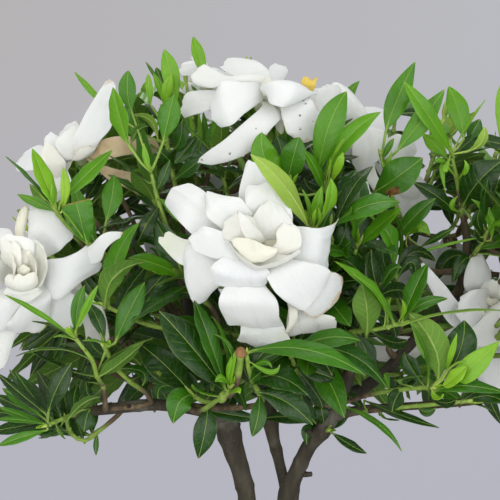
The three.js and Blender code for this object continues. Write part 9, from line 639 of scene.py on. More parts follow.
[-30.1,-11.3,280.2,-47.3,-13.8,280.6,-66.1,-19.1,280.3,10,-0.05,-0.48,0.88,0.12,0.9,0,0,-30.1,-11.3,280.2],
[-35.3,-16,290.1,-37.9,-18.5,293.5,-40.5,-21.1,296.9,3.2,-0.6,0.8,0.1,0.16,0.15,0,0,-35.3,-16,290.1],
[-7.6,-19.9,307.3,-9.8,-31.4,313.4,-12.3,-43.7,317,8.3,0.01,0.36,0.93,0.14,0.57,0,0,-7.6,-19.9,307.3],
[-7.6,-19.9,307.3,-4.4,-25.7,318,-1.4,-32.3,328.6,8.5,-0.86,-0.11,0.51,0.19,0.65,0,0,-7.6,-19.9,307.3],
[-7.6,-19.9,307.3,-13.1,-21.1,317.7,-18.8,-23,326.8,8.7,0.5,-0.71,0.49,0.18,0.6,0,0,-7.6,-19.9,307.3],
[-6.9,-17.4,300.9,-1.1,-32.3,308.1,4.5,-48,314.9,11.4,-0.41,0.15,0.9,0.22,0.74,0,0,-6.9,-17.4,300.9],
[-6.9,-17.4,300.9,-19.5,-23.5,304,-32.2,-30.2,305.9,8.7,0.28,-0.23,0.93,0.22,0.78,0,0,-6.9,-17.4,300.9],
[-6.2,-15.2,295.1,6.7,-9.6,307.5,19.4,-4.9,317.2,13.4,-0.31,-0.48,0.82,0.09,0.96,0,0,-6.2,-15.2,295.1],
[-6.2,-15.2,295.1,-20.6,-25.9,292.3,-35.2,-37.6,287.2,11.4,0.05,-0.25,0.97,0.2,0.98,0,0,-6.2,-15.2,295.1],
[-7.6,-19.9,307.3,-7.5,-22.3,311.7,-7.5,-24.7,316.2,3.2,-0.99,0.01,-0.14,0.16,0.15,0,0,-7.6,-19.9,307.3],
[11.7,-55.8,277.7,12.7,-61.7,286.6,14.7,-68.6,291.7,7.8,0.27,-0.96,-0.12,0.16,0.55,0,0,11.7,-55.8,277.7],
[11.7,-55.8,277.7,10.7,-67.8,279.6,9.8,-81.1,281.2,8.4,0.33,0.08,0.94,0.22,0.61,0,0,11.7,-55.8,277.7],
[11.7,-55.8,277.7,16.8,-65.4,281.8,21.9,-76.2,284.3,7.6,-0.75,-0.26,0.61,0.15,0.67,0,0,11.7,-55.8,277.7],
[11.3,-51.2,273.5,17.1,-65.4,266.9,23,-81,260.1,10.9,-0.13,-0.35,0.93,0.1,0.74,0,0,11.3,-51.2,273.5],
[11.3,-51.2,273.5,18.1,-55.2,285,24.3,-61.6,292.9,10,-0.23,-0.92,0.33,0.14,0.77,0,0,11.3,-51.2,273.5],
[10.9,-46.9,269.5,17.4,-46.7,286.6,24,-48.2,301.7,12.1,-0.08,-0.92,0.38,0.14,0.96,0,0,10.9,-46.9,269.5],
[-29.7,-10.2,249.5,-41.5,-15.3,253.1,-54.5,-21.4,255.5,8.1,0.09,-0.87,-0.48,0.1,0.6,0,0,-29.7,-10.2,249.5],
[-29.7,-10.2,249.5,-39.5,-16,241.1,-50.6,-22.8,228.7,8.9,-0.23,-0.46,0.86,0.16,0.65,0,0,-29.7,-10.2,249.5],
[-29.7,-10.2,249.5,-33.4,-22.5,248.6,-38.2,-35.7,245,8.2,-0.92,0.28,0.26,0.19,0.57,0,0,-29.7,-10.2,249.5],
[-25.9,-6.9,248.3,-41.7,-2.2,245.5,-58.9,1.3,237.6,11.5,-0.27,-0.91,0.3,0.23,0.79,0,0,-25.9,-6.9,248.3],
[-25.9,-6.9,248.3,-26,-22.7,238.9,-27.6,-39.9,226.7,12,-0.84,-0.13,0.53,0.22,0.78,0,0,-25.9,-6.9,248.3],
[-25.9,-6.9,248.3,-30.5,-15.6,259.3,-36.3,-25.4,268,10.2,-0.82,-0.5,-0.28,0.12,0.79,0,0,-25.9,-6.9,248.3],
[-22.2,-3.7,247.1,-30.6,-9.2,263.4,-40.6,-16.2,277.5,13,-0.71,-0.68,-0.18,0.21,0.88,0,0,-22.2,-3.7,247.1],
[-45.1,-42.9,276.2,-45.7,-50.7,285.8,-47.1,-59.5,292.9,8.5,-0.91,-0.41,-0.01,0.09,0.57,0,0,-45.1,-42.9,276.2],
[-45.1,-42.9,276.2,-55.9,-47.7,282.2,-67.6,-53.6,285.5,8.6,0.42,-0.79,0.45,0.1,0.52,0,0,-45.1,-42.9,276.2],
[-45.1,-42.9,276.2,-49.9,-55.7,277,-55.6,-69.7,275.1,8.3,-0.3,0.16,0.94,0.14,0.62,0,0,-45.1,-42.9,276.2],
[-43.1,-39.9,272.8,-50.1,-38.4,287.2,-57.9,-38.1,301.6,11.5,-0.31,-0.9,0.3,0.22,0.79,0,0,-43.1,-39.9,272.8],
[-43.1,-39.9,272.8,-54.4,-53.8,267.3,-65.9,-69.8,260.1,11.2,0,-0.27,0.96,0.22,0.78,0,0,-43.1,-39.9,272.8],
[-43.1,-39.9,272.8,-35.6,-52.3,279.6,-29,-65.9,283.8,11,-0.77,-0.34,0.54,0.11,0.8,0,0,-43.1,-39.9,272.8],
[-41.3,-37.2,269.6,-59.7,-33.8,266.6,-79.1,-31.9,260.8,12.2,-0.2,-0.67,0.72,0.13,0.95,0,0,-41.3,-37.2,269.6],
[-41.3,-37.2,269.6,-28.5,-46.7,280.4,-16.7,-57.7,286.6,13.4,-0.62,-0.54,0.57,0.18,0.88,0,0,-41.3,-37.2,269.6],
[-45.1,-42.9,276.2,-47.3,-46.8,278.5,-49.5,-50.6,280.8,3.2,-0.81,0.58,0.05,0.16,0.15,0,0,-45.1,-42.9,276.2],
[2.7,-64.2,277.1,3.7,-70.3,284.4,3.1,-75.5,290.6,7.9,-0.82,-0.23,0.53,0.21,0.58,0,0,2.7,-64.2,277.1],
[2.7,-64.2,277.1,0.5,-70.1,287.9,-1.8,-76.4,298.9,8.9,0.43,-0.87,-0.23,0.21,0.55,0,0,2.7,-64.2,277.1],
[2.8,-59.4,272.8,8.8,-62.8,289.6,14.9,-67.9,304,11.8,-0.24,-0.94,0.25,0.23,0.74,0,0,2.8,-59.4,272.8],
[2.8,-54.9,268.8,16.5,-60.1,275,30.1,-66.8,277.3,11.5,-0.39,-0.72,0.57,0.11,0.97,0,0,2.8,-54.9,268.8],
[1.8,-62.4,257.9,-4,-70.5,263,-9.8,-80,265.7,7.2,0.73,-0.67,0.13,0.1,0.57,0,0,1.8,-62.4,257.9],
[1.8,-62.4,257.9,-1.8,-64.4,254.9,-6.5,-63.2,248.8,6.9,0.13,-0.17,0.98,0.15,0.65,0,0,1.8,-62.4,257.9],
[1.9,-58.1,255.1,-9.8,-68.7,249,-21.6,-80.9,242.8,10.1,0.34,-0.62,0.71,0.12,0.76,0,0,1.9,-58.1,255.1],
[1.9,-58.1,255.1,9.4,-72.3,250,15.5,-88,241.3,11.2,-0.46,-0.45,0.76,0.13,0.85,0,0,1.9,-58.1,255.1],
[1.9,-58.1,255.1,3.4,-63.2,270.5,4.9,-70,282.1,12,-0.09,-0.99,0.06,0.11,0.75,0,0,1.9,-58.1,255.1],
[2,-54.1,252.5,-1.8,-58.3,269.4,-5.6,-64.4,285.2,12.5,0.09,-0.99,0.14,0.19,0.93,0,0,2,-54.1,252.5],
[4.9,-55.3,248.4,15.6,-65.2,246.3,26.4,-76.6,243.7,9.6,-0.52,-0.63,0.58,0.16,0.82,0,0,4.9,-55.3,248.4],
[4.9,-55.3,248.4,3.6,-63.9,262.1,2,-74.3,271.8,10.9,0.04,-0.99,-0.17,0.14,0.79,0,0,4.9,-55.3,248.4],
[4.9,-55.3,248.4,-6.1,-67.7,244.7,-17.1,-81.9,237.8,11.5,0.52,-0.56,0.64,0.19,0.83,0,0,4.9,-55.3,248.4],
[4.8,-51.1,246.2,15.4,-57.1,259.1,26.3,-64.9,270.3,12.1,-0.26,-0.96,0.13,0.23,1,0,0,4.8,-51.1,246.2],
[4.9,-59.7,250.8,5.5,-64.6,251.8,6.1,-69.5,252.7,3.2,-0.97,-0.05,-0.25,0.16,0.15,0,0,4.9,-59.7,250.8],
[-1.5,-3.3,312.3,-1,0,325.3,-0.6,2.9,339,8.7,-0.18,-0.83,0.53,0.13,0.62,0,0,-1.5,-3.3,312.3],
[-1.5,-3.3,312.3,-6.9,-7.1,323.6,-12.4,-11.3,333.2,8.3,0.75,0.05,0.66,0.23,0.57,0,0,-1.5,-3.3,312.3],
[-1.5,-3.3,312.3,2.8,-10.9,323.9,7,-18.9,334.5,8.8,-0.57,0.36,0.74,0.21,0.68,0,0,-1.5,-3.3,312.3],
[-1.3,-2.2,306.5,-8.8,4.3,319.2,-16.5,10.5,330.2,11.3,0.28,-0.59,0.76,0.2,0.83,0,0,-1.3,-2.2,306.5],
[-1.3,-2.2,306.5,-2.8,-17.1,310.5,-4.5,-32.3,312,9.7,-0.01,0.2,0.98,0.13,0.78,0,0,-1.3,-2.2,306.5],
[-1.3,-2.2,306.5,8.6,-1.9,318.9,18.4,-1.9,331.7,10.6,-0.58,-0.31,0.75,0.1,0.84,0,0,-1.3,-2.2,306.5],
[-1,-1.2,301.3,-16.1,-6.7,306,-31.2,-12.6,311,11.1,0.25,-0.1,0.96,0.14,0.9,0,0,-1,-1.2,301.3],
[-1,-1.2,301.3,10.7,5.6,312.4,22.2,12,321.8,11.5,-0.33,-0.38,0.86,0.12,0.92,0,0,-1,-1.2,301.3],
[-45.5,1.2,272.2,-58.6,1.5,271.5,-73.1,1.4,268,8.5,-0.04,-0.4,0.92,0.13,0.55,0,0,-45.5,1.2,272.2],
[-45.5,1.2,272.2,-54.6,-7.3,274.5,-64.9,-16.1,274.7,9.3,-0.39,0.54,0.75,0.22,0.58,0,0,-45.5,1.2,272.2],
[-45.5,1.2,272.2,-53.4,-0.3,280.9,-62.6,-2.2,286.6,8.8,-0.78,-0.5,-0.37,0.15,0.67,0,0,-45.5,1.2,272.2],
[-41.2,2.6,268.3,-52.1,-6,263.3,-64.3,-15.1,256.4,9,-0.38,0.12,0.92,0.08,0.82,0,0,-41.2,2.6,268.3],
[-41.2,2.6,268.3,-40.6,-6.9,282,-40,-16.6,293.1,10.2,-0.95,0.13,0.3,0.23,0.85,0,0,-41.2,2.6,268.3],
[-41.2,2.6,268.3,-53.4,12.1,271.3,-67,21.1,271.7,11.6,-0.43,-0.65,0.62,0.14,0.81,0,0,-41.2,2.6,268.3],
[-37.2,3.8,264.7,-40.5,-12.6,268.7,-47.5,-29,268,13,-0.8,0.06,0.59,0.2,0.96,0,0,-37.2,3.8,264.7],
[-37.2,3.8,264.7,-49.1,15,265.1,-62.5,25.7,264.6,10.8,-0.5,-0.54,0.68,0.21,0.88,0,0,-37.2,3.8,264.7],
[-45.5,1.2,272.2,-50.2,0.7,274.2,-54.9,0.3,276.1,3.2,-0.39,0.9,-0.21,0.16,0.15,0,0,-45.5,1.2,272.2],
[7.9,-58.2,247.3,6.6,-71.6,244.6,5.4,-86.7,241.1,9.6,0.29,-0.16,0.94,0.19,0.6,0,0,7.9,-58.2,247.3],
[7.9,-58.2,247.3,14.2,-68.1,249.6,21,-78.4,247.9,9.8,-0.88,-0.4,0.26,0.15,0.53,0,0,7.9,-58.2,247.3],
[7.7,-53,244.9,-3.6,-63.2,242.9,-14.8,-75,239.2,10.7,0.55,-0.66,0.52,0.2,0.85,0,0,7.7,-53,244.9],
[7.7,-53,244.9,15.5,-61.2,235.1,21.6,-69.5,221.1,11.8,-0.43,-0.61,0.67,0.08,0.74,0,0,7.7,-53,244.9],
[7.7,-53,244.9,8.1,-57.1,258.4,8.8,-61.5,268.7,8.8,0.05,-1,-0.09,0.09,0.74,0,0,7.7,-53,244.9],
[7.5,-48.1,242.6,8.2,-53.6,260.1,9.1,-61.3,274,12.6,0.03,-1,0.06,0.18,0.87,0,0,7.5,-48.1,242.6],
[28.8,-39.9,293.5,35.8,-53.2,290.8,42.5,-68.2,288.3,10.5,-0.03,-0.24,0.97,0.17,0.82,0,0,28.8,-39.9,293.5],
[28.8,-39.9,293.5,18,-50.9,301.7,7.7,-63.1,308.2,11,0.63,-0.31,0.71,0.15,0.79,0,0,28.8,-39.9,293.5],
[27.6,-36.5,288.3,12.4,-40.3,296.9,-2.4,-45.4,305.2,11.9,0.39,-0.52,0.76,0.17,1,0,0,27.6,-36.5,288.3],
[27.3,-56.8,290.7,35.3,-65.5,299,43.7,-75.7,307.1,9.5,-0.72,-0.52,0.46,0.22,0.52,0,0,27.3,-56.8,290.7],
[27.3,-56.8,290.7,25.3,-64.3,299.5,23.6,-73,307.8,7.9,0.87,-0.48,0.14,0.1,0.54,0,0,27.3,-56.8,290.7],
[26.3,-52.8,285.9,27.6,-51.5,303.7,29.4,-51.7,320.4,11.2,0.18,-0.91,0.39,0.19,0.8,0,0,26.3,-52.8,285.9],
[26.3,-52.8,285.9,17.5,-65.9,289.4,8.8,-79.5,290.4,10.3,0.5,-0.25,0.83,0.1,0.74,0,0,26.3,-52.8,285.9],
[25.3,-49.1,281.4,14.3,-51,292.7,3.6,-54.2,303.7,11.1,0.42,-0.68,0.6,0.22,0.94,0,0,25.3,-49.1,281.4],
[27.3,-56.8,290.7,27.4,-61,293.5,27.6,-65.2,296.4,3.2,-0.94,-0.32,-0.1,0.16,0.15,0,0,27.3,-56.8,290.7],
[-28.2,-26.4,228.2,-30.5,-38.3,229.7,-33.5,-51.3,229.4,7.4,-0.87,0.05,-0.5,0.11,0.57,0,0,-28.2,-26.4,228.2],
[-28.2,-26.4,228.2,-38.1,-34.6,226.8,-48.8,-44,221.6,8.5,0.67,-0.74,-0.06,0.23,0.63,0,0,-28.2,-26.4,228.2],
[-26.1,-22.9,227.7,-21.8,-37.1,226,-18.3,-52.6,221.1,9.5,-0.96,-0.27,0.09,0.08,0.74,0,0,-26.1,-22.9,227.7],
[-26.1,-22.9,227.7,-39.9,-27.9,235.7,-54.6,-34.4,238.5,12.4,-0.1,-0.95,-0.29,0.19,0.82,0,0,-26.1,-22.9,227.7],
[-24.1,-19.5,227.2,-21.4,-35.2,238.5,-18.2,-53.5,246.3,11,-0.67,-0.64,-0.37,0.08,1,0,0,-24.1,-19.5,227.2],
[-30,-19,325.1,-30.3,-17.1,336.4,-31,-15.6,348,7.6,-0.39,-0.81,0.44,0.22,0.54,0,0,-30,-19,325.1],
[-30,-19,325.1,-37.4,-23.8,334,-45.2,-29,341,8.7,0.61,0,0.79,0.13,0.63,0,0,-30,-19,325.1],
[-30,-19,325.1,-29.4,-28.8,334.6,-29.2,-39.2,343.8,8.8,-0.49,0.43,0.76,0.12,0.65,0,0,-30,-19,325.1],
[-28.6,-17.2,318.4,-38.7,-9.2,328.7,-49.2,-1.9,337.3,9.9,0.07,-0.59,0.8,0.16,0.72,0,0,-28.6,-17.2,318.4],
[-28.6,-17.2,318.4,-33.9,-33.1,320.9,-39.7,-49.7,320.5,10.5,-0.08,0.14,0.99,0.11,0.87,0,0,-28.6,-17.2,318.4],
[-28.6,-17.2,318.4,-21.3,-18.9,332.8,-14.4,-21.2,344.1,10.8,-0.71,-0.34,0.62,0.1,0.75,0,0,-28.6,-17.2,318.4],
[-27.3,-15.4,312.4,-42.1,-21,313.2,-57.3,-27.1,311.1,10.3,0.11,-0.17,0.98,0.09,0.88,0,0,-27.3,-15.4,312.4],
[-27.3,-15.4,312.4,-13.4,-13,322.5,0,-11.2,331.5,11.8,-0.38,-0.31,0.87,0.09,0.95,0,0,-27.3,-15.4,312.4],
[-30,-19,325.1,-31,-20.9,329.6,-32.1,-22.8,334.1,3.2,-0.89,0.44,-0.09,0.16,0.15,0,0,-30,-19,325.1],
[-4,-22.9,330,-4.4,-20.4,341.7,-4.9,-18.4,352.6,8.1,-0.05,-0.87,0.49,0.14,0.63,0,0,-4,-22.9,330],
[-4,-22.9,330,-9.8,-29,337.7,-15.6,-35.6,345.5,8.1,0.57,0.13,0.81,0.24,0.53,0,0,-4,-22.9,330],
[-3.7,-20.8,323,-17.4,-24.1,336,-32.1,-30.4,350.1,10.4,0.42,-0.45,0.79,0.14,0.86,0,0,-3.7,-20.8,323],
[-3.7,-20.8,323,7.8,-22.2,331.7,19.2,-24.1,337.5,9,-0.46,-0.31,0.84,0.22,0.87,0,0,-3.7,-20.8,323],
[-3.4,-18.9,316.7,-18.7,-29.6,319.8,-33,-43.3,323.8,11.3,0.14,-0.23,0.96,0.16,0.95,0,0,-3.4,-18.9,316.7],
[-3.4,-18.9,316.7,13.8,-16.5,323.7,30.8,-14.9,327.2,13,-0.22,-0.32,0.92,0.18,0.96,0,0,-3.4,-18.9,316.7],
[-4,-22.9,330,-4.9,-24.2,334.8,-5.8,-25.6,339.6,3.2,-0.73,0.65,0.22,0.16,0.15,0,0,-4,-22.9,330],
[19.5,3.2,240.3,22.5,-1.7,229.4,26.3,-7.3,216.2,8.7,0.73,-0.28,0.62,0.22,0.53,0,0,19.5,3.2,240.3],
[19.5,3.2,240.3,25.4,-6.9,235.4,32.2,-17.5,226.1,8.2,0.55,0.73,-0.41,0.19,0.53,0,0,19.5,3.2,240.3],
[16.8,5.6,241.9,26.1,9.6,229.7,36.6,12.6,215,10.6,0.18,-0.97,0.18,0.08,0.76,0,0,16.8,5.6,241.9],
[16.8,5.6,241.9,29.3,-6.5,245.9,43.2,-19.8,244.1,12.6,0.31,-0.21,-0.93,0.16,0.74,0,0,16.8,5.6,241.9],
[16.8,5.6,241.9,14.3,-6.1,232.3,13,-18.9,220.4,9.9,1,0.08,0.01,0.19,0.88,0,0,16.8,5.6,241.9],
[13.8,8.2,243.6,30.1,12.8,245,47.6,16.2,243.4,12.4,0.32,-0.8,-0.5,0.19,0.99,0,0,13.8,8.2,243.6],
[13.8,8.2,243.6,2.5,-6.4,235.3,-7.4,-22.2,224.1,13.5,0.91,-0.33,-0.25,0.09,0.9,0,0,13.8,8.2,243.6],
[-58.5,-19.1,307.4,-61.9,-19.7,325,-66.2,-21.1,344.9,10.4,-0.65,-0.73,0.19,0.15,0.67,0,0,-58.5,-19.1,307.4],
[-58.5,-19.1,307.4,-68.4,-21.7,314.1,-79.1,-24.9,319.5,7.4,0.46,-0.37,0.81,0.12,0.65,0,0,-58.5,-19.1,307.4],
[-58.5,-19.1,307.4,-62.6,-27.7,315.7,-67.4,-37,321.5,9,-0.49,0.58,0.65,0.24,0.66,0,0,-58.5,-19.1,307.4],
[-56,-17.3,302,-64.3,-11.4,313.6,-73.4,-6.2,323.3,10.2,-0.18,-0.79,0.58,0.24,0.84,0,0,-56,-17.3,302],
[-56,-17.3,302,-67.9,-31.3,300.6,-80.7,-45.9,297,11.3,-0.14,0.05,0.99,0.18,0.88,0,0,-56,-17.3,302],
[-56,-17.3,302,-47.8,-23.5,309.3,-39.8,-29.8,312.1,11.1,-0.73,-0.14,0.67,0.23,0.78,0,0,-56,-17.3,302],
[-53.7,-15.6,297,-71.9,-10.6,293.8,-91.1,-6.4,287.3,13.3,-0.21,-0.36,0.91,0.11,1,0,0,-53.7,-15.6,297],
[-53.7,-15.6,297,-45.6,-25.4,306.8,-39.6,-37.1,313.8,11.3,-0.66,-0.19,0.73,0.15,0.98,0,0,-53.7,-15.6,297],
[-47.6,7.4,237.8,-60.6,4.2,242.6,-75.3,0.6,245.2,8.8,-0.47,-0.14,-0.87,0.11,0.61,0,0,-47.6,7.4,237.8],
[-43.6,8.4,236.9,-57.1,17.3,241.5,-72.4,25.8,244.5,10.4,-0.67,-0.74,-0.06,0.22,0.81,0,0,-43.6,8.4,236.9],
[-43.6,8.4,236.9,-55.8,-6,240.8,-71.2,-21.5,240.2,10.1,-0.89,0.45,-0.1,0.18,0.84,0,0,-43.6,8.4,236.9],
[-39.8,9.4,236,-45.4,17,222.8,-52.8,24.2,206.7,10.3,-0.81,-0.39,0.43,0.11,0.97,0,0,-39.8,9.4,236],
[-47.6,7.4,237.8,-52.4,6.6,236.9,-57.3,5.8,236,3.2,-0.21,0.95,-0.22,0.16,0.15,0,0,-47.6,7.4,237.8],
[-5.2,29.2,242.1,-15.3,36,239.7,-26,43.9,235.1,7.6,0.62,0.56,-0.55,0.14,0.54,0,0,-5.2,29.2,242.1],
[-5.2,29.2,242.1,-4.4,40.4,237.1,-4.2,52.6,230.4,7.9,-0.97,-0.18,-0.16,0.23,0.63,0,0,-5.2,29.2,242.1],
[-3.7,26.5,242.9,-17.8,26.5,238.2,-32.6,27.7,230.6,9.2,0.19,0.96,-0.2,0.23,0.83,0,0,-3.7,26.5,242.9],
[-3.7,26.5,242.9,-7.7,42.1,243.9,-12.5,59.2,239.3,11,-0.46,0.01,-0.89,0.11,0.8,0,0,-3.7,26.5,242.9],
[-3.7,26.5,242.9,3.8,32.8,227.4,10.3,40.6,208.4,11.8,-0.77,0.6,0.21,0.19,0.74,0,0,-3.7,26.5,242.9],
[-2.1,23.8,243.8,-17.1,29,246.7,-32.9,35.7,243.8,11.9,0.06,0.81,-0.58,0.11,0.98,0,0,-2.1,23.8,243.8],
[-2.1,23.8,243.8,6.9,24.6,229.8,15,26.9,210,10.2,-0.65,0.76,0,0.22,0.95,0,0,-2.1,23.8,243.8],
[-5.2,29.2,242.1,-7.5,32.5,239.1,-9.7,35.9,236.2,3.2,0.9,0.42,-0.11,0.16,0.15,0,0,-5.2,29.2,242.1],
[-18,-9.2,229.7,-25,-4.2,219,-30,-3.7,208.8,6.6,-0.02,-1,0.24,0.15,0.87,0,0,-18,-9.2,229.7],
]),
"leaves_back_1":(0,[[[-77.7,45.2,286.7,1.15],[-72.9,44.9,291.5,1.15],[-67.2,44.3,296.1,1.15],[-62,43.9,300.9,1.15],[-58.8,44.1,306.3,1.15],[-59.1,45.6,312.6,1.15],[-63.6,49.7,325.5,1],[-68.1,53.8,342.4,0.7]],[[-59.1,45.6,312.6,1.15],[-53.7,45.3,312.6,1.15],[-47.5,44.9,312,1.15],[-41.9,44.6,311.9,1.15],[-38,44.7,313.1,1.15],[-37.1,45.6,316.7,1.15],[-40.4,50.2,333.2,1],[-43.7,54.9,353.8,0.7]],[[-67.2,44.3,296.1,1.15],[-64.1,46.3,294,1.15],[-60.5,48.1,291.3,1.15],[-57.3,50,289,1.15],[-55.3,51.8,288.2,1.15],[-55.4,53.5,289.8,1.15],[-61.6,60.9,303.8,1],[-67.8,68.3,321.9,0.7]],[[-58.5,57.2,296.8,1.15],[-54.4,58.8,298.7,1.15],[-49.6,60.3,300.3,1.15],[-45.3,61.7,302.1,1.15],[-42.5,63.4,304.6,1.15],[-42.1,65.5,308.3,1.15],[-45.3,71.4,319.8,1],[-48.5,77.3,335.3,0.7]],[[-37.9,46.8,320.8,1.15],[-38.4,42,321.5,1.15],[-38.9,36.6,321.6,1.15],[-39.3,31.6,322.2,1.15],[-39.9,28.1,323.9,1.15],[-40.8,27.1,327.5,1.15],[-43.7,29.1,341.3,1],[-46.5,31,359.2,0.7]],[[-58.8,44.1,306.3,1.15],[-59.6,39.1,307.7,1.15],[-60.1,33.3,308.7,1.15],[-60.7,28.1,310,1.15],[-61.6,24.3,312.4,1.15],[-63.1,23.3,316.5,1.15],[-68,25.2,330.5,1],[-72.9,27,348.5,0.7]],[[-72.9,44.9,291.5,1.15],[-72.5,42.3,292.1,1.15],[-71.9,39.4,292.4,1.15],[-71.4,36.7,293,1.15],[-71.3,34.8,294,1.15],[-72,34.5,295.8,1.15],[-79.7,38.8,311,1],[-87.3,43,330.3,0.7]],[[-42.1,65.5,308.3,1.15],[-37,64.5,308.7,1.15],[-31.3,63.1,308.7,1.15],[-26,61.9,309,1.15],[-22.3,61.6,310.5,1.15],[-21.2,62.7,314,1.15],[-23.1,68.8,328.5,1],[-25,75,346.9,0.7]],[[-77.7,45.2,286.7,1.15],[-76.9,45.4,286.1,1.15],[-75.9,45.6,285.4,1.15],[-74.9,45.7,284.7,1.15],[-74.4,46,284.4,1.15],[-74.5,46.3,284.8,1.15],[-82.6,52.5,296.9,1],[-90.8,58.7,313.1,0.7]],[[-45.3,61.7,302.1,1.15],[-42.6,64.3,299.1,1.15],[-39.5,66.8,295.5,1.15],[-36.6,69.3,292.4,1.15],[-34.8,71.8,291,1.15],[-34.7,74.5,292.6,1.15],[-37.7,82.2,302.3,1],[-40.7,89.8,316.1,0.7]],[[-55.3,51.8,288.2,1.15],[-55.1,55.6,286.4,1.15],[-54.6,59.4,284.2,1.15],[-54.2,63,282.4,1.15],[-54.4,66.4,281.9,1.15],[-55.5,69.3,283.5,1.15],[-60.8,77.5,293.2,1],[-66.1,85.8,306.9,0.7]],[[-38.9,36.6,321.6,1.15],[-33.1,36.2,322.9,1.15],[-26.6,35.6,323.6,1.15],[-20.6,35.1,324.7,1.15],[-16.3,35.1,327.2,1.15],[-14.9,35.8,331.8,1.15],[-16.1,38.4,346,1],[-17.3,41.1,364.1,0.7]],[[-71.3,34.8,294,1.15],[-74.6,31.8,293.3,1.15],[-77.8,28.4,292.3,1.15],[-81,25.3,291.6,1.15],[-84,23.2,292,1.15],[-86.8,22.8,294.5,1.15],[-94.2,24.8,304.9,1],[-101.6,26.8,319.3,0.7]],[[-20.6,35.1,324.7,1.15],[-17.3,26.4,321.3,1.15],[-13.5,16.7,316.6,1.15],[-10,7.6,312.9,1.15],[-7.6,0.9,312.4,1.15],[-7,-2.1,317.3,1.15],[-7.9,-3,333.1,1],[-8.8,-4,353,0.7]]],[
[-68.1,53.8,342.4,-68.1,61.7,352.7,-68.5,70.2,363.1,8.5,-0.61,-0.46,0.65,0.15,0.42,0,0,-68.1,53.8,342.4],
[-66.2,52,335.2,-75.4,45,345.1,-85.1,38.4,352.4,9.9,0.06,0.62,0.78,0.18,0.48,0,0,-66.2,52,335.2],
[-66.2,52,335.2,-58.2,57.1,348.2,-50.7,62.8,361.8,10.7,-0.71,0.1,0.69,0.2,0.52,0,0,-66.2,52,335.2],
[-66.2,52,335.2,-76.3,65.2,339.2,-87,78.8,342.8,10.6,0.05,-0.19,0.98,0.18,0.56,0,0,-66.2,52,335.2],
[-64.4,50.4,328.6,-54.3,44.6,342.4,-44.3,41.5,353,12.4,-0.41,0.39,0.83,0.23,0.78,0,0,-64.4,50.4,328.6],
[-64.4,50.4,328.6,-76.2,63.5,328,-88.5,77.2,324.1,12.5,-0.04,-0.01,1,0.13,0.77,0,0,-64.4,50.4,328.6],
[-62.6,48.8,322.6,-47.8,53.1,330.9,-33.7,57.9,336.9,10.5,-0.4,0.19,0.89,0.24,0.7,0,0,-62.6,48.8,322.6],
[-62.6,48.8,322.6,-79,45.7,322.6,-95.9,43,323,11.2,-0.05,0.27,0.96,0.18,0.82,0,0,-62.6,48.8,322.6],
[-43.7,54.9,353.8,-52.1,62.9,361.9,-60.9,71.4,367.3,9.9,0.37,-0.24,0.9,0.16,0.19,0,0,-43.7,54.9,353.8],
[-42.3,52.9,345.1,-55.8,50.8,352.9,-69.5,49.2,359,10.4,0.3,0.35,0.89,0.2,0.44,0,0,-42.3,52.9,345.1],
[-42.3,52.9,345.1,-42.3,66.7,351.6,-42.6,81,357.6,9.4,-0.2,-0.31,0.93,0.17,0.47,0,0,-42.3,52.9,345.1],
[-41,51.1,337.1,-46.2,39.9,347.6,-51.8,29.2,358,10.4,-0.04,0.55,0.84,0.21,0.58,0,0,-41,51.1,337.1],
[-41,51.1,337.1,-43.2,70,338.7,-45.8,89.5,338,13.1,-0.13,-0.08,0.99,0.2,0.58,0,0,-41,51.1,337.1],
[-39.7,49.2,329.6,-24.6,43.4,335.8,-10,38.2,338.8,12,-0.2,0.23,0.95,0.24,0.64,0,0,-39.7,49.2,329.6],
[-39.7,49.2,329.6,-53,54.8,325.6,-66.6,60.8,319.5,10.5,-0.13,0.2,0.97,0.15,0.64,0,0,-39.7,49.2,329.6],
[-43.7,54.9,353.8,-44.9,55.8,358.6,-46.1,56.8,363.4,3.2,0.35,0.91,-0.2,0.16,0.15,0,0,-43.7,54.9,353.8],
[-67.8,68.3,321.9,-68,77.5,330.2,-68.8,87.3,338.5,7.9,-0.66,-0.35,0.67,0.21,0.15,0,0,-67.8,68.3,321.9],
[-67.8,68.3,321.9,-76.9,73.2,326.8,-86.5,78.7,329.8,8.3,0.42,0.13,0.9,0.14,0.26,0,0,-67.8,68.3,321.9],
[-67.8,68.3,321.9,-69.1,70.2,334.9,-71,72.8,345.6,8,-0.66,0.73,0.18,0.19,0.16,0,0,-67.8,68.3,321.9],
[-65.2,65.2,314.3,-75.8,57.3,323.8,-88.1,50.4,330.8,11.7,-0.11,0.7,0.7,0.17,0.49,0,0,-65.2,65.2,314.3],
[-65.2,65.2,314.3,-55.2,68.4,325.3,-44,71.9,333.6,10.3,-0.75,0.32,0.58,0.13,0.49,0,0,-65.2,65.2,314.3],
[-62.7,62.3,307.2,-78.6,58.8,308.4,-93.8,55.8,308.7,13.6,0.07,0.45,0.89,0.24,0.64,0,0,-62.7,62.3,307.2],
[-62.7,62.3,307.2,-50,69.1,316.6,-38.1,76.7,323.3,11.4,-0.53,0.27,0.8,0.21,0.57,0,0,-62.7,62.3,307.2],
[-60.2,59.3,300.8,-63.2,47.3,310.1,-66.8,36,316,10.2,-0.28,0.49,0.83,0.17,0.61,0,0,-60.2,59.3,300.8],
[-60.2,59.3,300.8,-55.1,74,298,-50.5,89.4,294,11.1,-0.34,0.24,0.91,0.23,0.69,0,0,-60.2,59.3,300.8],
[-48.5,77.3,335.3,-46.7,86.1,342.4,-45.3,95.6,347.2,8.1,-0.55,-0.29,0.78,0.12,0.32,0,0,-48.5,77.3,335.3],
[-48.5,77.3,335.3,-57.1,83.1,343.5,-66,89.7,349,8.1,0.58,0.1,0.81,0.21,0.18,0,0,-48.5,77.3,335.3],
[-48.5,77.3,335.3,-49.8,76,346.9,-51.5,75.4,356,8,-0.25,0.89,0.39,0.21,0.25,0,0,-48.5,77.3,335.3],
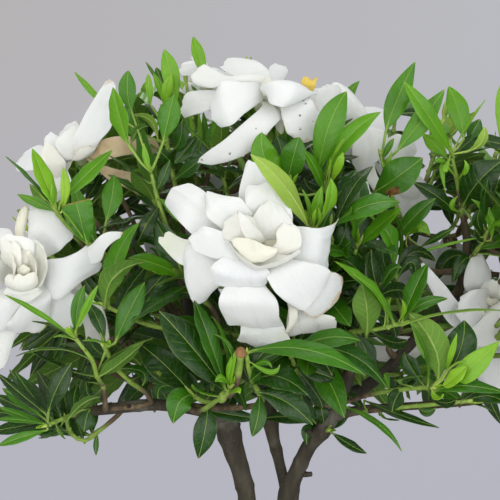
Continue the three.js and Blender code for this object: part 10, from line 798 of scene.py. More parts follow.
[-47.1,74.8,328.7,-57.1,87.3,331.1,-67.5,100.6,331,10.3,0.14,-0.03,0.99,0.22,0.41,0,0,-47.1,74.8,328.7],
[-47.1,74.8,328.7,-53.6,67.4,340.6,-60.5,60.7,351.9,11.1,-0.02,0.7,0.72,0.09,0.39,0,0,-47.1,74.8,328.7],
[-45.9,72.4,322.6,-56.9,73.7,329.3,-66.1,76.7,335.4,10.1,0.13,0.4,0.91,0.09,0.67,0,0,-45.9,72.4,322.6],
[-45.9,72.4,322.6,-35.2,75.7,324.5,-26.3,79.3,324.2,11,-0.38,0.31,0.87,0.15,0.63,0,0,-45.9,72.4,322.6],
[-44.6,70.1,317.3,-53.8,58.7,321.5,-63.8,47.7,325.4,10.9,-0.14,0.42,0.9,0.1,0.6,0,0,-44.6,70.1,317.3],
[-44.6,70.1,317.3,-38.4,80.6,309,-31.9,90.3,298.3,10.4,-0.2,0.31,0.93,0.11,0.72,0,0,-44.6,70.1,317.3],
[-48.5,77.3,335.3,-48.7,79.6,339.8,-49,81.9,344.4,3.2,0.97,0.06,0.25,0.16,0.15,0,0,-48.5,77.3,335.3],
[-44.2,29.4,344.6,-59.9,40.1,345.1,-76.1,51,344.9,13.4,0.02,-0.01,1,0.21,0.5,0,0,-44.2,29.4,344.6],
[-43,28.7,338.3,-30.1,40.5,343.5,-17.6,52.7,345.6,11.8,-0.28,0,0.96,0.18,0.54,0,0,-43,28.7,338.3],
[-43,28.7,338.3,-58,24.2,336.5,-73.3,20,332.8,9.9,-0.12,0.12,0.99,0.11,0.57,0,0,-43,28.7,338.3],
[-70.8,26.2,340.9,-66.9,38.6,352.5,-63.5,51.3,360.9,11.4,-0.5,-0.33,0.8,0.13,0.43,0,0,-70.8,26.2,340.9],
[-68.9,25.5,333.8,-76.8,43.9,334.8,-85.4,62.7,335.2,12.7,-0.18,-0.12,0.98,0.21,0.5,0,0,-68.9,25.5,333.8],
[-68.9,25.5,333.8,-68.7,8.5,343.9,-69.2,-8.2,354.1,13.4,-0.29,0.36,0.89,0.23,0.56,0,0,-68.9,25.5,333.8],
[-66.9,24.7,327.4,-85.2,25.6,323.5,-104.1,26.7,316.9,13.3,-0.15,0.09,0.98,0.14,0.55,0,0,-66.9,24.7,327.4],
[-66.9,24.7,327.4,-51.6,28.1,332.8,-36.8,31.7,337.2,10.7,-0.26,0.09,0.96,0.11,0.57,0,0,-66.9,24.7,327.4],
[-72.9,27,348.5,-74.4,28,353.2,-76,29.1,357.8,3.2,0.36,0.93,0.01,0.16,0.15,0,0,-72.9,27,348.5],
[-87.3,43,330.3,-86.2,46.5,344.2,-85.8,50.4,355.7,8.7,-0.92,0.08,0.38,0.11,0.29,0,0,-87.3,43,330.3],
[-87.3,43,330.3,-92.6,53.5,337.7,-98.7,64.4,342.5,9.2,-0.2,-0.5,0.84,0.17,0.34,0,0,-87.3,43,330.3],
[-84.1,41.2,322.2,-84.4,52.8,334.9,-86.9,65,345.6,11.2,-0.66,-0.27,0.7,0.19,0.49,0,0,-84.1,41.2,322.2],
[-84.1,41.2,322.2,-84.6,33.6,335.3,-85.7,26.3,348.5,11.3,-0.48,0.6,0.64,0.19,0.54,0,0,-84.1,41.2,322.2],
[-81.1,39.5,314.6,-88.2,57.4,312.8,-96.2,75.8,309.1,13.8,-0.27,-0.04,0.96,0.16,0.67,0,0,-81.1,39.5,314.6],
[-81.1,39.5,314.6,-77.4,28.9,330.3,-74.6,18.8,343.9,13.3,-0.5,0.47,0.73,0.21,0.6,0,0,-81.1,39.5,314.6],
[-78,37.8,307.7,-95.1,36.6,302.9,-113.1,35.9,294.2,11.4,-0.21,0.21,0.96,0.16,0.79,0,0,-78,37.8,307.7],
[-78,37.8,307.7,-65.3,40.4,318.5,-53.5,43.4,328.8,12.1,-0.51,0.18,0.84,0.17,0.71,0,0,-78,37.8,307.7],
[-25,75,346.9,-31,79.1,356.8,-37.2,83.7,366,7.9,0.73,0.22,0.65,0.14,0.29,0,0,-25,75,346.9],
[-25,75,346.9,-24.6,73.4,358.5,-24.3,72.5,368.1,7.9,-0.26,0.86,0.44,0.22,0.19,0,0,-25,75,346.9],
[-25,75,346.9,-22.2,84.2,356.1,-19.6,94,363.9,9.2,-0.52,-0.34,0.78,0.13,0.2,0,0,-25,75,346.9],
[-24.2,72.4,339.1,-33.2,68.9,352.7,-42.4,66.1,364.7,10.4,0.31,0.67,0.67,0.19,0.46,0,0,-24.2,72.4,339.1],
[-24.2,72.4,339.1,-11.7,77.3,350.6,0.6,82.9,360.6,12.2,-0.56,0.24,0.79,0.1,0.4,0,0,-24.2,72.4,339.1],
[-24.2,72.4,339.1,-32.6,83.5,342.6,-41.1,95.2,345,10.5,0.22,-0.06,0.97,0.15,0.49,0,0,-24.2,72.4,339.1],
[-23.5,70,331.9,-16.3,59.3,342.4,-9.4,49.4,353.7,11.1,-0.19,0.46,0.87,0.19,0.52,0,0,-23.5,70,331.9],
[-23.5,70,331.9,-31.2,87.3,331.7,-39.1,105.4,330.9,13.2,0.04,0.02,1,0.15,0.51,0,0,-23.5,70,331.9],
[-22.7,67.5,325.3,-6,74.4,327.4,10.5,82,328,13,-0.2,0.27,0.94,0.2,0.71,0,0,-22.7,67.5,325.3],
[-22.7,67.5,325.3,-38.6,64.7,326.3,-54.7,62.5,327.9,11.5,-0.01,0.32,0.95,0.2,0.7,0,0,-22.7,67.5,325.3],
[-90.8,58.7,313.1,-92.2,67.8,321.2,-94.5,77.4,329.5,8.8,-0.7,-0.38,0.6,0.18,0.24,0,0,-90.8,58.7,313.1],
[-90.8,58.7,313.1,-103.4,63.3,317.7,-116.9,68.7,322.4,9.9,0.31,0.18,0.94,0.2,0.27,0,0,-90.8,58.7,313.1],
[-90.8,58.7,313.1,-95.1,58.6,324.6,-100.3,59.2,335.1,8.3,-0.46,0.87,0.17,0.18,0.37,0,0,-90.8,58.7,313.1],
[-87.3,56,306.3,-100.2,67,303.1,-114.1,78.7,300.4,12.5,-0.12,0.06,0.99,0.16,0.5,0,0,-87.3,56,306.3],
[-87.3,56,306.3,-100.5,49.2,313.5,-114.6,43,318.1,10.5,-0.07,0.64,0.76,0.14,0.53,0,0,-87.3,56,306.3],
[-87.3,56,306.3,-85.3,59.6,320.5,-85.6,62.9,334.7,11.2,-0.83,0.23,0.51,0.18,0.45,0,0,-87.3,56,306.3],
[-84.1,53.6,300,-99.4,49.7,299.3,-115.6,46.5,297,11.4,-0.13,0.42,0.9,0.11,0.64,0,0,-84.1,53.6,300],
[-84.1,53.6,300,-74.7,62.1,305.1,-66.4,70.8,306.2,10.7,-0.63,0.18,0.76,0.19,0.6,0,0,-84.1,53.6,300],
[-80.9,51.1,294.3,-90.5,35.9,298.7,-101.3,21.5,299.2,13.3,-0.37,0.4,0.84,0.13,0.78,0,0,-80.9,51.1,294.3],
[-80.9,51.1,294.3,-80.5,65.8,293.5,-82.3,81.3,293.2,9.3,-0.45,0.16,0.88,0.13,0.67,0,0,-80.9,51.1,294.3],
[-90.8,58.7,313.1,-93.4,60.7,316.9,-96.1,62.6,320.6,3.2,0.77,0.6,0.22,0.16,0.15,0,0,-90.8,58.7,313.1],
[-40.7,89.8,316.1,-42.9,90,326.2,-44.9,89.8,335.3,8.8,-0.03,0.99,0.11,0.1,0.29,0,0,-40.7,89.8,316.1],
[-38.3,83.6,304.9,-51.3,77,316.6,-65.8,72.8,323.8,13,-0.03,0.68,0.74,0.1,0.64,0,0,-38.3,83.6,304.9],
[-37.1,80.5,300.2,-28,72.3,310.2,-19.4,65.1,317.2,10.4,-0.2,0.49,0.85,0.17,0.64,0,0,-37.1,80.5,300.2],
[-40.7,89.8,316.1,-41.6,92.9,319.9,-42.4,96,323.8,3.2,0.96,0.05,0.26,0.16,0.15,0,0,-40.7,89.8,316.1],
[-66.1,85.8,306.9,-69.1,98.3,310.9,-72.8,111.8,313.6,8.1,-0.3,-0.28,0.91,0.18,0.36,0,0,-66.1,85.8,306.9],
[-66.1,85.8,306.9,-76.1,89.6,314.1,-86.7,94.3,319.2,8.5,0.48,0.6,0.64,0.1,0.39,0,0,-66.1,85.8,306.9],
[-66.1,85.8,306.9,-66.5,90.5,320.5,-67.6,96.3,334.2,10.4,-0.74,0.66,0.1,0.09,0.35,0,0,-66.1,85.8,306.9],
[-63.8,82.3,301.1,-79.5,90.5,301.1,-96.5,98.5,300.3,12.6,0.06,0.24,0.97,0.11,0.57,0,0,-63.8,82.3,301.1],
[-63.8,82.3,301.1,-73.5,83,314.6,-84.1,87,329.4,10.7,-0.05,0.81,0.58,0.22,0.48,0,0,-63.8,82.3,301.1],
[-59.6,75.7,291.1,-59.8,65.6,305.5,-60.9,56.7,321.4,9.8,-0.32,0.53,0.79,0.16,0.81,0,0,-59.6,75.7,291.1],
[-66.1,85.8,306.9,-69.7,92.7,310.3,-74,101.7,313.8,3.2,0.91,0.37,0.19,0.16,0.15,0,0,-66.1,85.8,306.9],
[-16.8,39.9,356.4,-29.2,45.3,362.4,-41.7,50.8,366.6,10.1,0.33,0,0.94,0.12,0.43,0,0,-16.8,39.9,356.4],
[-16.3,38.9,349.3,-5.6,49.5,354,5,60.3,358.4,11.4,-0.27,-0.04,0.96,0.14,0.62,0,0,-16.3,38.9,349.3],
[-15.9,37.8,342.8,-15,18.9,349.1,-16.8,-0.8,354.6,11.4,-0.08,0.18,0.98,0.14,0.63,0,0,-15.9,37.8,342.8],
[-15.9,37.8,342.8,-25.4,53.3,343,-35.1,69.2,340.2,13.1,0.02,0.01,1,0.08,0.77,0,0,-15.9,37.8,342.8],
[-98.5,25.9,313.1,-97,16.9,326.4,-96.5,8.1,340.1,11.5,-0.62,0.43,0.66,0.14,0.59,0,0,-98.5,25.9,313.1],
[-98.5,25.9,313.1,-104.4,39.9,321.6,-111.3,54.2,327.7,11.5,-0.4,-0.47,0.79,0.23,0.61,0,0,-98.5,25.9,313.1],
[-95.6,25.2,307.5,-101.8,13,315.2,-109,1,322.3,9.9,-0.36,0.5,0.79,0.09,0.66,0,0,-95.6,25.2,307.5],
[-95.6,25.2,307.5,-98.5,44.8,308.3,-102.7,64.8,308,13.3,-0.44,-0.09,0.9,0.18,0.71,0,0,-95.6,25.2,307.5],
[-92.6,24.3,302.6,-83.3,20.7,313,-75,17.3,322.8,10.1,-0.55,0.16,0.82,0.23,0.7,0,0,-92.6,24.3,302.6],
[-92.6,24.3,302.6,-105.8,30.6,293.5,-120.1,37.2,280.8,11.6,-0.4,0.1,0.91,0.13,0.72,0,0,-92.6,24.3,302.6],
[-101.6,26.8,319.3,-104.7,27,323.2,-107.8,27.3,327.2,3.2,0.3,0.95,0.03,0.16,0.15,0,0,-101.6,26.8,319.3],
[-8.4,-3.6,344.6,-20.9,-6.5,351.6,-33.4,-9.6,356,9.9,0.37,0.04,0.93,0.13,0.44,0,0,-8.4,-3.6,344.6],
[-8.4,-3.6,344.6,-10.2,10.5,354.5,-12.2,24.5,362.1,12.2,0,-0.44,0.9,0.1,0.46,0,0,-8.4,-3.6,344.6],
[-8,-3.2,336.8,-9.2,-19.1,340.4,-10.5,-35,341.1,10.7,-0.03,0.17,0.99,0.14,0.66,0,0,-8,-3.2,336.8],
[-8,-3.2,336.8,-7.2,14.6,346.1,-6.6,32.2,354.7,12.3,-0.06,-0.35,0.93,0.19,0.52,0,0,-8,-3.2,336.8],
[-7.7,-2.8,329.6,8.3,-6.7,332.7,24.1,-10.6,334.4,10.5,-0.15,-0.02,0.99,0.18,0.71,0,0,-7.7,-2.8,329.6],
[-7.7,-2.8,329.6,-21.5,3.5,330.8,-35.5,9.8,332.3,11.2,0.03,-0.08,1,0.14,0.64,0,0,-7.7,-2.8,329.6],
[-8.8,-4,353,-8.7,-4.2,358,-8.7,-4.3,363,3.2,-0.91,-0.42,-0.08,0.16,0.15,0,0,-8.8,-4,353],
[-82.6,52.5,296.9,-76.4,56,302.4,-69.6,56.8,306.5,6.1,-0.26,-1,0.13,0.15,0.89,0,0,-82.6,52.5,296.9],
[-75.8,36.6,303.4,-68.3,41.4,300.2,-61.9,43.9,295.9,5.9,0.04,-1,0.35,0.15,0.95,0,0,-75.8,36.6,303.4],
[-82.7,40.5,318.7,-90.2,41.9,314.5,-97.3,48.5,309.9,5.9,-0.27,-1,0.46,0.15,0.88,0,0,-82.7,40.5,318.7],
[-94.2,24.8,304.9,-90,27.4,311.8,-86.7,31.8,318.3,5.8,0.23,-1,0.25,0.15,0.89,0,0,-94.2,24.8,304.9],
[-65.9,51.7,333.9,-66.4,55.8,342.5,-65.6,60.7,350.4,6,-0.08,-1,0.57,0.15,0.87,0,0,-65.9,51.7,333.9],
[-47.6,75.8,331.4,-56.2,80.2,334.3,-63.9,86.4,337.9,6.2,0.26,-1,0.34,0.15,0.87,0,0,-47.6,75.8,331.4],
]),
"leaves_back_2":(0,[[[-16.5,62.8,253,1.38],[-12.2,66.6,252.9,1.33],[-7.4,70.1,252.6,1.29],[-3,73.6,252.7,1.24],[0.2,77.8,253.3,1.2],[1.4,83.2,254.9,1.15],[1.1,95.5,259.5,1],[0.8,107.7,268.1,0.7]],[[0.2,77.8,253.3,1.15],[3.5,77.5,249.9,1.15],[7.1,76.5,246.2,1.15],[10.5,75.8,242.9,1.15],[13,76.4,240.7,1.15],[14.3,79.4,240.3,1.15],[15.7,95.2,243.4,1],[17.2,111,250.5,0.7]],[[10.5,75.8,242.9,1.15],[6.7,73.9,240.9,1.15],[2.7,71.1,238.9,1.15],[-1.1,68.9,237.1,1.15],[-4,68.3,235.9,1.15],[-5.4,70.7,235.6,1.15],[-6.9,86.6,236.5,1],[-8.4,102.4,241.5,0.7]],[[14.7,83.4,241.1,1.15],[16.5,82.7,245,1.15],[18.5,81.3,249.2,1.15],[20.4,80.3,253.4,1.15],[21.9,80.6,257,1.15],[23,83.3,259.8,1.15],[25.1,96.6,266.9,1],[27.3,109.8,277.9,0.7]],[[-5.9,76,235.9,1.15],[-8.8,75.4,237.8,1.15],[-12,74.2,239.9,1.15],[-14.9,73.4,241.9,1.15],[-17.3,73.6,243.7,1.15],[-18.7,75.9,245,1.15],[-22,91.3,249.3,1],[-25.2,106.8,257.6,0.7]],[[23.7,87.8,262.2,1.15],[20.3,87.4,264.6,1.15],[16.6,86.4,267.1,1.15],[13.1,85.7,269.6,1.15],[10.6,86.2,272.1,1.15],[9.8,88.5,274.8,1.15],[10.3,99,282.6,1],[10.8,109.5,294.3,0.7]],[[1.2,91.4,258,1.15],[-2.1,90.3,259,1.15],[-5.8,88.6,260,1.15],[-9.2,87.3,261.1,1.15],[-11.8,87.1,262.4,1.15],[-13,89,264.2,1.15],[-14.9,102.2,272.4,1],[-16.7,115.3,284.6,0.7]],[[-4,68.3,235.9,1.15],[-1.7,65.6,233.8,1.15],[0.9,62,231.6,1.15],[3.3,58.9,229.6,1.15],[5,57.6,228,1.15],[5.8,59.3,227,1.15],[6.1,75.8,224.2,1],[6.5,92.2,225.3,0.7]],[[5.9,67.6,225.6,1.15],[10.2,67.5,227.1,1.15],[14.9,66.8,229,1.15],[19.2,66.5,230.8,1.15],[22.7,67.4,232.1,1.15],[24.6,70.6,232.4,1.15],[27.4,84,231.8,1],[30.2,97.3,235.1,0.7]],[[24.6,70.6,232.4,1.15],[26.7,70.9,235.6,1.15],[28.9,70.7,239.1,1.15],[30.9,70.7,242.4,1.15],[32.7,71.7,245.3,1.15],[34.1,74.5,247.2,1.15],[38.5,89.9,252.4,1],[42.9,105.2,261.5,0.7]],[[3.3,58.9,229.6,1.15],[5.3,53,235.5,1.15],[7.3,45.5,241.6,1.15],[9.3,39,247.7,1.15],[11.2,35.7,253.7,1.15],[13.2,38.1,259.4,1.15],[16,47,267.6,1],[18.9,55.9,279.9,0.7]],[[-5.4,70.7,235.6,1.15],[-9.3,68.8,234,1.15],[-13.5,66.1,232.4,1.15],[-17.4,63.9,231,1.15],[-20.6,63.3,229.9,1.15],[-22.7,65.8,229.2,1.15],[-26.8,80.1,227.7,1],[-31,94.5,230.3,0.7]],[[-13,89,264.2,1.15],[-15.7,86.8,267.1,1.15],[-18.5,83.8,269.9,1.15],[-21.2,81.3,272.9,1.15],[-23.4,80.4,275.9,1.15],[-24.9,82.2,279,1.15],[-27.4,91.9,287.6,1],[-29.9,101.7,300.1,0.7]],[[-20.3,83.6,247.2,1.15],[-23.5,82.7,248.9,1.15],[-27,81.3,250.8,1.15],[-30.2,80.1,252.7,1.15],[-32.9,80.1,254.5,1.15],[-34.7,82.3,256.3,1.15],[-39.2,95.8,263.1,1],[-43.8,109.2,274,0.7]],[[9.3,39,247.7,1.15],[7.8,34.4,247.3,1.15],[6.3,28.7,246.9,1.15],[4.8,23.7,246.7,1.15],[3.6,21.1,246.6,1.15],[2.9,22.6,246.8,1.15],[1.8,34.7,247.8,1],[0.7,46.7,252.9,0.7]],[[36.3,82.2,249.8,1.15],[38.1,81.3,253.5,1.15],[39.9,79.8,257.5,1.15],[41.7,78.6,261.4,1.15],[43.4,78.7,265,1.15],[44.9,81.1,268,1.15],[49.1,92.5,276.1,1],[53.3,104,288.3,0.7]]],[
[0.8,107.7,268.1,5.2,116.9,273.5,9.5,127.4,278.5,8.4,-0.84,0.53,0.14,0.08,0.44,0,0,0.8,107.7,268.1],
[0.8,107.7,268.1,1.3,119.8,266.8,1.8,133.3,264.8,8.2,-0.1,0.09,0.99,0.2,0.46,0,0,0.8,107.7,268.1],
[0.8,107.7,268.1,-4.4,118.9,275.7,-9.7,131.7,280.4,10.2,0.78,0.63,-0.01,0.16,0.45,0,0,0.8,107.7,268.1],
[0.9,102.6,264.5,11.9,113.2,261.6,22.7,125.2,257.3,9.5,-0.43,0.56,0.71,0.16,0.67,0,0,0.9,102.6,264.5],
[0.9,102.6,264.5,-10,116.5,260.9,-20.9,132.2,256.2,11.6,0.43,0.46,0.78,0.12,0.64,0,0,0.9,102.6,264.5],
[0.9,102.6,264.5,-0.2,109.5,278.5,-1.4,118,291.3,11.5,0.04,1,-0.08,0.14,0.57,0,0,0.9,102.6,264.5],
[1.1,97.8,261.1,2.5,109.5,246.7,4,123.1,228.3,12.2,-0.04,0.62,0.78,0.19,0.83,0,0,1.1,97.8,261.1],
[1.1,97.8,261.1,5.4,98.2,278.7,9.7,100.6,293.7,12.6,-0.1,0.94,0.34,0.09,0.76,0,0,1.1,97.8,261.1],
[1.2,92.9,258.6,-13.2,93.7,255.4,-27.7,96.1,250.6,10.1,-0.02,0.81,0.58,0.16,0.86,0,0,1.2,92.9,258.6],
[1.2,92.9,258.6,19.9,93.3,260.8,38.6,95.8,258.8,11.9,-0.05,0.81,0.58,0.13,0.89,0,0,1.2,92.9,258.6],
[17.2,111,250.5,20.3,122.8,257.5,23.6,136.2,263.7,10,-0.37,0.72,-0.58,0.18,0.43,0,0,17.2,111,250.5],
[17.2,111,250.5,20.4,122.1,247.7,23.8,134.5,242.9,8.1,-0.29,0.25,0.92,0.1,0.3,0,0,17.2,111,250.5],
[17.2,111,250.5,11.1,123.9,251.4,5.1,138.4,251.3,9.8,0.8,0.37,0.46,0.09,0.41,0,0,17.2,111,250.5],
[16.6,104.5,247.6,30.8,112.8,244.5,45.1,122.8,239,12,-0.38,0.75,0.54,0.11,0.62,0,0,16.6,104.5,247.6],
[16.6,104.5,247.6,10.8,114.3,237.8,5.2,125.5,225.2,10.1,0.28,0.61,0.74,0.15,0.51,0,0,16.6,104.5,247.6],
[16.6,104.5,247.6,20,115.8,262.2,26.3,129,274.1,11.3,0.28,0.93,-0.25,0.1,0.51,0,0,16.6,104.5,247.6],
[16,98.3,244.8,24.2,105.1,229.7,32.5,113.9,212.2,10.9,-0.03,0.78,0.63,0.09,0.76,0,0,16,98.3,244.8],
[16,98.3,244.8,10,103,261.1,4.1,109.9,276.2,11.2,0.22,0.96,0.16,0.18,0.7,0,0,16,98.3,244.8],
[15.5,92,242.8,4,98.4,229.5,-7.2,106.9,213.2,12.3,0.18,0.82,0.54,0.11,0.75,0,0,15.5,92,242.8],
[15.5,92,242.8,32.4,88,251.6,50.4,83.8,257.9,11.5,-0.07,0.94,0.35,0.16,0.84,0,0,15.5,92,242.8],
[17.2,111,250.5,17.7,116,251.2,18.3,120.9,251.8,3.2,0.97,-0.05,-0.25,0.16,0.15,0,0,17.2,111,250.5],
[-8.4,102.4,241.5,-2.7,113.5,244,2.8,126.2,242.9,8.6,-0.86,0.5,0.08,0.15,0.41,0,0,-8.4,102.4,241.5],
[-8.4,102.4,241.5,-11.1,112.4,235.9,-13.9,123.9,227.2,8.3,0.16,0.4,0.9,0.13,0.32,0,0,-8.4,102.4,241.5],
[-8.4,102.4,241.5,-12.9,115,245.9,-17.5,129.3,248.9,9.3,0.66,0.57,-0.49,0.18,0.31,0,0,-8.4,102.4,241.5],
[-7.8,95.9,239.5,-0.3,107.8,230.7,7,121.5,218.2,11.7,-0.45,0.57,0.69,0.09,0.55,0,0,-7.8,95.9,239.5],
[-7.8,95.9,239.5,-21.4,104.4,240.3,-35.1,114.6,238,11.7,0.5,0.82,0.29,0.21,0.62,0,0,-7.8,95.9,239.5],
[-7.8,95.9,239.5,-4.9,105.9,251.4,-2.1,117.6,259.8,10.8,-0.3,0.92,-0.25,0.22,0.54,0,0,-7.8,95.9,239.5],
[-7.2,89.6,237.5,-13.1,97.6,221.1,-19.1,107.7,201.3,12.6,0.04,0.76,0.65,0.1,0.74,0,0,-7.2,89.6,237.5],
[-7.2,89.6,237.5,-0.4,97.9,252.1,6.2,108.2,263.3,12.5,-0.29,0.96,-0.01,0.16,0.77,0,0,-7.2,89.6,237.5],
[-6.6,83.4,236.3,-21.7,85.5,234.8,-37,89.3,230.8,10,0.12,0.93,0.35,0.16,0.84,0,0,-6.6,83.4,236.3],
[-6.6,83.4,236.3,9.1,85.8,235.8,24.7,90.1,231.8,10.6,-0.14,0.93,0.34,0.24,0.72,0,0,-6.6,83.4,236.3],
[-8.4,102.4,241.5,-8.2,107.4,241.7,-8,112.5,241.9,3.2,0.96,0.09,0.26,0.16,0.15,0,0,-8.4,102.4,241.5],
[27.3,109.8,277.9,23.8,118.7,286.2,20.6,129,291.8,7.6,0.81,0.58,0.08,0.11,0.18,0,0,27.3,109.8,277.9],
[27.3,109.8,277.9,33.2,117.7,285.7,39.3,126.9,292.8,8.6,-0.64,0.77,0.07,0.11,0.32,0,0,27.3,109.8,277.9],
[27.3,109.8,277.9,27.6,122.7,278.6,28.1,136.5,278.9,9.1,0.17,0.03,0.98,0.2,0.28,0,0,27.3,109.8,277.9],
[26.4,104.3,273.3,32,105.5,288.6,37.9,108.3,303.5,12.1,-0.03,0.96,0.28,0.15,0.5,0,0,26.4,104.3,273.3],
[26.4,104.3,273.3,37.7,114.1,271.1,49.3,125.3,267.7,10.1,-0.33,0.5,0.8,0.16,0.43,0,0,26.4,104.3,273.3],
[26.4,104.3,273.3,15.2,118.2,273.8,4.2,133.7,274.2,10.8,0.56,0.44,0.71,0.21,0.52,0,0,26.4,104.3,273.3],
[25.6,99.1,269,42.9,100,273.9,60.5,102.8,277.8,12.9,-0.13,0.78,0.61,0.14,0.59,0,0,25.6,99.1,269],
[25.6,99.1,269,14.9,111.9,268.2,5.8,126.9,268.6,11.9,0.4,0.55,0.73,0.09,0.56,0,0,25.6,99.1,269],
[24.7,93.8,265.4,36.2,100.4,257.4,47.9,108.5,246.5,10.3,-0.05,0.65,0.76,0.12,0.6,0,0,24.7,93.8,265.4],
[24.7,93.8,265.4,14.8,92.9,279.4,5.3,93.7,289.9,11,0.24,0.81,0.53,0.09,0.67,0,0,24.7,93.8,265.4],
[-25.2,106.8,257.6,-31.5,118.8,257.3,-37.7,132.7,255.5,9.8,0.33,0.38,0.87,0.2,0.33,0,0,-25.2,106.8,257.6],
[-25.2,106.8,257.6,-29.4,116.5,265.1,-33.9,127.7,270.1,8,0.26,0.83,-0.49,0.11,0.43,0,0,-25.2,106.8,257.6],
[-25.2,106.8,257.6,-23,120.2,257.9,-21.1,135.1,256.8,8.3,-0.72,0.11,0.68,0.18,0.34,0,0,-25.2,106.8,257.6],
[-23.9,100.4,254.2,-19.4,109.5,264.3,-15.2,120,273.7,9.9,-0.61,0.79,-0.03,0.11,0.51,0,0,-23.9,100.4,254.2],
[-23.9,100.4,254.2,-24.8,112.2,245.3,-26,125.4,234.2,9,-0.17,0.44,0.88,0.24,0.49,0,0,-23.9,100.4,254.2],
[-22.6,94.3,250.9,-24.2,98.2,268.5,-26.2,104.2,283.1,11.4,-0.19,0.97,0.13,0.23,0.75,0,0,-22.6,94.3,250.9],
[-22.6,94.3,250.9,-25.5,103.5,236.1,-28.9,114.7,216.5,11.1,-0.12,0.67,0.73,0.22,0.71,0,0,-22.6,94.3,250.9],
[-21.3,88.2,248.5,-8.6,93.4,253.4,3.8,100.3,257,9.6,-0.38,0.82,0.44,0.23,0.72,0,0,-21.3,88.2,248.5],
[-21.3,88.2,248.5,-35.9,89.4,244.7,-50.9,92.3,238.5,11.1,0.01,0.84,0.54,0.21,0.73,0,0,-21.3,88.2,248.5],
[-25.2,106.8,257.6,-26,111.6,258.7,-26.7,116.4,259.8,3.2,0.98,0.19,0.08,0.16,0.15,0,0,-25.2,106.8,257.6],
[10.8,109.5,294.3,12.4,122.6,297.6,14.1,136.9,300.4,8.6,-0.15,-0.16,0.98,0.14,0.28,0,0,10.8,109.5,294.3],
[10.8,109.5,294.3,4.4,116.5,302,-1.8,124.7,306.7,8.6,0.73,0.54,0.43,0.19,0.28,0,0,10.8,109.5,294.3],
[10.8,109.5,294.3,14.2,115.9,303.1,17.6,123.4,309.3,8.1,-0.61,0.79,0.03,0.12,0.3,0,0,10.8,109.5,294.3],
[10.6,105.1,289.4,0.1,117.2,292.9,-10.3,130.6,293.9,10.6,0.56,0.34,0.76,0.13,0.54,0,0,10.6,105.1,289.4],
[10.6,105.1,289.4,14,105.4,302.9,18.1,107.7,316,10.5,-0.03,0.92,0.4,0.14,0.45,0,0,10.6,105.1,289.4],
[10.6,105.1,289.4,20.7,116.5,290.7,31,129.1,290.1,9.6,-0.45,0.34,0.82,0.08,0.49,0,0,10.6,105.1,289.4],
[10.4,101,284.7,26.5,112.1,280.2,42.8,125.1,274.3,13.6,-0.21,0.52,0.83,0.23,0.57,0,0,10.4,101,284.7],
[10.2,96.8,280.9,10.4,91.2,291.4,10.7,87.1,296.3,10.5,0.03,0.81,0.59,0.23,0.75,0,0,10.2,96.8,280.9],
[10.2,96.8,280.9,7.7,109.3,270.8,5.4,123.3,260.8,10.4,0.06,0.49,0.87,0.15,0.64,0,0,10.2,96.8,280.9],
[10.8,109.5,294.3,11.9,113.7,297,12.9,117.9,299.8,3.2,0.97,0.1,-0.21,0.16,0.15,0,0,10.8,109.5,294.3],
[-16.7,115.3,284.6,-19.9,126,285.6,-23.3,137.9,285.6,6.9,0.25,0.01,0.97,0.2,0.32,0,0,-16.7,115.3,284.6],
[-16.7,115.3,284.6,-21.7,121.3,293,-26.9,128.5,300,7.9,0.53,0.84,0.08,0.1,0.24,0,0,-16.7,115.3,284.6],
[-16.7,115.3,284.6,-11.8,124.9,289.9,-7.2,135.6,294.9,7.9,-0.81,0.31,0.5,0.13,0.33,0,0,-16.7,115.3,284.6],
[-15.9,109.8,279.5,-30.6,118.2,286.7,-45.5,128.3,290.7,11,0.5,0.66,0.56,0.15,0.39,0,0,-15.9,109.8,279.5],
[-15.9,109.8,279.5,-12.3,113.8,296.1,-8.8,119.4,311,10.6,-0.32,0.93,0.21,0.14,0.47,0,0,-15.9,109.8,279.5],
[-15.9,109.8,279.5,-13.5,123.2,273.8,-11.3,137.9,267,8.9,-0.2,0.31,0.93,0.18,0.43,0,0,-15.9,109.8,279.5],
[-15.2,104.6,274.7,-24.3,97.3,290.1,-35.9,90.4,304,13.5,-0.05,0.86,0.5,0.13,0.64,0,0,-15.2,104.6,274.7],
[-15.2,104.6,274.7,-8.1,118.3,268.8,-1.2,133.5,260.9,10,-0.3,0.41,0.86,0.21,0.58,0,0,-15.2,104.6,274.7],
[-14.5,99.4,270.7,-4.2,98.7,280.5,5.9,99.3,288.3,10.3,-0.23,0.76,0.6,0.21,0.71,0,0,-14.5,99.4,270.7],
[6.5,92.2,225.3,12.3,101.7,223.9,18.2,112.4,220.9,7.3,-0.86,0.5,0.12,0.22,0.58,0,0,6.5,92.2,225.3],
[6.5,92.2,225.3,4.4,102.5,218.9,2.3,114.2,211.1,9.1,0.38,0.42,0.82,0.12,0.43,0,0,6.5,92.2,225.3],
[6.5,92.2,225.3,4.4,107,221.8,3.1,124,213.6,9.5,0.75,0.33,-0.57,0.1,0.59,0,0,6.5,92.2,225.3],
[6.3,85.6,224.9,-5,95.7,221.8,-16.2,107.8,213.3,10.5,0.64,0.76,0.11,0.09,0.77,0,0,6.3,85.6,224.9],
[6.3,85.6,224.9,16.3,94,234.3,27.4,103.1,238.8,9.8,-0.32,0.89,-0.31,0.09,0.64,0,0,6.3,85.6,224.9],
[6.2,79.1,224.4,-8.3,81.6,215,-22.7,86.2,200.6,12.2,0.23,0.94,0.24,0.09,0.86,0,0,6.2,79.1,224.4],
[6,72.6,224.7,-10.3,77.3,231.3,-26.6,84.2,232.4,11.4,0.16,0.98,0.06,0.17,0.96,0,0,6,72.6,224.7],
[6,72.6,224.7,23,72.6,220.4,39.9,74.8,210.4,11.7,-0.06,0.99,0.14,0.13,1,0,0,6,72.6,224.7],
[30.2,97.3,235.1,38.8,106.8,236.7,47.8,117.8,236,9,-0.71,0.7,0.01,0.24,0.33,0,0,30.2,97.3,235.1],
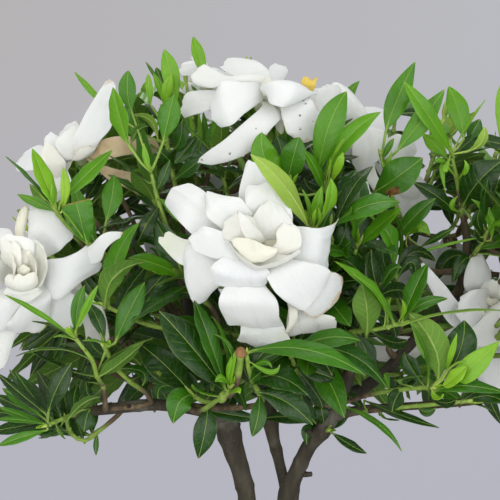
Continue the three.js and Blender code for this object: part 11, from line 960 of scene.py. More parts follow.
[30.2,97.3,235.1,28.6,107,228.7,27.2,118,220.3,7.3,0.45,0.42,0.79,0.16,0.28,0,0,30.2,97.3,235.1],
[30.2,97.3,235.1,26.7,108.1,238.1,22.9,119.1,237.5,9.5,0.87,0.36,-0.35,0.11,0.34,0,0,30.2,97.3,235.1],
[29.1,91.9,233.7,38.1,99,222.1,47.6,107.9,207,10.3,-0.14,0.75,0.65,0.15,0.57,0,0,29.1,91.9,233.7],
[29.1,91.9,233.7,17.5,102.5,232.8,6.2,114.9,227.9,9.9,0.65,0.71,0.26,0.09,0.45,0,0,29.1,91.9,233.7],
[28,86.6,232.4,18.2,93,219.9,8.9,101.2,202.9,12,0.36,0.82,0.45,0.22,0.73,0,0,28,86.6,232.4],
[28,86.6,232.4,40,93.4,245.6,52.7,102.9,252,12.9,0.02,1,-0.01,0.16,0.61,0,0,28,86.6,232.4],
[26.9,81.3,231.9,10,85.6,231,-7.3,92,225.7,9.6,0.21,0.94,0.26,0.22,0.69,0,0,26.9,81.3,231.9],
[26.9,81.3,231.9,43.7,80.7,226,61,82.2,219,12,0.03,0.95,0.31,0.13,0.76,0,0,26.9,81.3,231.9],
[42.9,105.2,261.5,40,117.8,263.1,37.5,131.8,264.2,8.9,0.81,0.16,0.56,0.23,0.24,0,0,42.9,105.2,261.5],
[42.9,105.2,261.5,47.9,115.7,270.2,53.4,127.7,277.9,9.5,-0.16,0.86,-0.49,0.16,0.33,0,0,42.9,105.2,261.5],
[41.1,98.9,257.8,39.4,114.6,248.6,38.3,132,235.4,11.9,0.34,0.37,0.86,0.23,0.5,0,0,41.1,98.9,257.8],
[39.3,92.8,254.1,46.6,93.8,271.3,54.4,96.8,286.4,13.4,0.13,0.96,0.24,0.11,0.62,0,0,39.3,92.8,254.1],
[39.3,92.8,254.1,32.5,104.8,242.2,26.2,118.7,226.3,11.8,0.35,0.62,0.71,0.17,0.71,0,0,39.3,92.8,254.1],
[37.6,86.7,251.3,52,84.3,246.9,66.8,83.5,242.1,10.8,0.21,0.82,0.54,0.09,0.76,0,0,37.6,86.7,251.3],
[37.6,86.7,251.3,26.5,92.5,255,17.6,100.3,254.5,11,0.38,0.8,0.48,0.1,0.67,0,0,37.6,86.7,251.3],
[42.9,105.2,261.5,44.5,109.8,262.9,46.1,114.3,264.3,3.2,0.89,-0.34,0.3,0.16,0.15,0,0,42.9,105.2,261.5],
[18.9,55.9,279.9,16,64.4,286.6,13.3,73.9,291,6.9,0.84,0.11,0.54,0.21,0.68,0,0,18.9,55.9,279.9],
[18.9,55.9,279.9,23.2,61,289.7,27.8,67,299.3,7.3,-0.3,0.95,0.01,0.18,0.55,0,0,18.9,55.9,279.9],
[18.9,55.9,279.9,25.9,64.7,281.8,33.2,74.6,281.7,8.2,-0.34,0.13,0.93,0.22,0.64,0,0,18.9,55.9,279.9],
[17.7,52.1,274.7,12,54.9,289.8,6.7,58.8,302.3,12.2,0.54,0.74,0.4,0.17,0.74,0,0,17.7,52.1,274.7],
[17.7,52.1,274.7,32,53.9,281.1,46.6,56.8,285.3,10.1,-0.27,0.66,0.7,0.16,0.79,0,0,17.7,52.1,274.7],
[17.7,52.1,274.7,11.3,68.7,273.7,5.2,86.5,273.1,11.1,0.41,0.19,0.89,0.21,0.82,0,0,17.7,52.1,274.7],
[16.6,48.6,269.9,28.6,42.6,283.3,41.2,38.1,293.4,12.5,0,0.76,0.64,0.22,0.89,0,0,16.6,48.6,269.9],
[16.6,48.6,269.9,9.2,62.1,267.4,2.3,76.9,264,10.2,0.37,0.31,0.88,0.16,0.93,0,0,16.6,48.6,269.9],
[18.9,55.9,279.9,19.5,59.7,283.1,20.2,63.5,286.4,3.2,0.96,-0.27,-0.04,0.16,0.15,0,0,18.9,55.9,279.9],
[-31,94.5,230.3,-34.1,103.9,232.9,-36.6,114.2,232.4,8.6,0.3,0.62,-0.73,0.24,0.46,0,0,-31,94.5,230.3],
[-31,94.5,230.3,-27.4,106.6,224.4,-23.3,120,215.3,9.8,-0.8,0.2,0.57,0.12,0.45,0,0,-31,94.5,230.3],
[-31,94.5,230.3,-38.9,102.5,226.1,-47.3,112,220.2,8.6,0.5,0.64,0.58,0.12,0.39,0,0,-31,94.5,230.3],
[-29.3,88.7,229.3,-19.6,101.8,232.2,-10.5,116.7,233.3,10.2,-0.76,0.65,0.04,0.21,0.55,0,0,-29.3,88.7,229.3],
[-29.3,88.7,229.3,-33.4,96.7,213,-38.1,106.7,193,13.1,-0.14,0.71,0.69,0.19,0.65,0,0,-29.3,88.7,229.3],
[-29.3,88.7,229.3,-42.6,93.2,232.4,-56.4,99.3,232.1,10.5,0.23,0.97,0.04,0.17,0.59,0,0,-29.3,88.7,229.3],
[-27.6,83,228.2,-16.4,90.8,220.2,-5.6,100.4,207.5,10.7,-0.52,0.78,0.35,0.2,0.77,0,0,-27.6,83,228.2],
[-27.6,83,228.2,-42.3,87.2,237,-57.6,93.3,242.3,11,0.04,1,-0.01,0.18,0.82,0,0,-27.6,83,228.2],
[-26,77.3,228,-25.3,82.9,241.4,-25.2,90.2,251.4,10.4,-0.31,0.95,0,0.2,0.77,0,0,-26,77.3,228],
[-31,94.5,230.3,-33.2,99,229.6,-35.4,103.5,229,3.2,0.96,0.27,-0.06,0.16,0.15,0,0,-31,94.5,230.3],
[-29.9,101.7,300.1,-43.3,110,309,-58.8,120,315.4,8.8,0.61,0.52,0.6,0.19,0.2,0,0,-29.9,101.7,300.1],
[-29.9,101.7,300.1,-28.4,109.6,310.7,-27.3,118.6,320,9.3,-0.83,0.55,0.07,0.14,0.27,0,0,-29.9,101.7,300.1],
[-29.9,101.7,300.1,-31.1,115.1,305.1,-32.6,129.7,310.3,9.9,-0.25,-0.27,0.93,0.23,0.25,0,0,-29.9,101.7,300.1],
[-28.8,97.6,294.8,-18.9,108.9,299.6,-9.2,121.4,301,10.6,-0.59,0.33,0.74,0.1,0.49,0,0,-28.8,97.6,294.8],
[-27.9,93.8,289.9,-17.3,94.9,303.8,-7.1,97.5,317.3,12.2,-0.43,0.69,0.58,0.17,0.62,0,0,-27.9,93.8,289.9],
[-26.8,89.8,285.7,-16.3,99.5,281.2,-6,110.3,274,9.5,-0.24,0.52,0.82,0.21,0.62,0,0,-26.8,89.8,285.7],
[-26.8,89.8,285.7,-36.3,81.1,295.1,-45,74,304.2,13.4,-0.1,0.65,0.75,0.19,0.59,0,0,-26.8,89.8,285.7],
[-29.9,101.7,300.1,-30,105.8,303.2,-30.1,109.9,306.2,3.2,0.92,0.36,-0.14,0.16,0.15,0,0,-29.9,101.7,300.1],
[-43.8,109.2,274,-48,122.4,273.3,-52.8,137.1,270.3,9.8,-0.03,0.03,1,0.2,0.41,0,0,-43.8,109.2,274],
[-43.8,109.2,274,-51,115.7,280.5,-58.7,123.3,286.5,7.3,0.54,0.83,0.13,0.14,0.42,0,0,-43.8,109.2,274],
[-43.8,109.2,274,-43.2,120.5,279.8,-43.1,133,282.4,7.7,-0.97,0.12,0.22,0.11,0.42,0,0,-43.8,109.2,274],
[-41.9,103.6,269.5,-55.3,108.8,269.9,-69.2,115.2,268.6,9.8,0.27,0.69,0.67,0.12,0.48,0,0,-41.9,103.6,269.5],
[-41.9,103.6,269.5,-38.7,109.9,285,-35.8,118.7,297.8,11.7,-0.45,0.87,0.21,0.1,0.57,0,0,-41.9,103.6,269.5],
[-41.9,103.6,269.5,-36.4,119.6,263.3,-31.5,137.1,255,10.8,-0.45,0.36,0.82,0.17,0.6,0,0,-41.9,103.6,269.5],
[-38.3,93,261.7,-32.2,93.3,277,-26.7,95.2,288.2,10.1,-0.37,0.81,0.45,0.21,0.73,0,0,-38.3,93,261.7],
[-38.3,93,261.7,-46.8,99.1,250.5,-55.8,106.7,237.6,10,-0.14,0.65,0.75,0.11,0.78,0,0,-38.3,93,261.7],
[-43.8,109.2,274,-46.1,113.4,275.7,-48.4,117.6,277.5,3.2,0.95,0.23,0.2,0.16,0.15,0,0,-43.8,109.2,274],
[0.7,46.7,252.9,-2.2,56.1,247.9,-5.2,66.9,240.1,7.7,0.18,0.39,0.9,0.1,0.55,0,0,0.7,46.7,252.9],
[0.7,46.7,252.9,-3.5,57.3,257.7,-7.9,69.4,258.7,8.6,0.65,0.64,-0.41,0.19,0.59,0,0,0.7,46.7,252.9],
[0.7,46.7,252.9,6.7,58.6,255.3,12.5,72.2,253.5,9.8,-0.87,0.46,0.2,0.18,0.62,0,0,0.7,46.7,252.9],
[1.2,41.7,250.8,-9.9,53.8,244.5,-20.3,68.1,236.8,13.1,0.43,0.65,0.62,0.19,0.76,0,0,1.2,41.7,250.8],
[1.2,41.7,250.8,2.8,51.5,260.9,4.2,62.7,270.5,9,-0.29,0.89,-0.34,0.17,0.88,0,0,1.2,41.7,250.8],
[1.2,41.7,250.8,10,54.3,241.7,18.7,68.9,231.5,12.1,-0.43,0.58,0.69,0.09,0.85,0,0,1.2,41.7,250.8],
[1.6,37,248.8,-7.6,44.5,264.4,-17,54.4,277.4,12.4,0.16,0.99,0,0.15,0.95,0,0,1.6,37,248.8],
[1.6,37,248.8,12.7,43.9,238.4,23.6,52.6,224.6,11.5,-0.27,0.8,0.54,0.11,1,0,0,1.6,37,248.8],
[0.7,46.7,252.9,-0.4,51.6,253.1,-1.4,56.5,253.4,3.2,0.98,0.08,0.17,0.16,0.15,0,0,0.7,46.7,252.9],
[53.3,104,288.3,54.8,115.2,288.8,56.8,127.5,289.2,7.8,0.25,-0.06,0.97,0.12,0.39,0,0,53.3,104,288.3],
[53.3,104,288.3,52.5,113.1,297.7,52.1,123.4,304,8.7,0.9,0.42,0.04,0.13,0.33,0,0,53.3,104,288.3],
[51.5,99.2,283.2,45.2,112.6,286.9,39.4,127.2,288.5,9.2,0.69,0.21,0.69,0.1,0.67,0,0,51.5,99.2,283.2],
[51.5,99.2,283.2,56.5,98.8,296.8,61.9,99.6,309,10.8,0.12,0.94,0.33,0.15,0.54,0,0,51.5,99.2,283.2],
[49.8,94.7,278.4,40,97,292,30.6,100.8,304.6,10.5,0.47,0.71,0.53,0.12,0.73,0,0,49.8,94.7,278.4],
[48.2,90.1,274.4,53.7,81.3,285.6,59.7,73.9,294.8,9.4,0.23,0.67,0.7,0.16,0.85,0,0,48.2,90.1,274.4],
[48.2,90.1,274.4,38.2,102.7,264.8,28.8,116.9,251.5,11.4,0.29,0.59,0.76,0.21,0.82,0,0,48.2,90.1,274.4],
]),
"leaves_back_3":(0,[[[50.7,64,292.8,1.15],[56.9,54.8,291.6,1.15],[64.7,47.3,289.7,1.15],[73.3,42.5,288.4,1.15],[81.5,41.2,289.3,1.15],[88.2,44.3,293.7,1.15],[95.3,49,304.9,1],[102.4,53.7,320.1,0.7]],[[77.4,41.8,288.9,1.15],[79.4,39.3,284.7,1.15],[81.3,36.3,279.7,1.15],[83.2,33.5,275.3,1.15],[85.4,31.9,273.1,1.15],[88.2,32.2,274.3,1.15],[98.9,37.2,285.7,1],[109.6,42.2,301.1,0.7]],[[77.4,41.8,288.9,1.15],[81.1,45.5,287.4,1.15],[81.9,49.3,285.4,1.15],[81,53.1,283.8,1.15],[79.3,56.5,283.5,1.15],[78.1,59.3,285.2,1.15],[84.6,66.1,295,1],[91.2,72.9,308.9,0.7]],[[81.5,41.2,289.3,1.15],[81.9,37.5,291.3,1.15],[82.1,33.2,293.1,1.15],[82.5,29.3,295,1.15],[83.3,26.6,297.5,1.15],[85,26.1,300.9,1.15],[91.4,28.4,312.2,1],[97.8,30.7,327.5,0.7]],[[64.7,47.3,289.7,1.15],[64.5,46,291.6,1.15],[64,44.5,293.5,1.15],[63.7,43.1,295.5,1.15],[63.7,42.2,297.5,1.15],[64.3,42.4,299.8,1.15],[69.9,47.4,314.2,1],[75.6,52.4,332.7,0.7]],[[90.9,33.5,277.1,1.15],[94.7,37.7,275.3,1.15],[95,42.1,273,1.15],[93.5,46.2,271.1,1.15],[91.6,49.9,270.5,1.15],[90.6,52.7,272,1.15],[99.3,59.7,280.3,1],[108.1,66.7,292.5,0.7]],[[53.8,59.4,292.2,1.15],[55.9,59.8,292.9,1.15],[58.2,60.1,293.4,1.15],[60.4,60.4,294.1,1.15],[62.2,61,295.2,1.15],[63.5,61.9,296.9,1.15],[68.6,69,309.7,1],[73.7,76,326.4,0.7]],[[96.3,36,282.8,1.15],[97.3,31.9,283.4,1.15],[98,27.2,283.7,1.15],[98.9,22.9,284.2,1.15],[100.2,19.9,285.5,1.15],[102.5,19.1,288.1,1.15],[111.4,20.9,299,1],[120.4,22.6,313.8,0.7]],[[64.3,42.4,299.8,1.15],[63.8,38.9,301.3,1.15],[63.1,34.8,302.6,1.15],[62.6,31.1,304,1.15],[62.5,28.5,306.2,1.15],[63.3,28,309.4,1.15],[68.2,30.6,323.9,1],[73.2,33.3,342.5,0.7]],[[85.4,31.9,273.1,1.15],[86.4,33.5,269.2,1.15],[87,35,264.7,1.15],[87.7,36.5,260.7,1.15],[89.1,38.1,258.3,1.15],[91.6,39.9,258.5,1.15],[103.1,46.6,265.1,1],[114.6,53.4,275.6,0.7]]],[
[102.4,53.7,320.1,110.1,61.3,324.5,118.7,69.4,329,8.4,-0.08,-0.32,0.95,0.24,0.28,0,0,102.4,53.7,320.1],
[102.4,53.7,320.1,102.2,58.1,330.5,102.7,63.1,339,7.7,0.94,0.01,0.34,0.08,0.25,0,0,102.4,53.7,320.1],
[102.4,53.7,320.1,108.8,51.8,331.6,116.1,50.5,342.6,8.1,0.18,0.91,0.37,0.22,0.33,0,0,102.4,53.7,320.1],
[99.4,51.7,313.7,99.6,66.9,322.8,100.7,82.8,329.7,11.7,0.58,-0.29,0.76,0.17,0.45,0,0,99.4,51.7,313.7],
[99.4,51.7,313.7,115.5,51.9,315.1,132.5,52.7,313.1,10.8,-0.07,0.32,0.95,0.19,0.51,0,0,99.4,51.7,313.7],
[96.6,49.8,307.7,114.5,50.1,304.3,133.3,51.1,298.8,10.9,0.13,0.27,0.95,0.15,0.57,0,0,96.6,49.8,307.7],
[93.8,47.9,302.5,88.5,38.3,313.1,84,29.3,323.4,10.1,0.45,0.35,0.82,0.2,0.75,0,0,93.8,47.9,302.5],
[93.8,47.9,302.5,104.5,60.4,295.6,116.2,73.5,287.5,10.6,0.28,0.13,0.95,0.16,0.72,0,0,93.8,47.9,302.5],
[102.4,53.7,320.1,104.5,55.6,324.2,106.6,57.6,328.3,3.2,0.81,-0.5,-0.32,0.16,0.15,0,0,102.4,53.7,320.1],
[109.6,42.2,301.1,120.8,49.1,306.9,134.8,55.8,311.7,8.9,0.27,-0.61,0.75,0.1,0.41,0,0,109.6,42.2,301.1],
[109.6,42.2,301.1,113.7,43.5,312.8,118.7,45.2,323.3,8.1,0.86,0.51,0.02,0.15,0.45,0,0,109.6,42.2,301.1],
[109.6,42.2,301.1,122.2,41.6,305,135.9,41.5,305.8,9.4,-0.16,0.49,0.86,0.21,0.35,0,0,109.6,42.2,301.1],
[105.1,40.1,294.6,100.4,47.3,308.4,96.8,55,321.5,11.3,0.83,0.1,0.55,0.1,0.58,0,0,105.1,40.1,294.6],
[105.1,40.1,294.6,114.6,31.1,302.2,125.2,22.5,309.1,9.1,0.33,0.66,0.67,0.23,0.61,0,0,105.1,40.1,294.6],
[105.1,40.1,294.6,117.9,50.6,292,131.8,61.6,288.4,10.4,0.2,-0.06,0.98,0.19,0.62,0,0,105.1,40.1,294.6],
[100.9,38.2,288.6,112.4,45.6,280.1,125,53.5,270.3,11.3,0.38,0.15,0.91,0.19,0.75,0,0,100.9,38.2,288.6],
[96.6,36.2,283.2,104.6,23.4,286.9,113.7,11.1,288.9,10,0.46,0.43,0.78,0.24,0.8,0,0,96.6,36.2,283.2],
[91.2,72.9,308.9,92.8,80.6,317.7,95.2,89.1,325.8,7.2,0.91,-0.23,0.36,0.16,0.34,0,0,91.2,72.9,308.9],
[91.2,72.9,308.9,98.2,72.4,318,106,72.6,325,7.1,-0.04,0.91,0.4,0.19,0.28,0,0,91.2,72.9,308.9],
[91.2,72.9,308.9,99,81.7,310.7,107.6,91.3,310.7,8.1,-0.06,-0.11,0.99,0.19,0.38,0,0,91.2,72.9,308.9],
[88.4,70,303,86.7,70.7,318.5,85.8,72.2,333.8,10.3,0.7,0.61,0.39,0.18,0.45,0,0,88.4,70,303],
[88.4,70,303,104.7,71.4,304.9,121.8,73.7,304.2,10.6,-0.11,0.46,0.88,0.1,0.55,0,0,88.4,70,303],
[88.4,70,303,90.2,85.9,304.9,92.8,102.5,304.4,10,0.42,-0.13,0.9,0.2,0.44,0,0,88.4,70,303],
[85.8,67.4,297.6,99.7,58.9,305.2,114.6,51.4,310.9,12,0.14,0.65,0.75,0.09,0.62,0,0,85.8,67.4,297.6],
[83.2,64.6,292.9,97.5,67.6,286.7,112.6,71.4,279.9,11.6,0.2,0.37,0.91,0.15,0.71,0,0,83.2,64.6,292.9],
[91.2,72.9,308.9,94.2,75.1,312.3,97.3,77.2,315.7,3.2,0.81,-0.58,-0.14,0.16,0.15,0,0,91.2,72.9,308.9],
[97.8,30.7,327.5,109,36.5,332.9,121,42.6,335.4,9.2,-0.22,-0.21,0.95,0.12,0.27,0,0,97.8,30.7,327.5],
[92.5,28.8,315,83.5,37.4,327.4,74.7,46.4,340.9,9.8,0.62,-0.04,0.78,0.24,0.63,0,0,92.5,28.8,315],
[92.5,28.8,315,107.9,25.3,312.6,124.1,22,308.2,10.6,0.15,0.2,0.97,0.15,0.51,0,0,92.5,28.8,315],
[90,27.9,309.7,85.8,17.4,318.6,82.4,7.1,325.9,10,0.46,0.29,0.84,0.09,0.63,0,0,90,27.9,309.7],
[90,27.9,309.7,101.3,38.8,302.5,113.5,50.1,294.6,10.4,0.34,0.1,0.94,0.22,0.55,0,0,90,27.9,309.7],
[97.8,30.7,327.5,99.7,32.3,332,101.7,33.9,336.4,3.2,0.58,-0.79,-0.17,0.16,0.15,0,0,97.8,30.7,327.5],
[75.6,52.4,332.7,84.2,52.9,341.8,93.3,53.8,348.5,9.1,-0.46,0.54,0.7,0.18,0.22,0,0,75.6,52.4,332.7],
[75.6,52.4,332.7,71.2,54.9,343.2,66.3,57.6,351.2,9.2,0.89,0.18,0.43,0.12,0.26,0,0,75.6,52.4,332.7],
[73.2,50.3,324.9,88.5,58.5,328.2,104.5,67.2,331.9,11.6,-0.18,0.03,0.98,0.18,0.48,0,0,73.2,50.3,324.9],
[68.7,46.3,311.1,54.7,56.1,317.9,41.4,66.4,321.4,12.5,0.42,0.16,0.89,0.23,0.77,0,0,68.7,46.3,311.1],
[68.7,46.3,311.1,84,42.5,307.9,99.9,39.2,302.9,11.4,0.21,0.26,0.94,0.17,0.67,0,0,68.7,46.3,311.1],
[108.1,66.7,292.5,110.2,76.5,300.8,113.3,87.2,307.9,8.9,0.89,-0.24,0.38,0.18,0.34,0,0,108.1,66.7,292.5],
[108.1,66.7,292.5,117,68,301.6,126.9,70.2,310.1,8.9,0.02,0.98,0.18,0.12,0.39,0,0,108.1,66.7,292.5],
[108.1,66.7,292.5,118.9,72.2,293.3,130.7,78.5,293.1,8.7,-0.14,0.18,0.97,0.21,0.4,0,0,108.1,66.7,292.5],
[104.4,63.7,287.4,103.8,63.8,301.5,104,64.6,314.9,9.4,0.74,0.56,0.37,0.13,0.64,0,0,104.4,63.7,287.4],
[104.4,63.7,287.4,119.9,64.2,287,136.4,65.6,286.7,9.6,-0.01,0.5,0.86,0.24,0.59,0,0,104.4,63.7,287.4],
[104.4,63.7,287.4,106.3,79.9,288.4,109.2,96.8,288.9,9.7,0.58,-0.1,0.81,0.08,0.66,0,0,104.4,63.7,287.4],
[101,61,282.5,108.2,52.7,294.5,116.5,45.2,303.2,11.4,0.44,0.71,0.55,0.18,0.69,0,0,101,61,282.5],
[101,61,282.5,100.7,80.8,282.3,101.9,101.8,280,14,0.59,0.01,0.8,0.19,0.67,0,0,101,61,282.5],
[73.7,76,326.4,73.4,82.9,337.8,73.7,90.6,346.4,9.7,0.93,-0.03,0.37,0.24,0.31,0,0,73.7,76,326.4],
[73.7,76,326.4,79.5,77.2,337.6,85.8,79.2,349,9.1,-0.19,0.93,0.33,0.12,0.27,0,0,73.7,76,326.4],
[73.7,76,326.4,79.6,86.4,333.5,86.2,97.6,340.9,8.4,-0.09,-0.39,0.92,0.17,0.21,0,0,73.7,76,326.4],
[71.5,73,319.4,87.8,76.4,321.9,104.7,80.5,322.6,10.4,-0.17,0.33,0.93,0.16,0.46,0,0,71.5,73,319.4],
[69.5,70.3,312.8,83.2,62.9,321.2,97.5,56.4,328.1,12.9,0,0.59,0.81,0.09,0.67,0,0,69.5,70.3,312.8],
[69.5,70.3,312.8,58.9,82,315.5,49,94.6,318.7,9.7,0.41,0.23,0.88,0.1,0.62,0,0,69.5,70.3,312.8],
[67.5,67.4,306.9,53.1,63.5,322.1,40.2,60.6,340.7,12.3,0.28,0.37,0.89,0.15,0.72,0,0,67.5,67.4,306.9],
[73.7,76,326.4,75,79.1,330.2,76.3,82.2,334,3.2,0.46,-0.84,0.3,0.16,0.15,0,0,73.7,76,326.4],
[116.6,21.9,307.5,117.2,31,320.1,118.7,40.4,330.1,9.4,0.78,-0.34,0.53,0.12,0.46,0,0,116.6,21.9,307.5],
[113.1,21.2,301.7,109.3,34.3,316.9,108,48.9,330.2,11.7,0.71,-0.09,0.7,0.1,0.61,0,0,113.1,21.2,301.7],
[109.5,20.5,296.6,123.4,27.3,287.9,138.5,34.4,278.2,11.9,0.39,0.04,0.92,0.17,0.75,0,0,109.5,20.5,296.6],
[109.5,20.5,296.6,101.2,15.5,307.8,94,10.7,317.2,9.6,0.6,0.15,0.79,0.22,0.69,0,0,109.5,20.5,296.6],
[120.4,22.6,313.8,123.5,24,317.6,126.5,25.4,321.4,3.2,0.28,-0.96,-0.08,0.16,0.15,0,0,120.4,22.6,313.8],
[71.1,32.2,334.7,73.1,46.3,340.5,75.7,60.7,344.3,10.5,0.24,-0.31,0.92,0.11,0.43,0,0,71.1,32.2,334.7],
[69.1,31.1,327.4,83.1,44.3,326.5,97.7,57.8,322.8,12.7,0.08,-0.03,1,0.21,0.62,0,0,69.1,31.1,327.4],
[67.1,30.1,320.7,76.7,14.5,324.5,86.9,-0.8,328.5,11.3,0.17,0.27,0.95,0.18,0.67,0,0,67.1,30.1,320.7],
[114.6,53.4,275.6,126.3,52.7,284.1,139.3,52.8,290.7,8.8,0.19,0.97,0.17,0.09,0.46,0,0,114.6,53.4,275.6],
[114.6,53.4,275.6,124.5,58.5,274.1,135.6,64.2,270.9,7,0.06,0.11,0.99,0.17,0.36,0,0,114.6,53.4,275.6],
[114.6,53.4,275.6,118.3,62.4,281.8,123.1,72.1,285.7,8.3,0.9,-0.33,0.27,0.16,0.37,0,0,114.6,53.4,275.6],
[109.8,50.6,271.2,128.1,47.3,271.3,148,44.9,269.3,11.9,0.12,0.67,0.73,0.16,0.61,0,0,109.8,50.6,271.2],
[109.8,50.6,271.2,116,64.3,267.3,123.5,78.9,262.4,9.3,0.55,-0.09,0.83,0.17,0.65,0,0,109.8,50.6,271.2],
[109.8,50.6,271.2,111.4,56,285.8,114.4,62.2,296.9,10.6,0.93,0.33,0.15,0.1,0.65,0,0,109.8,50.6,271.2],
[105.3,47.9,267.1,116.7,55.3,255.4,129.6,63.5,239.4,11.7,0.44,0.24,0.86,0.09,0.77,0,0,105.3,47.9,267.1],
[105.3,47.9,267.1,105.9,49.5,283.2,107.9,52,296.7,11.1,0.85,0.46,0.27,0.1,0.76,0,0,105.3,47.9,267.1],
[100.7,45.2,263.7,108.5,30,269.1,117.8,15.7,270.6,12.8,0.65,0.44,0.62,0.21,0.86,0,0,100.7,45.2,263.7],
[114.6,53.4,275.6,118.4,56,277.7,122.1,58.5,279.7,3.2,0.54,-0.84,-0.1,0.16,0.15,0,0,114.6,53.4,275.6],
[87.9,69.5,301.9,82.7,71,311.8,78.6,77.9,321,7.3,0.17,-1,0.51,0.24,0.88,0,0,87.9,69.5,301.9],
[82.4,63.8,291.8,80.8,68.5,299.9,79,72,307.6,6.2,-0.29,-1,0.37,0.24,0.87,0,0,82.4,63.8,291.8],
[84.9,42.7,291.5,89.9,46.4,284.1,95,50.4,277.4,6,-0.25,-1,0.28,0.24,0.85,0,0,84.9,42.7,291.5],
[64.5,46,291.6,59.5,47.3,284.8,54.2,53.2,279,6,0.13,-1,0.13,0.24,0.95,0,0,64.5,46,291.6],
[68.5,46.2,310.6,76.7,50.5,314,84,52.3,317.3,6,0.09,-1,0.26,0.24,0.91,0,0,68.5,46.2,310.6],
[65.2,64.3,301.2,73.9,65.9,302.2,82.3,68.5,302.7,6.1,-0.29,-1,0.44,0.24,0.89,0,0,65.2,64.3,301.2],
[85,26.1,300.9,78,29.1,304.6,71.1,31.3,307.2,5.8,-0.27,-1,0.33,0.24,0.95,0,0,85,26.1,300.9],
[98,27.2,283.7,90.4,31.8,283.1,83.3,35.4,281.7,5.9,0.27,-1,0.4,0.24,0.91,0,0,98,27.2,283.7],
]),
"leaves_back_4":(0,[[[32,22.9,242.8,1.46],[38.6,27.8,240.5,1.4],[45.1,32.5,238.4,1.33],[51.5,37.2,236.5,1.27],[57.7,42.2,235.2,1.21],[63.5,48,234.7,1.15],[74.6,60.4,234.8,1],[85.7,72.9,238.8,0.7]],[[57.7,42.2,235.2,1.15],[56.6,44.6,238.2,1.15],[55,46.7,241.5,1.15],[53.7,48.9,244.6,1.15],[53.4,51.4,247.2,1.15],[54.7,54.6,248.8,1.15],[62,65.3,251.4,1],[69.3,76,258,0.7]],[[63.5,48,234.7,1.15],[59.8,49.7,233.2,1.15],[55.5,51.1,231.7,1.15],[51.6,52.6,230.4,1.15],[49.3,54.7,229.2,1.15],[49.7,57.8,228.4,1.15],[56.7,69.9,226.2,1],[63.6,82,228,0.7]],[[60.6,45.1,235,1.15],[61.4,43.4,232.5,1.15],[62.1,41.2,229.9,1.15],[62.8,39.4,227.5,1.15],[64,38.5,225.6,1.15],[65.8,39.3,224.3,1.15],[77.1,49,220.1,1],[88.5,58.6,219.8,0.7]],[[69,54.2,234.8,1.15],[71.4,51,236.7,1.15],[73.5,47.1,239,1.15],[75.7,43.6,241.2,1.15],[78.3,41.7,242.9,1.15],[81.6,42.6,243.8,1.15],[91.5,49.7,244.9,1],[101.4,56.7,250,0.7]],[[35.3,25.3,241.7,1.15],[34.4,27.8,242.8,1.15],[33.2,30.3,244,1.15],[32.1,32.7,245.3,1.15],[32,35,246.5,1.15],[33.4,37.1,247.4,1.15],[40.7,43.1,249.8,1],[48.1,49,256.3,0.7]],[[75.7,43.6,241.2,1.15],[75.3,44.7,243.3,1.15],[74.5,45.8,245.6,1.15],[73.9,46.9,247.8,1.15],[73.9,48.1,249.7,1.15],[75.1,49.7,251,1.15],[86,60,256.4,1],[96.9,70.4,265.8,0.7]],[[65.8,39.3,224.3,1.15],[67.8,36.7,226.2,1.15],[69.5,33.5,228.5,1.15],[71.3,30.6,230.6,1.15],[73.5,29,232.1,1.15],[76.5,29.4,232.4,1.15],[90.1,36.4,230.5,1],[103.7,43.4,232.5,0.7]],[[41.8,30.2,239.5,1.15],[43.2,28.3,240.5,1.15],[44.2,26.2,241.7,1.15],[45.4,24.3,242.9,1.15],[46.9,22.9,243.9,1.15],[49.2,22.6,244.6,1.15],[59,23.6,246.3,1],[68.8,24.6,252,0.7]],[[49.7,57.8,228.4,1.15],[48.3,59.8,230.4,1.15],[46.4,61.7,232.7,1.15],[44.8,63.6,234.9,1.15],[44,65.8,236.6,1.15],[44.5,68.8,237.5,1.15],[50.4,82.9,239,1],[56.4,97.1,244.5,0.7]],[[32,22.9,242.8,1.15],[27.9,24.6,240.8,1.15],[23.1,26,239,1.15],[18.7,27.6,237.3,1.15],[16.2,29.6,235.8,1.15],[16.9,32.7,234.5,1.15],[22.7,40.8,231.9,1],[28.6,48.9,233.3,0.7]]],[
[85.7,72.9,238.8,96.8,78.3,239.3,108.8,84.7,238.7,7.8,-0.43,0.9,0.12,0.21,0.45,0,0,85.7,72.9,238.8],
[85.7,72.9,238.8,92.3,83.7,232.2,100,95.8,224.1,9.9,0.44,0.11,0.89,0.14,0.41,0,0,85.7,72.9,238.8],
[85.7,72.9,238.8,91.5,84.1,241.7,98.3,96.6,240.3,7.8,0.86,-0.22,-0.46,0.1,0.4,0,0,85.7,72.9,238.8],
[81.2,67.8,237.2,93.2,65.9,227.5,106,62.9,214.5,10,0.1,0.74,0.67,0.24,0.6,0,0,81.2,67.8,237.2],
[81.2,67.8,237.2,77.8,82.6,233.7,75.6,98.8,226.7,11.2,0.9,0.22,0.39,0.08,0.61,0,0,81.2,67.8,237.2],
[81.2,67.8,237.2,93.6,72,246.7,108.7,78,252.6,10.5,0.47,0.86,-0.19,0.13,0.56,0,0,81.2,67.8,237.2],
[76.8,62.9,235.6,71.6,72.7,222.8,67.7,84,205.1,11.7,0.7,0.55,0.45,0.13,0.83,0,0,76.8,62.9,235.6],
[72.4,57.9,234.8,59.8,69.4,232.6,48.7,82.4,226.5,12.6,0.65,0.7,0.28,0.24,0.85,0,0,72.4,57.9,234.8],
[72.4,57.9,234.8,87.2,48.4,233.5,103.5,40.4,229.1,12.4,0.52,0.81,0.29,0.23,0.85,0,0,72.4,57.9,234.8],
[85.7,72.9,238.8,89.1,76.5,238.5,92.5,80.1,238.2,3.2,0.71,-0.66,-0.24,0.16,0.15,0,0,85.7,72.9,238.8],
[69.3,76,258,70.4,89.6,257.6,72.4,104.6,254.2,9.1,0.78,-0.05,0.62,0.11,0.4,0,0,69.3,76,258],
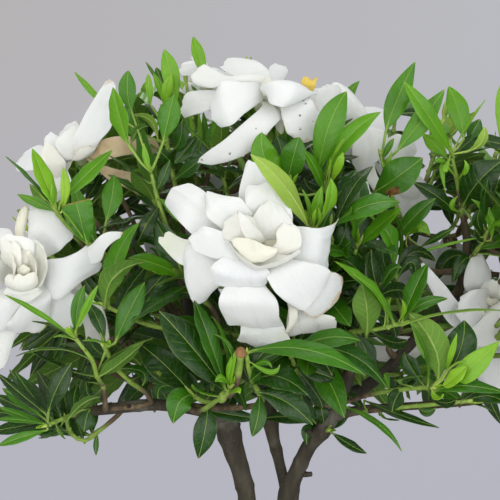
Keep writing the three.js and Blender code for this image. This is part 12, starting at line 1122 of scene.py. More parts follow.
[66.3,71.6,255.3,67.5,84.9,242.6,69.9,99.8,227,11.7,0.49,0.41,0.77,0.15,0.67,0,0,66.3,71.6,255.3],
[63.4,67.3,252.7,57.6,82.9,242.9,51.2,100.5,232.3,12.3,0.58,0.41,0.71,0.09,0.87,0,0,63.4,67.3,252.7],
[60.5,63.1,250.9,77.1,55.2,250,94.9,49.1,248,12,0.39,0.79,0.47,0.16,0.84,0,0,60.5,63.1,250.9],
[60.5,63.1,250.9,49.8,73.6,255,40.1,85.6,257.6,10.8,0.65,0.63,0.42,0.15,0.83,0,0,60.5,63.1,250.9],
[69.3,76,258,71.4,84.1,262.3,73.3,94,268.3,3.2,0.82,-0.57,0.08,0.16,0.15,0,0,69.3,76,258],
[63.6,82,228,69.2,89.8,220.1,75.4,98.9,210.8,8.7,0.16,0.48,0.86,0.1,0.38,0,0,63.6,82,228],
[63.6,82,228,62.4,99.9,223.3,60.8,121.1,213.7,9.2,1,-0.08,-0.02,0.19,0.46,0,0,63.6,82,228],
[63.6,82,228,73.2,89.7,228.8,83.1,98.5,227,8.5,-0.51,0.77,-0.38,0.16,0.39,0,0,63.6,82,228],
[60.8,77.1,227.3,55.5,90.8,219.1,51.1,106.1,208.6,10.3,0.81,0.39,0.44,0.08,0.62,0,0,60.8,77.1,227.3],
[60.8,77.1,227.3,67.9,84.9,234.2,75.3,92.6,238.2,11.1,0.29,0.73,-0.62,0.22,0.62,0,0,60.8,77.1,227.3],
[60.8,77.1,227.3,75.7,80.2,217.7,91.6,85,202.9,10.9,-0.07,0.87,0.48,0.19,0.58,0,0,60.8,77.1,227.3],
[58.1,72.3,226.6,50.8,85.9,234.8,44.6,101.2,239.8,11.1,0.74,0.67,-0.05,0.13,0.72,0,0,58.1,72.3,226.6],
[55.3,67.5,226.6,59.2,69.9,242.2,61.7,73.7,257.8,11.1,0.39,0.92,-0.08,0.1,0.81,0,0,55.3,67.5,226.6],
[88.5,58.6,219.8,91.1,70.3,214.8,94.9,82.9,207,8.7,0.92,-0.21,0.33,0.18,0.36,0,0,88.5,58.6,219.8],
[88.5,58.6,219.8,99.6,61.8,221.4,111.4,64.8,218.5,9.4,-0.26,0.73,-0.64,0.15,0.35,0,0,88.5,58.6,219.8],
[83.9,54.8,219.9,85.3,66.9,233.3,85,79.6,246.9,13,0.76,0.24,-0.6,0.08,0.58,0,0,83.9,54.8,219.9],
[83.9,54.8,219.9,101.9,52.8,216.9,121.5,52.2,211.1,12.3,0.06,1,0.04,0.1,0.6,0,0,83.9,54.8,219.9],
[79.4,50.9,220,71.3,68.6,217.3,64.8,87.8,208.5,14.1,0.92,0.38,0.05,0.15,0.71,0,0,79.4,50.9,220],
[79.4,50.9,220,93.7,45.2,216.6,109.4,40.6,211.7,9.7,0.32,0.94,0.1,0.11,0.73,0,0,79.4,50.9,220],
[74.9,47.1,220.9,76.6,56,235,79.8,66.3,243.6,10.6,0.79,0.61,-0.09,0.12,0.85,0,0,74.9,47.1,220.9],
[88.5,58.6,219.8,92.1,61.6,218.2,95.8,64.5,216.6,3.2,0.58,-0.79,-0.2,0.16,0.15,0,0,88.5,58.6,219.8],
[101.4,56.7,250,106.5,67.7,250.2,112.9,79.4,248.5,7.3,0.82,-0.39,0.43,0.16,0.25,0,0,101.4,56.7,250],
[101.4,56.7,250,113.1,60.9,255.8,126.2,66.1,258.2,8.8,0.13,0.88,-0.46,0.16,0.31,0,0,101.4,56.7,250],
[101.4,56.7,250,111.3,61.3,247.1,122.3,66.8,240.9,8.2,0,0.41,0.91,0.17,0.31,0,0,101.4,56.7,250],
[97.3,53.8,247.9,104.3,57.7,261.4,112.3,60.7,274.7,12.4,0.83,0.44,-0.33,0.09,0.47,0,0,97.3,53.8,247.9],
[97.3,53.8,247.9,110.7,48,247.8,125.4,43.1,244.7,9.2,0.37,0.84,0.39,0.22,0.56,0,0,97.3,53.8,247.9],
[97.3,53.8,247.9,110,68.6,237.4,128,86.2,225.4,11.2,0.64,0.12,0.76,0.12,0.48,0,0,97.3,53.8,247.9],
[93.4,51,245.9,104.4,45.9,255.5,116.9,41.8,262.7,11.3,0.58,0.81,0.14,0.11,0.72,0,0,93.4,51,245.9],
[93.4,51,245.9,93.3,67.1,234.2,95.1,84.4,220,12.6,0.77,0.22,0.6,0.15,0.59,0,0,93.4,51,245.9],
[89.5,48.2,244.7,100.4,36.1,235.6,113.2,25.3,225.7,13.5,0.71,0.57,0.42,0.15,0.77,0,0,89.5,48.2,244.7],
[101.4,56.7,250,104.9,60.3,250.6,108.5,63.9,251.1,3.2,0.58,-0.79,-0.22,0.16,0.15,0,0,101.4,56.7,250],
[48.1,49,256.3,53.2,60.2,257.8,59.4,72.3,258,8.9,0.71,-0.36,0.61,0.22,0.57,0,0,48.1,49,256.3],
[48.1,49,256.3,59.4,55.5,255.6,71.8,63,253,9.1,-0.13,0.3,0.94,0.17,0.64,0,0,48.1,49,256.3],
[45,46.5,253.6,44.5,55.6,266.7,45.2,65.7,279.3,10.8,0.92,0.37,0.15,0.17,0.79,0,0,45,46.5,253.6],
[45,46.5,253.6,59.2,44.1,256.1,74.6,42.7,256.6,10.1,0.12,0.87,0.48,0.16,0.72,0,0,45,46.5,253.6],
[45,46.5,253.6,51.5,58.3,242.4,59.4,71.3,230,10.3,0.51,0.23,0.83,0.11,0.81,0,0,45,46.5,253.6],
[42.1,44.2,251,43.6,58.6,237.4,46.8,74.5,219.3,12,0.63,0.33,0.71,0.16,0.94,0,0,42.1,44.2,251],
[48.1,49,256.3,52.1,51.6,257.6,56.2,54.3,259,3.2,0.64,-0.76,-0.07,0.16,0.15,0,0,48.1,49,256.3],
[96.9,70.4,265.8,105.7,78.8,265.1,115.5,88.1,261.3,7.7,0.04,0.02,1,0.14,0.43,0,0,96.9,70.4,265.8],
[92.4,66.1,261.9,91.7,80.8,258.6,92,96.5,253.2,10.3,0.72,0.12,0.68,0.1,0.6,0,0,92.4,66.1,261.9],
[92.4,66.1,261.9,106.9,64.6,258,122.5,64.2,252.7,10.6,0.18,0.7,0.69,0.16,0.61,0,0,92.4,66.1,261.9],
[88.1,62,258.2,100.7,57.3,245.1,113.1,53.7,227.4,12.7,0.41,0.62,0.67,0.19,0.76,0,0,88.1,62,258.2],
[96.9,70.4,265.8,100.4,73.7,267.2,103.8,77,268.7,3.2,0.71,-0.68,-0.18,0.16,0.15,0,0,96.9,70.4,265.8],
[103.7,43.4,232.5,114.1,49.1,234.6,125.8,55.5,232.9,7.4,0.29,0.02,-0.96,0.18,0.47,0,0,103.7,43.4,232.5],
[103.7,43.4,232.5,114.8,45,229.3,126.9,48.1,224,8.3,0.12,0.8,0.59,0.16,0.54,0,0,103.7,43.4,232.5],
[103.7,43.4,232.5,109.9,54.9,228.1,117.4,67.2,222.6,9.5,0.81,-0.38,0.45,0.13,0.49,0,0,103.7,43.4,232.5],
[98.2,40.6,231.7,109.2,32.6,231.8,120.2,24.1,226.6,11.6,0.49,0.87,-0.08,0.14,0.69,0,0,98.2,40.6,231.7],
[92.8,37.8,230.9,96,48.6,241.5,100.4,60,248.8,11.2,0.96,0.22,-0.17,0.18,0.78,0,0,92.8,37.8,230.9],
[87.4,35,230.8,95.7,29.3,243.6,105.7,24.5,251.6,11.9,0.85,0.53,0.06,0.1,0.92,0,0,87.4,35,230.8],
[103.7,43.4,232.5,107.7,46.5,231.6,111.7,49.5,230.7,3.2,0.46,-0.89,0,0.16,0.15,0,0,103.7,43.4,232.5],
[68.8,24.6,252,80.3,22.4,251.2,93,20.3,249.9,7.2,0.15,0.57,0.81,0.11,0.67,0,0,68.8,24.6,252],
[68.8,24.6,252,79.4,29.1,251.2,91.3,33.8,247.4,8.1,0.27,-0.54,0.79,0.2,0.61,0,0,68.8,24.6,252],
[68.8,24.6,252,80.2,25,259.6,93.2,25.6,263.1,8.5,0.73,0.23,-0.64,0.12,0.57,0,0,68.8,24.6,252],
[64.7,24.1,249.6,77.4,25,240.4,91.6,26,230.4,10.8,0.44,0.06,0.9,0.18,0.76,0,0,64.7,24.1,249.6],
[64.7,24.1,249.6,73.6,36.7,258.4,84.4,49.5,263.4,10.9,0.87,-0.47,0.17,0.1,0.72,0,0,64.7,24.1,249.6],
[64.7,24.1,249.6,75.1,13.9,256.9,87.2,3.8,262.6,11.9,0.74,0.64,0.21,0.14,0.85,0,0,64.7,24.1,249.6],
[60.8,23.7,247.4,66.3,41.5,240.4,73.9,59.4,232.6,14.2,0.81,-0.15,0.56,0.13,0.91,0,0,60.8,23.7,247.4],
[60.8,23.7,247.4,67.4,7.2,253.9,76.1,-9.2,256.5,13.1,0.84,0.36,0.4,0.1,0.94,0,0,60.8,23.7,247.4],
[68.8,24.6,252,73.8,24.3,252.9,78.8,24,253.8,3.2,0.12,-0.99,-0.1,0.16,0.15,0,0,68.8,24.6,252],
[56.4,97.1,244.5,65.8,106.8,244.7,75.8,118.1,243.8,9.7,-0.66,0.63,0.41,0.19,0.34,0,0,56.4,97.1,244.5],
[56.4,97.1,244.5,57.8,108.1,239.6,59.8,120.6,232.4,7.5,0.43,0.21,0.87,0.11,0.4,0,0,56.4,97.1,244.5],
[53.9,91.3,242.3,62.6,100,230.3,72,110.4,216.7,11.6,0.06,0.62,0.78,0.2,0.58,0,0,53.9,91.3,242.3],
[53.9,91.3,242.3,47.9,107.2,246.9,43.4,124.8,250,11.7,0.87,0.42,0.24,0.23,0.59,0,0,53.9,91.3,242.3],
[53.9,91.3,242.3,64.8,97.2,254.2,76.3,104.8,263.2,12.2,0.04,0.99,-0.11,0.24,0.47,0,0,53.9,91.3,242.3],
[51.6,85.6,240.1,42.8,98.8,234.2,34.7,113.6,223.5,11.1,0.66,0.54,0.53,0.15,0.63,0,0,51.6,85.6,240.1],
[51.6,85.6,240.1,64.4,88.7,249.7,77.9,93.5,255.1,11.8,0,1,0.06,0.18,0.64,0,0,51.6,85.6,240.1],
[49.2,80,238.7,35.9,89.9,247.6,24.1,102,256.6,11.6,0.51,0.8,0.31,0.2,0.81,0,0,49.2,80,238.7],
[49.2,80,238.7,63.3,76.5,234.5,78.1,74.6,227.4,9.1,0.25,0.88,0.4,0.21,0.7,0,0,49.2,80,238.7],
[28.6,48.9,233.3,38.8,56.1,231.9,49.8,64.4,226.9,9.2,-0.61,0.79,-0.05,0.23,0.66,0,0,28.6,48.9,233.3],
[28.6,48.9,233.3,35,56.1,226.7,42.2,64.3,218.3,7.6,0.12,0.45,0.88,0.16,0.58,0,0,28.6,48.9,233.3],
[28.6,48.9,233.3,32.2,62.2,232.3,36.8,76.7,227.7,10.2,0.95,-0.3,-0.11,0.15,0.56,0,0,28.6,48.9,233.3],
[26.2,45.6,232.7,38.4,47.3,220.4,51.7,50.6,202.9,11,0.12,0.83,0.55,0.23,0.81,0,0,26.2,45.6,232.7],
[26.2,45.6,232.7,21.8,58.5,227.2,18.3,72.7,219.1,10.4,0.9,0.3,0.3,0.12,0.8,0,0,26.2,45.6,232.7],
[26.2,45.6,232.7,36.6,53.8,245.1,48.2,63.7,253.5,11.1,0.41,0.81,-0.41,0.14,0.76,0,0,26.2,45.6,232.7],
[23.9,42.4,232.2,27.7,49.3,245.6,32.6,57.6,257.2,9.6,0.59,0.79,-0.16,0.19,0.92,0,0,23.9,42.4,232.2],
[52.1,61.8,227.6,55.1,66.4,215.3,56.1,69.2,203.8,7.9,-0.02,-1,0.54,0.21,0.84,0,0,52.1,61.8,227.6],
[65.8,39.3,224.3,68.4,40.8,213.8,69.9,47.8,202.9,7,-0.01,-1,0.39,0.21,0.88,0,0,65.8,39.3,224.3],
[65.8,39.3,224.3,59.3,43.3,218.8,52.7,45.9,214.5,6,-0.03,-1,0.44,0.21,0.93,0,0,65.8,39.3,224.3],
]),
"leaves_back_5":(0,[[[62.9,-4,251.1,1.6],[69.5,2.1,249.3,1.51],[76.3,5.8,247.4,1.42],[83.5,7.3,245.9,1.33],[91.4,6.8,245.1,1.24],[99.9,4.6,245.5,1.15],[112.3,4.3,247.1,1],[124.7,4,252.8,0.7]],[[83.5,7.3,245.9,1.15],[85.8,4.1,246.4,1.15],[86.4,0.3,247,1.15],[86.4,-3.6,247.6,1.15],[86.6,-6.8,248.5,1.15],[88.2,-9,249.6,1.15],[103.3,-13.3,254.6,1],[118.5,-17.5,263.6,0.7]],[[91.4,6.8,245.1,1.15],[91.1,9.7,243.6,1.15],[90.3,12.9,242.2,1.15],[89.8,15.8,240.8,1.15],[90.3,18.2,239.9,1.15],[92.5,19.6,239.5,1.15],[104.3,22.4,239.2,1],[116.1,25.1,243,0.7]],[[99.9,4.6,245.5,1.15],[99.9,6.9,246.8,1.15],[99.4,9.4,248.3,1.15],[99.2,11.7,249.7,1.15],[99.7,13.5,251.1,1.15],[101.5,14.5,252.3,1.15],[116.8,16.5,258.7,1],[132.2,18.6,269.1,0.7]],[[85.8,4.1,246.4,1.15],[84.7,2.5,243.5,1.15],[83.1,0.8,240.4,1.15],[81.7,-0.8,237.5,1.15],[81.5,-2.1,235.4,1.15],[83.5,-3,234.4,1.15],[99.4,-5.8,233.2,1],[115.4,-8.7,236.1,0.7]],[[99.6,-12.2,253.3,1.15],[99.4,-9.6,255,1.15],[98.8,-6.8,256.8,1.15],[98.5,-4.1,258.5,1.15],[98.9,-2.2,260.3,1.15],[100.9,-1.7,261.9,1.15],[113.2,-3.2,268.7,1],[125.6,-4.7,279.5,0.7]],[[81.5,-2.1,235.4,1.15],[79.8,0.6,234.4,1.15],[77.4,3.6,233.6,1.15],[75.4,6.3,232.8,1.15],[74.6,8.4,232.1,1.15],[76.2,9.4,231.3,1.15],[89.9,10.4,227.7,1],[103.5,11.4,228.1,0.7]],[[90.3,18.2,239.9,1.15],[89.5,20.3,241.4,1.15],[88.3,22.5,243.1,1.15],[87.3,24.6,244.8,1.15],[87.2,26.4,246.2,1.15],[88.8,27.8,247.2,1.15],[103.3,33.6,251.3,1],[117.8,39.4,259.4,0.7]],[[81.5,-2.1,235.4,1.15],[78.5,-6.3,236.2,1.15],[77.2,-10.1,237.1,1.15],[77.9,-13.3,238.1,1.15],[80.5,-15.8,238.9,1.15],[85.3,-17.3,239.4,1.15],[100.1,-24,240.8,1],[114.9,-30.7,246.3,0.7]],[[100.9,-1.7,261.9,1.15],[99.7,0.7,264,1.15],[98,3.3,266.1,1.15],[96.7,5.7,268.2,1.15],[96.4,7.5,270.4,1.15],[97.9,8.3,272.6,1.15],[109,8.7,281.9,1],[120.1,9.1,295.1,0.7]],[[105.3,15,253.9,1.15],[104.5,17.4,255.9,1.15],[103.2,19.9,258,1.15],[102.1,22.3,260.1,1.15],[102,24.2,262.1,1.15],[103.7,25.5,264.1,1.15],[116.8,29.4,273.2,1],[129.8,33.2,286.3,0.7]],[[62.9,-4,251.1,1.2],[56.1,1.4,246.4,1.19],[47.3,5.3,241.7,1.18],[39.1,6.9,237.4,1.17],[34.5,5.6,233.9,1.16],[36.2,0.4,231.6,1.15],[44.8,-6.3,229.4,1],[53.4,-13.1,231.3,0.7]]],[
[124.7,4,252.8,136.5,1.5,259.9,149.9,-1.1,265,10.2,0.71,0.41,-0.57,0.21,0.43,0,0,124.7,4,252.8],
[124.7,4,252.8,136.7,0,248.2,150.2,-4,240.3,8.6,0.34,0.35,0.87,0.16,0.35,0,0,124.7,4,252.8],
[124.7,4,252.8,134.6,10.1,253,145.8,16.1,252.1,7.4,0.46,-0.76,0.47,0.15,0.34,0,0,124.7,4,252.8],
[119.6,4.1,250.4,129.9,-8.6,253.1,142,-21.4,255.1,11.5,0.74,0.59,0.32,0.15,0.61,0,0,119.6,4.1,250.4],
[119.6,4.1,250.4,128.9,10.8,241.3,139.8,17.4,229.7,8.7,0.63,-0.28,0.73,0.11,0.66,0,0,119.6,4.1,250.4],
[119.6,4.1,250.4,127.6,9.2,261,137.2,14.2,269.7,9.9,0.93,-0.34,-0.12,0.1,0.56,0,0,119.6,4.1,250.4],
[114.7,4.2,248.2,117.4,9.1,262.5,121.9,14,273.5,10,0.97,-0.11,0.21,0.19,0.7,0,0,114.7,4.2,248.2],
[109.8,4.3,246.8,112.4,9.5,233.2,116.6,14.7,217.9,10.3,0.88,-0.04,0.47,0.13,0.75,0,0,109.8,4.3,246.8],
[109.8,4.3,246.8,109.2,-6.3,261.1,110.6,-16.1,271.3,11.7,0.92,0.02,0.38,0.1,0.82,0,0,109.8,4.3,246.8],
[118.5,-17.5,263.6,127.3,-22.9,261.1,136.3,-29,255.9,8.2,0.24,0.1,0.97,0.2,0.49,0,0,118.5,-17.5,263.6],
[112.2,-15.8,259.9,128.8,-7.8,258.2,147.1,-0.4,251.7,12.7,0.36,-0.67,0.65,0.12,0.61,0,0,112.2,-15.8,259.9],
[112.2,-15.8,259.9,121.1,-16.9,274,131.7,-18.6,285.2,10.5,0.92,-0.35,-0.18,0.18,0.69,0,0,112.2,-15.8,259.9],
[112.2,-15.8,259.9,122.5,-30.5,255.2,134.6,-45.7,248.4,13.4,0.62,0.29,0.73,0.11,0.59,0,0,112.2,-15.8,259.9],
[106.2,-14.1,256.3,114.6,-2.6,262.7,124.5,8.5,267.7,10.8,0.72,-0.56,0.4,0.14,0.81,0,0,106.2,-14.1,256.3],
[106.2,-14.1,256.3,111.9,-30.5,252.8,119.4,-47.5,248.3,12,0.75,0.19,0.63,0.19,0.81,0,0,106.2,-14.1,256.3],
[100.2,-12.4,253.6,107.1,-3.2,242.6,114.6,8.6,230.9,10.7,0.67,-0.27,0.69,0.16,0.95,0,0,100.2,-12.4,253.6],
[118.5,-17.5,263.6,123.3,-18.4,264.8,128.1,-19.4,266,3.2,-0.32,-0.92,0.23,0.16,0.15,0,0,118.5,-17.5,263.6],
[116.1,25.1,243,126.5,25.4,237.4,138.2,26.1,229.6,7.4,0.32,0.33,0.89,0.22,0.43,0,0,116.1,25.1,243],
[116.1,25.1,243,122.3,35.4,241.1,128.6,47,235.3,8,0.69,-0.7,0.17,0.08,0.5,0,0,116.1,25.1,243],
[116.1,25.1,243,128.5,24.5,247.2,142.5,24.3,248.9,8.3,0.35,0.8,-0.49,0.17,0.49,0,0,116.1,25.1,243],
[111.3,24,241.5,118.5,35.1,231.5,127.6,46.5,219.4,11.3,0.75,-0.19,0.63,0.22,0.67,0,0,111.3,24,241.5],
[111.3,24,241.5,120.6,26.6,251.6,131.4,29.5,259.1,9,0.9,0.18,-0.39,0.19,0.69,0,0,111.3,24,241.5],
[111.3,24,241.5,121.4,16.4,234.8,133,9.1,226.8,8.5,0.6,0.58,0.55,0.21,0.68,0,0,111.3,24,241.5],
[106.6,22.9,240,107.2,41.2,243,109.3,60.5,241.2,13.1,0.98,-0.05,0.21,0.1,0.87,0,0,106.6,22.9,240],
[101.9,21.8,239.3,101.6,19,255,101.9,16.7,268.1,10.9,0.94,0.24,0.24,0.09,0.87,0,0,101.9,21.8,239.3],
[116.1,25.1,243,121.2,25.6,243,126.2,26.1,243,3.2,0.23,-0.95,0.23,0.16,0.15,0,0,116.1,25.1,243],
[132.2,18.6,269.1,142.4,23.3,272.5,153.9,27.6,273.8,9.2,0.61,-0.79,0.08,0.09,0.37,0,0,132.2,18.6,269.1],
[132.2,18.6,269.1,142.2,13.7,275.8,153.7,8.9,282.2,8.8,0.54,0.83,0.15,0.14,0.3,0,0,132.2,18.6,269.1],
[132.2,18.6,269.1,146.2,20.3,268.5,161.8,22.3,264.9,10,0.02,0.02,1,0.18,0.34,0,0,132.2,18.6,269.1],
[125.8,17.7,264.8,131,13.5,280.4,137.9,9.5,294.8,12.1,0.94,0.31,0.15,0.12,0.55,0,0,125.8,17.7,264.8],
[125.8,17.7,264.8,140.9,9.4,259,157.8,1.4,249.9,11.5,0.43,0.42,0.8,0.23,0.55,0,0,125.8,17.7,264.8],
[125.8,17.7,264.8,136.4,35,261.8,149.9,53.5,252.6,11.5,0.71,-0.41,0.57,0.17,0.52,0,0,125.8,17.7,264.8],
[119.7,16.9,260.7,127.6,2.8,268.5,137.4,-11.1,273.1,12,0.75,0.48,0.45,0.22,0.73,0,0,119.7,16.9,260.7],
[119.7,16.9,260.7,124,36.3,261.7,130.3,55.9,258.5,14.4,0.79,-0.19,0.58,0.12,0.62,0,0,119.7,16.9,260.7],
[113.6,16.1,257.4,121.8,6.2,246.7,131.7,-3.5,232.1,11.6,0.72,0.19,0.66,0.21,0.69,0,0,113.6,16.1,257.4],
[113.6,16.1,257.4,107.4,24.6,271,102,32.2,284.5,11.4,0.82,0.09,0.56,0.08,0.67,0,0,113.6,16.1,257.4],
[115.4,-8.7,236.1,127.4,-9.9,238.8,140.9,-11.3,240,7.6,0.28,-0.37,-0.89,0.22,0.4,0,0,115.4,-8.7,236.1],
[108.9,-7.5,234.9,119.7,-20.2,241.5,133.4,-33.2,244.4,11.5,0.95,0.27,-0.16,0.17,0.67,0,0,108.9,-7.5,234.9],
[108.9,-7.5,234.9,120.7,0.8,234.1,134.2,8.9,232.6,9.1,0.57,-0.8,0.19,0.23,0.58,0,0,108.9,-7.5,234.9],
[102.6,-6.4,233.8,107,5.5,240.6,111.5,16.8,243.5,11.2,0.89,-0.44,0.08,0.16,0.88,0,0,102.6,-6.4,233.8],
[96.3,-5.3,233.5,101.3,-5.8,251.4,108.9,-4.5,268.9,12.6,0.99,-0.14,0.08,0.13,0.87,0,0,96.3,-5.3,233.5],
[125.6,-4.7,279.5,136.9,-3.7,279.2,149.3,-2.9,277.6,7.2,0.04,-0.27,0.96,0.11,0.34,0,0,125.6,-4.7,279.5],
[120.4,-4,274.9,131.9,7.5,276.9,144.9,18.9,275.8,10,0.49,-0.55,0.67,0.21,0.6,0,0,120.4,-4,274.9],
[120.4,-4,274.9,125.4,-8.8,289.5,131.9,-13.8,301.9,10.6,0.99,0.14,0.09,0.22,0.56,0,0,120.4,-4,274.9],
[120.4,-4,274.9,132.9,-14,268.6,147,-24.1,259.4,12,0.45,0.2,0.87,0.16,0.67,0,0,120.4,-4,274.9],
[115.5,-3.5,270.7,119.3,3.6,278.5,126.3,10,282.5,9.9,0.85,-0.27,0.45,0.17,0.7,0,0,115.5,-3.5,270.7],
[115.5,-3.5,270.7,125.9,-15.5,264,138,-27.8,256.8,12.6,0.55,0.17,0.82,0.14,0.8,0,0,115.5,-3.5,270.7],
[110.6,-2.9,267.2,120.3,0.9,254.7,131.6,4.4,241.2,11.2,0.65,-0.12,0.75,0.2,0.9,0,0,110.6,-2.9,267.2],
[125.6,-4.7,279.5,130,-5.3,281.7,134.4,-5.9,283.9,3.2,-0.03,-0.99,-0.17,0.16,0.15,0,0,125.6,-4.7,279.5],
[103.5,11.4,228.1,111.8,17.6,223.2,121.4,24,215.4,8.4,0.59,-0.67,0.45,0.24,0.54,0,0,103.5,11.4,228.1],
[103.5,11.4,228.1,118.9,16.6,230.9,137.1,23.1,228.7,10,0.43,-0.26,-0.87,0.2,0.49,0,0,103.5,11.4,228.1],
[98,11,228,108.5,21,230.2,120.7,31.1,229.9,10.2,0.75,-0.61,-0.25,0.14,0.74,0,0,98,11,228],
[98,11,228,111.1,1.7,230.3,126.1,-7.5,229.3,10.7,0.65,0.72,-0.24,0.19,0.71,0,0,98,11,228],
[92.6,10.6,227.8,101.2,10.7,237.5,110.2,11.5,244.6,10.6,0.9,0.13,-0.41,0.16,0.92,0,0,92.6,10.6,227.8],
[87.2,10.2,228.4,91.9,1.3,235.9,99,-4.9,239.3,11.2,0.99,0.12,0.04,0.19,0.93,0,0,87.2,10.2,228.4],
[87.2,10.2,228.4,84.2,25.7,220.2,83.2,41.5,205.9,12.8,1,0.04,0.08,0.18,0.88,0,0,87.2,10.2,228.4],
[117.8,39.4,259.4,125.9,41.8,270,134.2,43.1,280.3,10.4,0.8,-0.08,-0.59,0.09,0.49,0,0,117.8,39.4,259.4],
[111.8,37,256.1,116.5,49.6,260.1,122.6,62.7,264,10,0.89,-0.32,0.31,0.11,0.6,0,0,111.8,37,256.1],
[111.8,37,256.1,124.3,36.9,244.9,138.4,37.5,233.4,10.9,0.47,0.35,0.81,0.13,0.59,0,0,111.8,37,256.1],
[106.1,34.7,252.9,112.9,38.5,237.6,121.4,43.1,221.8,11.9,0.7,0.26,0.67,0.23,0.82,0,0,106.1,34.7,252.9],
[100.3,32.4,250.5,103.2,20.6,259.4,107.7,9.4,265.8,10.4,0.81,0.33,0.49,0.22,0.77,0,0,100.3,32.4,250.5],
[100.3,32.4,250.5,100.8,46.9,242.9,103,62.2,232.6,10.4,0.8,0.12,0.58,0.2,0.9,0,0,100.3,32.4,250.5],
[114.9,-30.7,246.3,121.2,-41.6,246.9,128.9,-53.1,245.6,8.9,0.82,0.48,0.32,0.22,0.41,0,0,114.9,-30.7,246.3],
[114.9,-30.7,246.3,130.3,-34.7,246.5,148.8,-40.1,242.3,8.3,0.3,-0.79,-0.53,0.2,0.49,0,0,114.9,-30.7,246.3],
[108.9,-28,244,124.5,-18.7,247.3,142,-10.3,247.5,12.6,0.52,-0.82,0.25,0.11,0.64,0,0,108.9,-28,244],
[108.9,-28,244,111.9,-39.5,253,115.4,-52.5,260.9,10.7,0.99,-0.04,-0.12,0.21,0.66,0,0,108.9,-28,244],
[103,-25.3,241.9,102.2,-43,251,103.5,-61.6,257,13.7,0.97,-0.12,0.21,0.19,0.87,0,0,103,-25.3,241.9],
[97.1,-22.7,240.6,93.1,-35.6,235,90.7,-49.3,226.4,8.8,0.87,-0.3,0.39,0.22,0.86,0,0,97.1,-22.7,240.6],
[114.9,-30.7,246.3,119.2,-33.4,246.5,123.5,-36,246.6,3.2,-0.41,-0.91,0.05,0.16,0.15,0,0,114.9,-30.7,246.3],
[120.1,9.1,295.1,126.9,15.4,305.1,135,21.7,313.6,8.7,0.66,-0.68,0.31,0.13,0.38,0,0,120.1,9.1,295.1],
[115.4,9,289.6,124.5,23.3,291.5,134.9,37.6,290.3,12.2,0.48,-0.38,0.79,0.18,0.5,0,0,115.4,9,289.6],
[115.4,9,289.6,114.8,8.7,303.5,115.2,8.4,314.3,10.1,0.92,0.05,0.38,0.09,0.5,0,0,115.4,9,289.6],
[111,8.8,284.4,124.2,16.2,274.7,138.8,23.7,262,11.1,0.48,-0.06,0.88,0.19,0.71,0,0,111,8.8,284.4],
[111,8.8,284.4,105.8,5.7,300.7,102,2.7,313.2,11.2,0.81,0.08,0.58,0.21,0.71,0,0,111,8.8,284.4],
[106.6,8.6,279.9,109,23.1,279.4,112.5,37.6,278.4,10.8,0.62,-0.08,0.78,0.23,0.75,0,0,106.6,8.6,279.9],
[106.6,8.6,279.9,105.8,-5.8,285.9,106.4,-20.1,291.8,9.9,0.66,0.15,0.74,0.2,0.85,0,0,106.6,8.6,279.9],
[120.1,9.1,295.1,124,9.3,298.2,127.9,9.4,301.3,3.2,0.04,-1,0,0.16,0.15,0,0,120.1,9.1,295.1],
[129.8,33.2,286.3,141,38.1,285.6,153.3,43.4,284.3,8.4,0.1,-0.11,0.99,0.2,0.51,0,0,129.8,33.2,286.3],
[129.8,33.2,286.3,133.8,39.2,294.8,138.8,45.4,301.9,7.5,0.93,-0.34,0.16,0.14,0.5,0,0,129.8,33.2,286.3],
[124.4,31.6,280.8,133,47.8,282.8,143.1,64.5,280.9,11.1,0.56,-0.35,0.75,0.14,0.66,0,0,124.4,31.6,280.8],
[124.4,31.6,280.8,122.6,31.5,299.6,120.4,32.9,318,11.5,0.89,0.38,0.28,0.08,0.64,0,0,124.4,31.6,280.8],
[124.4,31.6,280.8,142.5,28.3,278.8,162.2,25.4,275.4,12.6,0.14,0.41,0.9,0.2,0.67,0,0,124.4,31.6,280.8],
[119.2,30.1,275.7,118,39.2,289.3,118.2,48.7,300.6,10.6,0.9,-0.03,0.43,0.2,0.81,0,0,119.2,30.1,275.7],
[119.2,30.1,275.7,135.2,23.8,265.6,153,18.1,253.4,11.9,0.47,0.29,0.84,0.13,0.86,0,0,119.2,30.1,275.7],
[114,28.6,271.3,110.7,24.8,283.1,109.3,22.4,293.2,10.6,0.71,0.24,0.66,0.18,0.78,0,0,114,28.6,271.3],
[114,28.6,271.3,119.6,39.6,262,126.6,50.9,252,10.9,0.62,0.1,0.78,0.17,0.88,0,0,114,28.6,271.3],
[129.8,33.2,286.3,133.9,34.6,288.9,137.9,36.1,291.5,3.2,0.34,-0.94,-0.09,0.16,0.15,0,0,129.8,33.2,286.3],
[53.4,-13.1,231.3,59.7,-21.4,235.1,67.1,-30.5,237.6,7.2,0.73,0.03,-0.68,0.13,0.66,0,0,53.4,-13.1,231.3],
[53.4,-13.1,231.3,59,-20.9,229.2,66.4,-28.1,227,9.1,0.81,0.19,0.56,0.16,0.63,0,0,53.4,-13.1,231.3],
[53.4,-13.1,231.3,65.2,-15.5,225.6,78.3,-19,218.3,9.2,-0.01,-0.79,0.62,0.11,0.63,0,0,53.4,-13.1,231.3],
[49.9,-10.4,230.5,50.1,-24.5,228.3,51.6,-39.7,223.6,9,0.98,0.03,0.2,0.17,0.84,0,0,49.9,-10.4,230.5],
[49.9,-10.4,230.5,64.2,-10,235.6,79.2,-11.6,238.6,12,0.31,-0.93,-0.17,0.15,0.72,0,0,49.9,-10.4,230.5],
[85.3,10,228.9,92.7,11.3,215.6,100.3,18.9,201.8,6.3,0,-1,0.56,0.21,0.92,0,0,85.3,10,228.9],
]),
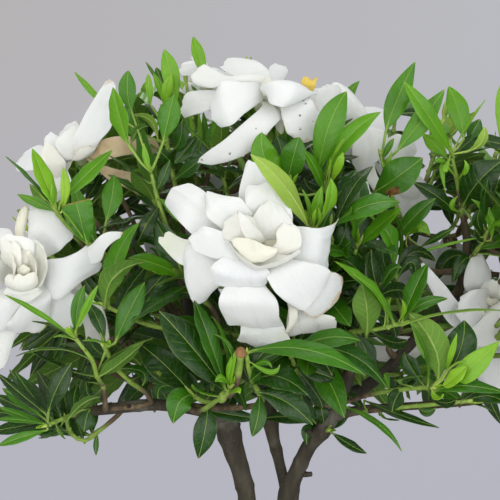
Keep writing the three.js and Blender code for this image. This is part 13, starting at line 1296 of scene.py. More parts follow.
"leaves_back_6":(0,[[[50.7,64,292.8,1.15],[43,62.2,296.7,1.15],[34.3,59.8,300.2,1.15],[26.3,57.7,304.1,1.15],[20.5,57,309,1.15],[18.6,58.5,315.6,1.15],[19.7,64.3,330.3,1],[20.8,70,349,0.7]],[[30.3,58.8,302.1,1.15],[26.8,54.4,297.3,1.15],[22.8,49.3,291.4,1.15],[19.1,44.7,286.3,1.15],[16.7,41.9,284.1,1.15],[16.4,42.3,286.7,1.15],[18.1,46.3,296.4,1],[19.8,50.4,310,0.7]],[[20.5,57,309,1.15],[16.7,60,307.8,1.15],[12.4,63.1,306,1.15],[8.4,66.1,304.8,1.15],[5.5,68.9,305,1.15],[4.4,71.5,307.9,1.15],[4.4,78.9,321.7,1],[4.5,86.3,339.5,0.7]],[[22.8,49.3,291.4,1.15],[21.1,54.7,289.7,1.15],[19.2,60.1,287.4,1.15],[17.4,65.3,285.5,1.15],[16.2,70.1,285.5,1.15],[16,74.3,288.6,1.15],[17.3,84.6,302.2,1],[18.5,94.9,319.9,0.7]],[[34.3,59.8,300.2,1.15],[34.3,62.6,300.6,1.15],[34.2,65.5,300.7,1.15],[34.2,68.3,301,1.15],[34.3,70.7,302,1.15],[34.6,72.7,304.1,1.15],[37,80.1,316.6,1],[39.3,87.4,333.1,0.7]],[[19.2,49,305.5,1.15],[19.5,45.5,307.4,1.15],[19.8,41.4,309.1,1.15],[20,37.7,311,1.15],[20.3,35.2,313.5,1.15],[20.7,34.8,317.1,1.15],[21.9,37.8,330,1],[23,40.8,346.9,0.7]],[[19.5,45.5,307.4,1.15],[14.3,45.5,307.7,1.15],[8.5,45.2,307.5,1.15],[3.1,45.1,307.7,1.15],[-0.9,45.4,309.2,1.15],[-2.6,46.5,313,1.15],[-3.1,51.7,330,1],[-3.7,56.9,351,0.7]],[[38.6,61,298.5,1.15],[39.6,59.3,299.6,1.15],[40.7,57.3,300.6,1.15],[41.6,55.5,301.8,1.15],[42.5,54.4,303.2,1.15],[43.1,54.5,305.1,1.15],[46.7,61.1,321.3,1],[50.3,67.6,341.5,0.7]],[[16.7,41.9,284.1,1.15],[13.6,39.7,283.5,1.15],[10.2,37.1,282.4,1.15],[7,34.8,281.7,1.15],[4.7,33.3,282.1,1.15],[3.7,33.5,284.4,1.15],[3.7,37.1,295,1],[3.6,40.7,309.6,0.7]],[[16,74.3,288.6,1.15],[9,73.2,289.3,1.15],[1.4,71.5,289.5,1.15],[-5.8,70.1,290.1,1.15],[-11.3,70.1,292.2,1.15],[-13.9,72.6,296.8,1.15],[-15.4,81,309.4,1],[-16.9,89.4,326.1,0.7]],[[16.2,70.1,285.5,1.15],[19.2,71.3,282.6,1.15],[22.5,72.1,279.1,1.15],[25.5,73,276,1.15],[27.9,74.5,274.6,1.15],[29.3,76.8,275.8,1.15],[32.2,89.1,287.9,1],[35.1,101.3,304.1,0.7]],[[50.7,64,292.8,1.15],[49.9,65.5,291.1,1.15],[48.8,67,289,1.15],[47.9,68.4,287.2,1.15],[47.4,69.8,286.3,1.15],[47.6,71.2,287.1,1.15],[51.7,80.2,298.6,1],[55.8,89.2,314.1,0.7]],[[1.4,71.5,289.5,1.15],[0.2,74,288.2,1.15],[-1,76.5,286.5,1.15],[-2.2,78.9,285.1,1.15],[-3.1,81.2,284.7,1.15],[-3.5,83.5,286,1.15],[-4.2,93.4,296.3,1],[-4.9,103.2,310.7,0.7]],[[4.7,33.3,282.1,1.15],[1.9,33.3,280.1,1.15],[-1,33.1,277.6,1.15],[-3.7,33,275.5,1.15],[-5.9,33.2,274.7,1.15],[-7.1,34.1,276.1,1.15],[-9.5,39,286.6,1],[-11.9,43.9,301.2,0.7]],[[44,56.2,309.2,1.15],[44.7,52.3,310.6,1.15],[45.2,47.9,311.7,1.15],[45.8,43.9,313.1,1.15],[46.5,41.2,315.2,1.15],[47.3,40.7,318.6,1.15],[50.7,44.6,334.8,1],[54,48.6,354.9,0.7]],[[3.7,35.3,289.7,1.15],[4.3,29.4,292,1.15],[5,23,293.9,1.15],[5.7,17.1,296.1,1.15],[6.2,12.5,299.6,1.15],[6.5,10.2,305.3,1.15],[6.8,9.1,315.5,1],[7,8,329.7,0.7]]],[
[20.4,67.6,341.1,22.5,83.6,343.8,24.8,100.1,344.9,9.9,0,-0.13,0.99,0.14,0.46,0,0,20.4,67.6,341.1],
[19.9,65.3,333.8,7.2,74.1,336.8,-5.3,83.6,336.7,10.5,0.27,0.16,0.95,0.22,0.6,0,0,19.9,65.3,333.8],
[19.5,63,327.1,3.8,58.1,332.5,-11.8,53.9,336.9,12.8,0.13,0.31,0.94,0.13,0.6,0,0,19.5,63,327.1],
[19.5,63,327.1,32.9,73.2,325.9,46.4,84.1,324.8,10.9,-0.08,0.19,0.98,0.1,0.55,0,0,19.5,63,327.1],
[19.8,50.4,310,24.2,59.4,317.4,28.7,69,324.3,9.1,-0.23,-0.4,0.89,0.2,0.53,0,0,19.8,50.4,310],
[19.8,50.4,310,16.2,54.3,323.1,12.8,59,336.6,9.6,0.84,0.27,0.47,0.09,0.67,0,0,19.8,50.4,310],
[19.8,50.4,310,24.2,50,322.6,28.8,50.3,334.8,8.6,-0.29,0.85,0.44,0.13,0.6,0,0,19.8,50.4,310],
[19.1,48.6,304.1,13.4,60,311.3,8,71.8,318.7,9,0.46,-0.16,0.88,0.08,0.77,0,0,19.1,48.6,304.1],
[19.1,48.6,304.1,16,42.9,318.8,13.3,37.8,332.5,11.9,0.32,0.7,0.64,0.1,0.81,0,0,19.1,48.6,304.1],
[19.1,48.6,304.1,33.4,51.8,312.1,48.1,55.7,319.4,11.2,-0.4,0.26,0.88,0.16,0.84,0,0,19.1,48.6,304.1],
[18.4,47,298.8,2.1,50.8,308.6,-13.9,55.4,317.6,14.1,0.42,0.26,0.87,0.23,1,0,0,18.4,47,298.8],
[18.4,47,298.8,36,54.3,298,54,62.3,294.2,12.2,-0.06,0.22,0.97,0.11,0.95,0,0,18.4,47,298.8],
[4.5,86.3,339.5,4.6,98.4,347.4,4.8,111.4,354.3,9.1,-0.01,-0.42,0.91,0.22,0.21,0,0,4.5,86.3,339.5],
[4.5,86.3,339.5,0.1,90,352.8,-4.2,94.5,365.3,9.8,0.68,0.63,0.37,0.22,0.31,0,0,4.5,86.3,339.5],
[4.4,83.1,332,14.1,94.7,339,23.7,107.1,343.2,11.8,-0.45,0,0.89,0.15,0.46,0,0,4.4,83.1,332],
[4.4,83.1,332,-5.5,93.1,337.6,-15.4,103.7,342,10.3,0.43,0.07,0.9,0.2,0.54,0,0,4.4,83.1,332],
[4.4,83.1,332,3.4,77.5,347.5,2.3,72.8,362.1,12,0.05,0.8,0.6,0.1,0.39,0,0,4.4,83.1,332],
[4.4,80.2,325,0.4,96,320.9,-3.7,112.7,316.4,11.3,0.05,0.2,0.98,0.24,0.59,0,0,4.4,80.2,325],
[4.4,80.2,325,-0.2,67.6,339.5,-7.1,55.2,352.5,13.8,0,0.67,0.74,0.08,0.65,0,0,4.4,80.2,325],
[4.4,77.3,318.7,-12.1,85.5,315.5,-28.6,94.8,309.9,11.5,0.05,0.35,0.94,0.16,0.68,0,0,4.4,77.3,318.7],
[4.4,77.3,318.7,17.4,73.4,324,30.4,70.3,328.1,9.3,-0.13,0.42,0.9,0.12,0.68,0,0,4.4,77.3,318.7],
[4.5,86.3,339.5,3.5,88.9,343.8,2.6,91.5,348.1,3.2,0.98,-0.18,0.1,0.16,0.15,0,0,4.5,86.3,339.5],
[18.5,94.9,319.9,22.3,96.5,330.7,26.2,99,339.6,8,-0.35,0.88,0.32,0.23,0.29,0,0,18.5,94.9,319.9],
[18.5,94.9,319.9,24.6,106,326.9,30.8,118.2,333.2,9.3,-0.5,-0.09,0.86,0.14,0.2,0,0,18.5,94.9,319.9],
[18.5,94.9,319.9,13.8,102.5,327.8,9.1,111.1,334.5,7.8,0.76,0.11,0.64,0.12,0.3,0,0,18.5,94.9,319.9],
[18,90.5,312.5,33,98.2,317.8,48.1,106.9,319.6,11.3,-0.39,0.37,0.84,0.08,0.51,0,0,18,90.5,312.5],
[18,90.5,312.5,11.5,105.1,313.2,5.1,120.6,310.8,10.7,0.29,0.09,0.95,0.18,0.48,0,0,18,90.5,312.5],
[18,90.5,312.5,12.4,90.5,326.6,7,91.3,338.5,10.3,0.4,0.78,0.48,0.18,0.43,0,0,18,90.5,312.5],
[17.5,86.5,305.5,21.4,101.6,302.5,25.5,117.8,297,10.7,-0.04,0.15,0.99,0.16,0.53,0,0,17.5,86.5,305.5],
[17.5,86.5,305.5,12,78.9,319.8,6.6,72.4,332,12.4,0.16,0.68,0.72,0.15,0.65,0,0,17.5,86.5,305.5],
[17,82.4,299.3,4.2,95.4,294.8,-8.5,109.6,291,13.2,0.16,0.38,0.91,0.23,0.66,0,0,17,82.4,299.3],
[17,82.4,299.3,28.3,73.4,308.5,39.6,65.5,315,11.9,-0.01,0.55,0.83,0.12,0.63,0,0,17,82.4,299.3],
[18.5,94.9,319.9,18,98,323.8,17.6,101.2,327.8,3.2,1,-0.03,-0.07,0.16,0.15,0,0,18.5,94.9,319.9],
[39.3,87.4,333.1,45.5,94.5,339.7,52,102.2,345.2,7.2,-0.55,-0.04,0.84,0.13,0.32,0,0,39.3,87.4,333.1],
[39.3,87.4,333.1,36.9,97,341.2,34.7,107.3,346.5,9.3,0.59,-0.26,0.77,0.11,0.29,0,0,39.3,87.4,333.1],
[38.3,84.3,326.1,37.2,100.8,330,36.4,118.2,332.8,12.2,0.22,-0.15,0.96,0.14,0.45,0,0,38.3,84.3,326.1],
[38.3,84.3,326.1,30.6,81.2,340.2,23.2,79,354.6,12.1,0.42,0.62,0.66,0.12,0.44,0,0,38.3,84.3,326.1],
[37.4,81.4,319.6,50.6,95.1,318.8,64,109.7,315.4,12.9,-0.12,0.16,0.98,0.1,0.68,0,0,37.4,81.4,319.6],
[37.4,81.4,319.6,27,73.9,334.7,17,67.5,348,13.2,0.3,0.56,0.77,0.17,0.59,0,0,37.4,81.4,319.6],
[36.5,78.4,313.9,29.4,94.4,307.6,22.7,111.4,299.7,13.3,0.16,0.33,0.93,0.19,0.64,0,0,36.5,78.4,313.9],
[36.5,78.4,313.9,39.6,64.5,325.1,43.1,51.6,334.5,13.2,0.11,0.5,0.86,0.2,0.62,0,0,36.5,78.4,313.9],
[39.3,87.4,333.1,40.5,89.8,337.4,41.6,92.2,341.6,3.2,0.84,-0.52,0.16,0.16,0.15,0,0,39.3,87.4,333.1],
[22.5,39.5,339.7,23.8,52,346.5,25.1,64.8,352.9,9.8,0.04,-0.37,0.93,0.11,0.38,0,0,22.5,39.5,339.7],
[22.5,39.5,339.7,12.9,37.2,350.5,3.5,35.1,359,10.7,0.5,0.34,0.8,0.19,0.42,0,0,22.5,39.5,339.7],
[22.1,38.4,333.1,7.9,28.9,341.8,-6,20,351.6,13.1,0.22,0.28,0.93,0.18,0.5,0,0,22.1,38.4,333.1],
[21.6,37.2,327.1,19.6,52.2,325.3,17.9,67.5,320.6,11,0.08,0.1,0.99,0.11,0.6,0,0,21.6,37.2,327.1],
[-3.5,54.7,342.2,-15.8,62.4,350,-28.2,70.7,357.2,11,0.42,0.02,0.91,0.13,0.47,0,0,-3.5,54.7,342.2],
[-3.5,54.7,342.2,5.3,67,350.1,14,79.8,358,11.3,-0.37,-0.16,0.91,0.2,0.54,0,0,-3.5,54.7,342.2],
[-3.2,52.7,333.9,-15,45.2,343,-26.7,38.3,350.5,11.6,0.21,0.42,0.88,0.16,0.72,0,0,-3.2,52.7,333.9],
[-3.2,52.7,333.9,11.8,64.8,336.1,26.8,77.6,338.5,13.7,-0.19,0.11,0.98,0.19,0.7,0,0,-3.2,52.7,333.9],
[-3,50.6,326.3,4.6,38,331.2,12.2,25.9,333,10.2,-0.04,0.25,0.97,0.24,0.71,0,0,-3,50.6,326.3],
[-3,50.6,326.3,-5.1,67.7,323.8,-7.2,85.3,320.9,12.3,-0.01,0.11,0.99,0.18,0.7,0,0,-3,50.6,326.3],
[50.3,67.6,341.5,56.5,73.1,350.4,63,79.1,359.5,7.6,-0.63,-0.09,0.77,0.2,0.24,0,0,50.3,67.6,341.5],
[48.8,64.8,333,55.4,81.6,335.8,62.3,99,338.6,13,0.01,-0.13,0.99,0.24,0.44,0,0,48.8,64.8,333],
[48.8,64.8,333,39.6,64.5,345.5,30.8,64.8,355.6,10.7,0.56,0.41,0.72,0.18,0.36,0,0,48.8,64.8,333],
[47.4,62.3,325.1,59.2,72.7,323.1,71.3,83.8,321.1,10.3,-0.01,0.15,0.99,0.19,0.52,0,0,47.4,62.3,325.1],
[47.4,62.3,325.1,34,60.4,336.1,21,59.2,346.6,11.6,0.41,0.36,0.84,0.24,0.57,0,0,47.4,62.3,325.1],
[46,59.7,317.8,47.8,75.7,311,50,92.4,303.1,12,0.16,0.27,0.95,0.21,0.55,0,0,46,59.7,317.8],
[46,59.7,317.8,46.5,44.8,325.6,47.4,30.6,333.8,10.9,0.16,0.35,0.92,0.16,0.67,0,0,46,59.7,317.8],
[3.6,40.7,309.6,4,51.1,317.4,4.4,62,324.2,9.1,-0.04,-0.46,0.89,0.1,0.65,0,0,3.6,40.7,309.6],
[3.6,40.7,309.6,-0.3,42,321.8,-4.2,43.9,331.5,8,0.69,0.55,0.47,0.1,0.56,0,0,3.6,40.7,309.6],
[3.6,40.7,309.6,9.9,40.5,317.7,16.2,40.6,322.8,9.6,-0.62,0.48,0.62,0.17,0.65,0,0,3.6,40.7,309.6],
[3.7,39.2,303.3,-9.3,49.3,310.8,-22.3,60.1,314.8,10.9,0.38,0,0.92,0.11,0.85,0,0,3.7,39.2,303.3],
[3.7,39.2,303.3,1.7,27.8,316.9,-0.3,17,331.2,10.9,0.05,0.61,0.79,0.14,0.82,0,0,3.7,39.2,303.3],
[3.7,39.2,303.3,15.4,50.9,309.2,26.2,65.7,314.8,11.6,-0.42,0.09,0.9,0.1,0.81,0,0,3.7,39.2,303.3],
[3.7,37.8,297.6,-7.2,31,307.1,-18.1,24.8,315.9,10.1,0.25,0.43,0.87,0.2,1,0,0,3.7,37.8,297.6],
[3.7,37.8,297.6,14.5,50.4,300.7,25.3,63.7,300.3,10.3,-0.22,0.01,0.98,0.09,0.91,0,0,3.7,37.8,297.6],
[3.6,40.7,309.6,2.8,42.5,314.2,2,44.4,318.9,3.2,0.96,-0.27,0.09,0.16,0.15,0,0,3.6,40.7,309.6],
[-16.9,89.4,326.1,-22.5,93.6,336.3,-28.2,98.7,344.6,8.9,0.68,0.58,0.45,0.11,0.17,0,0,-16.9,89.4,326.1],
[-16.9,89.4,326.1,-11.9,92.5,338.1,-7.1,96.5,349.6,8.6,-0.67,0.61,0.44,0.2,0.18,0,0,-16.9,89.4,326.1],
[-16.9,89.4,326.1,-17.1,101.9,331.1,-17.4,115.3,333.8,8.6,-0.13,-0.28,0.95,0.19,0.21,0,0,-16.9,89.4,326.1],
[-16.3,85.8,319,-17.5,83.2,334.7,-18.9,81.5,350.2,10.2,-0.06,0.88,0.46,0.23,0.33,0,0,-16.3,85.8,319],
[-16.3,85.8,319,-7.1,98.9,323.9,1.9,112.9,327.9,10.6,-0.45,0.08,0.89,0.22,0.41,0,0,-16.3,85.8,319],
[-16.3,85.8,319,-29.4,94.8,323.8,-42.7,104.6,327.8,11.8,0.39,0.23,0.89,0.23,0.45,0,0,-16.3,85.8,319],
[-15.7,82.5,312.5,-1.4,78.5,318.9,13.7,75.4,323.9,11.3,-0.25,0.52,0.82,0.1,0.54,0,0,-15.7,82.5,312.5],
[-15.1,79.1,306.7,-0.6,90.5,301.4,13.6,103,295.5,13,-0.1,0.42,0.9,0.24,0.63,0,0,-15.1,79.1,306.7],
[-15.1,79.1,306.7,-26.1,72.8,314.2,-37.4,67.3,321.8,9.1,0.06,0.55,0.83,0.19,0.62,0,0,-15.1,79.1,306.7],
[-16.9,89.4,326.1,-18.3,92,330.2,-19.8,94.6,334.3,3.2,0.97,0.24,-0.04,0.16,0.15,0,0,-16.9,89.4,326.1],
[35.1,101.3,304.1,39.1,107.4,315.8,43.4,114.7,325.8,10.2,-0.29,0.96,-0.02,0.22,0.19,0,0,35.1,101.3,304.1],
[35.1,101.3,304.1,40.3,113.4,309.3,45.8,126.6,314.7,10,-0.35,-0.14,0.93,0.21,0.33,0,0,35.1,101.3,304.1],
[35.1,101.3,304.1,30.8,109.7,312.1,26.8,119.1,319.1,8.3,0.83,0.26,0.49,0.19,0.24,0,0,35.1,101.3,304.1],
[33.9,96.2,297.3,28.9,111.2,296.8,24.2,127.3,296.3,10.4,0.36,0.14,0.92,0.13,0.49,0,0,33.9,96.2,297.3],
[32.8,91.4,291,29.6,85.8,306.1,26.8,81.5,319.6,10.6,0.21,0.75,0.62,0.1,0.54,0,0,32.8,91.4,291],
[31.6,86.5,285.4,21.5,97.9,277.8,11.7,110.6,267.4,12,0.18,0.53,0.83,0.15,0.73,0,0,31.6,86.5,285.4],
[31.6,86.5,285.4,43.8,77.9,294.6,56.2,70.7,300.7,11.7,0.08,0.63,0.77,0.21,0.73,0,0,31.6,86.5,285.4],
[35.1,101.3,304.1,36.7,104.9,307.2,38.2,108.6,310.3,3.2,0.97,0,-0.25,0.16,0.15,0,0,35.1,101.3,304.1],
[55.8,89.2,314.1,59.7,90.8,327.6,64.2,93.3,341.3,9.4,0.08,0.97,0.21,0.14,0.35,0,0,55.8,89.2,314.1],
[55.8,89.2,314.1,64.5,99.6,318.3,73.6,111.1,320,10.3,-0.33,0,0.95,0.16,0.39,0,0,55.8,89.2,314.1],
[55.8,89.2,314.1,54.6,98.4,324.9,55.2,108.4,337,9.1,0.78,0.04,0.62,0.08,0.3,0,0,55.8,89.2,314.1],
[54,85.4,307.5,53.6,100.1,309.5,53.6,115.7,309.4,10.1,0.32,-0.09,0.94,0.15,0.55,0,0,54,85.4,307.5],
[54,85.4,307.5,51.9,84.6,323.1,52.4,82.6,337.5,12.2,0.66,0.6,0.45,0.08,0.51,0,0,54,85.4,307.5],
[50.8,78.3,296.1,39.5,91.9,289.9,28.7,106.7,283.8,13.8,0.23,0.46,0.86,0.12,0.77,0,0,50.8,78.3,296.1],
[55.8,89.2,314.1,56.6,92.4,317.9,57.5,95.6,321.7,3.2,0.96,-0.24,-0.16,0.16,0.15,0,0,55.8,89.2,314.1],
[-4.9,103.2,310.7,-8.7,114.1,313.6,-12.7,126,316.8,8.1,0.31,-0.08,0.95,0.22,0.28,0,0,-4.9,103.2,310.7],
[-4.9,103.2,310.7,-8.7,108.6,322,-12.7,115.2,330.9,8.9,0.56,0.82,0.15,0.11,0.4,0,0,-4.9,103.2,310.7],
[-4.9,103.2,310.7,0.1,110.3,318.6,5.1,118.4,326.6,7.5,-0.79,0.33,0.52,0.22,0.39,0,0,-4.9,103.2,310.7],
[-4.6,99,304.6,-17.7,108,313.2,-31,118.3,317.8,12.6,0.56,0.42,0.71,0.09,0.48,0,0,-4.6,99,304.6],
[-4.6,99,304.6,4.5,103.3,319.6,14.5,109.8,331.9,12.1,-0.43,0.8,0.43,0.11,0.55,0,0,-4.6,99,304.6],
[-4.6,99,304.6,-1.3,113.3,302.6,1.9,128.5,301,9,-0.17,0.13,0.98,0.14,0.49,0,0,-4.6,99,304.6],
[-4.3,95.2,299,-14.2,91.5,313.2,-23.6,89.6,323.8,12,0.18,0.75,0.64,0.09,0.65,0,0,-4.3,95.2,299],
[-4.3,95.2,299,2.6,109.5,296.1,9.4,125,289.7,11.4,-0.22,0.24,0.95,0.09,0.65,0,0,-4.3,95.2,299],
[-4.1,91.2,294.1,3.9,84.8,307.3,11.7,79.6,317.3,11,-0.14,0.69,0.71,0.21,0.81,0,0,-4.1,91.2,294.1],
[-4.1,91.2,294.1,-13.5,101.4,286.3,-23,112.8,277.6,10.3,0.03,0.49,0.87,0.11,0.77,0,0,-4.1,91.2,294.1],
[-4.9,103.2,310.7,-6,106.6,314.2,-7.2,110.1,317.8,3.2,1,0.09,-0.02,0.16,0.15,0,0,-4.9,103.2,310.7],
[-11.9,43.9,301.2,-15.4,53.7,308.3,-19.2,64.2,314.8,8.1,0.07,-0.43,0.9,0.12,0.6,0,0,-11.9,43.9,301.2],
[-11.9,43.9,301.2,-18.6,42.9,311.8,-25.6,42.5,322.6,8.3,0.36,0.72,0.6,0.21,0.52,0,0,-11.9,43.9,301.2],
[-11.9,43.9,301.2,-10.3,46.1,312.1,-9.1,48.8,321.1,7.6,-0.77,0.55,0.33,0.19,0.57,0,0,-11.9,43.9,301.2],
[-10.9,41.8,294.9,-23.5,49,300.2,-36.5,56.8,302.3,10.8,0.35,0.11,0.93,0.08,0.84,0,0,-10.9,41.8,294.9],
[-10.9,41.8,294.9,-10.5,35.7,311.6,-10.5,30.4,327.2,12.2,-0.26,0.77,0.59,0.11,0.78,0,0,-10.9,41.8,294.9],
[-10.9,41.8,294.9,-2.7,54.6,302.8,5.2,68.1,310.2,12.5,-0.5,-0.05,0.87,0.18,0.78,0,0,-10.9,41.8,294.9],
[-9.9,39.9,289.3,-21,27.7,298.5,-32.4,16.3,306.6,13.6,-0.03,0.48,0.87,0.21,1,0,0,-9.9,39.9,289.3],
[-9.9,39.9,289.3,-4.2,54.5,288.8,1.2,69.8,288.4,11,-0.24,0.11,0.96,0.23,0.94,0,0,-9.9,39.9,289.3],
[-11.9,43.9,301.2,-13.3,45.4,305.8,-14.6,46.9,310.4,3.2,0.51,0.82,-0.26,0.16,0.15,0,0,-11.9,43.9,301.2],
[52.6,46.9,346.4,59.9,62.2,351.8,67.6,77.9,356.9,10.6,-0.03,-0.24,0.97,0.13,0.61,0,0,52.6,46.9,346.4],
[51.3,45.4,338.5,55.5,64.4,338.5,60.2,83.9,336.3,13.7,0.12,-0.02,0.99,0.1,0.66,0,0,51.3,45.4,338.5],
[49.9,43.8,331.2,36.8,52,333.3,24.1,60.5,334.9,10.3,0.21,0.15,0.97,0.22,0.75,0,0,49.9,43.8,331.2],
[7,8,329.7,1.5,8.9,343,-4,9.5,355.7,9.5,0.73,-0.3,0.62,0.1,0.6,0,0,7,8,329.7],
[7,8,329.7,7.1,1.6,340.2,7.3,-4.9,350.4,7.9,0.03,0.7,0.71,0.08,0.55,0,0,7,8,329.7],
[7,8,329.7,10,12,341.5,12,16.2,353.1,8.8,-0.54,-0.51,0.67,0.11,0.53,0,0,7,8,329.7],
[6.9,8.5,323.5,17.8,-0.2,335.1,28.7,-9.2,344.2,13,-0.43,0.25,0.87,0.24,0.83,0,0,6.9,8.5,323.5],
[6.9,8.5,323.5,4.5,20,334.5,2.1,31.3,343.4,10.2,0.11,-0.52,0.85,0.19,0.8,0,0,6.9,8.5,323.5],
[6.8,8.9,318,-2.4,21.3,331.7,-12.9,32,345.7,14.7,0.15,-0.4,0.9,0.2,0.93,0,0,6.8,8.9,318],
[52.7,47,346.8,61.2,48.5,347.5,69.8,55.2,347.7,6,0,-1,0.58,0.14,0.92,0,0,52.7,47,346.8],
[37.6,81.9,320.7,28.9,85.8,321.4,21.1,88.7,323.7,6.3,0.17,-1,0.25,0.14,0.94,0,0,37.6,81.9,320.7],
]),
"leaves_back_7":(0,[[[73.1,-4,262.8,1.2],[79.8,5,261.4,1.2],[88.5,12,262.5,1.2],[97,0,269.6,1.2],[100.8,-36,284.9,1.1],[110.2,-48,300.5,1]],[[89.8,-33.6,273.8,1.15],[94.7,-31.9,272.6,1.15],[97.2,-28.3,271.1,1.15],[98.1,-24,269.8,1.15],[98.4,-20.4,269.6,1.15],[99,-18.8,271,1.15],[108.8,-22.5,278.2,1],[118.5,-26.3,289.4,0.7]],[[100.8,-36,284.9,1.1],[96.8,-32,289,1.1],[92.4,-27,293.4,1],[93.9,-25,298.5,1],[102.4,-30,314.6,0.9]],[[71.3,-9.1,263.5,1.17],[77.2,-10.5,260.8,1.16],[81.4,-13.3,257.7,1.16],[84.7,-17.2,255,1.16],[87.7,-21.6,253.8,1.15],[91.1,-26.2,255,1.15],[104.2,-33.6,262.1,1],[117.3,-41.1,273.2,0.7]],[[100.8,-36,284.9,1.1],[95.7,-44,279.6,1.1],[93.5,-50,274.2,1],[96.5,-54,273.4,1],[104.4,-62,283.6,0.9]],[[102.3,-20,273.4,1.15],[105,-17.3,274.6,1.15],[105.4,-14.2,275.8,1.15],[104.5,-11.2,277,1.15],[103.3,-9.1,278.6,1.15],[102.8,-8.6,280.6,1.15],[113.3,-10.9,292,1],[123.9,-13.2,307.4,0.7]],[[93.5,-50,274.2,1.1],[92.7,-50,265,1.1],[90.3,-45,256,1],[88.9,-41,250.8,1],[93.2,-43,251.5,1],[101,-49,257.7,0.9]],[[88.1,-22.6,290.4,1.15],[87.1,-19.9,291.9,1.15],[85.7,-16.8,293.3,1.15],[84.5,-14,294.9,1.15],[84,-12,296.8,1.15],[84.8,-11.6,299.5,1.15],[92.6,-14.1,315.2,1],[100.5,-16.6,334.9,0.7]],[[102.8,-8.6,280.6,1.15],[99.3,-5.9,282.1,1.15],[95.1,-2.9,283.3,1.15],[91.4,-0.1,284.8,1.15],[89.3,1.9,286.8,1.15],[90,2.5,290,1.15],[99.1,2,303.9,1],[108.3,1.4,321.7,0.7]],[[92.7,-50,265,1],[88,-56,260.6,1],[84.4,-61,257.9,1],[87,-65,260.4,1],[92.3,-72,266.9,0.9]]],[
[110.2,-47.8,300.6,112,-51.5,311.4,114.7,-55.8,321.1,7.2,0.94,-0.32,0.1,0.12,0.25,0,0,110.2,-47.8,300.6],
[105.9,-44.9,294.2,112.6,-39.2,307.2,120.2,-34.3,319.7,11.6,0.43,-0.78,0.45,0.08,0.46,0,0,105.9,-44.9,294.2],
[105.9,-44.9,294.2,103.7,-59.9,301.1,102.5,-75.7,305.5,10.6,0.72,0.08,0.69,0.09,0.54,0,0,105.9,-44.9,294.2],
[105.9,-44.9,294.2,122.7,-49.5,290.9,140.6,-54.9,284.2,10.6,0.06,-0.26,0.96,0.22,0.46,0,0,105.9,-44.9,294.2],
[101.9,-42.1,288.1,95.6,-44.4,302.2,90.3,-47.4,313.5,11.2,0.73,-0.36,0.58,0.23,0.57,0,0,101.9,-42.1,288.1],
[101.9,-42.1,288.1,118.3,-48.6,280.2,136.1,-56.1,272.2,13.8,0.23,-0.24,0.94,0.13,0.61,0,0,101.9,-42.1,288.1],
[97.8,-39.2,282.8,111.6,-27.9,279.5,126.6,-17.5,272.1,11.1,0.45,-0.39,0.8,0.17,0.66,0,0,97.8,-39.2,282.8],
[114.4,-24.7,284.7,115.3,-21.7,297.3,115.3,-20.3,309.6,10.8,0.7,-0.63,0.33,0.1,0.45,0,0,114.4,-24.7,284.7],
[114.4,-24.7,284.7,116.4,-38.5,289,119.5,-52.8,290.5,9.3,0.71,0.22,0.68,0.16,0.49,0,0,114.4,-24.7,284.7],
[114.4,-24.7,284.7,130.2,-26.4,280.6,147.4,-28.5,276.6,11.4,0.15,-0.23,0.96,0.19,0.44,0,0,114.4,-24.7,284.7],
[110.5,-23.2,280.3,105.7,-31.7,295.3,102.4,-40.7,308.9,12.7,0.84,-0.11,0.52,0.18,0.69,0,0,110.5,-23.2,280.3],
[110.5,-23.2,280.3,126.8,-23.7,269,144.7,-24.8,255.6,12.7,0.41,-0.24,0.88,0.13,0.55,0,0,110.5,-23.2,280.3],
[106.7,-21.7,276.7,102.4,-36.1,281.8,99.4,-50.9,284.3,11.7,0.72,-0.07,0.69,0.17,0.77,0,0,106.7,-21.7,276.7],
[106.7,-21.7,276.7,112.1,-7.6,279.9,118.9,6.1,281,11.3,0.61,-0.33,0.72,0.13,0.67,0,0,106.7,-21.7,276.7],
[118.5,-26.3,289.4,122.5,-27,292.4,126.6,-27.8,295.3,3.2,-0.23,-0.95,-0.19,0.16,0.15,0,0,118.5,-26.3,289.4],
[98.7,-27.9,307.9,98.4,-20.7,324,99,-14.1,339.7,10.8,0.62,-0.54,0.57,0.11,0.61,0,0,98.7,-27.9,307.9],
[98.7,-27.9,307.9,99,-43.3,313.1,100.2,-59.1,317.5,10.8,0.52,0.2,0.83,0.17,0.51,0,0,98.7,-27.9,307.9],
[98.7,-27.9,307.9,113.3,-25.4,308.1,128.6,-23.3,306.1,10,0.05,-0.33,0.94,0.19,0.63,0,0,98.7,-27.9,307.9],
[95.4,-26.2,301.5,85.9,-36.6,310.7,77.4,-47.4,318.6,10.5,0.6,-0.1,0.79,0.15,0.76,0,0,95.4,-26.2,301.5],
[95.4,-26.2,301.5,111,-18.5,301.9,127.8,-11.2,301,12.3,0.18,-0.39,0.9,0.1,0.7,0,0,95.4,-26.2,301.5],
[92,-24.5,295.9,91,-43.3,293.6,91.2,-62.6,287.9,12.2,0.45,-0.1,0.89,0.24,0.74,0,0,92,-24.5,295.9],
[92,-24.5,295.9,97.5,-11.3,298.2,103.9,1.4,300,10.1,0.42,-0.28,0.86,0.18,0.8,0,0,92,-24.5,295.9],
[102.3,-29.7,314.8,105.2,-30.9,318.6,108.2,-32.1,322.5,3.2,-0.41,-0.91,-0.03,0.16,0.15,0,0,102.3,-29.7,314.8],
[117.3,-41.1,273.2,128.3,-40.6,277.6,140.4,-40.7,281.3,7.5,0,-0.9,0.43,0.12,0.19,0,0,117.3,-41.1,273.2],
[117.3,-41.1,273.2,126.9,-46.8,273.4,137.6,-53.2,270.8,7.1,0.01,0.04,1,0.13,0.29,0,0,117.3,-41.1,273.2],
[111.9,-38,268.6,115.8,-39.5,282.1,120.9,-42.8,291.8,9.8,0.8,-0.57,0.16,0.15,0.48,0,0,111.9,-38,268.6],
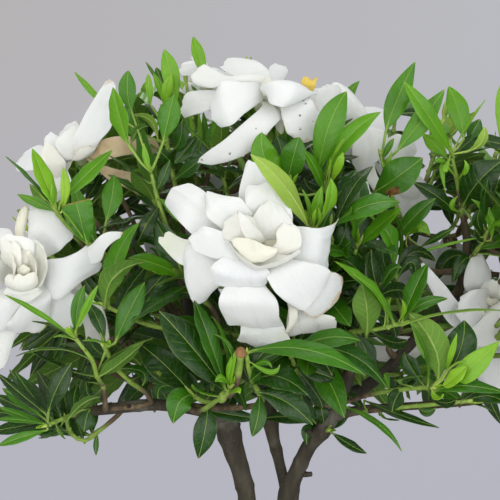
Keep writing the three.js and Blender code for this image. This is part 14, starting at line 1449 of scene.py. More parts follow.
[111.9,-38,268.6,114.8,-52.3,268.4,118.9,-67.3,266.9,8.7,0.72,0.14,0.68,0.13,0.38,0,0,111.9,-38,268.6],
[111.9,-38,268.6,125.8,-35.3,264.2,140.9,-33.4,258.7,10.5,0.26,-0.54,0.8,0.19,0.44,0,0,111.9,-38,268.6],
[106.7,-35,264.2,103,-48.6,272.6,100.7,-63.1,280.3,10.1,0.86,-0.14,0.48,0.22,0.57,0,0,106.7,-35,264.2],
[106.7,-35,264.2,121.6,-29.9,259.4,138,-25.6,253,9.9,0.34,-0.56,0.75,0.23,0.58,0,0,106.7,-35,264.2],
[101.5,-32.1,260.6,97,-47.1,252.7,94.1,-62.9,241.3,11.6,0.68,-0.38,0.62,0.15,0.73,0,0,101.5,-32.1,260.6],
[101.5,-32.1,260.6,110.5,-19.4,267.8,121.1,-7.5,273.7,11.1,0.61,-0.57,0.55,0.22,0.65,0,0,101.5,-32.1,260.6],
[104.4,-61.8,283.7,115.1,-62.8,288.9,126.7,-64.5,293.5,7.8,-0.17,-0.84,0.51,0.1,0.41,0,0,104.4,-61.8,283.7],
[104.4,-61.8,283.7,106,-68.6,293,108.4,-76.1,301.7,8,0.98,-0.21,0.05,0.09,0.41,0,0,104.4,-61.8,283.7],
[104.4,-61.8,283.7,112.9,-71,284,122.5,-81.1,282.3,7.9,0.06,0.09,0.99,0.17,0.33,0,0,104.4,-61.8,283.7],
[101,-58.7,279.3,100.3,-62,291.5,98.9,-67.8,302.3,9.9,0.66,-0.71,0.24,0.16,0.63,0,0,101,-58.7,279.3],
[101,-58.7,279.3,102.9,-73.9,277.8,105.9,-90,275,10.1,0.57,0.02,0.82,0.2,0.53,0,0,101,-58.7,279.3],
[101,-58.7,279.3,116.5,-62.1,276.2,133.1,-66.4,272.3,11,0.01,-0.47,0.88,0.12,0.53,0,0,101,-58.7,279.3],
[97.8,-55.7,275.2,116.8,-52.4,273.7,137.1,-50.3,269.7,12.9,0.15,-0.63,0.76,0.08,0.81,0,0,97.8,-55.7,275.2],
[94.6,-52.7,271.9,99.4,-37.5,275.5,103.6,-22.4,276.3,12.4,0.52,-0.52,0.68,0.09,0.74,0,0,94.6,-52.7,271.9],
[104.4,-61.8,283.7,107.4,-65,286.2,110.3,-68.2,288.7,3.2,-0.75,-0.63,0.21,0.16,0.15,0,0,104.4,-61.8,283.7],
[115.3,-11.3,294.9,122.2,-26.5,294.7,130.4,-42,293.4,11.3,0.45,0.2,0.87,0.24,0.69,0,0,115.3,-11.3,294.9],
[115.3,-11.3,294.9,116.1,0.5,307.4,118.2,12,317.8,10.5,0.63,-0.42,0.65,0.11,0.7,0,0,115.3,-11.3,294.9],
[111.1,-10.4,289.6,123.2,-9.5,281,136.4,-8.9,270.6,10.6,0.45,-0.13,0.89,0.2,0.76,0,0,111.1,-10.4,289.6],
[111.1,-10.4,289.6,107.1,-7.4,301.4,105.8,-5.3,312.4,10.7,0.65,-0.17,0.74,0.22,0.85,0,0,111.1,-10.4,289.6],
[100.9,-49,257.6,106,-55.5,264.8,112.2,-61.7,272.2,7.4,0.97,0.13,-0.22,0.23,0.35,0,0,100.9,-49,257.6],
[100.9,-49,257.6,109.3,-57,255.4,118.9,-65.9,250.7,7.1,0.23,0.05,0.97,0.1,0.31,0,0,100.9,-49,257.6],
[100.9,-49,257.6,111.7,-51.4,260.8,123.5,-54.7,263.2,8.1,-0.17,-0.97,0.19,0.1,0.37,0,0,100.9,-49,257.6],
[96.6,-45.7,254.8,98,-60,252.6,100.5,-75.3,246.8,9.9,0.8,0.03,0.59,0.13,0.59,0,0,96.6,-45.7,254.8],
[96.6,-45.7,254.8,111,-46,246.6,126.7,-47.4,234.8,10,0.25,-0.6,0.76,0.2,0.61,0,0,96.6,-45.7,254.8],
[96.6,-45.7,254.8,103.7,-52.7,268.9,112.3,-60.8,279.6,12.3,0.81,-0.54,-0.24,0.24,0.61,0,0,96.6,-45.7,254.8],
[88.6,-39.4,250.4,103.7,-30.2,244.6,120.4,-22.2,233.9,11.3,0.5,-0.67,0.54,0.12,0.71,0,0,88.6,-39.4,250.4],
[94.1,-14.6,318.8,107.2,-11.4,320.5,120.1,-9.4,320.7,11.5,0.01,-0.25,0.97,0.1,0.52,0,0,94.1,-14.6,318.8],
[90.9,-13.5,311.8,90.3,3.7,317.9,90.6,20.6,324.8,11.1,0.36,-0.21,0.91,0.2,0.57,0,0,90.9,-13.5,311.8],
[90.9,-13.5,311.8,91.8,-31.2,309.9,93.5,-49.2,304.3,11.7,0.35,-0.05,0.93,0.21,0.56,0,0,90.9,-13.5,311.8],
[104.4,1.7,314.2,115.4,11.6,321,127.4,21.5,324.7,11,0.11,-0.52,0.85,0.19,0.6,0,0,104.4,1.7,314.2],
[104.4,1.7,314.2,101.5,1,331.5,99.7,0.3,347.1,12.1,0.88,-0.01,0.47,0.24,0.55,0,0,104.4,1.7,314.2],
[100.8,1.9,307.2,119.2,3.1,302.6,138.8,4.3,295.4,11.4,0.18,-0.05,0.98,0.21,0.75,0,0,100.8,1.9,307.2],
[97.2,2.1,300.9,102.1,17.3,303.4,107.9,32.5,304.7,10.4,0.4,-0.23,0.89,0.12,0.68,0,0,97.2,2.1,300.9],
[97.2,2.1,300.9,94.3,-11.1,308.9,92.7,-23.8,315.6,10.4,0.5,0.13,0.86,0.21,0.81,0,0,97.2,2.1,300.9],
[92.4,-72.2,266.7,102.3,-79.8,271.3,112.7,-90,273.3,9,-0.17,-0.98,0,0.17,0.3,0,0,92.4,-72.2,266.7],
[92.4,-72.2,266.7,95.8,-83.6,273.6,100.3,-96.2,279.4,9.1,1,0.07,-0.01,0.11,0.24,0,0,92.4,-72.2,266.7],
[92.4,-72.2,266.7,98.4,-81.3,264.4,105.2,-91.3,260.5,6.9,0.21,-0.05,0.98,0.14,0.27,0,0,92.4,-72.2,266.7],
[89.3,-68.5,263.4,94.5,-73.4,276.3,100.7,-79.5,287.9,9.8,0.58,-0.81,-0.12,0.14,0.54,0,0,89.3,-68.5,263.4],
[89.3,-68.5,263.4,90.3,-82.3,256.5,92.2,-97.2,247.5,10.5,0.55,-0.22,0.81,0.2,0.46,0,0,89.3,-68.5,263.4],
[89.3,-68.5,263.4,103.2,-69.7,260.4,117.9,-72,257.1,9.9,0.03,-0.7,0.72,0.13,0.48,0,0,89.3,-68.5,263.4],
[86.4,-65,260.3,101.7,-59.9,261.1,118,-56.1,259.3,11.3,0.25,-0.78,0.57,0.23,0.57,0,0,86.4,-65,260.3],
[92.4,-72.2,266.7,95.4,-75.9,268.3,98.4,-79.5,269.8,3.2,-0.78,-0.63,0.04,0.16,0.15,0,0,92.4,-72.2,266.7],
[98.9,-16.1,330.9,90.1,-12.3,333.4,81.4,-10.7,334.7,6.5,-0.29,-1,0.44,0.12,0.86,0,0,98.9,-16.1,330.9],
]),
"leaves_back_8":(0,[[[-53.8,29,254,1.38],[-54.5,33.7,251.4,1.33],[-54.8,38.3,248.6,1.28],[-55.2,42.8,246.2,1.24],[-56.5,47.3,244.7,1.19],[-59.4,51.7,244.9,1.15],[-69.3,62.8,247.8,1],[-79.3,73.8,254.7,0.7]],[[-66,59.1,246.8,1.15],[-68.3,56.9,248.2,1.15],[-70.4,54.2,249.7,1.15],[-72.6,51.8,251.2,1.15],[-74.8,50.6,252.7,1.15],[-77.3,51.5,254.2,1.15],[-88.1,60.6,260.1,1],[-98.8,69.8,270,0.7]],[[-70.4,54.2,249.7,1.15],[-71.6,51.5,246.9,1.15],[-72.5,48.3,244,1.15],[-73.5,45.3,241.3,1.15],[-75.1,43.8,239.3,1.15],[-77.6,44.6,238.6,1.15],[-87.4,51.5,238.7,1],[-97.3,58.5,242.8,0.7]],[[-77.6,44.6,238.6,1.15],[-79,42.2,240.4,1.15],[-80,39.3,242.5,1.15],[-81.1,36.8,244.5,1.15],[-82.7,35.3,246.2,1.15],[-85.2,35.6,247.5,1.15],[-98.4,42.4,251.5,1],[-111.6,49.1,259.4,0.7]],[[-62.7,55.4,245.9,1.15],[-61.6,56.1,248.6,1.15],[-60,56.6,251.4,1.15],[-58.6,57.2,254.2,1.15],[-58.1,58.3,256.8,1.15],[-59,60.1,258.8,1.15],[-68.1,72.1,267.5,1],[-77.2,84,280.2,0.7]],[[-80.9,54.5,256.2,1.15],[-81.6,51.6,257.8,1.15],[-82.1,48.2,259.5,1.15],[-82.7,45.1,261.2,1.15],[-83.8,43.3,263,1.15],[-85.8,43.5,265,1.15],[-97.1,50.6,274,1],[-108.3,57.7,286.9,0.7]],[[-75.1,43.8,239.3,1.15],[-74.1,39.3,238.1,1.15],[-72.4,34.2,237.1,1.15],[-71.1,29.5,236.1,1.15],[-71.2,26.4,235.3,1.15],[-73.7,26.2,234.5,1.15],[-84.8,30.7,232.7,1],[-96,35.1,234.8,0.7]],[[-56.5,47.3,244.7,1.15],[-54.2,48.7,242.3,1.15],[-51.4,49.8,239.6,1.15],[-48.9,51.1,237.2,1.15],[-47.5,52.7,235.5,1.15],[-48.3,55.2,234.7,1.15],[-56.6,67.4,234.3,1],[-64.9,79.5,237.9,0.7]],[[-48.3,55.2,234.7,1.15],[-50.6,52.3,232.8,1.15],[-52.7,48.6,230.8,1.15],[-54.9,45.3,229.1,1.15],[-57.2,43.6,227.6,1.15],[-60,44.7,226.5,1.15],[-70.6,54.7,223.6,1],[-81.2,64.7,224.7,0.7]],[[-85.2,35.6,247.5,1.15],[-86.2,33.5,250.4,1.15],[-86.8,30.9,253.6,1.15],[-87.5,28.6,256.7,1.15],[-89,27.2,259.5,1.15],[-91.8,27.4,261.7,1.15],[-102.4,30.9,267,1],[-113.1,34.5,276.4,0.7]],[[-65.8,69.1,265.3,1.15],[-67.8,66.6,267,1.15],[-69.7,63.5,268.7,1.15],[-71.5,60.8,270.4,1.15],[-73.4,59.3,272.4,1.15],[-75.5,60,274.7,1.15],[-83.5,68.2,284.2,1],[-91.6,76.3,297.6,0.7]],[[-53.8,63.3,234.5,1.15],[-53.1,64.5,237.7,1.15],[-52.1,65.3,241.3,1.15],[-51.2,66.2,244.8,1.15],[-51.1,67.8,247.7,1.15],[-52.2,70.4,249.6,1.15],[-59.5,83.1,254.6,1],[-66.8,95.8,263.5,0.7]],[[-73.7,26.2,234.5,1.15],[-74.2,24.1,236.2,1.15],[-74.4,21.7,238,1.15],[-74.8,19.4,239.8,1.15],[-75.8,18,241.2,1.15],[-77.9,17.8,242,1.15],[-94,21.5,244.2,1],[-110.2,25.2,250.3,0.7]],[[-91.4,47,269.5,1.15],[-91.7,44.1,272,1.15],[-91.5,40.7,274.5,1.15],[-91.6,37.6,277,1.15],[-92.3,35.6,279.7,1.15],[-94.3,35.6,282.5,1.15],[-102.9,39.4,291.3,1],[-111.4,43.1,304.1,0.7]],[[-53.1,64.5,237.7,1.15],[-49.6,66.2,237.7,1.15],[-45.5,67.5,237.8,1.15],[-41.8,69,237.9,1.15],[-39.5,71.1,238.1,1.15],[-39.5,74.1,238.5,1.15],[-45.1,87.3,240.3,1],[-50.8,100.6,246.1,0.7]],[[-63.5,66.1,263.2,1.15],[-59.3,68.5,264.8,1.15],[-54.3,70.7,266.3,1.15],[-49.8,72.9,268,1.15],[-47,75.6,270.1,1.15],[-47.1,79.2,272.8,1.15],[-51.5,88.3,279.6,1],[-55.9,97.4,290.5,0.7]],[[-47.5,52.7,235.5,1.15],[-41.4,45.1,234.8,1.15],[-33.4,36.5,234.4,1.15],[-26.4,28.6,234.2,1.15],[-23.5,22.8,233.8,1.15],[-27.3,20.7,232.8,1.15],[-39.1,21,230.8,1],[-50.8,21.2,232.9,0.7]],[[-53.8,29,254,1.15],[-52.4,23.9,253,1.15],[-50.1,18.5,251.9,1.15],[-48.3,13.3,251.1,1.15],[-48.2,9.2,251,1.15],[-51.1,6.8,251.9,1.15],[-60.3,4.2,255.1,1],[-69.5,1.7,262.3,0.7]],[[-37.4,40.8,234.6,1.15],[-35.9,42.6,232.6,1.15],[-34,44.2,230.6,1.15],[-32.4,45.8,228.7,1.15],[-31.6,47.7,227.1,1.15],[-32.1,50.2,226,1.15],[-38.9,63.4,221.9,1],[-45.7,76.6,221.8,0.7]],[[-98.9,29.8,265.2,1.15],[-98.9,26.9,267,1.15],[-98.5,23.7,268.8,1.15],[-98.4,20.7,270.7,1.15],[-99,18.6,272.7,1.15],[-101,18.1,274.8,1.15],[-110.6,19.7,282,1],[-120.2,21.4,293.3,0.7]]],[
[-79.3,73.8,254.7,-90.4,80.4,249.3,-102.5,88.2,242.1,8.8,-0.02,0.47,0.88,0.12,0.39,0,0,-79.3,73.8,254.7],
[-79.3,73.8,254.7,-88.2,80.7,267.4,-98.7,88.4,280.3,8.9,-0.42,0.72,-0.55,0.16,0.36,0,0,-79.3,73.8,254.7],
[-79.3,73.8,254.7,-81.8,82.1,257.9,-84.6,89.9,260.9,8.5,-0.82,-0.3,0.49,0.12,0.37,0,0,-79.3,73.8,254.7],
[-75.2,69.3,251.8,-90.5,70.1,258.9,-107.1,72.3,261.6,12.2,-0.06,0.99,0.14,0.18,0.6,0,0,-75.2,69.3,251.8],
[-75.2,69.3,251.8,-71.5,81.4,259,-68.9,94.6,262.2,9.8,-0.91,0.37,0.21,0.21,0.55,0,0,-75.2,69.3,251.8],
[-75.2,69.3,251.8,-80.7,80,238.9,-87.5,92.2,224.7,11.6,-0.47,0.38,0.8,0.2,0.54,0,0,-75.2,69.3,251.8],
[-71.3,64.9,249.1,-73.8,68,266.5,-77.7,72.6,280.5,11.8,-0.66,0.73,0.14,0.09,0.68,0,0,-71.3,64.9,249.1],
[-67.3,60.5,247.2,-60.1,69.3,256.6,-54,79.3,263,9.3,-0.73,0.59,0.34,0.14,0.79,0,0,-67.3,60.5,247.2],
[-67.3,60.5,247.2,-80.9,53.1,239.9,-95.9,47.1,231.7,11.9,-0.49,0.72,0.49,0.13,0.75,0,0,-67.3,60.5,247.2],
[-98.8,69.8,270,-106.4,80.4,267.4,-115,92,263.6,9.4,-0.33,-0.07,0.94,0.15,0.28,0,0,-98.8,69.8,270],
[-98.8,69.8,270,-111.4,73.4,276,-125.2,78.1,278.4,9.2,0.22,0.95,0.23,0.22,0.19,0,0,-98.8,69.8,270],
[-98.8,69.8,270,-101.9,77.7,278.8,-106,86.5,287,7.9,-0.99,0.14,-0.09,0.23,0.32,0,0,-98.8,69.8,270],
[-94.4,66,265.9,-111.8,65.2,260.9,-130.5,65.7,254.5,12.4,-0.16,0.62,0.77,0.1,0.44,0,0,-94.4,66,265.9],
[-94.4,66,265.9,-99.2,66.8,277.3,-103.5,68.2,286.9,9.6,-0.55,0.83,-0.02,0.18,0.53,0,0,-94.4,66,265.9],
[-94.4,66,265.9,-94.1,81.5,266.5,-94.9,98,265,10.3,-0.78,0,0.62,0.2,0.4,0,0,-94.4,66,265.9],
[-90.1,62.4,262,-101.9,53.7,273.3,-115.2,46.4,281,13.2,-0.47,0.77,0.43,0.2,0.56,0,0,-90.1,62.4,262],
[-90.1,62.4,262,-87.1,80.9,256.4,-85.6,100.9,245.8,14.1,-0.69,0.23,0.69,0.14,0.66,0,0,-90.1,62.4,262],
[-85.8,58.7,258.9,-84.6,52.4,275.1,-84.9,47.3,287.5,12.8,-0.62,0.54,0.56,0.13,0.63,0,0,-85.8,58.7,258.9],
[-85.8,58.7,258.9,-93.3,64.5,244.8,-102,71.3,228.6,12,-0.51,0.44,0.74,0.11,0.67,0,0,-85.8,58.7,258.9],
[-97.3,58.5,242.8,-105.8,66.9,236.9,-115.7,76.3,227,9.9,-0.41,0.03,0.91,0.12,0.84,0,0,-97.3,58.5,242.8],
[-97.3,58.5,242.8,-109.2,62,245.4,-122.4,66.3,247.1,7.7,0.16,0.97,-0.18,0.13,0.52,0,0,-97.3,58.5,242.8],
[-97.3,58.5,242.8,-103.3,67.8,245.8,-110.4,77.9,248.1,7.2,-0.9,-0.38,-0.21,0.15,0.41,0,0,-97.3,58.5,242.8],
[-93.2,55.6,241.1,-108.7,53.1,236,-125.7,51.6,227.6,11.4,-0.21,0.82,0.54,0.09,0.84,0,0,-93.2,55.6,241.1],
[-93.2,55.6,241.1,-99.4,61.9,252.2,-106.8,69.1,259.8,8.8,-0.83,0.48,-0.28,0.2,0.72,0,0,-93.2,55.6,241.1],
[-93.2,55.6,241.1,-96.3,71,235.1,-100.8,87.5,227.2,12.2,-0.82,-0.06,0.57,0.09,0.84,0,0,-93.2,55.6,241.1],
[-89.3,52.8,239.5,-102.1,43.8,246.8,-116.5,36,252.6,10.8,-0.62,0.75,0.21,0.23,0.8,0,0,-89.3,52.8,239.5],
[-89.3,52.8,239.5,-88.4,70.2,231.5,-89.2,88.9,222.3,11.5,-0.85,0.14,0.5,0.14,0.84,0,0,-89.3,52.8,239.5],
[-85.5,50.1,238.7,-89.9,52.7,256,-96.2,56.6,269.9,12.4,-0.81,0.58,0.07,0.24,0.87,0,0,-85.5,50.1,238.7],
[-85.5,50.1,238.7,-89,49.7,222.3,-94.2,50.3,202.9,11.8,-0.71,0.53,0.46,0.23,0.92,0,0,-85.5,50.1,238.7],
[-111.6,49.1,259.4,-121.4,61.7,258.9,-133.8,76.4,257,7.4,-0.58,-0.41,0.7,0.2,0.4,0,0,-111.6,49.1,259.4],
[-111.6,49.1,259.4,-122.7,51.4,258.8,-134.9,54.4,257,7.1,0.08,0.53,0.85,0.22,0.4,0,0,-111.6,49.1,259.4],
[-111.6,49.1,259.4,-121.6,53.4,266.6,-133,58.5,271.7,8.3,-0.58,0.5,-0.65,0.12,0.37,0,0,-111.6,49.1,259.4],
[-106.1,46.3,256.1,-117.1,49.2,245.8,-129.5,52.9,232.3,9.2,-0.44,0.32,0.84,0.23,0.59,0,0,-106.1,46.3,256.1],
[-106.1,46.3,256.1,-109,60.4,265.3,-114.6,75,271.5,12,-0.96,0.01,0.27,0.14,0.48,0,0,-106.1,46.3,256.1],
[-100.9,43.6,253,-115,32.7,247,-130.8,22.6,236.6,13.4,-0.57,0.57,0.59,0.15,0.66,0,0,-100.9,43.6,253],
[-100.9,43.6,253,-98.1,57.5,262.7,-97.3,72.8,270,9.9,-0.9,0.22,0.38,0.13,0.71,0,0,-100.9,43.6,253],
[-95.7,41,250.6,-101.5,30,258.2,-108.9,19.7,264.7,9.7,-0.75,0.49,0.45,0.15,0.85,0,0,-95.7,41,250.6],
[-95.7,41,250.6,-91.3,54.9,241.4,-88.6,69.8,230.5,11.3,-0.77,0.38,0.51,0.19,0.79,0,0,-95.7,41,250.6],
[-111.6,49.1,259.4,-116.1,51,260.6,-120.5,53,261.7,3.2,0.42,0.89,-0.16,0.16,0.15,0,0,-111.6,49.1,259.4],
[-77.2,84,280.2,-80.5,96.4,282.8,-84.6,109.9,283.2,8.7,-0.56,-0.25,0.78,0.09,0.47,0,0,-77.2,84,280.2],
[-77.2,84,280.2,-87.8,88.2,282.4,-99.1,93.3,282.9,7.2,0.33,0.61,0.73,0.15,0.45,0,0,-77.2,84,280.2],
[-77.2,84,280.2,-81.2,89.8,289.3,-85.9,96.5,297.8,7.1,-0.63,0.71,-0.31,0.09,0.41,0,0,-77.2,84,280.2],
[-73.4,79.1,274.9,-87.5,85.9,266,-103.5,93.6,252.7,10.9,-0.09,0.41,0.91,0.23,0.66,0,0,-73.4,79.1,274.9],
[-73.4,79.1,274.9,-84.5,78.7,286.6,-96.6,79.5,296.8,10.5,-0.11,0.95,0.28,0.19,0.62,0,0,-73.4,79.1,274.9],
[-69.8,74.3,269.9,-87.7,72.7,266.5,-106.7,72.5,261.9,11.1,-0.15,0.65,0.74,0.22,0.83,0,0,-69.8,74.3,269.9],
[-66.2,69.6,265.7,-73.3,60.2,277.8,-81.3,52.2,287.2,11.4,-0.41,0.69,0.6,0.15,0.88,0,0,-66.2,69.6,265.7],
[-66.2,69.6,265.7,-62.7,85.2,256.2,-60.4,102.3,246.7,11.1,-0.49,0.4,0.77,0.19,0.84,0,0,-66.2,69.6,265.7],
[-77.2,84,280.2,-80.3,87.2,282.6,-83.3,90.4,285,3.2,0.72,0.67,-0.18,0.16,0.15,0,0,-77.2,84,280.2],
[-108.3,57.7,286.9,-118.7,56.1,295,-130.2,55.2,300.5,8.3,-0.12,0.93,0.36,0.15,0.3,0,0,-108.3,57.7,286.9],
[-108.3,57.7,286.9,-113.2,65.1,296.7,-119.1,73.2,304.7,9.6,-0.99,-0.14,-0.01,0.2,0.27,0,0,-108.3,57.7,286.9],
[-108.3,57.7,286.9,-118.7,65.3,289.4,-130.3,73.7,288.7,9.7,0.04,-0.19,0.98,0.1,0.26,0,0,-108.3,57.7,286.9],
[-103.6,54.7,281.5,-112.3,56.1,298.2,-124.3,58.9,313.1,11.9,-0.77,0.62,0.16,0.09,0.58,0,0,-103.6,54.7,281.5],
[-103.6,54.7,281.5,-107.9,69.7,283.3,-113.4,85.4,284.1,10,-0.6,-0.23,0.76,0.21,0.46,0,0,-103.6,54.7,281.5],
[-103.6,54.7,281.5,-121.4,52.5,276.8,-140.6,51.2,272.2,12.9,-0.21,0.47,0.86,0.11,0.55,0,0,-103.6,54.7,281.5],
[-99.2,51.9,276.4,-93.6,63.5,290.4,-89.6,76,304.2,13.2,-0.85,0.18,0.5,0.08,0.68,0,0,-99.2,51.9,276.4],
[-99.2,51.9,276.4,-114.5,44.5,272.5,-131.3,37.9,266.9,11.3,-0.37,0.5,0.78,0.15,0.7,0,0,-99.2,51.9,276.4],
[-94.7,49.1,272.1,-94.7,62.6,262.1,-96.1,76.9,250.2,10.8,-0.59,0.33,0.74,0.11,0.66,0,0,-94.7,49.1,272.1],
[-94.7,49.1,272.1,-102.7,34.3,279.4,-112.1,20.4,282.6,11.4,-0.55,0.49,0.68,0.08,0.7,0,0,-94.7,49.1,272.1],
[-108.3,57.7,286.9,-111.5,60.5,289.7,-114.7,63.3,292.5,3.2,0.63,0.74,0.24,0.16,0.15,0,0,-108.3,57.7,286.9],
[-96,35.1,234.8,-106.8,35.8,238,-118.7,36.9,237.7,8.2,-0.26,0.78,-0.56,0.11,0.84,0,0,-96,35.1,234.8],
[-96,35.1,234.8,-106,44.6,235.3,-117.5,54.6,234.1,9.4,-0.69,-0.7,-0.16,0.2,0.84,0,0,-96,35.1,234.8],
[-96,35.1,234.8,-103.7,40.2,231.2,-111.4,47.6,226.9,7.5,-0.28,0.46,0.84,0.2,0.84,0,0,-96,35.1,234.8],
[-91.5,33.3,233.9,-103,42.8,242.7,-118.6,51.9,246.7,10.6,-0.96,0.01,-0.27,0.19,0.53,0,0,-91.5,33.3,233.9],
[-91.5,33.3,233.9,-94.5,44.2,219.9,-99.3,55.7,202.4,11.5,-0.84,0.05,0.53,0.22,0.84,0,0,-91.5,33.3,233.9],
[-91.5,33.3,233.9,-106.1,25.9,228.3,-122.5,19.2,220.4,11.8,-0.44,0.82,0.37,0.17,0.84,0,0,-91.5,33.3,233.9],
[-87,31.6,233.1,-84.3,49.9,228.3,-83.5,69,222,11.8,-0.97,0.12,0.23,0.1,0.84,0,0,-87,31.6,233.1],
[-82.6,29.8,233,-90.7,22.6,245.4,-100.7,16.2,253.5,11.1,-0.89,0.46,0.06,0.12,0.68,0,0,-82.6,29.8,233],
[-64.9,79.5,237.9,-73.7,85,233.7,-83.2,91.6,227.7,8.1,0.21,0.66,0.72,0.09,0.39,0,0,-64.9,79.5,237.9],
[-64.9,79.5,237.9,-70.9,88.4,241.5,-77.7,98.4,242.1,7,-0.28,0.37,-0.88,0.16,0.47,0,0,-64.9,79.5,237.9],
[-64.9,79.5,237.9,-66.3,91.3,234.2,-68.5,104.3,226.7,8,-0.79,0,0.61,0.21,0.44,0,0,-64.9,79.5,237.9],
[-61.5,74.5,236.5,-73.2,77.2,243.4,-85.8,81.1,247.5,8.7,-0.11,0.99,-0.13,0.15,0.63,0,0,-61.5,74.5,236.5],
[-61.5,74.5,236.5,-58.8,90.5,240.2,-57.1,108,241.4,11.7,-0.96,0.26,0.03,0.22,0.66,0,0,-61.5,74.5,236.5],
[-61.5,74.5,236.5,-66.4,82.6,221.8,-72.4,92.2,204.8,11.8,-0.4,0.55,0.73,0.21,0.58,0,0,-61.5,74.5,236.5],
[-58.2,69.7,235,-61.7,77.7,248,-66.2,87.3,259.8,11.7,-0.61,0.77,-0.21,0.08,0.8,0,0,-58.2,69.7,235],
[-54.9,64.9,234.4,-40.5,76.7,237.9,-27.3,90.3,236.2,13.3,-0.6,0.76,0.26,0.18,0.8,0,0,-54.9,64.9,234.4],
[-54.9,64.9,234.4,-71.6,56.9,233.5,-89.4,50.7,231.5,13.4,-0.42,0.87,0.27,0.2,0.89,0,0,-54.9,64.9,234.4],
[-64.9,79.5,237.9,-67.7,83.6,237.6,-70.5,87.8,237.2,3.2,0.83,0.56,-0.04,0.16,0.15,0,0,-64.9,79.5,237.9],
[-81.2,64.7,224.7,-93.6,69.9,224.8,-107.2,76.1,221,9.8,0.36,0.89,-0.28,0.17,0.84,0,0,-81.2,64.7,224.7],
[-81.2,64.7,224.7,-85,75.9,225.1,-89.8,88.1,223,8.3,-0.94,-0.3,-0.19,0.09,0.46,0,0,-81.2,64.7,224.7],
[-81.2,64.7,224.7,-88.5,71.2,214,-97,78.9,201.7,9.1,-0.41,0.42,0.81,0.19,0.84,0,0,-81.2,64.7,224.7],
[-76.9,60.7,224.2,-82.1,71.3,236.7,-86.8,84.5,246.1,11.5,-0.62,0.6,-0.51,0.15,0.58,0,0,-76.9,60.7,224.2],
[-76.9,60.7,224.2,-88.8,57.3,217,-101.8,55,206.3,9.7,-0.27,0.9,0.35,0.12,0.84,0,0,-76.9,60.7,224.2],
[-72.7,56.7,223.8,-68.2,70.9,228.8,-65.1,86.4,232.4,10.4,-0.9,0.43,-0.02,0.14,0.73,0,0,-72.7,56.7,223.8],
[-72.7,56.7,223.8,-85.3,48.5,216.1,-99.2,41.7,203.9,11.9,-0.49,0.84,0.23,0.16,0.84,0,0,-72.7,56.7,223.8],
[-68.5,52.8,224.2,-58,61.6,216.5,-48.9,71.7,205.4,10.1,-0.73,0.67,0.12,0.24,0.86,0,0,-68.5,52.8,224.2],
[-68.5,52.8,224.2,-81.6,48,235.6,-96.3,44.6,243.3,12.5,-0.63,0.78,-0.01,0.09,0.86,0,0,-68.5,52.8,224.2],
[-81.2,64.7,224.7,-84.9,67.8,223.4,-88.7,70.9,222.2,3.2,0.66,0.74,0.12,0.16,0.15,0,0,-81.2,64.7,224.7],
[-113.1,34.5,276.4,-127.1,33,278.8,-142.5,32,279.7,9.1,0.01,0.66,0.75,0.2,0.2,0,0,-113.1,34.5,276.4],
[-113.1,34.5,276.4,-122.8,45,281.5,-133.9,57.3,285.5,8.9,-0.39,-0.63,0.67,0.12,0.22,0,0,-113.1,34.5,276.4],
[-108.6,33,272.4,-118.1,22.3,281,-129,12.2,285.7,10.9,-0.61,0.64,0.47,0.18,0.51,0,0,-108.6,33,272.4],
[-108.6,33,272.4,-112.4,42.6,278.2,-118.1,50.8,283.6,9.4,-0.83,-0.24,0.5,0.17,0.47,0,0,-108.6,33,272.4],
[-108.6,33,272.4,-121.1,38.7,267,-134.9,44.7,259.4,10.2,-0.28,0.02,0.96,0.21,0.53,0,0,-108.6,33,272.4],
[-104.4,31.6,268.8,-119.2,31.1,257.7,-135.7,31.2,246.1,11.1,-0.45,0.26,0.86,0.22,0.58,0,0,-104.4,31.6,268.8],
[-100.2,30.2,265.9,-94.9,46.2,274.1,-91.5,62.8,280.6,12.6,-0.8,0.12,0.59,0.15,0.62,0,0,-100.2,30.2,265.9],
[-100.2,30.2,265.9,-108.1,18.3,260.4,-117.4,6.9,254.7,9.7,-0.69,0.29,0.66,0.22,0.66,0,0,-100.2,30.2,265.9],
[-113.1,34.5,276.4,-119,34.5,278.6,-125.7,33.3,280.9,3.2,0.24,0.96,-0.17,0.16,0.15,0,0,-113.1,34.5,276.4],
[-91.6,76.3,297.6,-93.6,87.3,301.7,-96.4,99.1,303.1,7.4,-0.59,-0.28,0.75,0.18,0.42,0,0,-91.6,76.3,297.6],
[-91.6,76.3,297.6,-102.6,82.2,302.6,-114.4,89.1,307.8,9.8,0.43,0.32,0.84,0.12,0.38,0,0,-91.6,76.3,297.6],
[-91.6,76.3,297.6,-93.7,80.2,307.9,-96.5,84.8,317.5,7,-0.84,0.55,0,0.15,0.32,0,0,-91.6,76.3,297.6],
[-88.2,72.9,292,-99.3,85.6,286.9,-111.3,99.4,280.4,11.9,-0.18,0.13,0.98,0.13,0.49,0,0,-88.2,72.9,292],
[-88.2,72.9,292,-84.6,83.6,302.8,-81.8,95.3,312.2,11.5,-0.86,0.13,0.48,0.1,0.56,0,0,-88.2,72.9,292],
[-85,69.7,286.7,-102.3,63.7,286.6,-120.6,58.9,283.8,12.1,-0.2,0.57,0.8,0.08,0.77,0,0,-85,69.7,286.7],
[-85,69.7,286.7,-77,81.1,293.7,-69.9,93.4,297.7,9.4,-0.69,0.25,0.68,0.18,0.69,0,0,-85,69.7,286.7],
[-81.8,66.4,282.1,-86.4,54.9,294.2,-92,44.4,305.2,11.1,-0.43,0.58,0.69,0.15,0.84,0,0,-81.8,66.4,282.1],
[-81.8,66.4,282.1,-81,81.5,273.8,-81.2,97.7,263,11.1,-0.45,0.33,0.83,0.21,0.82,0,0,-81.8,66.4,282.1],
[-91.6,76.3,297.6,-94.5,79,300.7,-97.4,81.7,303.7,3.2,0.78,0.6,0.17,0.16,0.15,0,0,-91.6,76.3,297.6],
[-66.8,95.8,263.5,-76.8,102.9,271.1,-87.6,111.6,274.8,9.3,0.33,0.94,-0.08,0.13,0.37,0,0,-66.8,95.8,263.5],
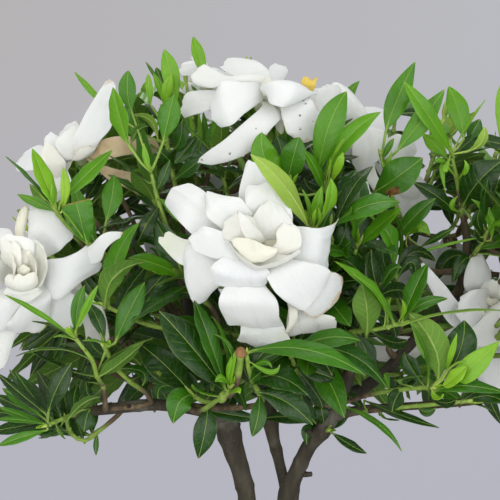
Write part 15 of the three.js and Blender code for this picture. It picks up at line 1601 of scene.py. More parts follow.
[-66.8,95.8,263.5,-66.4,108.8,269.4,-66.8,123.3,274.2,9.4,-0.97,0.09,0.21,0.16,0.38,0,0,-66.8,95.8,263.5],
[-66.8,95.8,263.5,-71.7,105.5,260.1,-77.3,116.3,254.5,8.1,-0.16,0.17,0.97,0.23,0.46,0,0,-66.8,95.8,263.5],
[-63.8,90.5,259.8,-65.6,94.5,273.6,-68.1,99.7,283.8,9.9,-0.51,0.85,0.07,0.14,0.65,0,0,-63.8,90.5,259.8],
[-63.8,90.5,259.8,-61.9,107.2,256.4,-60.9,125.5,252.3,10.7,-0.64,0.16,0.75,0.15,0.61,0,0,-63.8,90.5,259.8],
[-63.8,90.5,259.8,-79,93.4,259.1,-95,97.7,257.1,9.7,0.14,0.78,0.61,0.23,0.62,0,0,-63.8,90.5,259.8],
[-60.9,85.5,256.3,-51.6,95.3,265.5,-43.2,106.7,271.4,10,-0.69,0.61,0.38,0.22,0.69,0,0,-60.9,85.5,256.3],
[-60.9,85.5,256.3,-77.2,84.4,253.8,-94,85,249.4,10.9,-0.07,0.81,0.58,0.17,0.82,0,0,-60.9,85.5,256.3],
[-58,80.5,253.5,-54.2,89.6,239.9,-51.3,100.4,226.2,10.7,-0.43,0.65,0.62,0.22,0.75,0,0,-58,80.5,253.5],
[-58,80.5,253.5,-67.9,73.5,261.7,-78.6,67.9,269.8,9,-0.38,0.77,0.51,0.13,0.77,0,0,-58,80.5,253.5],
[-110.2,25.2,250.3,-120.5,26.8,257.8,-131.7,27.9,263.3,8.4,-0.59,0.05,-0.81,0.13,0.3,0,0,-110.2,25.2,250.3],
[-110.2,25.2,250.3,-119.8,33,249.8,-131.1,40.8,249.6,8.5,-0.56,-0.47,0.68,0.14,0.32,0,0,-110.2,25.2,250.3],
[-110.2,25.2,250.3,-121,21.9,247.9,-133.2,18.8,244.2,7.5,-0.3,0.69,0.66,0.12,0.27,0,0,-110.2,25.2,250.3],
[-103.6,23.7,247.8,-117,22.4,236.2,-132.4,21.5,219.7,10.9,-0.49,0.3,0.82,0.08,0.84,0,0,-103.6,23.7,247.8],
[-103.6,23.7,247.8,-112.4,17.1,257.6,-122.8,10.9,265.9,9.1,-0.83,0.56,0.02,0.08,0.55,0,0,-103.6,23.7,247.8],
[-97.1,22.2,245.4,-102.3,33.7,232.1,-109.4,45.6,215.1,13.1,-0.8,-0.01,0.6,0.19,0.84,0,0,-97.1,22.2,245.4],
[-97.1,22.2,245.4,-104.4,16.7,258.8,-113.5,11.6,271.5,11,-0.91,0.41,0.06,0.12,0.68,0,0,-97.1,22.2,245.4],
[-90.7,20.8,243.7,-95.5,13.1,227.9,-102.3,5.9,208.5,11.1,-0.86,0.24,0.46,0.2,0.84,0,0,-90.7,20.8,243.7],
[-90.7,20.8,243.7,-88.9,24.9,259.2,-88.9,29.5,272.4,10.2,-0.9,0.2,0.38,0.14,0.64,0,0,-90.7,20.8,243.7],
[-110.2,25.2,250.3,-113.3,25.2,248,-115.7,24.3,244.2,3.2,0.22,0.97,-0.06,0.16,0.15,0,0,-110.2,25.2,250.3],
[-107.8,41.5,298.7,-110.7,55.5,305.5,-114.7,70,311.2,11.3,-0.62,-0.33,0.71,0.17,0.62,0,0,-107.8,41.5,298.7],
[-107.8,41.5,298.7,-108,35.6,312.8,-109.4,30.2,325.7,11,-0.69,0.51,0.52,0.13,0.67,0,0,-107.8,41.5,298.7],
[-104.4,40.1,293.6,-114.9,51.2,288.4,-126.5,62.8,279.9,11.7,-0.33,0,0.94,0.22,0.74,0,0,-104.4,40.1,293.6],
[-104.4,40.1,293.6,-101.9,30.1,307.4,-100.7,20.6,319.3,10.4,-0.61,0.39,0.69,0.15,0.7,0,0,-104.4,40.1,293.6],
[-101,38.6,289.4,-115.1,37.1,280.2,-130.4,36.3,270,11.8,-0.42,0.25,0.88,0.16,0.87,0,0,-101,38.6,289.4],
[-101,38.6,289.4,-88.9,44.1,299.2,-78,50.2,307.5,10.1,-0.54,0.23,0.81,0.12,0.86,0,0,-101,38.6,289.4],
[-111.4,43.1,304.1,-114.8,44.6,307.5,-118.2,46.1,310.8,3.2,0.19,0.95,-0.23,0.16,0.15,0,0,-111.4,43.1,304.1],
[-50.8,100.6,246.1,-54.8,107.7,252.9,-58.5,114.9,256.7,10.2,-0.07,0.82,-0.57,0.08,0.28,0,0,-50.8,100.6,246.1],
[-50.8,100.6,246.1,-49,113.5,244.5,-47.8,127.7,241.6,9.5,-0.8,0.15,0.59,0.19,0.3,0,0,-50.8,100.6,246.1],
[-50.8,100.6,246.1,-58.4,108.6,243.3,-66.5,117.8,237.1,7.4,0.35,0.51,0.78,0.15,0.3,0,0,-50.8,100.6,246.1],
[-48.4,95.2,243.7,-42.6,105.3,251.3,-37.4,116.8,255.8,9.8,-0.75,0.66,0.09,0.1,0.54,0,0,-48.4,95.2,243.7],
[-48.4,95.2,243.7,-53.7,106.9,230,-59.8,120.6,212.5,12.6,-0.21,0.53,0.82,0.23,0.48,0,0,-48.4,95.2,243.7],
[-48.4,95.2,243.7,-62.5,99.1,252.2,-77.3,104.8,257.4,11.9,0.1,0.99,0.09,0.16,0.55,0,0,-48.4,95.2,243.7],
[-46.2,89.9,241.4,-38.1,101.8,231.1,-30.8,115.6,215.7,12.1,-0.53,0.61,0.59,0.13,0.6,0,0,-46.2,89.9,241.4],
[-46.2,89.9,241.4,-59.7,89.5,248.9,-73.8,90.6,252.8,10.7,-0.1,0.96,0.24,0.14,0.58,0,0,-46.2,89.9,241.4],
[-44,84.7,239.9,-50.6,86.6,225.8,-57.9,90.2,209.9,10.8,-0.27,0.8,0.54,0.11,0.75,0,0,-44,84.7,239.9],
[-44,84.7,239.9,-38.8,86.9,255.5,-34.3,91,268.7,11.7,-0.39,0.86,0.34,0.09,0.77,0,0,-44,84.7,239.9],
[-50.8,100.6,246.1,-51.9,105.6,246.4,-53.1,110.5,246.7,3.2,0.91,0.4,-0.11,0.16,0.15,0,0,-50.8,100.6,246.1],
[-55.9,97.4,290.5,-64.4,108.2,292.3,-73.5,120.3,291.6,10,0.28,0.11,0.95,0.12,0.33,0,0,-55.9,97.4,290.5],
[-54,93.5,285.9,-69.1,95.3,285.6,-84.4,98.5,280.5,11.4,0.12,0.68,0.72,0.09,0.53,0,0,-54,93.5,285.9],
[-52.3,90,281.6,-58,86,295.6,-64.3,83.2,306.7,9.7,-0.21,0.85,0.48,0.1,0.61,0,0,-52.3,90,281.6],
[-50.6,86.3,278.2,-60.8,84.8,271.8,-68.4,83.5,262,11.9,-0.2,0.61,0.77,0.15,0.71,0,0,-50.6,86.3,278.2],
[-55.9,97.4,290.5,-57.7,101.2,293.2,-59.4,105,296,3.2,0.93,0.35,0.14,0.16,0.15,0,0,-55.9,97.4,290.5],
[-50.8,21.2,232.9,-64.1,22.8,235.3,-78.9,24.3,235.3,8.3,-0.29,-0.34,-0.89,0.15,0.57,0,0,-50.8,21.2,232.9],
[-46,21.1,232.1,-57.9,9.9,237.3,-71.6,-1.3,241.4,10.6,-0.81,0.57,-0.13,0.2,0.79,0,0,-46,21.1,232.1],
[-46,21.1,232.1,-56.9,31.2,234,-69.5,41.3,234.5,9.3,-0.73,-0.68,-0.06,0.15,0.81,0,0,-46,21.1,232.1],
[-41.4,21,231.2,-52.3,25.5,245.6,-65.5,30.1,254.1,12.3,-0.96,-0.11,-0.27,0.13,0.88,0,0,-41.4,21,231.2],
[-50.8,21.2,232.9,-55.7,21.3,232,-60.7,21.3,231.1,3.2,0,0.99,0.14,0.16,0.15,0,0,-50.8,21.2,232.9],
[-69.5,1.7,262.3,-78.3,-9.4,265.2,-88.7,-20.9,266,9.7,-0.62,0.56,0.55,0.11,0.6,0,0,-69.5,1.7,262.3],
[-69.5,1.7,262.3,-78.7,1.6,270.5,-89.3,1.1,275.5,8.3,-0.66,-0.68,-0.32,0.08,0.53,0,0,-69.5,1.7,262.3],
[-69.5,1.7,262.3,-81.1,2,262.2,-93.8,1.9,260.6,8,-0.02,-0.49,0.87,0.11,0.58,0,0,-69.5,1.7,262.3],
[-65.6,2.8,259.2,-70.9,-6.3,269.5,-77.5,-15.8,279.5,10.7,-0.96,0.25,0.12,0.09,0.73,0,0,-65.6,2.8,259.2],
[-65.6,2.8,259.2,-78.8,10.6,261.7,-93.4,18,262.4,9.3,-0.4,-0.73,0.55,0.17,0.87,0,0,-65.6,2.8,259.2],
[-65.6,2.8,259.2,-75.8,-6.8,252.7,-87.4,-16.7,245.4,10.3,-0.5,0.14,0.86,0.12,0.82,0,0,-65.6,2.8,259.2],
[-62,3.7,256.4,-65.8,10.4,270.7,-71.2,16.6,284.7,11.7,-0.85,-0.42,0.32,0.2,1,0,0,-62,3.7,256.4],
[-62,3.7,256.4,-73.3,-5.6,244.5,-86.4,-15.5,230.9,12,-0.56,-0.02,0.83,0.1,0.92,0,0,-62,3.7,256.4],
[-69.5,1.7,262.3,-74.4,1.2,263.7,-79.2,0.7,265.1,3.2,-0.34,0.9,-0.26,0.16,0.15,0,0,-69.5,1.7,262.3],
[-45.7,76.6,221.8,-46.6,91.2,221.4,-46.3,108.2,216.4,9.7,-0.4,0.09,-0.91,0.12,0.31,0,0,-45.7,76.6,221.8],
[-45.7,76.6,221.8,-47.1,86.1,212.3,-49.2,97,198.3,9,-0.55,0.38,0.75,0.13,0.31,0,0,-45.7,76.6,221.8],
[-43,71.3,221.8,-35.5,83.5,218.9,-28.8,97.2,213.3,9.5,-0.87,0.48,0.09,0.09,0.52,0,0,-43,71.3,221.8],
[-43,71.3,221.8,-57.4,78.4,228.6,-72.7,87.4,234,11,0.04,0.92,-0.39,0.19,0.63,0,0,-43,71.3,221.8],
[-40.3,66,221.9,-49.2,74.6,235.7,-59.1,85,245.1,12.7,-0.34,0.88,-0.33,0.15,0.71,0,0,-40.3,66,221.9],
[-37.6,60.8,222.7,-32.4,72.3,236.2,-28.2,85.7,244.3,13.8,-0.54,0.83,-0.1,0.23,0.78,0,0,-37.6,60.8,222.7],
[-116.2,20.7,288.5,-130.2,18.6,283.4,-145.5,16.7,276.8,9,-0.27,0.19,0.94,0.17,0.66,0,0,-116.2,20.7,288.5],
[-112.4,20,284.1,-116.2,33.1,286.7,-121.7,45.1,285.4,10.1,-0.64,-0.2,0.74,0.18,0.81,0,0,-112.4,20,284.1],
[-108.5,19.4,280.5,-102.6,12.1,292.4,-97.9,5.1,303.5,10.5,-0.68,0.14,0.72,0.15,0.78,0,0,-108.5,19.4,280.5],
[-108.5,19.4,280.5,-118,28.3,266.9,-129.1,37.6,253.3,12.7,-0.62,0.09,0.78,0.13,0.77,0,0,-108.5,19.4,280.5],
[-70.6,54.7,223.6,-76.7,58.2,210.8,-83.5,59.6,199.8,6.4,-0.17,-1,0.21,0.12,0.94,0,0,-70.6,54.7,223.6],
[-106.1,24.3,248.8,-115.8,27.6,241.5,-124.8,28.4,235.5,6.2,0.27,-1,0.2,0.12,0.86,0,0,-106.1,24.3,248.8],
[-106.1,24.3,248.8,-113.5,26.9,234.9,-121,29.3,222.4,6.8,0.28,-1,0.41,0.12,0.96,0,0,-106.1,24.3,248.8],
[-106.1,24.3,248.8,-112.5,27.2,242.6,-119.5,29.9,238.1,5.9,-0.11,-1,0.19,0.12,0.86,0,0,-106.1,24.3,248.8],
[-67,51.4,224.5,-59.4,53,211.6,-53.4,56,198.7,6.6,-0.24,-1,0.48,0.12,0.91,0,0,-67,51.4,224.5],
[-92.3,33.6,234.1,-97.4,37.6,219.5,-103,44.1,205.6,6.9,0,-1,0.45,0.12,0.87,0,0,-92.3,33.6,234.1],
[-67,51.4,224.5,-65.2,54.3,212.3,-63.6,56,201,6.9,0.11,-1,0.35,0.12,0.95,0,0,-67,51.4,224.5],
[-102.1,23.4,247.2,-108.1,24.8,234.1,-116,32.7,221.7,7.8,-0.25,-1,0.41,0.12,0.85,0,0,-102.1,23.4,247.2],
[-86.7,30.9,253.6,-79.1,35.7,250.9,-71.7,40.2,249.9,5.9,0.02,-1,0.43,0.12,0.93,0,0,-86.7,30.9,253.6],
]),
}

# ---------------------------------------------------------------- mesh building
MM = 0.001


def unit(v):
    return v / np.maximum(np.linalg.norm(v, axis=-1, keepdims=True), 1e-9)


def smooth(x, a, b):
    k = np.clip((x - a) / (b - a), 0.0, 1.0)
    return k * k * (3 - 2 * k)


def spline(path, times):
    """A Catmull-Rom curve through rows of numbers, sampled at times from 0 to 1 along its length."""
    p = np.asarray(path, float)
    if len(p) == 2:
        return p[0] + (p[1] - p[0]) * times[:, None]
    step = np.linalg.norm(np.diff(p[:, :3], axis=0), axis=1)
    at = np.concatenate([[0], np.cumsum(np.maximum(step, 1e-6))])
    at /= at[-1]
    i = np.clip(np.searchsorted(at, times, side="right") - 1, 0, len(p) - 2)
    h = at[i + 1] - at[i]
    u = ((times - at[i]) / h)[:, None]
    slope = np.gradient(p, at, axis=0)
    a, b, ma, mb = p[i], p[i + 1], slope[i] * h[:, None], slope[i + 1] * h[:, None]
    return (
        (2 * u**3 - 3 * u**2 + 1) * a
        + (u**3 - 2 * u**2 + u) * ma
        + (3 * u**2 - 2 * u**3) * b
        + (u**3 - u**2) * mb
    )


class Piece:
    """The parts of one piece: points in millimetres, faces with a material each, and two vectors for each point that the materials read."""

    def __init__(self, name, node, slot, mats):
        self.name, self.node, self.slot, self.mats = name, node, slot, mats
        self.v, self.f, self.m, self.rim, self.co, self.mm, self.n = [], [], [], [], [], [], 0

    def put(self, v, quads, mat, co, mm, rim=None):
        v = np.asarray(v, float).reshape(-1, 3)
        k = len(v)
        self.v.append(v)
        self.f.append(np.asarray(quads, int) + self.n)
        self.m.append(np.broadcast_to(np.asarray(mat, int), (len(quads),)))
        self.co.append(np.broadcast_to(np.asarray(co, float), (k, 3)))
        self.mm.append(np.broadcast_to(np.asarray(mm, float), (k, 3)))
        self.rim.append(np.zeros(k, bool) if rim is None else np.asarray(rim, bool))
        self.n += k

    def make(self):
        v = np.concatenate(self.v) * MM
        f, mats = np.concatenate(self.f), np.concatenate(self.m)
        rim = np.concatenate(self.rim)
        # a quad with two corners at one point is a triangle
        loops, starts, keep = [], [], []
        same = f == np.roll(f, -1, axis=1)
        tri = same.any(axis=1)
        for rows, idx in ((f[~tri], np.nonzero(~tri)[0]), (None, None)):
            if rows is not None:
                loops.append(rows.reshape(-1))
                starts.append(np.arange(len(rows)) * 4)
                keep.append(idx)
        base = len(loops[0])
        ts, ti = [], []
        for i in np.nonzero(tri)[0]:
            q = [f[i][k] for k in range(4) if not same[i][k]]
            if len(set(q)) == 3:
                ts += q
                ti.append(i)
        loops.append(np.array(ts, int))
        starts.append(base + np.arange(len(ti)) * 3)
        keep.append(np.array(ti, int))
        loops, starts, keep = map(np.concatenate, (loops, starts, keep))
        mesh = bpy.data.meshes.new(self.name)
        mesh.vertices.add(len(v))
        mesh.vertices.foreach_set("co", v.astype(np.float32).reshape(-1))
        mesh.loops.add(len(loops))
        mesh.loops.foreach_set("vertex_index", loops.astype(np.int32))
        mesh.polygons.add(len(starts))
        mesh.polygons.foreach_set("loop_start", starts.astype(np.int32))
        mesh.update(calc_edges=True)
        mesh.polygons.foreach_set("material_index", mats[keep].astype(np.int32))
        mesh.polygons.foreach_set("use_smooth", np.ones(len(starts), bool))
        for m in self.mats:
            mesh.materials.append(m)
        for name, rows in (("co", self.co), ("mm", self.mm)):
            a = mesh.attributes.new("at_" + name, "FLOAT_VECTOR", "POINT")
            a.data.foreach_set("vector", np.concatenate(rows).astype(np.float32).reshape(-1))
        ends = np.zeros(len(mesh.edges) * 2, np.int32)
        mesh.edges.foreach_get("vertices", ends)
        ends = ends.reshape(-1, 2)
        mesh.edges.foreach_set("use_edge_sharp", rim[ends[:, 0]] & rim[ends[:, 1]])
        mesh.validate()
        obj = bpy.data.objects.new(self.name, mesh)
        bpy.context.scene.collection.objects.link(obj)
        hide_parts(*self.node)
        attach(obj, "root")
        return obj


def skins(nu, nv, tip):
    """Point numbers of the upper and lower skin of a grid that share their outline. With tip, the last row is one point. Returns upper, lower, and how many points the lower skin adds."""
    up = np.arange(nu * nv).reshape(nu, nv)
    low = up.copy()
    inner = np.zeros((nu, nv), bool)
    inner[1:-1, 1:-1] = True
    low[inner] = nu * nv + np.arange(inner.sum())
    if tip:
        up[-1, :] = up[-1, 0]
        low[-1, :] = up[-1, 0]
    return up, low, inner


def quads(g, flip=False):
    q = np.stack([g[:-1, :-1], g[:-1, 1:], g[1:, 1:], g[1:, :-1]], axis=-1).reshape(-1, 4)
    return q[:, ::-1] if flip else q


def shell(piece, p, n, half, mats, co, mm, tip=True):
    """A thin closed blade: p is its middle surface, n the way its upper side faces, half its half thickness."""
    nu, nv = p.shape[:2]
    up, low, inner = skins(nu, nv, tip)
    h = np.where(inner, half, 0.0)[..., None]
    top, bottom = p + n * h, p - n * h
    v = np.concatenate([top.reshape(-1, 3), bottom[inner]])
    rim = np.concatenate([~inner.reshape(-1), np.zeros(inner.sum(), bool)])
    c = np.concatenate([co.reshape(-1, 3), co[inner]])
    m = np.concatenate([mm.reshape(-1, 3), mm[inner]])
    a, b = quads(up), quads(low, True)
    # a lower cell whose corners all lie on the outline would double the upper one, which only a strip one cell wide has
    piece.put(v, np.concatenate([a, b]), np.concatenate([np.full(len(a), mats[0]), np.full(len(b), mats[1])]), c, m, rim)


def tube(piece, path, sides, mat, co, mm, lump=0.0, seed=0.0, flat=1.0):
    """A closed round stem along rows of x, y, z, radius. co and mm are one row each, or a row for each station."""
    p = np.asarray(path, float)
    k = len(p)
    t = unit(np.gradient(p[:, :3], axis=0))
    ref = np.array([0, 0, 1.0]) if abs(t[0][2]) < 0.9 else np.array([0, 1.0, 0])
    a = np.zeros((k, 3))
    a[0] = unit(ref - t[0] * (ref @ t[0]))
    for i in range(1, k):
        a[i] = unit(a[i - 1] - t[i] * (a[i - 1] @ t[i]))
    b = np.cross(t, a)
    ang = 2 * np.pi * np.arange(sides) / sides
    r = p[:, 3][:, None] * np.ones(sides)[None, :]
    if lump:
        s = np.concatenate([[0], np.cumsum(np.linalg.norm(np.diff(p[:, :3], axis=0), axis=1))])[:, None]
        r = r * (
            1
            + lump * np.sin(2 * ang + seed + s * 0.11)
            + 0.7 * lump * np.sin(3 * ang + 1.7 * seed - s * 0.23)
            + 0.5 * lump * np.sin(5 * ang - seed + s * 0.47)
        )
    ring = p[:, None, :3] + (a[:, None] * np.cos(ang)[None, :, None] * flat + b[:, None] * np.sin(ang)[None, :, None]) * r[..., None]
    idx = np.arange(k * sides).reshape(k, sides)
    nxt = np.roll(idx, -1, axis=1)
    q = np.stack([idx[:-1], nxt[:-1], nxt[1:], idx[1:]], axis=-1).reshape(-1, 4)
    ends = p[[0, -1], :3] + t[[0, -1]] * p[[0, -1], 3:4] * np.array([[-0.35], [0.35]])
    c0, c1 = k * sides, k * sides + 1
    caps = [[nxt[0][i], idx[0][i], c0, c0] for i in range(sides)] + [[idx[-1][i], nxt[-1][i], c1, c1] for i in range(sides)]
    v = np.concatenate([ring.reshape(-1, 3), ends])

    def spread(x):
        x = np.asarray(x, float)
        if x.ndim == 1:
            return x
        x = x.copy()
        rows = np.repeat(x, sides, axis=0)
        return np.concatenate([rows, x[[0, -1]]])

    co = spread(co)
    if co.ndim == 2:
        co = co.copy()
        co[: k * sides, 1] = np.tile(ang / (2 * np.pi), k)
    piece.put(v, np.concatenate([q, caps]), mat, co, spread(mm))


# ---------------------------------------------------------------- leaves
LEAF_T = np.array([0, 0.05, 0.12, 0.2, 0.3, 0.4, 0.5, 0.6, 0.7, 0.8, 0.88, 0.94, 1])
LEAF_W = {
    "n": [0.07, 0.12, 0.26, 0.46, 0.7, 0.88, 0.98, 1.0, 0.93, 0.73, 0.5, 0.3, 0],
    "lance": [0.07, 0.15, 0.35, 0.58, 0.81, 0.95, 1.0, 0.96, 0.83, 0.6, 0.38, 0.2, 0],
    "round": [0.08, 0.24, 0.5, 0.74, 0.92, 1.0, 1.0, 0.95, 0.85, 0.68, 0.5, 0.31, 0],
    "trunc": [0.07, 0.16, 0.3, 0.44, 0.57, 0.67, 0.76, 0.84, 0.91, 0.96, 0.99, 1.0, 0.93],
}
FINE_S = np.array([-1, -0.86, -0.64, -0.4, -0.17, -0.06, 0, 0.06, 0.17, 0.4, 0.64, 0.86, 1])
PLAIN_S = np.array([-1, -0.7, -0.36, -0.08, 0, 0.08, 0.36, 0.7, 1])


def leaf(piece, row, rng, fine):
    """One leaf with its stalk and the keel of its midrib. row: base, middle, tip, width, upper side, fold, tone (age
    colour plus painted shade), kind, look, foot on the stem.
    """
    B, M, T = (np.array(row[i : i + 3], float) for i in (0, 3, 6))
    w, N, fold, tone_and_shade, kind, look = row[9], np.array(row[10:13], float), row[13], row[14], row[15], row[16]
    Q = np.array(row[17:20], float)
    length = np.linalg.norm(T - B)
    nu = (22 if length > 16 else 14) if fine else (13 if length > 12 else 9)
    x = np.linspace(0, 1, nu)
    t = 0.62 * x + 0.38 * (1 - np.cos(np.pi * x)) / 2
    s = FINE_S if fine else PLAIN_S
    C = 2 * M - (B + T) / 2
    tt = t[:, None]
    c = B * (1 - tt) ** 2 + C * 2 * tt * (1 - tt) + T * tt**2
    d = unit(2 * (1 - tt) * (C - B) + 2 * tt * (T - C))
    n = unit(N - d * (d @ N)[:, None])
    side = np.cross(d, n)
    # a slight twist along the blade
    tw = rng.normal(0, 0.08 if fine else 0.16) * (t - 0.25)
    n, side = n * np.cos(tw)[:, None] + side * np.sin(tw)[:, None], side * np.cos(tw)[:, None] - n * np.sin(tw)[:, None]
    prof = np.interp(t, LEAF_T, LEAF_W[("n", "round", "trunc")[kind]])
    if kind == 0:
        blunt = np.clip(rng.normal(0.6, 0.3), 0, 1) * (0.4 if w < 0.28 * length else 1.0)
        prof = prof * blunt + np.interp(t, LEAF_T, LEAF_W["lance"]) * (1 - blunt)
    prof = np.convolve(np.pad(prof, 1, mode="edge"), [0.2, 0.6, 0.2], mode="valid") if nu > 12 else prof
    prof[-1] = 0 if kind != 2 else prof[-1]
    half = w / 2 * prof
    # the two halves of a blade are never quite alike
    lop = 1 + rng.normal(0, 0.03) * np.sign(s)
    across = half[:, None] * (s * lop)[None, :]
    a = np.abs(s)[None, :]
    ph = rng.uniform(0, 6.28, 4)
    waves = rng.uniform(2.0, 3.6)
    wavy = (0.05 if fine else 0.075) * (1 + rng.uniform(0, 1.0))
    ripple = np.where(s > 0, np.sin(2 * np.pi * waves * t[:, None] + ph[0]), np.sin(2 * np.pi * waves * 1.13 * t[:, None] + ph[1]))
    bend = rng.normal(0, 0.02)
    z = half[:, None] * (
        fold * 1.25 * (np.sqrt(a**2 + 0.03) - 0.17)
        - (0.1 + 0.5 * bend) * a**3
        + wavy * ripple * a**2.2
    )
    z += 0.012 * w * np.sin(2 * np.pi * 6.5 * (t[:, None] - 0.13 * a) + ph[2]) * (a * (1 - a) * 4) * prof[:, None]
    z -= (0.028 * w * prof * (1 - 0.6 * t))[:, None] * np.exp(-((s / 0.09) ** 2))[None, :]
    p = c[:, None] + side[:, None] * across[..., None] + n[:, None] * z[..., None]
    up = unit(np.cross(np.gradient(p, axis=1), np.gradient(p, axis=0) + 1e-9 * n[:, None]))
    up[-1] = n[-1]
    rnd = rng.uniform(0, 1)
    # a cut blade has a burnt end, a scorched one a brown patch
    if kind == 2:
        rnd = 0.95
    if look >= 4:
        rnd, look = 1.5, look - 4
    co = np.stack(np.broadcast_arrays(t[:, None], s[None, :], rnd), axis=-1)
    # the third number carries the tone, painted shade included, to the materials
    mm = np.stack(np.broadcast_arrays(t[:, None] * length, across, tone_and_shade + 0.1 * look), axis=-1)
    th = 0.17
    if kind == 2:
        shell(piece, p, up, th, (0, 1), co, mm, tip=False)
    else:
        shell(piece, p, up, th, (0, 1), co, mm)
    # stalk and keel
    r0 = 0.32 + 0.034 * w
    under = lambda k: c[k] - n[k] * (0.12 + 0.028 * w * prof[k])
    ks = [int(round(nu * f)) for f in (0.1, 0.25, 0.42, 0.62, 0.82)]
    gap = np.linalg.norm(B - Q)
    pts = []
    if gap > 0.8:
        pts.append([*Q, r0 * 1.25])
        if gap > 4:
            mid = (Q + B) / 2 - d[0] * gap * 0.12
            pts.append([*((Q + mid) / 2), r0])
            pts.append([*mid, r0 * 0.92])
    else:
        pts.append([*(B - d[0] * 1.2), r0 * 1.1])
    pts.append([*(c[0] - n[0] * r0 * 0.4), r0 * 0.95])
    pts += [[*under(k), r0 * f] for k, f in zip(ks, (0.8, 0.62, 0.46, 0.32, 0.2))]
    pts = np.array(pts)
    y = np.linspace(0, 1, len(pts))
    cs = np.stack([y, np.zeros(len(pts)), np.full(len(pts), rnd)], axis=-1)
    ms = np.stack([y * length, np.zeros(len(pts)), np.full(len(pts), 0.0)], axis=-1)
    tube(piece, pts, 6 if fine else 5, 3, cs, np.concatenate([ms[:, :2], np.full((len(pts), 1), tone_and_shade)], axis=1))


def bud(piece, tip, way, size, rng, tone_and_shade):
    """The growing tip of a shoot: a pointed bud between two folded young leaves."""
    way = unit(np.asarray(way, float))
    ref = unit(np.cross(way, rng.normal(0, 1, 3)))
    f = np.array([0, 0.2, 0.45, 0.7, 0.9, 1.0])
    r = np.array([0.8, 1.25, 1.2, 0.8, 0.4, 0.12]) * size * 0.15
    base = np.asarray(tip, float) - way * 0.8
    pts = np.concatenate([base + way * (f * size)[:, None] + ref * (0.06 * size * f**2)[:, None], r[:, None]], axis=1)
    cs = np.stack([f, f * 0, f * 0 + rng.uniform()], axis=-1)
    tube(piece, pts, 6, 3, cs, np.stack([f * size, f * 0, f * 0 + tone_and_shade * 0.5], axis=-1))
    for sign in (1, -1):
        if rng.uniform() < 0.25:
            continue
        b = base + way * size * 0.15
        k = size * rng.uniform(1.3, 2.1)
        m = b + way * k * 0.5 + ref * sign * k * 0.16
        e = b + way * k + ref * sign * k * rng.uniform(0.12, 0.3)
        leaf(piece, [*b, *m, *e, k * 0.24, *(-ref * sign), 0.5, max(0.1, tone_and_shade * 0.6), 0, 0, *b], rng, False)


def shoot_stem(piece, path, rng, fine, woody=1.0):
    """The stem of a leafy shoot: brown where it leaves the branch, green at its tip."""
    p = np.asarray(path, float)
    k = max(8, min(30, int(np.sum(np.linalg.norm(np.diff(p[:, :3], axis=0), axis=1)) / 3.2)))
    x = np.linspace(0, 1, k)
    q = spline(p, x)
    q[:, 3] = np.clip(q[:, 3], 0.55, 9)
    q[:, 3] *= 1 + 0.07 * np.sin(x * k * 1.9 + rng.uniform(0, 6))
    cs = np.stack([x, x * 0, x * 0 + rng.uniform()], axis=-1)
    along = np.concatenate([[0], np.cumsum(np.linalg.norm(np.diff(q[:, :3], axis=0), axis=1))])
    ms = np.stack([along, x * 0, woody * (1 - smooth(x, 0.15, 0.8))], axis=-1)
    tube(piece, q, 10 if fine else 6, 2, cs, ms, 0.03, rng.uniform(0, 6))


def collar(piece, q, way, r, rng):
    """The small sheath round the stem where a leaf leaves it."""
    way = unit(np.asarray(way, float))
    f = np.array([-1.3, -0.9, 0.0, 0.9, 1.2])
    rr = np.array([0.85, 1.05, 1.17, 1.1, 0.9]) * r
    pts = np.concatenate([q + way * f[:, None] * r * 1.1, rr[:, None]], axis=1)
    cs = np.stack([f * 0 + 0.5, f * 0, f * 0 + rng.uniform()], axis=-1)
    tube(piece, pts, 7, 2, cs, np.stack([f, f * 0, f * 0 + 0.35], axis=-1))


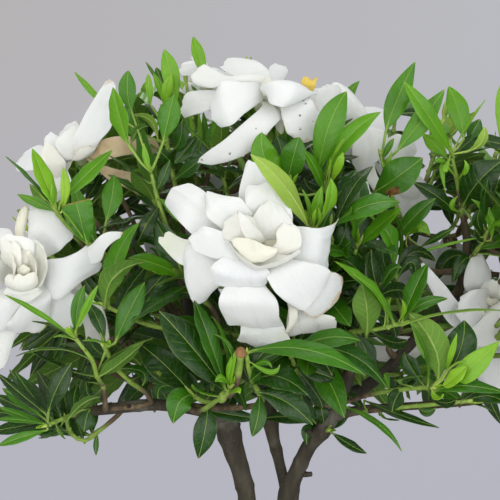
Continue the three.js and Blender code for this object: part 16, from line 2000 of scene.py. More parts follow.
# ---------------------------------------------------------------- petals
def petal(piece, rows, tint, rng, axis, fine):
    """A petal from rows of three points, throat first. tint: cream, tan, green, curl, specks."""
    R = np.array(rows, float)
    k = len(R)
    cream, tan, green, curl, speck = tint
    spanw = np.linalg.norm(R[:, 2] - R[:, 0], axis=1)
    length = np.sum(np.linalg.norm(np.diff(R[:, 1], axis=0), axis=1))
    wide = spanw.max()
    nu = int(np.clip((12 + length / 1.25) if fine else (10 + length / 1.9), 14, 38))
    nv = int(np.clip((11 + wide / 1.3) if fine else (9 + wide / 2.2), 9, 27)) | 1
    x = np.linspace(0, 1, nu)
    u = 0.8 * x + 0.2 * np.sin(np.pi * x / 2)
    v = np.linspace(-1, 1, nv)
    v = 0.72 * v + 0.28 * np.sin(np.pi * v / 2)
    full = spline(R.reshape(k, 9)[:, [3, 4, 5, 0, 1, 2, 6, 7, 8]], u)
    Mid, L, Rt = full[:, 0:3], full[:, 3:6], full[:, 6:9]
    A = (Rt - L) / 2
    # petals lie flatter across than their three-point rows say
    full_bow = (Rt + L) / 2 - Mid
    deep = full_bow * np.array([0, 1.0, 0])
    Mid = Mid + deep * (0.6 if fine else 0.5)
    Bc = full_bow - deep * (0.95 if fine else 0.75)
    W = np.linalg.norm(A, axis=1)[:, None]
    # the corners of the free end are cut round by a small radius; a narrow end closes to a point
    tip = W[-1, 0]
    rc = min(rng.uniform(0.6, 1.7), 0.5 * tip) if tip > 2.4 else tip
    u0 = 1 - max(rc, 0.6 * tip if tip <= 2.4 else 0) / max(length, 1)
    end = np.clip((u - u0) / (1 - u0), 0, 1)
    f = 1 - (rc / np.maximum(W[:, 0], 1e-6)) * (1 - np.sqrt(1 - end**2))
    f = np.clip(f, 0.02, 1)
    ph = rng.uniform(0, 6.28, 12)
    # the margins wander a little
    ragged = 1 + 0.022 * np.sin(9 * u + ph[0]) * smooth(u, 0.3, 0.7) + 0.012 * np.sin(23 * u + ph[1]) * smooth(u, 0.3, 0.7)
    V = v[None, :] * (f * ragged)[:, None]
    p = Mid[:, None] + A[:, None] * V[..., None] + Bc[:, None] * (V**2)[..., None]
    forward = unit(np.gradient(Mid, axis=0))[:, None]
    lip = 0.026 * np.sin(2.6 * v + ph[2]) + (0.008 if fine or wide < 9 else 0.013) * np.sin(6.3 * v + ph[3])
    p = p + forward * (lip[None, :] * min(length, 26) * smooth(u, 0.7, 1.0)[:, None])[..., None]
    n = unit(np.cross(np.gradient(p, axis=1), np.gradient(p, axis=0) + 1e-7))
    n[-1] = n[-2]
    toward = np.sign(np.sum(n.mean(axis=(0, 1)) * axis)) or 1.0
    out = n * toward
    edge = np.abs(v)[None, :]
    uu, vv = u[:, None], v[None, :]
    far = smooth(u, 0.2, 0.9)[:, None]
    Wc = np.minimum(W, 15)
    side = np.where(v > 0, 1.0, 0.0)[None, :]
    k1, k2 = rng.uniform(1.3, 2.4, 2)
    wave = side * np.sin(2 * np.pi * k1 * uu + ph[5]) + (1 - side) * np.sin(2 * np.pi * k2 * uu + ph[6])
    disp = 0.042 * Wc * wave * edge**4 * far
    disp = disp + 0.03 * Wc * np.sin(3.4 * vv + ph[7]) * smooth(u, 0.65, 1.0)[:, None]
    # a soft channel down the middle, and narrow creases that fan out from the throat
    disp = disp - 0.03 * Wc * np.exp(-((vv / 0.2) ** 2)) * far
    for j in range(3 if fine else 2):
        c0, c1 = rng.uniform(-0.75, 0.75), rng.uniform(-0.25, 0.25)
        disp = disp + rng.choice([-1, 1]) * rng.uniform(0.014, 0.034) * Wc * np.exp(-(((vv - c0 - c1 * uu) / rng.uniform(0.09, 0.16)) ** 2)) * far
    # the free margin rolls back
    roll = 0.008 + 0.3 * curl
    disp = disp - roll * Wc * edge**6 * far * (0.7 + 0.5 * np.sin(3 * uu + ph[8]))
    disp = disp - (0.016 + 0.5 * curl) * Wc * smooth(u, 0.88, 1.0)[:, None] ** 2 * (0.7 + 0.5 * np.sin(2.2 * vv + ph[9]))
    p = p + out * disp[..., None]
    n = unit(np.cross(np.gradient(p, axis=1), np.gradient(p, axis=0) + 1e-7))
    n[-1] = n[-2]
    half = (0.22 - 0.09 * edge**2) * (1.2 - 0.45 * uu)
    rnd = rng.uniform()
    co = np.stack(np.broadcast_arrays(uu, vv, rnd), axis=-1)
    mm = np.stack(np.broadcast_arrays(np.full((nu, nv), cream), tan + 10 * speck, green), axis=-1)
    shell(piece, p, -n, half, (0, 0), co, mm, tip=False)


# ---------------------------------------------------------------- materials
class Mat:
    """A node material around one Principled surface."""

    def __init__(self, name, **sockets):
        self.mat = bpy.data.materials.new(name)
        self.mat.use_nodes = True
        self.tree = self.mat.node_tree
        self.tree.nodes.clear()
        self.out = self.tree.nodes.new("ShaderNodeOutputMaterial")
        self.skin = self.tree.nodes.new("ShaderNodeBsdfPrincipled")
        self.link(self.skin.outputs[0], self.out.inputs[0])
        for k, v in sockets.items():
            self.skin.inputs[k.replace("_", " ")].default_value = v

    def link(self, a, b):
        self.tree.links.new(a, b)

    def put(self, socket, x):
        if isinstance(x, bpy.types.NodeSocket):
            self.link(x, socket)
        elif isinstance(x, tuple) and len(x) == 3 and len(socket.default_value) == 4:
            socket.default_value = (*x, 1)
        else:
            socket.default_value = x

    def math(self, op, a, b=0.0, clamp=False):
        n = self.tree.nodes.new("ShaderNodeMath")
        n.operation, n.use_clamp = op, clamp
        self.put(n.inputs[0], a)
        self.put(n.inputs[1], b)
        return n.outputs[0]

    def add(self, a, b):
        return self.math("ADD", a, b)

    def mul(self, a, b):
        return self.math("MULTIPLY", a, b)

    def span(self, x, a, b, c=0.0, d=1.0, kind="SMOOTHSTEP"):
        n = self.tree.nodes.new("ShaderNodeMapRange")
        n.interpolation_type = kind
        for i, y in enumerate((x, a, b, c, d)):
            self.put(n.inputs[i], y)
        return n.outputs[0]

    def mix(self, f, a, b, kind="MIX"):
        n = self.tree.nodes.new("ShaderNodeMix")
        n.data_type, n.blend_type = "RGBA", kind
        self.put(n.inputs[0], f)
        self.put(n.inputs[6], a)
        self.put(n.inputs[7], b)
        return n.outputs[2]

    def ramp(self, f, stops):
        n = self.tree.nodes.new("ShaderNodeValToRGB")
        e = n.color_ramp.elements
        while len(e) < len(stops):
            e.new(0.5)
        for el, (at, col) in zip(e, stops):
            el.position, el.color = at, (*col, 1)
        self.put(n.inputs[0], f)
        return n.outputs[0]

    def attr(self, name):
        n = self.tree.nodes.new("ShaderNodeAttribute")
        n.attribute_name = name
        s = self.tree.nodes.new("ShaderNodeSeparateXYZ")
        self.link(n.outputs["Vector"], s.inputs[0])
        return s.outputs[0], s.outputs[1], s.outputs[2], n.outputs["Vector"]

    def place(self):
        return self.tree.nodes.new("ShaderNodeTexCoord").outputs["Object"]

    def stretch(self, vec, scale, move=(0, 0, 0)):
        n = self.tree.nodes.new("ShaderNodeMapping")
        self.put(n.inputs[0], vec)
        self.put(n.inputs[1], move)
        self.put(n.inputs[3], scale)
        return n.outputs[0]

    def joined(self, x, y, z):
        n = self.tree.nodes.new("ShaderNodeCombineXYZ")
        for i, a in enumerate((x, y, z)):
            self.put(n.inputs[i], a)
        return n.outputs[0]

    def noise(self, vec, scale, detail=3.0, rough=0.5):
        n = self.tree.nodes.new("ShaderNodeTexNoise")
        self.put(n.inputs["Vector"], vec)
        n.inputs["Scale"].default_value = scale
        n.inputs["Detail"].default_value = detail
        n.inputs["Roughness"].default_value = rough
        return n.outputs["Fac"]

    def cells(self, vec, scale, what="Distance", feature="F1"):
        n = self.tree.nodes.new("ShaderNodeTexVoronoi")
        n.feature = feature
        self.put(n.inputs["Vector"], vec)
        n.inputs["Scale"].default_value = scale
        return n.outputs[what]

    def bump(self, height, strength, distance, normal=None):
        n = self.tree.nodes.new("ShaderNodeBump")
        n.inputs["Strength"].default_value = strength
        n.inputs["Distance"].default_value = distance
        self.put(n.inputs["Height"], height)
        if normal is not None:
            self.link(normal, n.inputs["Normal"])
        return n.outputs[0]

    def set(self, **sockets):
        for k, v in sockets.items():
            self.put(self.skin.inputs[k.replace("_", " ")], v)
        return self

    def glow(self, colour, share):
        """Lets a share of the light through the thin blade."""
        t = self.tree.nodes.new("ShaderNodeBsdfTranslucent")
        self.put(t.inputs["Color"], colour)
        m = self.tree.nodes.new("ShaderNodeMixShader")
        m.inputs[0].default_value = share
        self.link(self.skin.outputs[0], m.inputs[1])
        self.link(t.outputs[0], m.inputs[2])
        self.link(m.outputs[0], self.out.inputs[0])


def rgb(r, g, b):
    """An sRGB colour, 0 to 255, as Blender's linear numbers."""
    return tuple(((c / 255) / 12.92 if c / 255 <= 0.04045 else ((c / 255 + 0.055) / 1.055) ** 2.4) for c in (r, g, b))


def leaf_material(name, under):
    m = Mat(name, Metallic=0.0)
    t, s, r, vec = m.attr("at_co")
    along, across, tone_and_shade, _ = m.attr("at_mm")
    obj = m.place()
    a = m.math("ABSOLUTE", s)
    dist = m.math("ABSOLUTE", across)
    patch = m.noise(obj, 75, 3, 0.55)
    fine = m.noise(obj, 420, 4, 0.6)
    # the tone darkens older leaves and, as painted shade, the leaves deep inside the crown; a higher tone picks a
    # darker green from the ramp
    shade = m.add(tone_and_shade, m.mul(m.add(patch, -0.5), 0.26))
    shade = m.add(shade, m.mul(m.add(r, -0.5), 0.12))
    if under:
        col = m.ramp(shade, [(0.0, rgb(168, 198, 84)), (0.35, rgb(132, 168, 62)), (0.7, rgb(92, 134, 46)), (1.0, rgb(66, 104, 36))])
    else:
        col = m.ramp(shade, [(0.0, rgb(166, 204, 54)), (0.18, rgb(132, 184, 36)), (0.38, rgb(96, 156, 14)), (0.58, rgb(60, 121, 9)), (0.8, rgb(25, 74, 6)), (1.0, rgb(12, 43, 5))])
    # side veins leave the midrib and bend towards the tip, the two sides half a step apart
    odd = m.mul(m.math("LESS_THAN", s, 0.0), 0.5)
    lean = m.mul(m.math("POWER", a, 1.3), 0.17)
    v = m.math("FRACT", m.add(m.add(m.mul(m.add(t, m.mul(lean, -1.0)), 9.5), odd), m.mul(patch, 0.4)))
    v = m.math("ABSOLUTE", m.add(v, -0.5))
    vein = m.mul(m.span(v, 0.0, 0.07, 1.0, 0.0), m.span(a, 0.7, 0.95, 1.0, 0.0))
    swell = m.math("SINE", m.mul(v, math.pi))
    rib = m.span(dist, 0.06, 0.26, 1.0, 0.0)
    net = m.cells(m.stretch(m.joined(along, across, 0.0), (0.55, 0.75, 1.0)), 1.0, "Distance", "DISTANCE_TO_EDGE")
    mesh = m.span(net, 0.0, 0.1, 1.0, 0.0)
    light = m.mix(0.6, col, rgb(188, 214, 104)) if not under else m.mix(0.6, col, rgb(206, 222, 146))
    col = m.mix(m.mul(vein, 0.16 if not under else 0.4), col, light)
    col = m.mix(m.mul(mesh, 0.07), col, light)
    col = m.mix(m.mul(rib, 0.8 if not under else 0.9), col, light)
    # pale margin, yellow base, small marks
    col = m.mix(m.mul(m.span(a, 0.95, 1.0), 0.35), col, light)
    col = m.mix(m.mul(m.span(t, 0.0, 0.14, 1.0, 0.0), 0.35), col, rgb(150, 186, 70))
    col = m.mix(m.mul(fine, 0.14), col, rgb(24, 62, 14))
    spots = m.mul(m.span(m.noise(obj, 190, 2, 0.5), 0.71, 0.78), m.math("GREATER_THAN", r, 0.72))
    col = m.mix(m.mul(spots, 0.4), col, rgb(150, 160, 60))
    burn = m.mul(m.span(t, 0.965, 0.99), m.math("GREATER_THAN", r, 0.9))
    col = m.mix(m.mul(burn, 0.8), col, rgb(150, 115, 60))
    # one blade is scorched near its edge
    e1, e2 = m.mul(m.add(t, -0.34), 8.0), m.mul(m.add(s, -0.72), 2.6)
    near = m.add(m.add(m.mul(e1, e1), m.mul(e2, e2)), m.mul(m.add(fine, -0.5), 1.6))
    scorch = m.mul(m.span(near, 0.7, 1.0, 1.0, 0.0), m.math("GREATER_THAN", r, 1.2))
    col = m.mix(m.mul(scorch, 0.92), col, m.ramp(m.noise(obj, 420, 3, 0.65), [(0.36, rgb(66, 38, 18)), (0.5, rgb(112, 72, 34)), (0.66, rgb(152, 104, 54))]))
    h = m.add(m.mul(rib, -0.7 if not under else 1.2), m.mul(vein, -0.22 if not under else 0.5))
    h = m.add(h, m.mul(m.mul(swell, m.span(a, 0.1, 0.4)), 0.35 if not under else -0.2))
    h = m.add(h, m.mul(m.noise(obj, 1300, 2, 0.5), 0.06))
    h = m.add(h, m.mul(m.mul(mesh, m.span(a, 0.05, 0.3)), -0.05))
    h = m.add(h, m.mul(m.noise(obj, 240, 2, 0.5), 0.5))
    n = m.bump(h, 0.42, 0.0003)
    if under:
        rough = m.span(fine, 0.3, 0.7, 0.5, 0.66, "LINEAR")
    else:
        rough = m.add(m.span(tone_and_shade, 0.1, 0.9, 0.38, 0.27, "LINEAR"), m.mul(m.add(fine, -0.5), 0.12))
    m.set(Base_Color=col, Roughness=rough, Normal=n, Specular_IOR_Level=0.34 if not under else 0.18)
    m.glow(m.mix(0.5, col, rgb(150, 200, 28)), 0.22)
    return m.mat


def twig_material():
    m = Mat("shoot_stem", Specular_IOR_Level=0.3)
    x, ang, r, _ = m.attr("at_co")
    along, _, wood, _ = m.attr("at_mm")
    obj = m.place()
    n1 = m.noise(m.stretch(obj, (1, 1, 0.45)), 380, 4, 0.6)
    green = m.ramp(n1, [(0.25, rgb(96, 128, 48)), (0.6, rgb(132, 160, 66)), (0.8, rgb(150, 170, 86))])
    brown = m.ramp(n1, [(0.25, rgb(58, 48, 36)), (0.5, rgb(92, 78, 58)), (0.8, rgb(128, 112, 84))])
    f = m.span(m.add(wood, m.mul(m.add(n1, -0.5), 0.5)), 0.3, 0.62)
    col = m.mix(f, green, brown)
    # the dry cut of an old flower stalk
    col = m.mix(m.span(wood, 1.4, 1.8), col, m.ramp(n1, [(0.3, rgb(92, 64, 40)), (0.6, rgb(146, 108, 70))]))
    pores = m.span(m.cells(obj, 900), 0.0, 0.22, 1.0, 0.0)
    col = m.mix(m.mul(pores, 0.25), col, rgb(160, 145, 110))
    h = m.add(m.mul(m.noise(m.stretch(obj, (1, 1, 0.3)), 900, 4, 0.6), 1.0), m.mul(pores, 0.3))
    m.set(Base_Color=col, Roughness=m.span(f, 0.0, 1.0, 0.5, 0.85, "LINEAR"), Normal=m.bump(h, 0.5, 0.0003))
    return m.mat


def stalk_material():
    """Leaf stalks and keels."""
    m = Mat("leaf_stalk", Specular_IOR_Level=0.35)
    _, _, r, _ = m.attr("at_co")
    _, _, tone_and_shade, _ = m.attr("at_mm")
    obj = m.place()
    n1 = m.noise(obj, 500, 3, 0.6)
    # the stalk darkens with its leaf's tone, which includes painted shade deep in the crown
    col = m.ramp(m.add(tone_and_shade, m.mul(m.add(n1, -0.5), 0.3)), [(0.0, rgb(180, 200, 96)), (0.5, rgb(138, 168, 72)), (1.0, rgb(104, 132, 58))])
    m.set(Base_Color=col, Roughness=m.span(n1, 0.3, 0.7, 0.42, 0.58, "LINEAR"), Normal=m.bump(n1, 0.3, 0.0002))
    m.glow(col, 0.1)
    return m.mat


def bark_material():
    m = Mat("bark", Specular_IOR_Level=0.22)
    x, ang, r, _ = m.attr("at_co")
    along, turn, wood, _ = m.attr("at_mm")
    obj = m.place()
    grain = m.stretch(obj, (1, 1, 0.22))
    broad = m.noise(grain, 160, 5, 0.62)
    fine = m.noise(m.stretch(obj, (1, 1, 0.35)), 900, 4, 0.65)
    cracks = m.span(m.cells(m.stretch(obj, (1, 1, 0.2)), 330, "Distance", "DISTANCE_TO_EDGE"), 0.0, 0.07, 1.0, 0.0)
    patch = m.noise(obj, 55, 3, 0.5)
    col = m.ramp(broad, [(0.2, rgb(40, 37, 30)), (0.45, rgb(60, 56, 47)), (0.62, rgb(76, 72, 61)), (0.85, rgb(104, 100, 88))])
    col = m.mix(m.mul(m.span(patch, 0.45, 0.7), 0.45), col, rgb(74, 62, 46))
    col = m.mix(m.mul(m.span(patch, 0.56, 0.7), 0.6), col, rgb(112, 112, 100))
    young = m.ramp(broad, [(0.2, rgb(56, 50, 32)), (0.6, rgb(88, 80, 52)), (0.9, rgb(116, 108, 74))])
    col = m.mix(m.span(wood, 0.1, 0.75), young, col)
    col = m.mix(m.mul(m.mul(cracks, m.span(patch, 0.35, 0.6)), 0.28), col, rgb(34, 29, 23))
    col = m.mix(m.mul(fine, 0.3), col, rgb(42, 36, 28))
    lent = m.span(m.cells(m.stretch(obj, (1, 1, 2.2)), 260), 0.0, 0.16, 1.0, 0.0)
    col = m.mix(m.mul(lent, 0.4), col, rgb(140, 128, 104))
    h = m.add(m.mul(broad, 1.0), m.mul(m.mul(cracks, m.span(patch, 0.35, 0.6)), -0.3))
    h = m.add(h, m.mul(fine, 0.4))
    h = m.add(h, m.mul(lent, 0.4))
    m.set(Base_Color=col, Roughness=m.span(broad, 0.2, 0.8, 0.78, 0.95, "LINEAR"), Normal=m.bump(h, 0.6, 0.0007))
    return m.mat


def petal_material():
    m = Mat("petal", Specular_IOR_Level=0.3, Subsurface_Weight=0.22, Subsurface_Scale=0.0022, Sheen_Weight=0.12, Sheen_Roughness=0.5)
    m.skin.inputs["Subsurface Radius"].default_value = (1.0, 0.95, 0.8)
    u, v, r, _ = m.attr("at_co")
    cream, marks, green, _ = m.attr("at_mm")
    obj = m.place()
    a = m.math("ABSOLUTE", v)
    speck = m.math("FLOOR", m.mul(m.add(marks, 0.001), 0.1))
    speck = m.span(marks, 3.0, 9.0, 0.0, 1.0, "LINEAR")
    tan = m.math("MODULO", marks, 1.0)
    big = m.noise(obj, 60, 3, 0.55)
    white = m.ramp(big, [(0.3, rgb(233, 236, 236)), (0.7, rgb(240, 241, 240))])
    deep = m.span(u, 0.0, 0.55, 1.0, 0.0)
    warm = m.add(m.mul(cream, m.add(m.mul(deep, 0.6), 0.5)), m.mul(m.add(r, 0.15), 0.06))
    col = m.mix(m.math("MINIMUM", warm, 1.0), white, rgb(242, 233, 190))
    col = m.mix(m.span(cream, 1.2, 1.9), col, m.ramp(big, [(0.3, rgb(214, 176, 62)), (0.7, rgb(232, 206, 92))]))
    col = m.mix(m.mul(m.mul(deep, deep), 0.3), col, rgb(226, 232, 180))
    col = m.mix(m.mul(m.mul(green, m.span(big, 0.35, 0.6)), 0.55), col, rgb(196, 214, 120))
    # browning follows the free edge, uneven, wider where there is more of it
    edge = m.math("MAXIMUM", m.span(u, 0.8, 1.0), m.mul(m.span(a, 0.8, 1.0), m.span(u, 0.35, 0.7)))
    rag = m.noise(obj, 230, 4, 0.65)
    brown = m.mul(m.span(m.add(m.mul(edge, 0.9), m.mul(m.add(rag, -0.5), 1.1)), 0.72, 0.92), m.span(tan, 0.0, 0.6))
    col = m.mix(m.mul(brown, 0.75), col, m.ramp(rag, [(0.3, rgb(176, 132, 72)), (0.7, rgb(222, 190, 130))]))
    # an old petal has turned all over
    col = m.mix(m.mul(m.span(tan, 0.8, 0.92), 0.85), col, m.ramp(m.noise(obj, 110, 4, 0.6), [(0.3, rgb(152, 118, 72)), (0.5, rgb(192, 166, 120)), (0.75, rgb(214, 198, 160))]))
    spots = m.mul(m.span(m.cells(m.stretch(obj, (1, 1, 1), (3.1, 0.4, 1.7)), 290), 0.12, 0.21, 1.0, 0.0), m.math("GREATER_THAN", m.noise(obj, 150, 2, 0.5), 0.48))
    col = m.mix(m.mul(m.mul(spots, speck), 0.9), col, rgb(76, 54, 38))
    # veins run out from the throat and fork
    warp = m.add(m.mul(v, 17.0), m.mul(m.noise(m.joined(m.mul(u, 2.0), m.mul(v, 2.0), r), 2.2, 3, 0.6), 5.0))
    line = m.math("ABSOLUTE", m.math("SINE", warp))
    line = m.span(line, 0.0, 0.35, 1.0, 0.0)
    col = m.mix(m.mul(line, 0.05), col, rgb(214, 218, 212))
    h = m.add(m.mul(line, -0.5), m.mul(m.noise(obj, 900, 3, 0.6), 0.3))
    h = m.add(h, m.mul(m.noise(obj, 170, 3, 0.55), 0.9))
    m.set(Base_Color=col, Roughness=m.span(big, 0.3, 0.7, 0.48, 0.62, "LINEAR"), Normal=m.bump(h, 0.35, 0.0004))
    m.glow(m.mix(0.6, col, rgb(243, 244, 236)), 0.28)
    return m.mat


def calyx_material():
    m = Mat("calyx", Specular_IOR_Level=0.35)
    x, ang, r, _ = m.attr("at_co")
    along, _, wood, _ = m.attr("at_mm")
    obj = m.place()
    n1 = m.noise(obj, 300, 4, 0.6)
    ribs = m.math("ABSOLUTE", m.math("SINE", m.mul(ang, 6 * math.pi)))
    col = m.ramp(n1, [(0.25, rgb(92, 136, 48)), (0.6, rgb(126, 166, 70)), (0.85, rgb(156, 188, 96))])
    col = m.mix(m.mul(m.span(ribs, 0.6, 1.0), 0.3), col, rgb(166, 192, 104))
    col = m.mix(m.span(wood, 0.5, 1.0), col, m.ramp(n1, [(0.3, rgb(120, 84, 48)), (0.7, rgb(186, 148, 96))]))
    h = m.add(m.mul(ribs, 0.8), m.mul(m.noise(obj, 1100, 3, 0.6), 0.4))
    m.set(Base_Color=col, Roughness=m.span(n1, 0.3, 0.7, 0.42, 0.6, "LINEAR"), Normal=m.bump(h, 0.4, 0.0003))
    return m.mat


def clay_material():
    m = Mat("clay", Specular_IOR_Level=0.25)
    obj = m.place()
    sep = m.tree.nodes.new("ShaderNodeSeparateXYZ")
    m.link(obj, sep.inputs[0])
    z = sep.outputs[2]
    rings = m.noise(m.stretch(obj, (0.02, 0.02, 1)), 700, 3, 0.6)
    blotch = m.noise(obj, 22, 5, 0.6)
    grit = m.noise(obj, 1400, 3, 0.7)
    col = m.ramp(blotch, [(0.25, rgb(160, 86, 52)), (0.5, rgb(184, 106, 66)), (0.75, rgb(202, 130, 88))])
    col = m.mix(m.mul(rings, 0.25), col, rgb(150, 80, 50))
    bloom = m.mul(m.span(m.noise(obj, 38, 6, 0.7), 0.5, 0.72), m.math("MAXIMUM", m.span(z, 0.075, 0.118), m.span(z, 0.0, 0.03, 1.0, 0.2)))
    col = m.mix(m.mul(bloom, 0.6), col, rgb(222, 206, 186))
    # darker towards the bottom of the pot
    darker_at_foot = m.mul(m.span(z, 0.0, 0.022, 1.0, 0.0), 0.35)
    col = m.mix(darker_at_foot, col, rgb(120, 66, 44))
    specks = m.span(m.cells(obj, 520), 0.0, 0.14, 1.0, 0.0)
    col = m.mix(m.mul(specks, 0.35), col, rgb(110, 62, 42))
    h = m.add(m.mul(rings, 0.8), m.mul(grit, 0.5))
    h = m.add(h, m.mul(specks, -0.5))
    m.set(Base_Color=col, Roughness=m.span(blotch, 0.3, 0.7, 0.78, 0.92, "LINEAR"), Normal=m.bump(h, 0.5, 0.0006))
    return m.mat


def soil_material():
    m = Mat("soil", Specular_IOR_Level=0.2)
    _, _, r, _ = m.attr("at_co")
    kind, _, _, _ = m.attr("at_mm")
    obj = m.place()
    n1 = m.noise(obj, 500, 5, 0.7)
    col = m.ramp(n1, [(0.25, rgb(34, 24, 18)), (0.5, rgb(62, 45, 33)), (0.8, rgb(96, 74, 54))])
    bark = m.ramp(m.noise(obj, 350, 4, 0.6), [(0.3, rgb(84, 52, 32)), (0.7, rgb(138, 94, 60))])
    pearl = m.ramp(n1, [(0.3, rgb(196, 190, 178)), (0.7, rgb(232, 230, 222))])
    col = m.mix(m.span(kind, 0.4, 0.6), col, bark)
    col = m.mix(m.span(kind, 1.4, 1.6), col, pearl)
    m.set(Base_Color=col, Roughness=m.span(n1, 0.3, 0.7, 0.86, 1.0, "LINEAR"), Normal=m.bump(m.add(n1, m.mul(m.noise(obj, 2200, 3, 0.6), 0.4)), 0.8, 0.0008))
    return m.mat


LEAF_TOP, LEAF_UNDER = leaf_material("leaf_upper", False), leaf_material("leaf_under", True)
TWIG, STALK, BARK = twig_material(), stalk_material(), bark_material()
PETAL, CALYX_M, CLAY, SOIL = petal_material(), calyx_material(), clay_material(), soil_material()

# ---------------------------------------------------------------- pot and soil
FOOT, UNDER_RIM, RIM, TALL, BAND = 51.0, 68.0, 74.0, 120.0, 96.0
INNER = lambda z: 45.0 + 21.0 * (z - 8.0) / 112.0


def rounded(points, radius=1.2, steps=4):
    """A profile with its corners rounded."""
    p = [np.array(q, float) for q in points]
    out = [p[0]]
    for a, b, c in zip(p, p[1:], p[2:]):
        r = min(radius, np.linalg.norm(b - a) * 0.45, np.linalg.norm(c - b) * 0.45)
        s, e = b + unit(a - b) * r, b + unit(c - b) * r
        for i in range(steps + 1):
            k = i / steps
            out.append(s * (1 - k) ** 2 + b * 2 * k * (1 - k) + e * k * k)
    out.append(p[-1])
    return np.array(out)


def turned_pot():
    prof = rounded(
        [(0, 0.9), (FOOT - 9, 0.9), (FOOT - 7.5, 0.0), (FOOT, 0), (UNDER_RIM, BAND - 0.6), (RIM, BAND + 1.0), (RIM + 0.1, TALL), (INNER(TALL) + 0.3, TALL), (INNER(60), 60), (INNER(8), 8.0), (0, 8.0)],
        1.6, 5,
    )
    # more rings on the long walls
    fine = [prof[0]]
    for a, b in zip(prof, prof[1:]):
        k = max(1, int(np.linalg.norm(b - a) / 5))
        fine += [a + (b - a) * (i + 1) / k for i in range(k)]
    prof = np.array(fine)
    seg = 120
    ang = 2 * np.pi * np.arange(seg) / seg
    r, z = prof[:, 0][:, None], prof[:, 1][:, None]
    wob = 0.16 * np.sin(2 * ang + 0.7) + 0.1 * np.sin(3 * ang + 2.1) + 0.12 * np.sin(z * 0.55) * smooth(z, 4, 20)
    rr = np.where(r > 1, r + wob * smooth(r, 5, 40), r)
    v = np.stack([rr * np.cos(ang), rr * np.sin(ang), z + 0 * ang], axis=-1)
    k = len(prof)
    idx = np.arange(k * seg).reshape(k, seg)
    idx[0, :] = idx[0, 0]
    idx[-1, :] = idx[-1, 0]
    nxt = np.roll(idx, -1, axis=1)
    q = np.stack([idx[:-1], nxt[:-1], nxt[1:], idx[1:]], axis=-1).reshape(-1, 4)
    piece = Piece("clay_pot_turned", ["pot"], "clay_pot", [CLAY])
    piece.put(v.reshape(-1, 3), q, 0, (0, 0, 0), (0, 0, 0))
    obj = piece.make()
    # the four drainage holes
    holes = Piece("pot_hole_cutter", ["pot"], "clay_pot", [CLAY])
    for i in range(4):
        a = np.pi / 4 + i * np.pi / 2
        x, y = 27 * np.cos(a), 27 * np.sin(a)
        tube(holes, [[x, y, -4, 4.5], [x, y, 4, 4.5], [x, y, 14, 4.5]], 24, 0, (0, 0, 0), (0, 0, 0))
    cutter = holes.make()
    mod = obj.modifiers.new("holes", "BOOLEAN")
    mod.object, mod.operation, mod.solver = cutter, "DIFFERENCE", "EXACT"
    mesh = bpy.data.meshes.new_from_object(obj.evaluated_get(bpy.context.evaluated_depsgraph_get()))
    obj.modifiers.clear()
    obj.data = mesh
    bpy.data.objects.remove(cutter)
    for e in mesh.edges:
        e.use_edge_sharp = False
    return obj


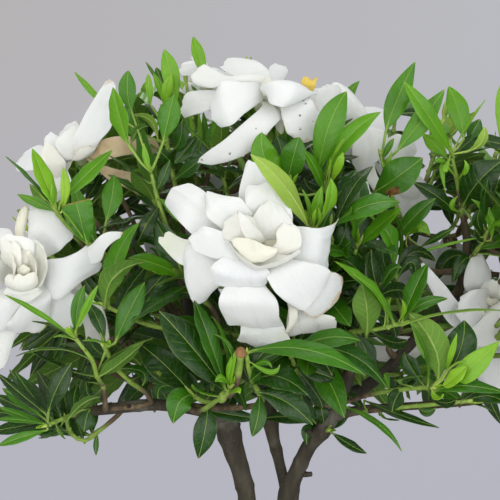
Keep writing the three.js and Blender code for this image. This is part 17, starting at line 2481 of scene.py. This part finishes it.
def soil():
    rng = np.random.default_rng(41)
    piece = Piece("potting_mix", ["soil"], "potting_soil", [SOIL])
    nr, seg = 40, 120
    ang = 2 * np.pi * np.arange(seg) / seg
    edge = INNER(104) - 0.5
    rad = edge * np.linspace(0, 1, nr) ** 0.8
    f = rng.uniform(0, 6.28, 12)
    x, y = rad[:, None] * np.cos(ang), rad[:, None] * np.sin(ang)
    h = 106.3 - 2.2 * (rad[:, None] / edge) ** 2.5 + 0 * x
    for i, (kx, ky, a) in enumerate([(0.09, 0.05, 0.6), (-0.06, 0.11, 0.5), (0.21, -0.14, 0.35), (0.17, 0.24, 0.3), (0.43, 0.31, 0.2), (-0.39, 0.47, 0.2), (0.8, -0.6, 0.12), (0.7, 0.9, 0.12)]):
        h = h + a * np.sin(kx * x + ky * y + f[i])
    h += rng.normal(0, 0.28, x.shape)
    h[0] = h[0].mean()
    v = [np.stack([x, y, h], axis=-1)]
    for z, rr in ((70, INNER(70) - 0.5), (8.6, INNER(8.6) - 0.5)):
        v.append(np.stack([rr * np.cos(ang), rr * np.sin(ang), z + 0 * ang], axis=-1)[None])
    v.append(np.stack([0 * ang, 0 * ang, 8.6 + 0 * ang], axis=-1)[None])
    v = np.concatenate(v)
    k = len(v)
    idx = np.arange(k * seg).reshape(k, seg)
    idx[0, :] = idx[0, 0]
    idx[-1, :] = idx[-1, 0]
    nxt = np.roll(idx, -1, axis=1)
    q = np.stack([idx[:-1], idx[1:], nxt[1:], nxt[:-1]], axis=-1).reshape(-1, 4)
    piece.put(v.reshape(-1, 3), q, 0, (0, 0, 0.5), (0, 0, 0))
    # crumbs, bark chips and white mineral grains
    ring = np.array([[np.cos(b), np.sin(b)] for b in np.linspace(0, 2 * np.pi, 6, endpoint=False)])
    ball = np.concatenate([[[0, 0, -1]], *[np.column_stack([ring * math.cos(e), np.full(6, math.sin(e))]) for e in (-0.6, 0.1, 0.75)], [[0, 0, 1]]])
    faces = [[0, 1 + (i + 1) % 6, 1 + i, 1 + i] for i in range(6)]
    for lvl in range(2):
        for i in range(6):
            a, b = 1 + lvl * 6 + i, 1 + lvl * 6 + (i + 1) % 6
            faces.append([a, b, b + 6, a + 6])
    faces += [[13 + i, 13 + (i + 1) % 6, 19, 19] for i in range(6)]
    for i in range(900):
        rr, b = (edge - 2.5) * math.sqrt(rng.uniform(0, 1)), rng.uniform(0, 2 * np.pi)
        kind = rng.choice([0, 1, 2], p=[0.68, 0.2, 0.12])
        size = rng.uniform(0.5, 1.5) * (1.25 if kind == 1 else 0.85)
        s = np.array([size * rng.uniform(0.8, 1.5), size * rng.uniform(0.7, 1.2), size * (0.45 if kind == 1 else 0.8)])
        pts = ball * s * rng.uniform(0.78, 1.18, (20, 1))
        c, sn = math.cos(b * 7), math.sin(b * 7)
        tilt = rng.normal(0, 0.3)
        rot = np.array([[c, -sn, 0], [sn, c, 0], [0, 0, 1]]) @ np.array([[1, 0, 0], [0, math.cos(tilt), -math.sin(tilt)], [0, math.sin(tilt), math.cos(tilt)]])
        px, py = rr * math.cos(b), rr * math.sin(b)
        z = 106.3 - 2.2 * (rr / edge) ** 2.5 + sum(a * math.sin(kx * px + ky * py + f[j]) for j, (kx, ky, a) in enumerate([(0.09, 0.05, 0.6), (-0.06, 0.11, 0.5), (0.21, -0.14, 0.35), (0.17, 0.24, 0.3)]))
        piece.put(pts @ rot.T + [px, py, z + s[2] * 0.25], faces, 0, (0, 0, rng.uniform()), (kind, 0, 0))
    return piece.make()


turned_pot()
soil()

# ---------------------------------------------------------------- wood
for name, path in WOOD.items():
    rng = np.random.default_rng(abs(sum(map(ord, name))) * 7 + 1)
    p = np.array(path, float)
    length = np.sum(np.linalg.norm(np.diff(p[:, :3], axis=0), axis=1))
    k = int(length / 2.6) + 8
    x = np.linspace(0, 1, k)
    q = spline(p, x)
    along = np.concatenate([[0], np.cumsum(np.linalg.norm(np.diff(q[:, :3], axis=0), axis=1))])
    trunk = name.startswith("trunk")
    # old leaf scars swell the stem at uneven steps
    for c in np.cumsum(rng.uniform(9, 21, 40)):
        if c < length:
            q[:, 3] *= 1 + rng.uniform(0.04, 0.13) * np.exp(-(((along - c) / rng.uniform(1.2, 2.4)) ** 2))
    if trunk and name != "trunk_middle":
        q[:, 3] *= 1 + 0.35 * np.exp(-((q[:, 2] - 104) / 7.0) ** 2)
    piece = Piece("bark_" + name, [name], "bark", [BARK])
    wood = np.clip((q[:, 3] - 1.3) / 1.6, 0, 1)
    tube(piece, q, 20 if trunk else 12, 0, np.stack([x, x * 0, x * 0 + 0.5], axis=-1), np.stack([along, x * 0, wood], axis=-1), 0.06, rng.uniform(0, 6))
    # stubs of twigs that were cut or died back
    for _ in range(5 if trunk else 2):
        i = rng.integers(int(k * 0.2), int(k * 0.8))
        if q[i, 2] < 118:
            continue
        t = unit(q[i + 1, :3] - q[i - 1, :3])
        s = unit(np.cross(t, rng.normal(0, 1, 3)))
        r = q[i, 3]
        r1 = r * rng.uniform(0.22, 0.34)
        ln = rng.uniform(1.5, 4.0)
        pts = [[*(q[i, :3] + s * r * 0.4), r1 * 1.5], [*(q[i, :3] + s * r * 0.95), r1 * 1.25], [*(q[i, :3] + s * (r + ln * 0.5) + t * ln * 0.2), r1], [*(q[i, :3] + s * (r + ln) + t * ln * 0.5), r1 * 0.92]]
        tube(piece, pts, 9, 0, (0.5, 0, 0.5), (0, 0, 1.0), 0.08, rng.uniform(0, 6))
    piece.make()

# ---------------------------------------------------------------- flowers
for name, (core, petals) in FLOWERS.items():
    rng = np.random.default_rng(sum(map(ord, name)) * 13 + 5)
    piece = Piece(name.replace("flower", "bloom"), [name], "petal", [PETAL])
    p = np.array(core, float)
    axis = unit(p[-1, :3] - p[0, :3])
    x = np.linspace(0, 1, 12)
    q = spline(p, x)
    q[:, 3] = np.interp(x, [0, 0.4, 0.7, 0.9, 1.0], [1.9, 2.3, 3.4, 3.6, 1.6])
    tube(piece, q, 14, 0, np.stack([x * 0.3, x * 0, x * 0 + 0.5], axis=-1), np.stack([0.5 + x * 0, x * 0, 0.7 * (1 - x)], axis=-1), 0.03, 1.0)
    for rows, tint in petals:
        petal(piece, rows, tint, rng, axis, name == "flower_front")
    piece.make()

for name, (stems, sepals) in STALKS.items():
    rng = np.random.default_rng(sum(map(ord, name)) * 17 + 3)
    piece = Piece(name.replace("stalk", "calyx"), [name], "calyx", [LEAF_TOP, LEAF_UNDER, CALYX_M, STALK])
    for path in stems:
        p = np.array(path, float)
        k = max(8, int(len(p) * 3))
        x = np.linspace(0, 1, k)
        q = spline(p, x)
        tube(piece, q, 12, 2, np.stack([x, x * 0, x * 0 + 0.5], axis=-1), np.stack([x * 20, x * 0, x * 0], axis=-1), 0.02, 2.0)
    for row in sepals:
        leaf(piece, row, rng, False)
    piece.make()

# ---------------------------------------------------------------- leafy shoots
for name, (fine, stems, leaves) in LEAFY.items():
    rng = np.random.default_rng(sum(map(ord, name)) * 19 + 11)
    piece = Piece(name.replace("leaves", "foliage"), [name], "leaf", [LEAF_TOP, LEAF_UNDER, TWIG, STALK])
    paths = [np.array(s, float) for s in stems]
    for p in paths:
        shoot_stem(piece, p, rng, fine)
        end, way = p[-1, :3], unit(p[-1, :3] - p[-2, :3])
        if p[-1, 3] > 2:
            # an old flower stalk, cut off
            r = p[-1, 3]
            cut = [[*(end + way * a), r * b] for a, b in ((-1.4, 0.9), (-0.7, 1.08), (0.1, 1.16), (0.45, 1.02), (0.6, 0.75))]
            tube(piece, cut, 12, 2, (0.5, 0, 0.5), (0, 0, 2.0), 0.05, 1.0)
        else:
            bud(piece, end, way, 4.5 if fine else 5.5, rng, 0.3)
    for row in leaves:
        leaf(piece, row, rng, fine)
        q = np.array(row[17:20], float)
        best = min(((np.min(np.linalg.norm(p[:, :3] - q, axis=1)), i) for i, p in enumerate(paths)))
        p = paths[best[1]]
        j = int(np.clip(np.argmin(np.linalg.norm(p[:, :3] - q, axis=1)), 1, len(p) - 2))
        if best[0] < 6 and rng.uniform() < 0.8:
            # the foot lies on the straight run between two stations of the stem
            collar(piece, q, p[j + 1, :3] - p[j - 1, :3], p[j, 3], rng)
    piece.make()

# ---------------------------------------------------------------- camera, light, floor
scene = bpy.context.scene
cam = bpy.data.cameras.new("camera")
cam.lens, cam.sensor_width = 112.0, 36.0
cam.clip_start, cam.clip_end = 0.02, 30.0
cam.dof.use_dof = False
eye = bpy.data.objects.new("camera", cam)
eye.location = (-0.017, -0.69829, 0.33383)
eye.rotation_euler = (math.radians(86.0), 0.0, 0.0)
scene.collection.objects.link(eye)
scene.camera = eye


def lamp(name, at, to, size, power, colour):
    d = bpy.data.lights.new(name, "AREA")
    d.shape, d.size, d.energy, d.color = "DISK", size, power, colour
    o = bpy.data.objects.new(name, d)
    o.location = at
    o.rotation_mode = "QUATERNION"
    o.rotation_quaternion = (Vector(to) - Vector(at)).to_track_quat("-Z", "Y")
    o.visible_camera = False
    scene.collection.objects.link(o)


MID = (0.0, 0.0, 0.26)
lamp("key", (-0.6, -1.45, 0.75), MID, 1.8, 15.0, (1.0, 0.99, 0.97))
lamp("fill", (1.0, -1.3, 0.35), MID, 1.4, 11.5, (0.96, 0.98, 1.0))
lamp("top", (0.05, 0.1, 1.7), MID, 1.3, 8.5, (1.0, 1.0, 1.0))
lamp("low", (-0.25, -1.2, 0.0), MID, 1.3, 5.5, (0.97, 1.0, 0.96))
lamp("rim", (-0.5, 1.35, 0.95), MID, 1.0, 8.0, (0.98, 0.99, 1.0))

world = bpy.data.worlds.new("studio")
scene.world = world
world.use_nodes = True
wt = world.node_tree
wt.nodes.clear()
wout, bg = wt.nodes.new("ShaderNodeOutputWorld"), wt.nodes.new("ShaderNodeBackground")
wt.links.new(bg.outputs[0], wout.inputs[0])
tex, sep = wt.nodes.new("ShaderNodeTexCoord"), wt.nodes.new("ShaderNodeSeparateXYZ")
wt.links.new(tex.outputs["Generated"], sep.inputs[0])
side = wt.nodes.new("ShaderNodeMapRange")
wt.links.new(sep.outputs[0], side.inputs[0])
side.inputs[1].default_value, side.inputs[2].default_value = -0.2, 0.2
blend = wt.nodes.new("ShaderNodeMix")
blend.data_type = "RGBA"
wt.links.new(side.outputs[0], blend.inputs[0])
blend.inputs[6].default_value = (*rgb(181, 178, 179), 1)
blend.inputs[7].default_value = (*rgb(186, 187, 193), 1)
low = wt.nodes.new("ShaderNodeMapRange")
wt.links.new(sep.outputs[2], low.inputs[0])
low.inputs[1].default_value, low.inputs[2].default_value = 0.06, -0.22
underlay = wt.nodes.new("ShaderNodeMix")
underlay.data_type = "RGBA"
wt.links.new(low.outputs[0], underlay.inputs[0])
wt.links.new(blend.outputs[2], underlay.inputs[6])
underlay.inputs[7].default_value = (*rgb(181, 182, 192), 1)
wt.links.new(underlay.outputs[2], bg.inputs[0])
bg.inputs[1].default_value = 1.0

scene.view_settings.view_transform = "Standard"
scene.view_settings.look = "None"
scene.view_settings.exposure = 0.0
scene.view_settings.gamma = 1.0

bpy.ops.mesh.primitive_circle_add(vertices=128, radius=0.62, fill_type="NGON", location=(0, 0, -0.0002))
floor = bpy.context.object
floor.name = "floor"
fm = Mat("floor", Roughness=0.85, Specular_IOR_Level=0.2)
fo = fm.place()
fsep = fm.tree.nodes.new("ShaderNodeVectorMath")
fsep.operation = "LENGTH"
fm.link(fo, fsep.inputs[0])
fm.set(Base_Color=fm.ramp(fm.noise(fo, 14, 4, 0.6), [(0.3, rgb(186, 186, 188)), (0.7, rgb(192, 192, 194))]), Normal=fm.bump(fm.noise(fo, 600, 3, 0.6), 0.1, 0.0005))
clear = fm.tree.nodes.new("ShaderNodeBsdfTransparent")
fmix = fm.tree.nodes.new("ShaderNodeMixShader")
fm.link(fm.span(fsep.outputs["Value"], 0.26, 0.6), fmix.inputs[0])
fm.link(fm.skin.outputs[0], fmix.inputs[1])
fm.link(clear.outputs[0], fmix.inputs[2])
fm.link(fmix.outputs[0], fm.out.inputs[0])
floor.data.materials.append(fm.mat)
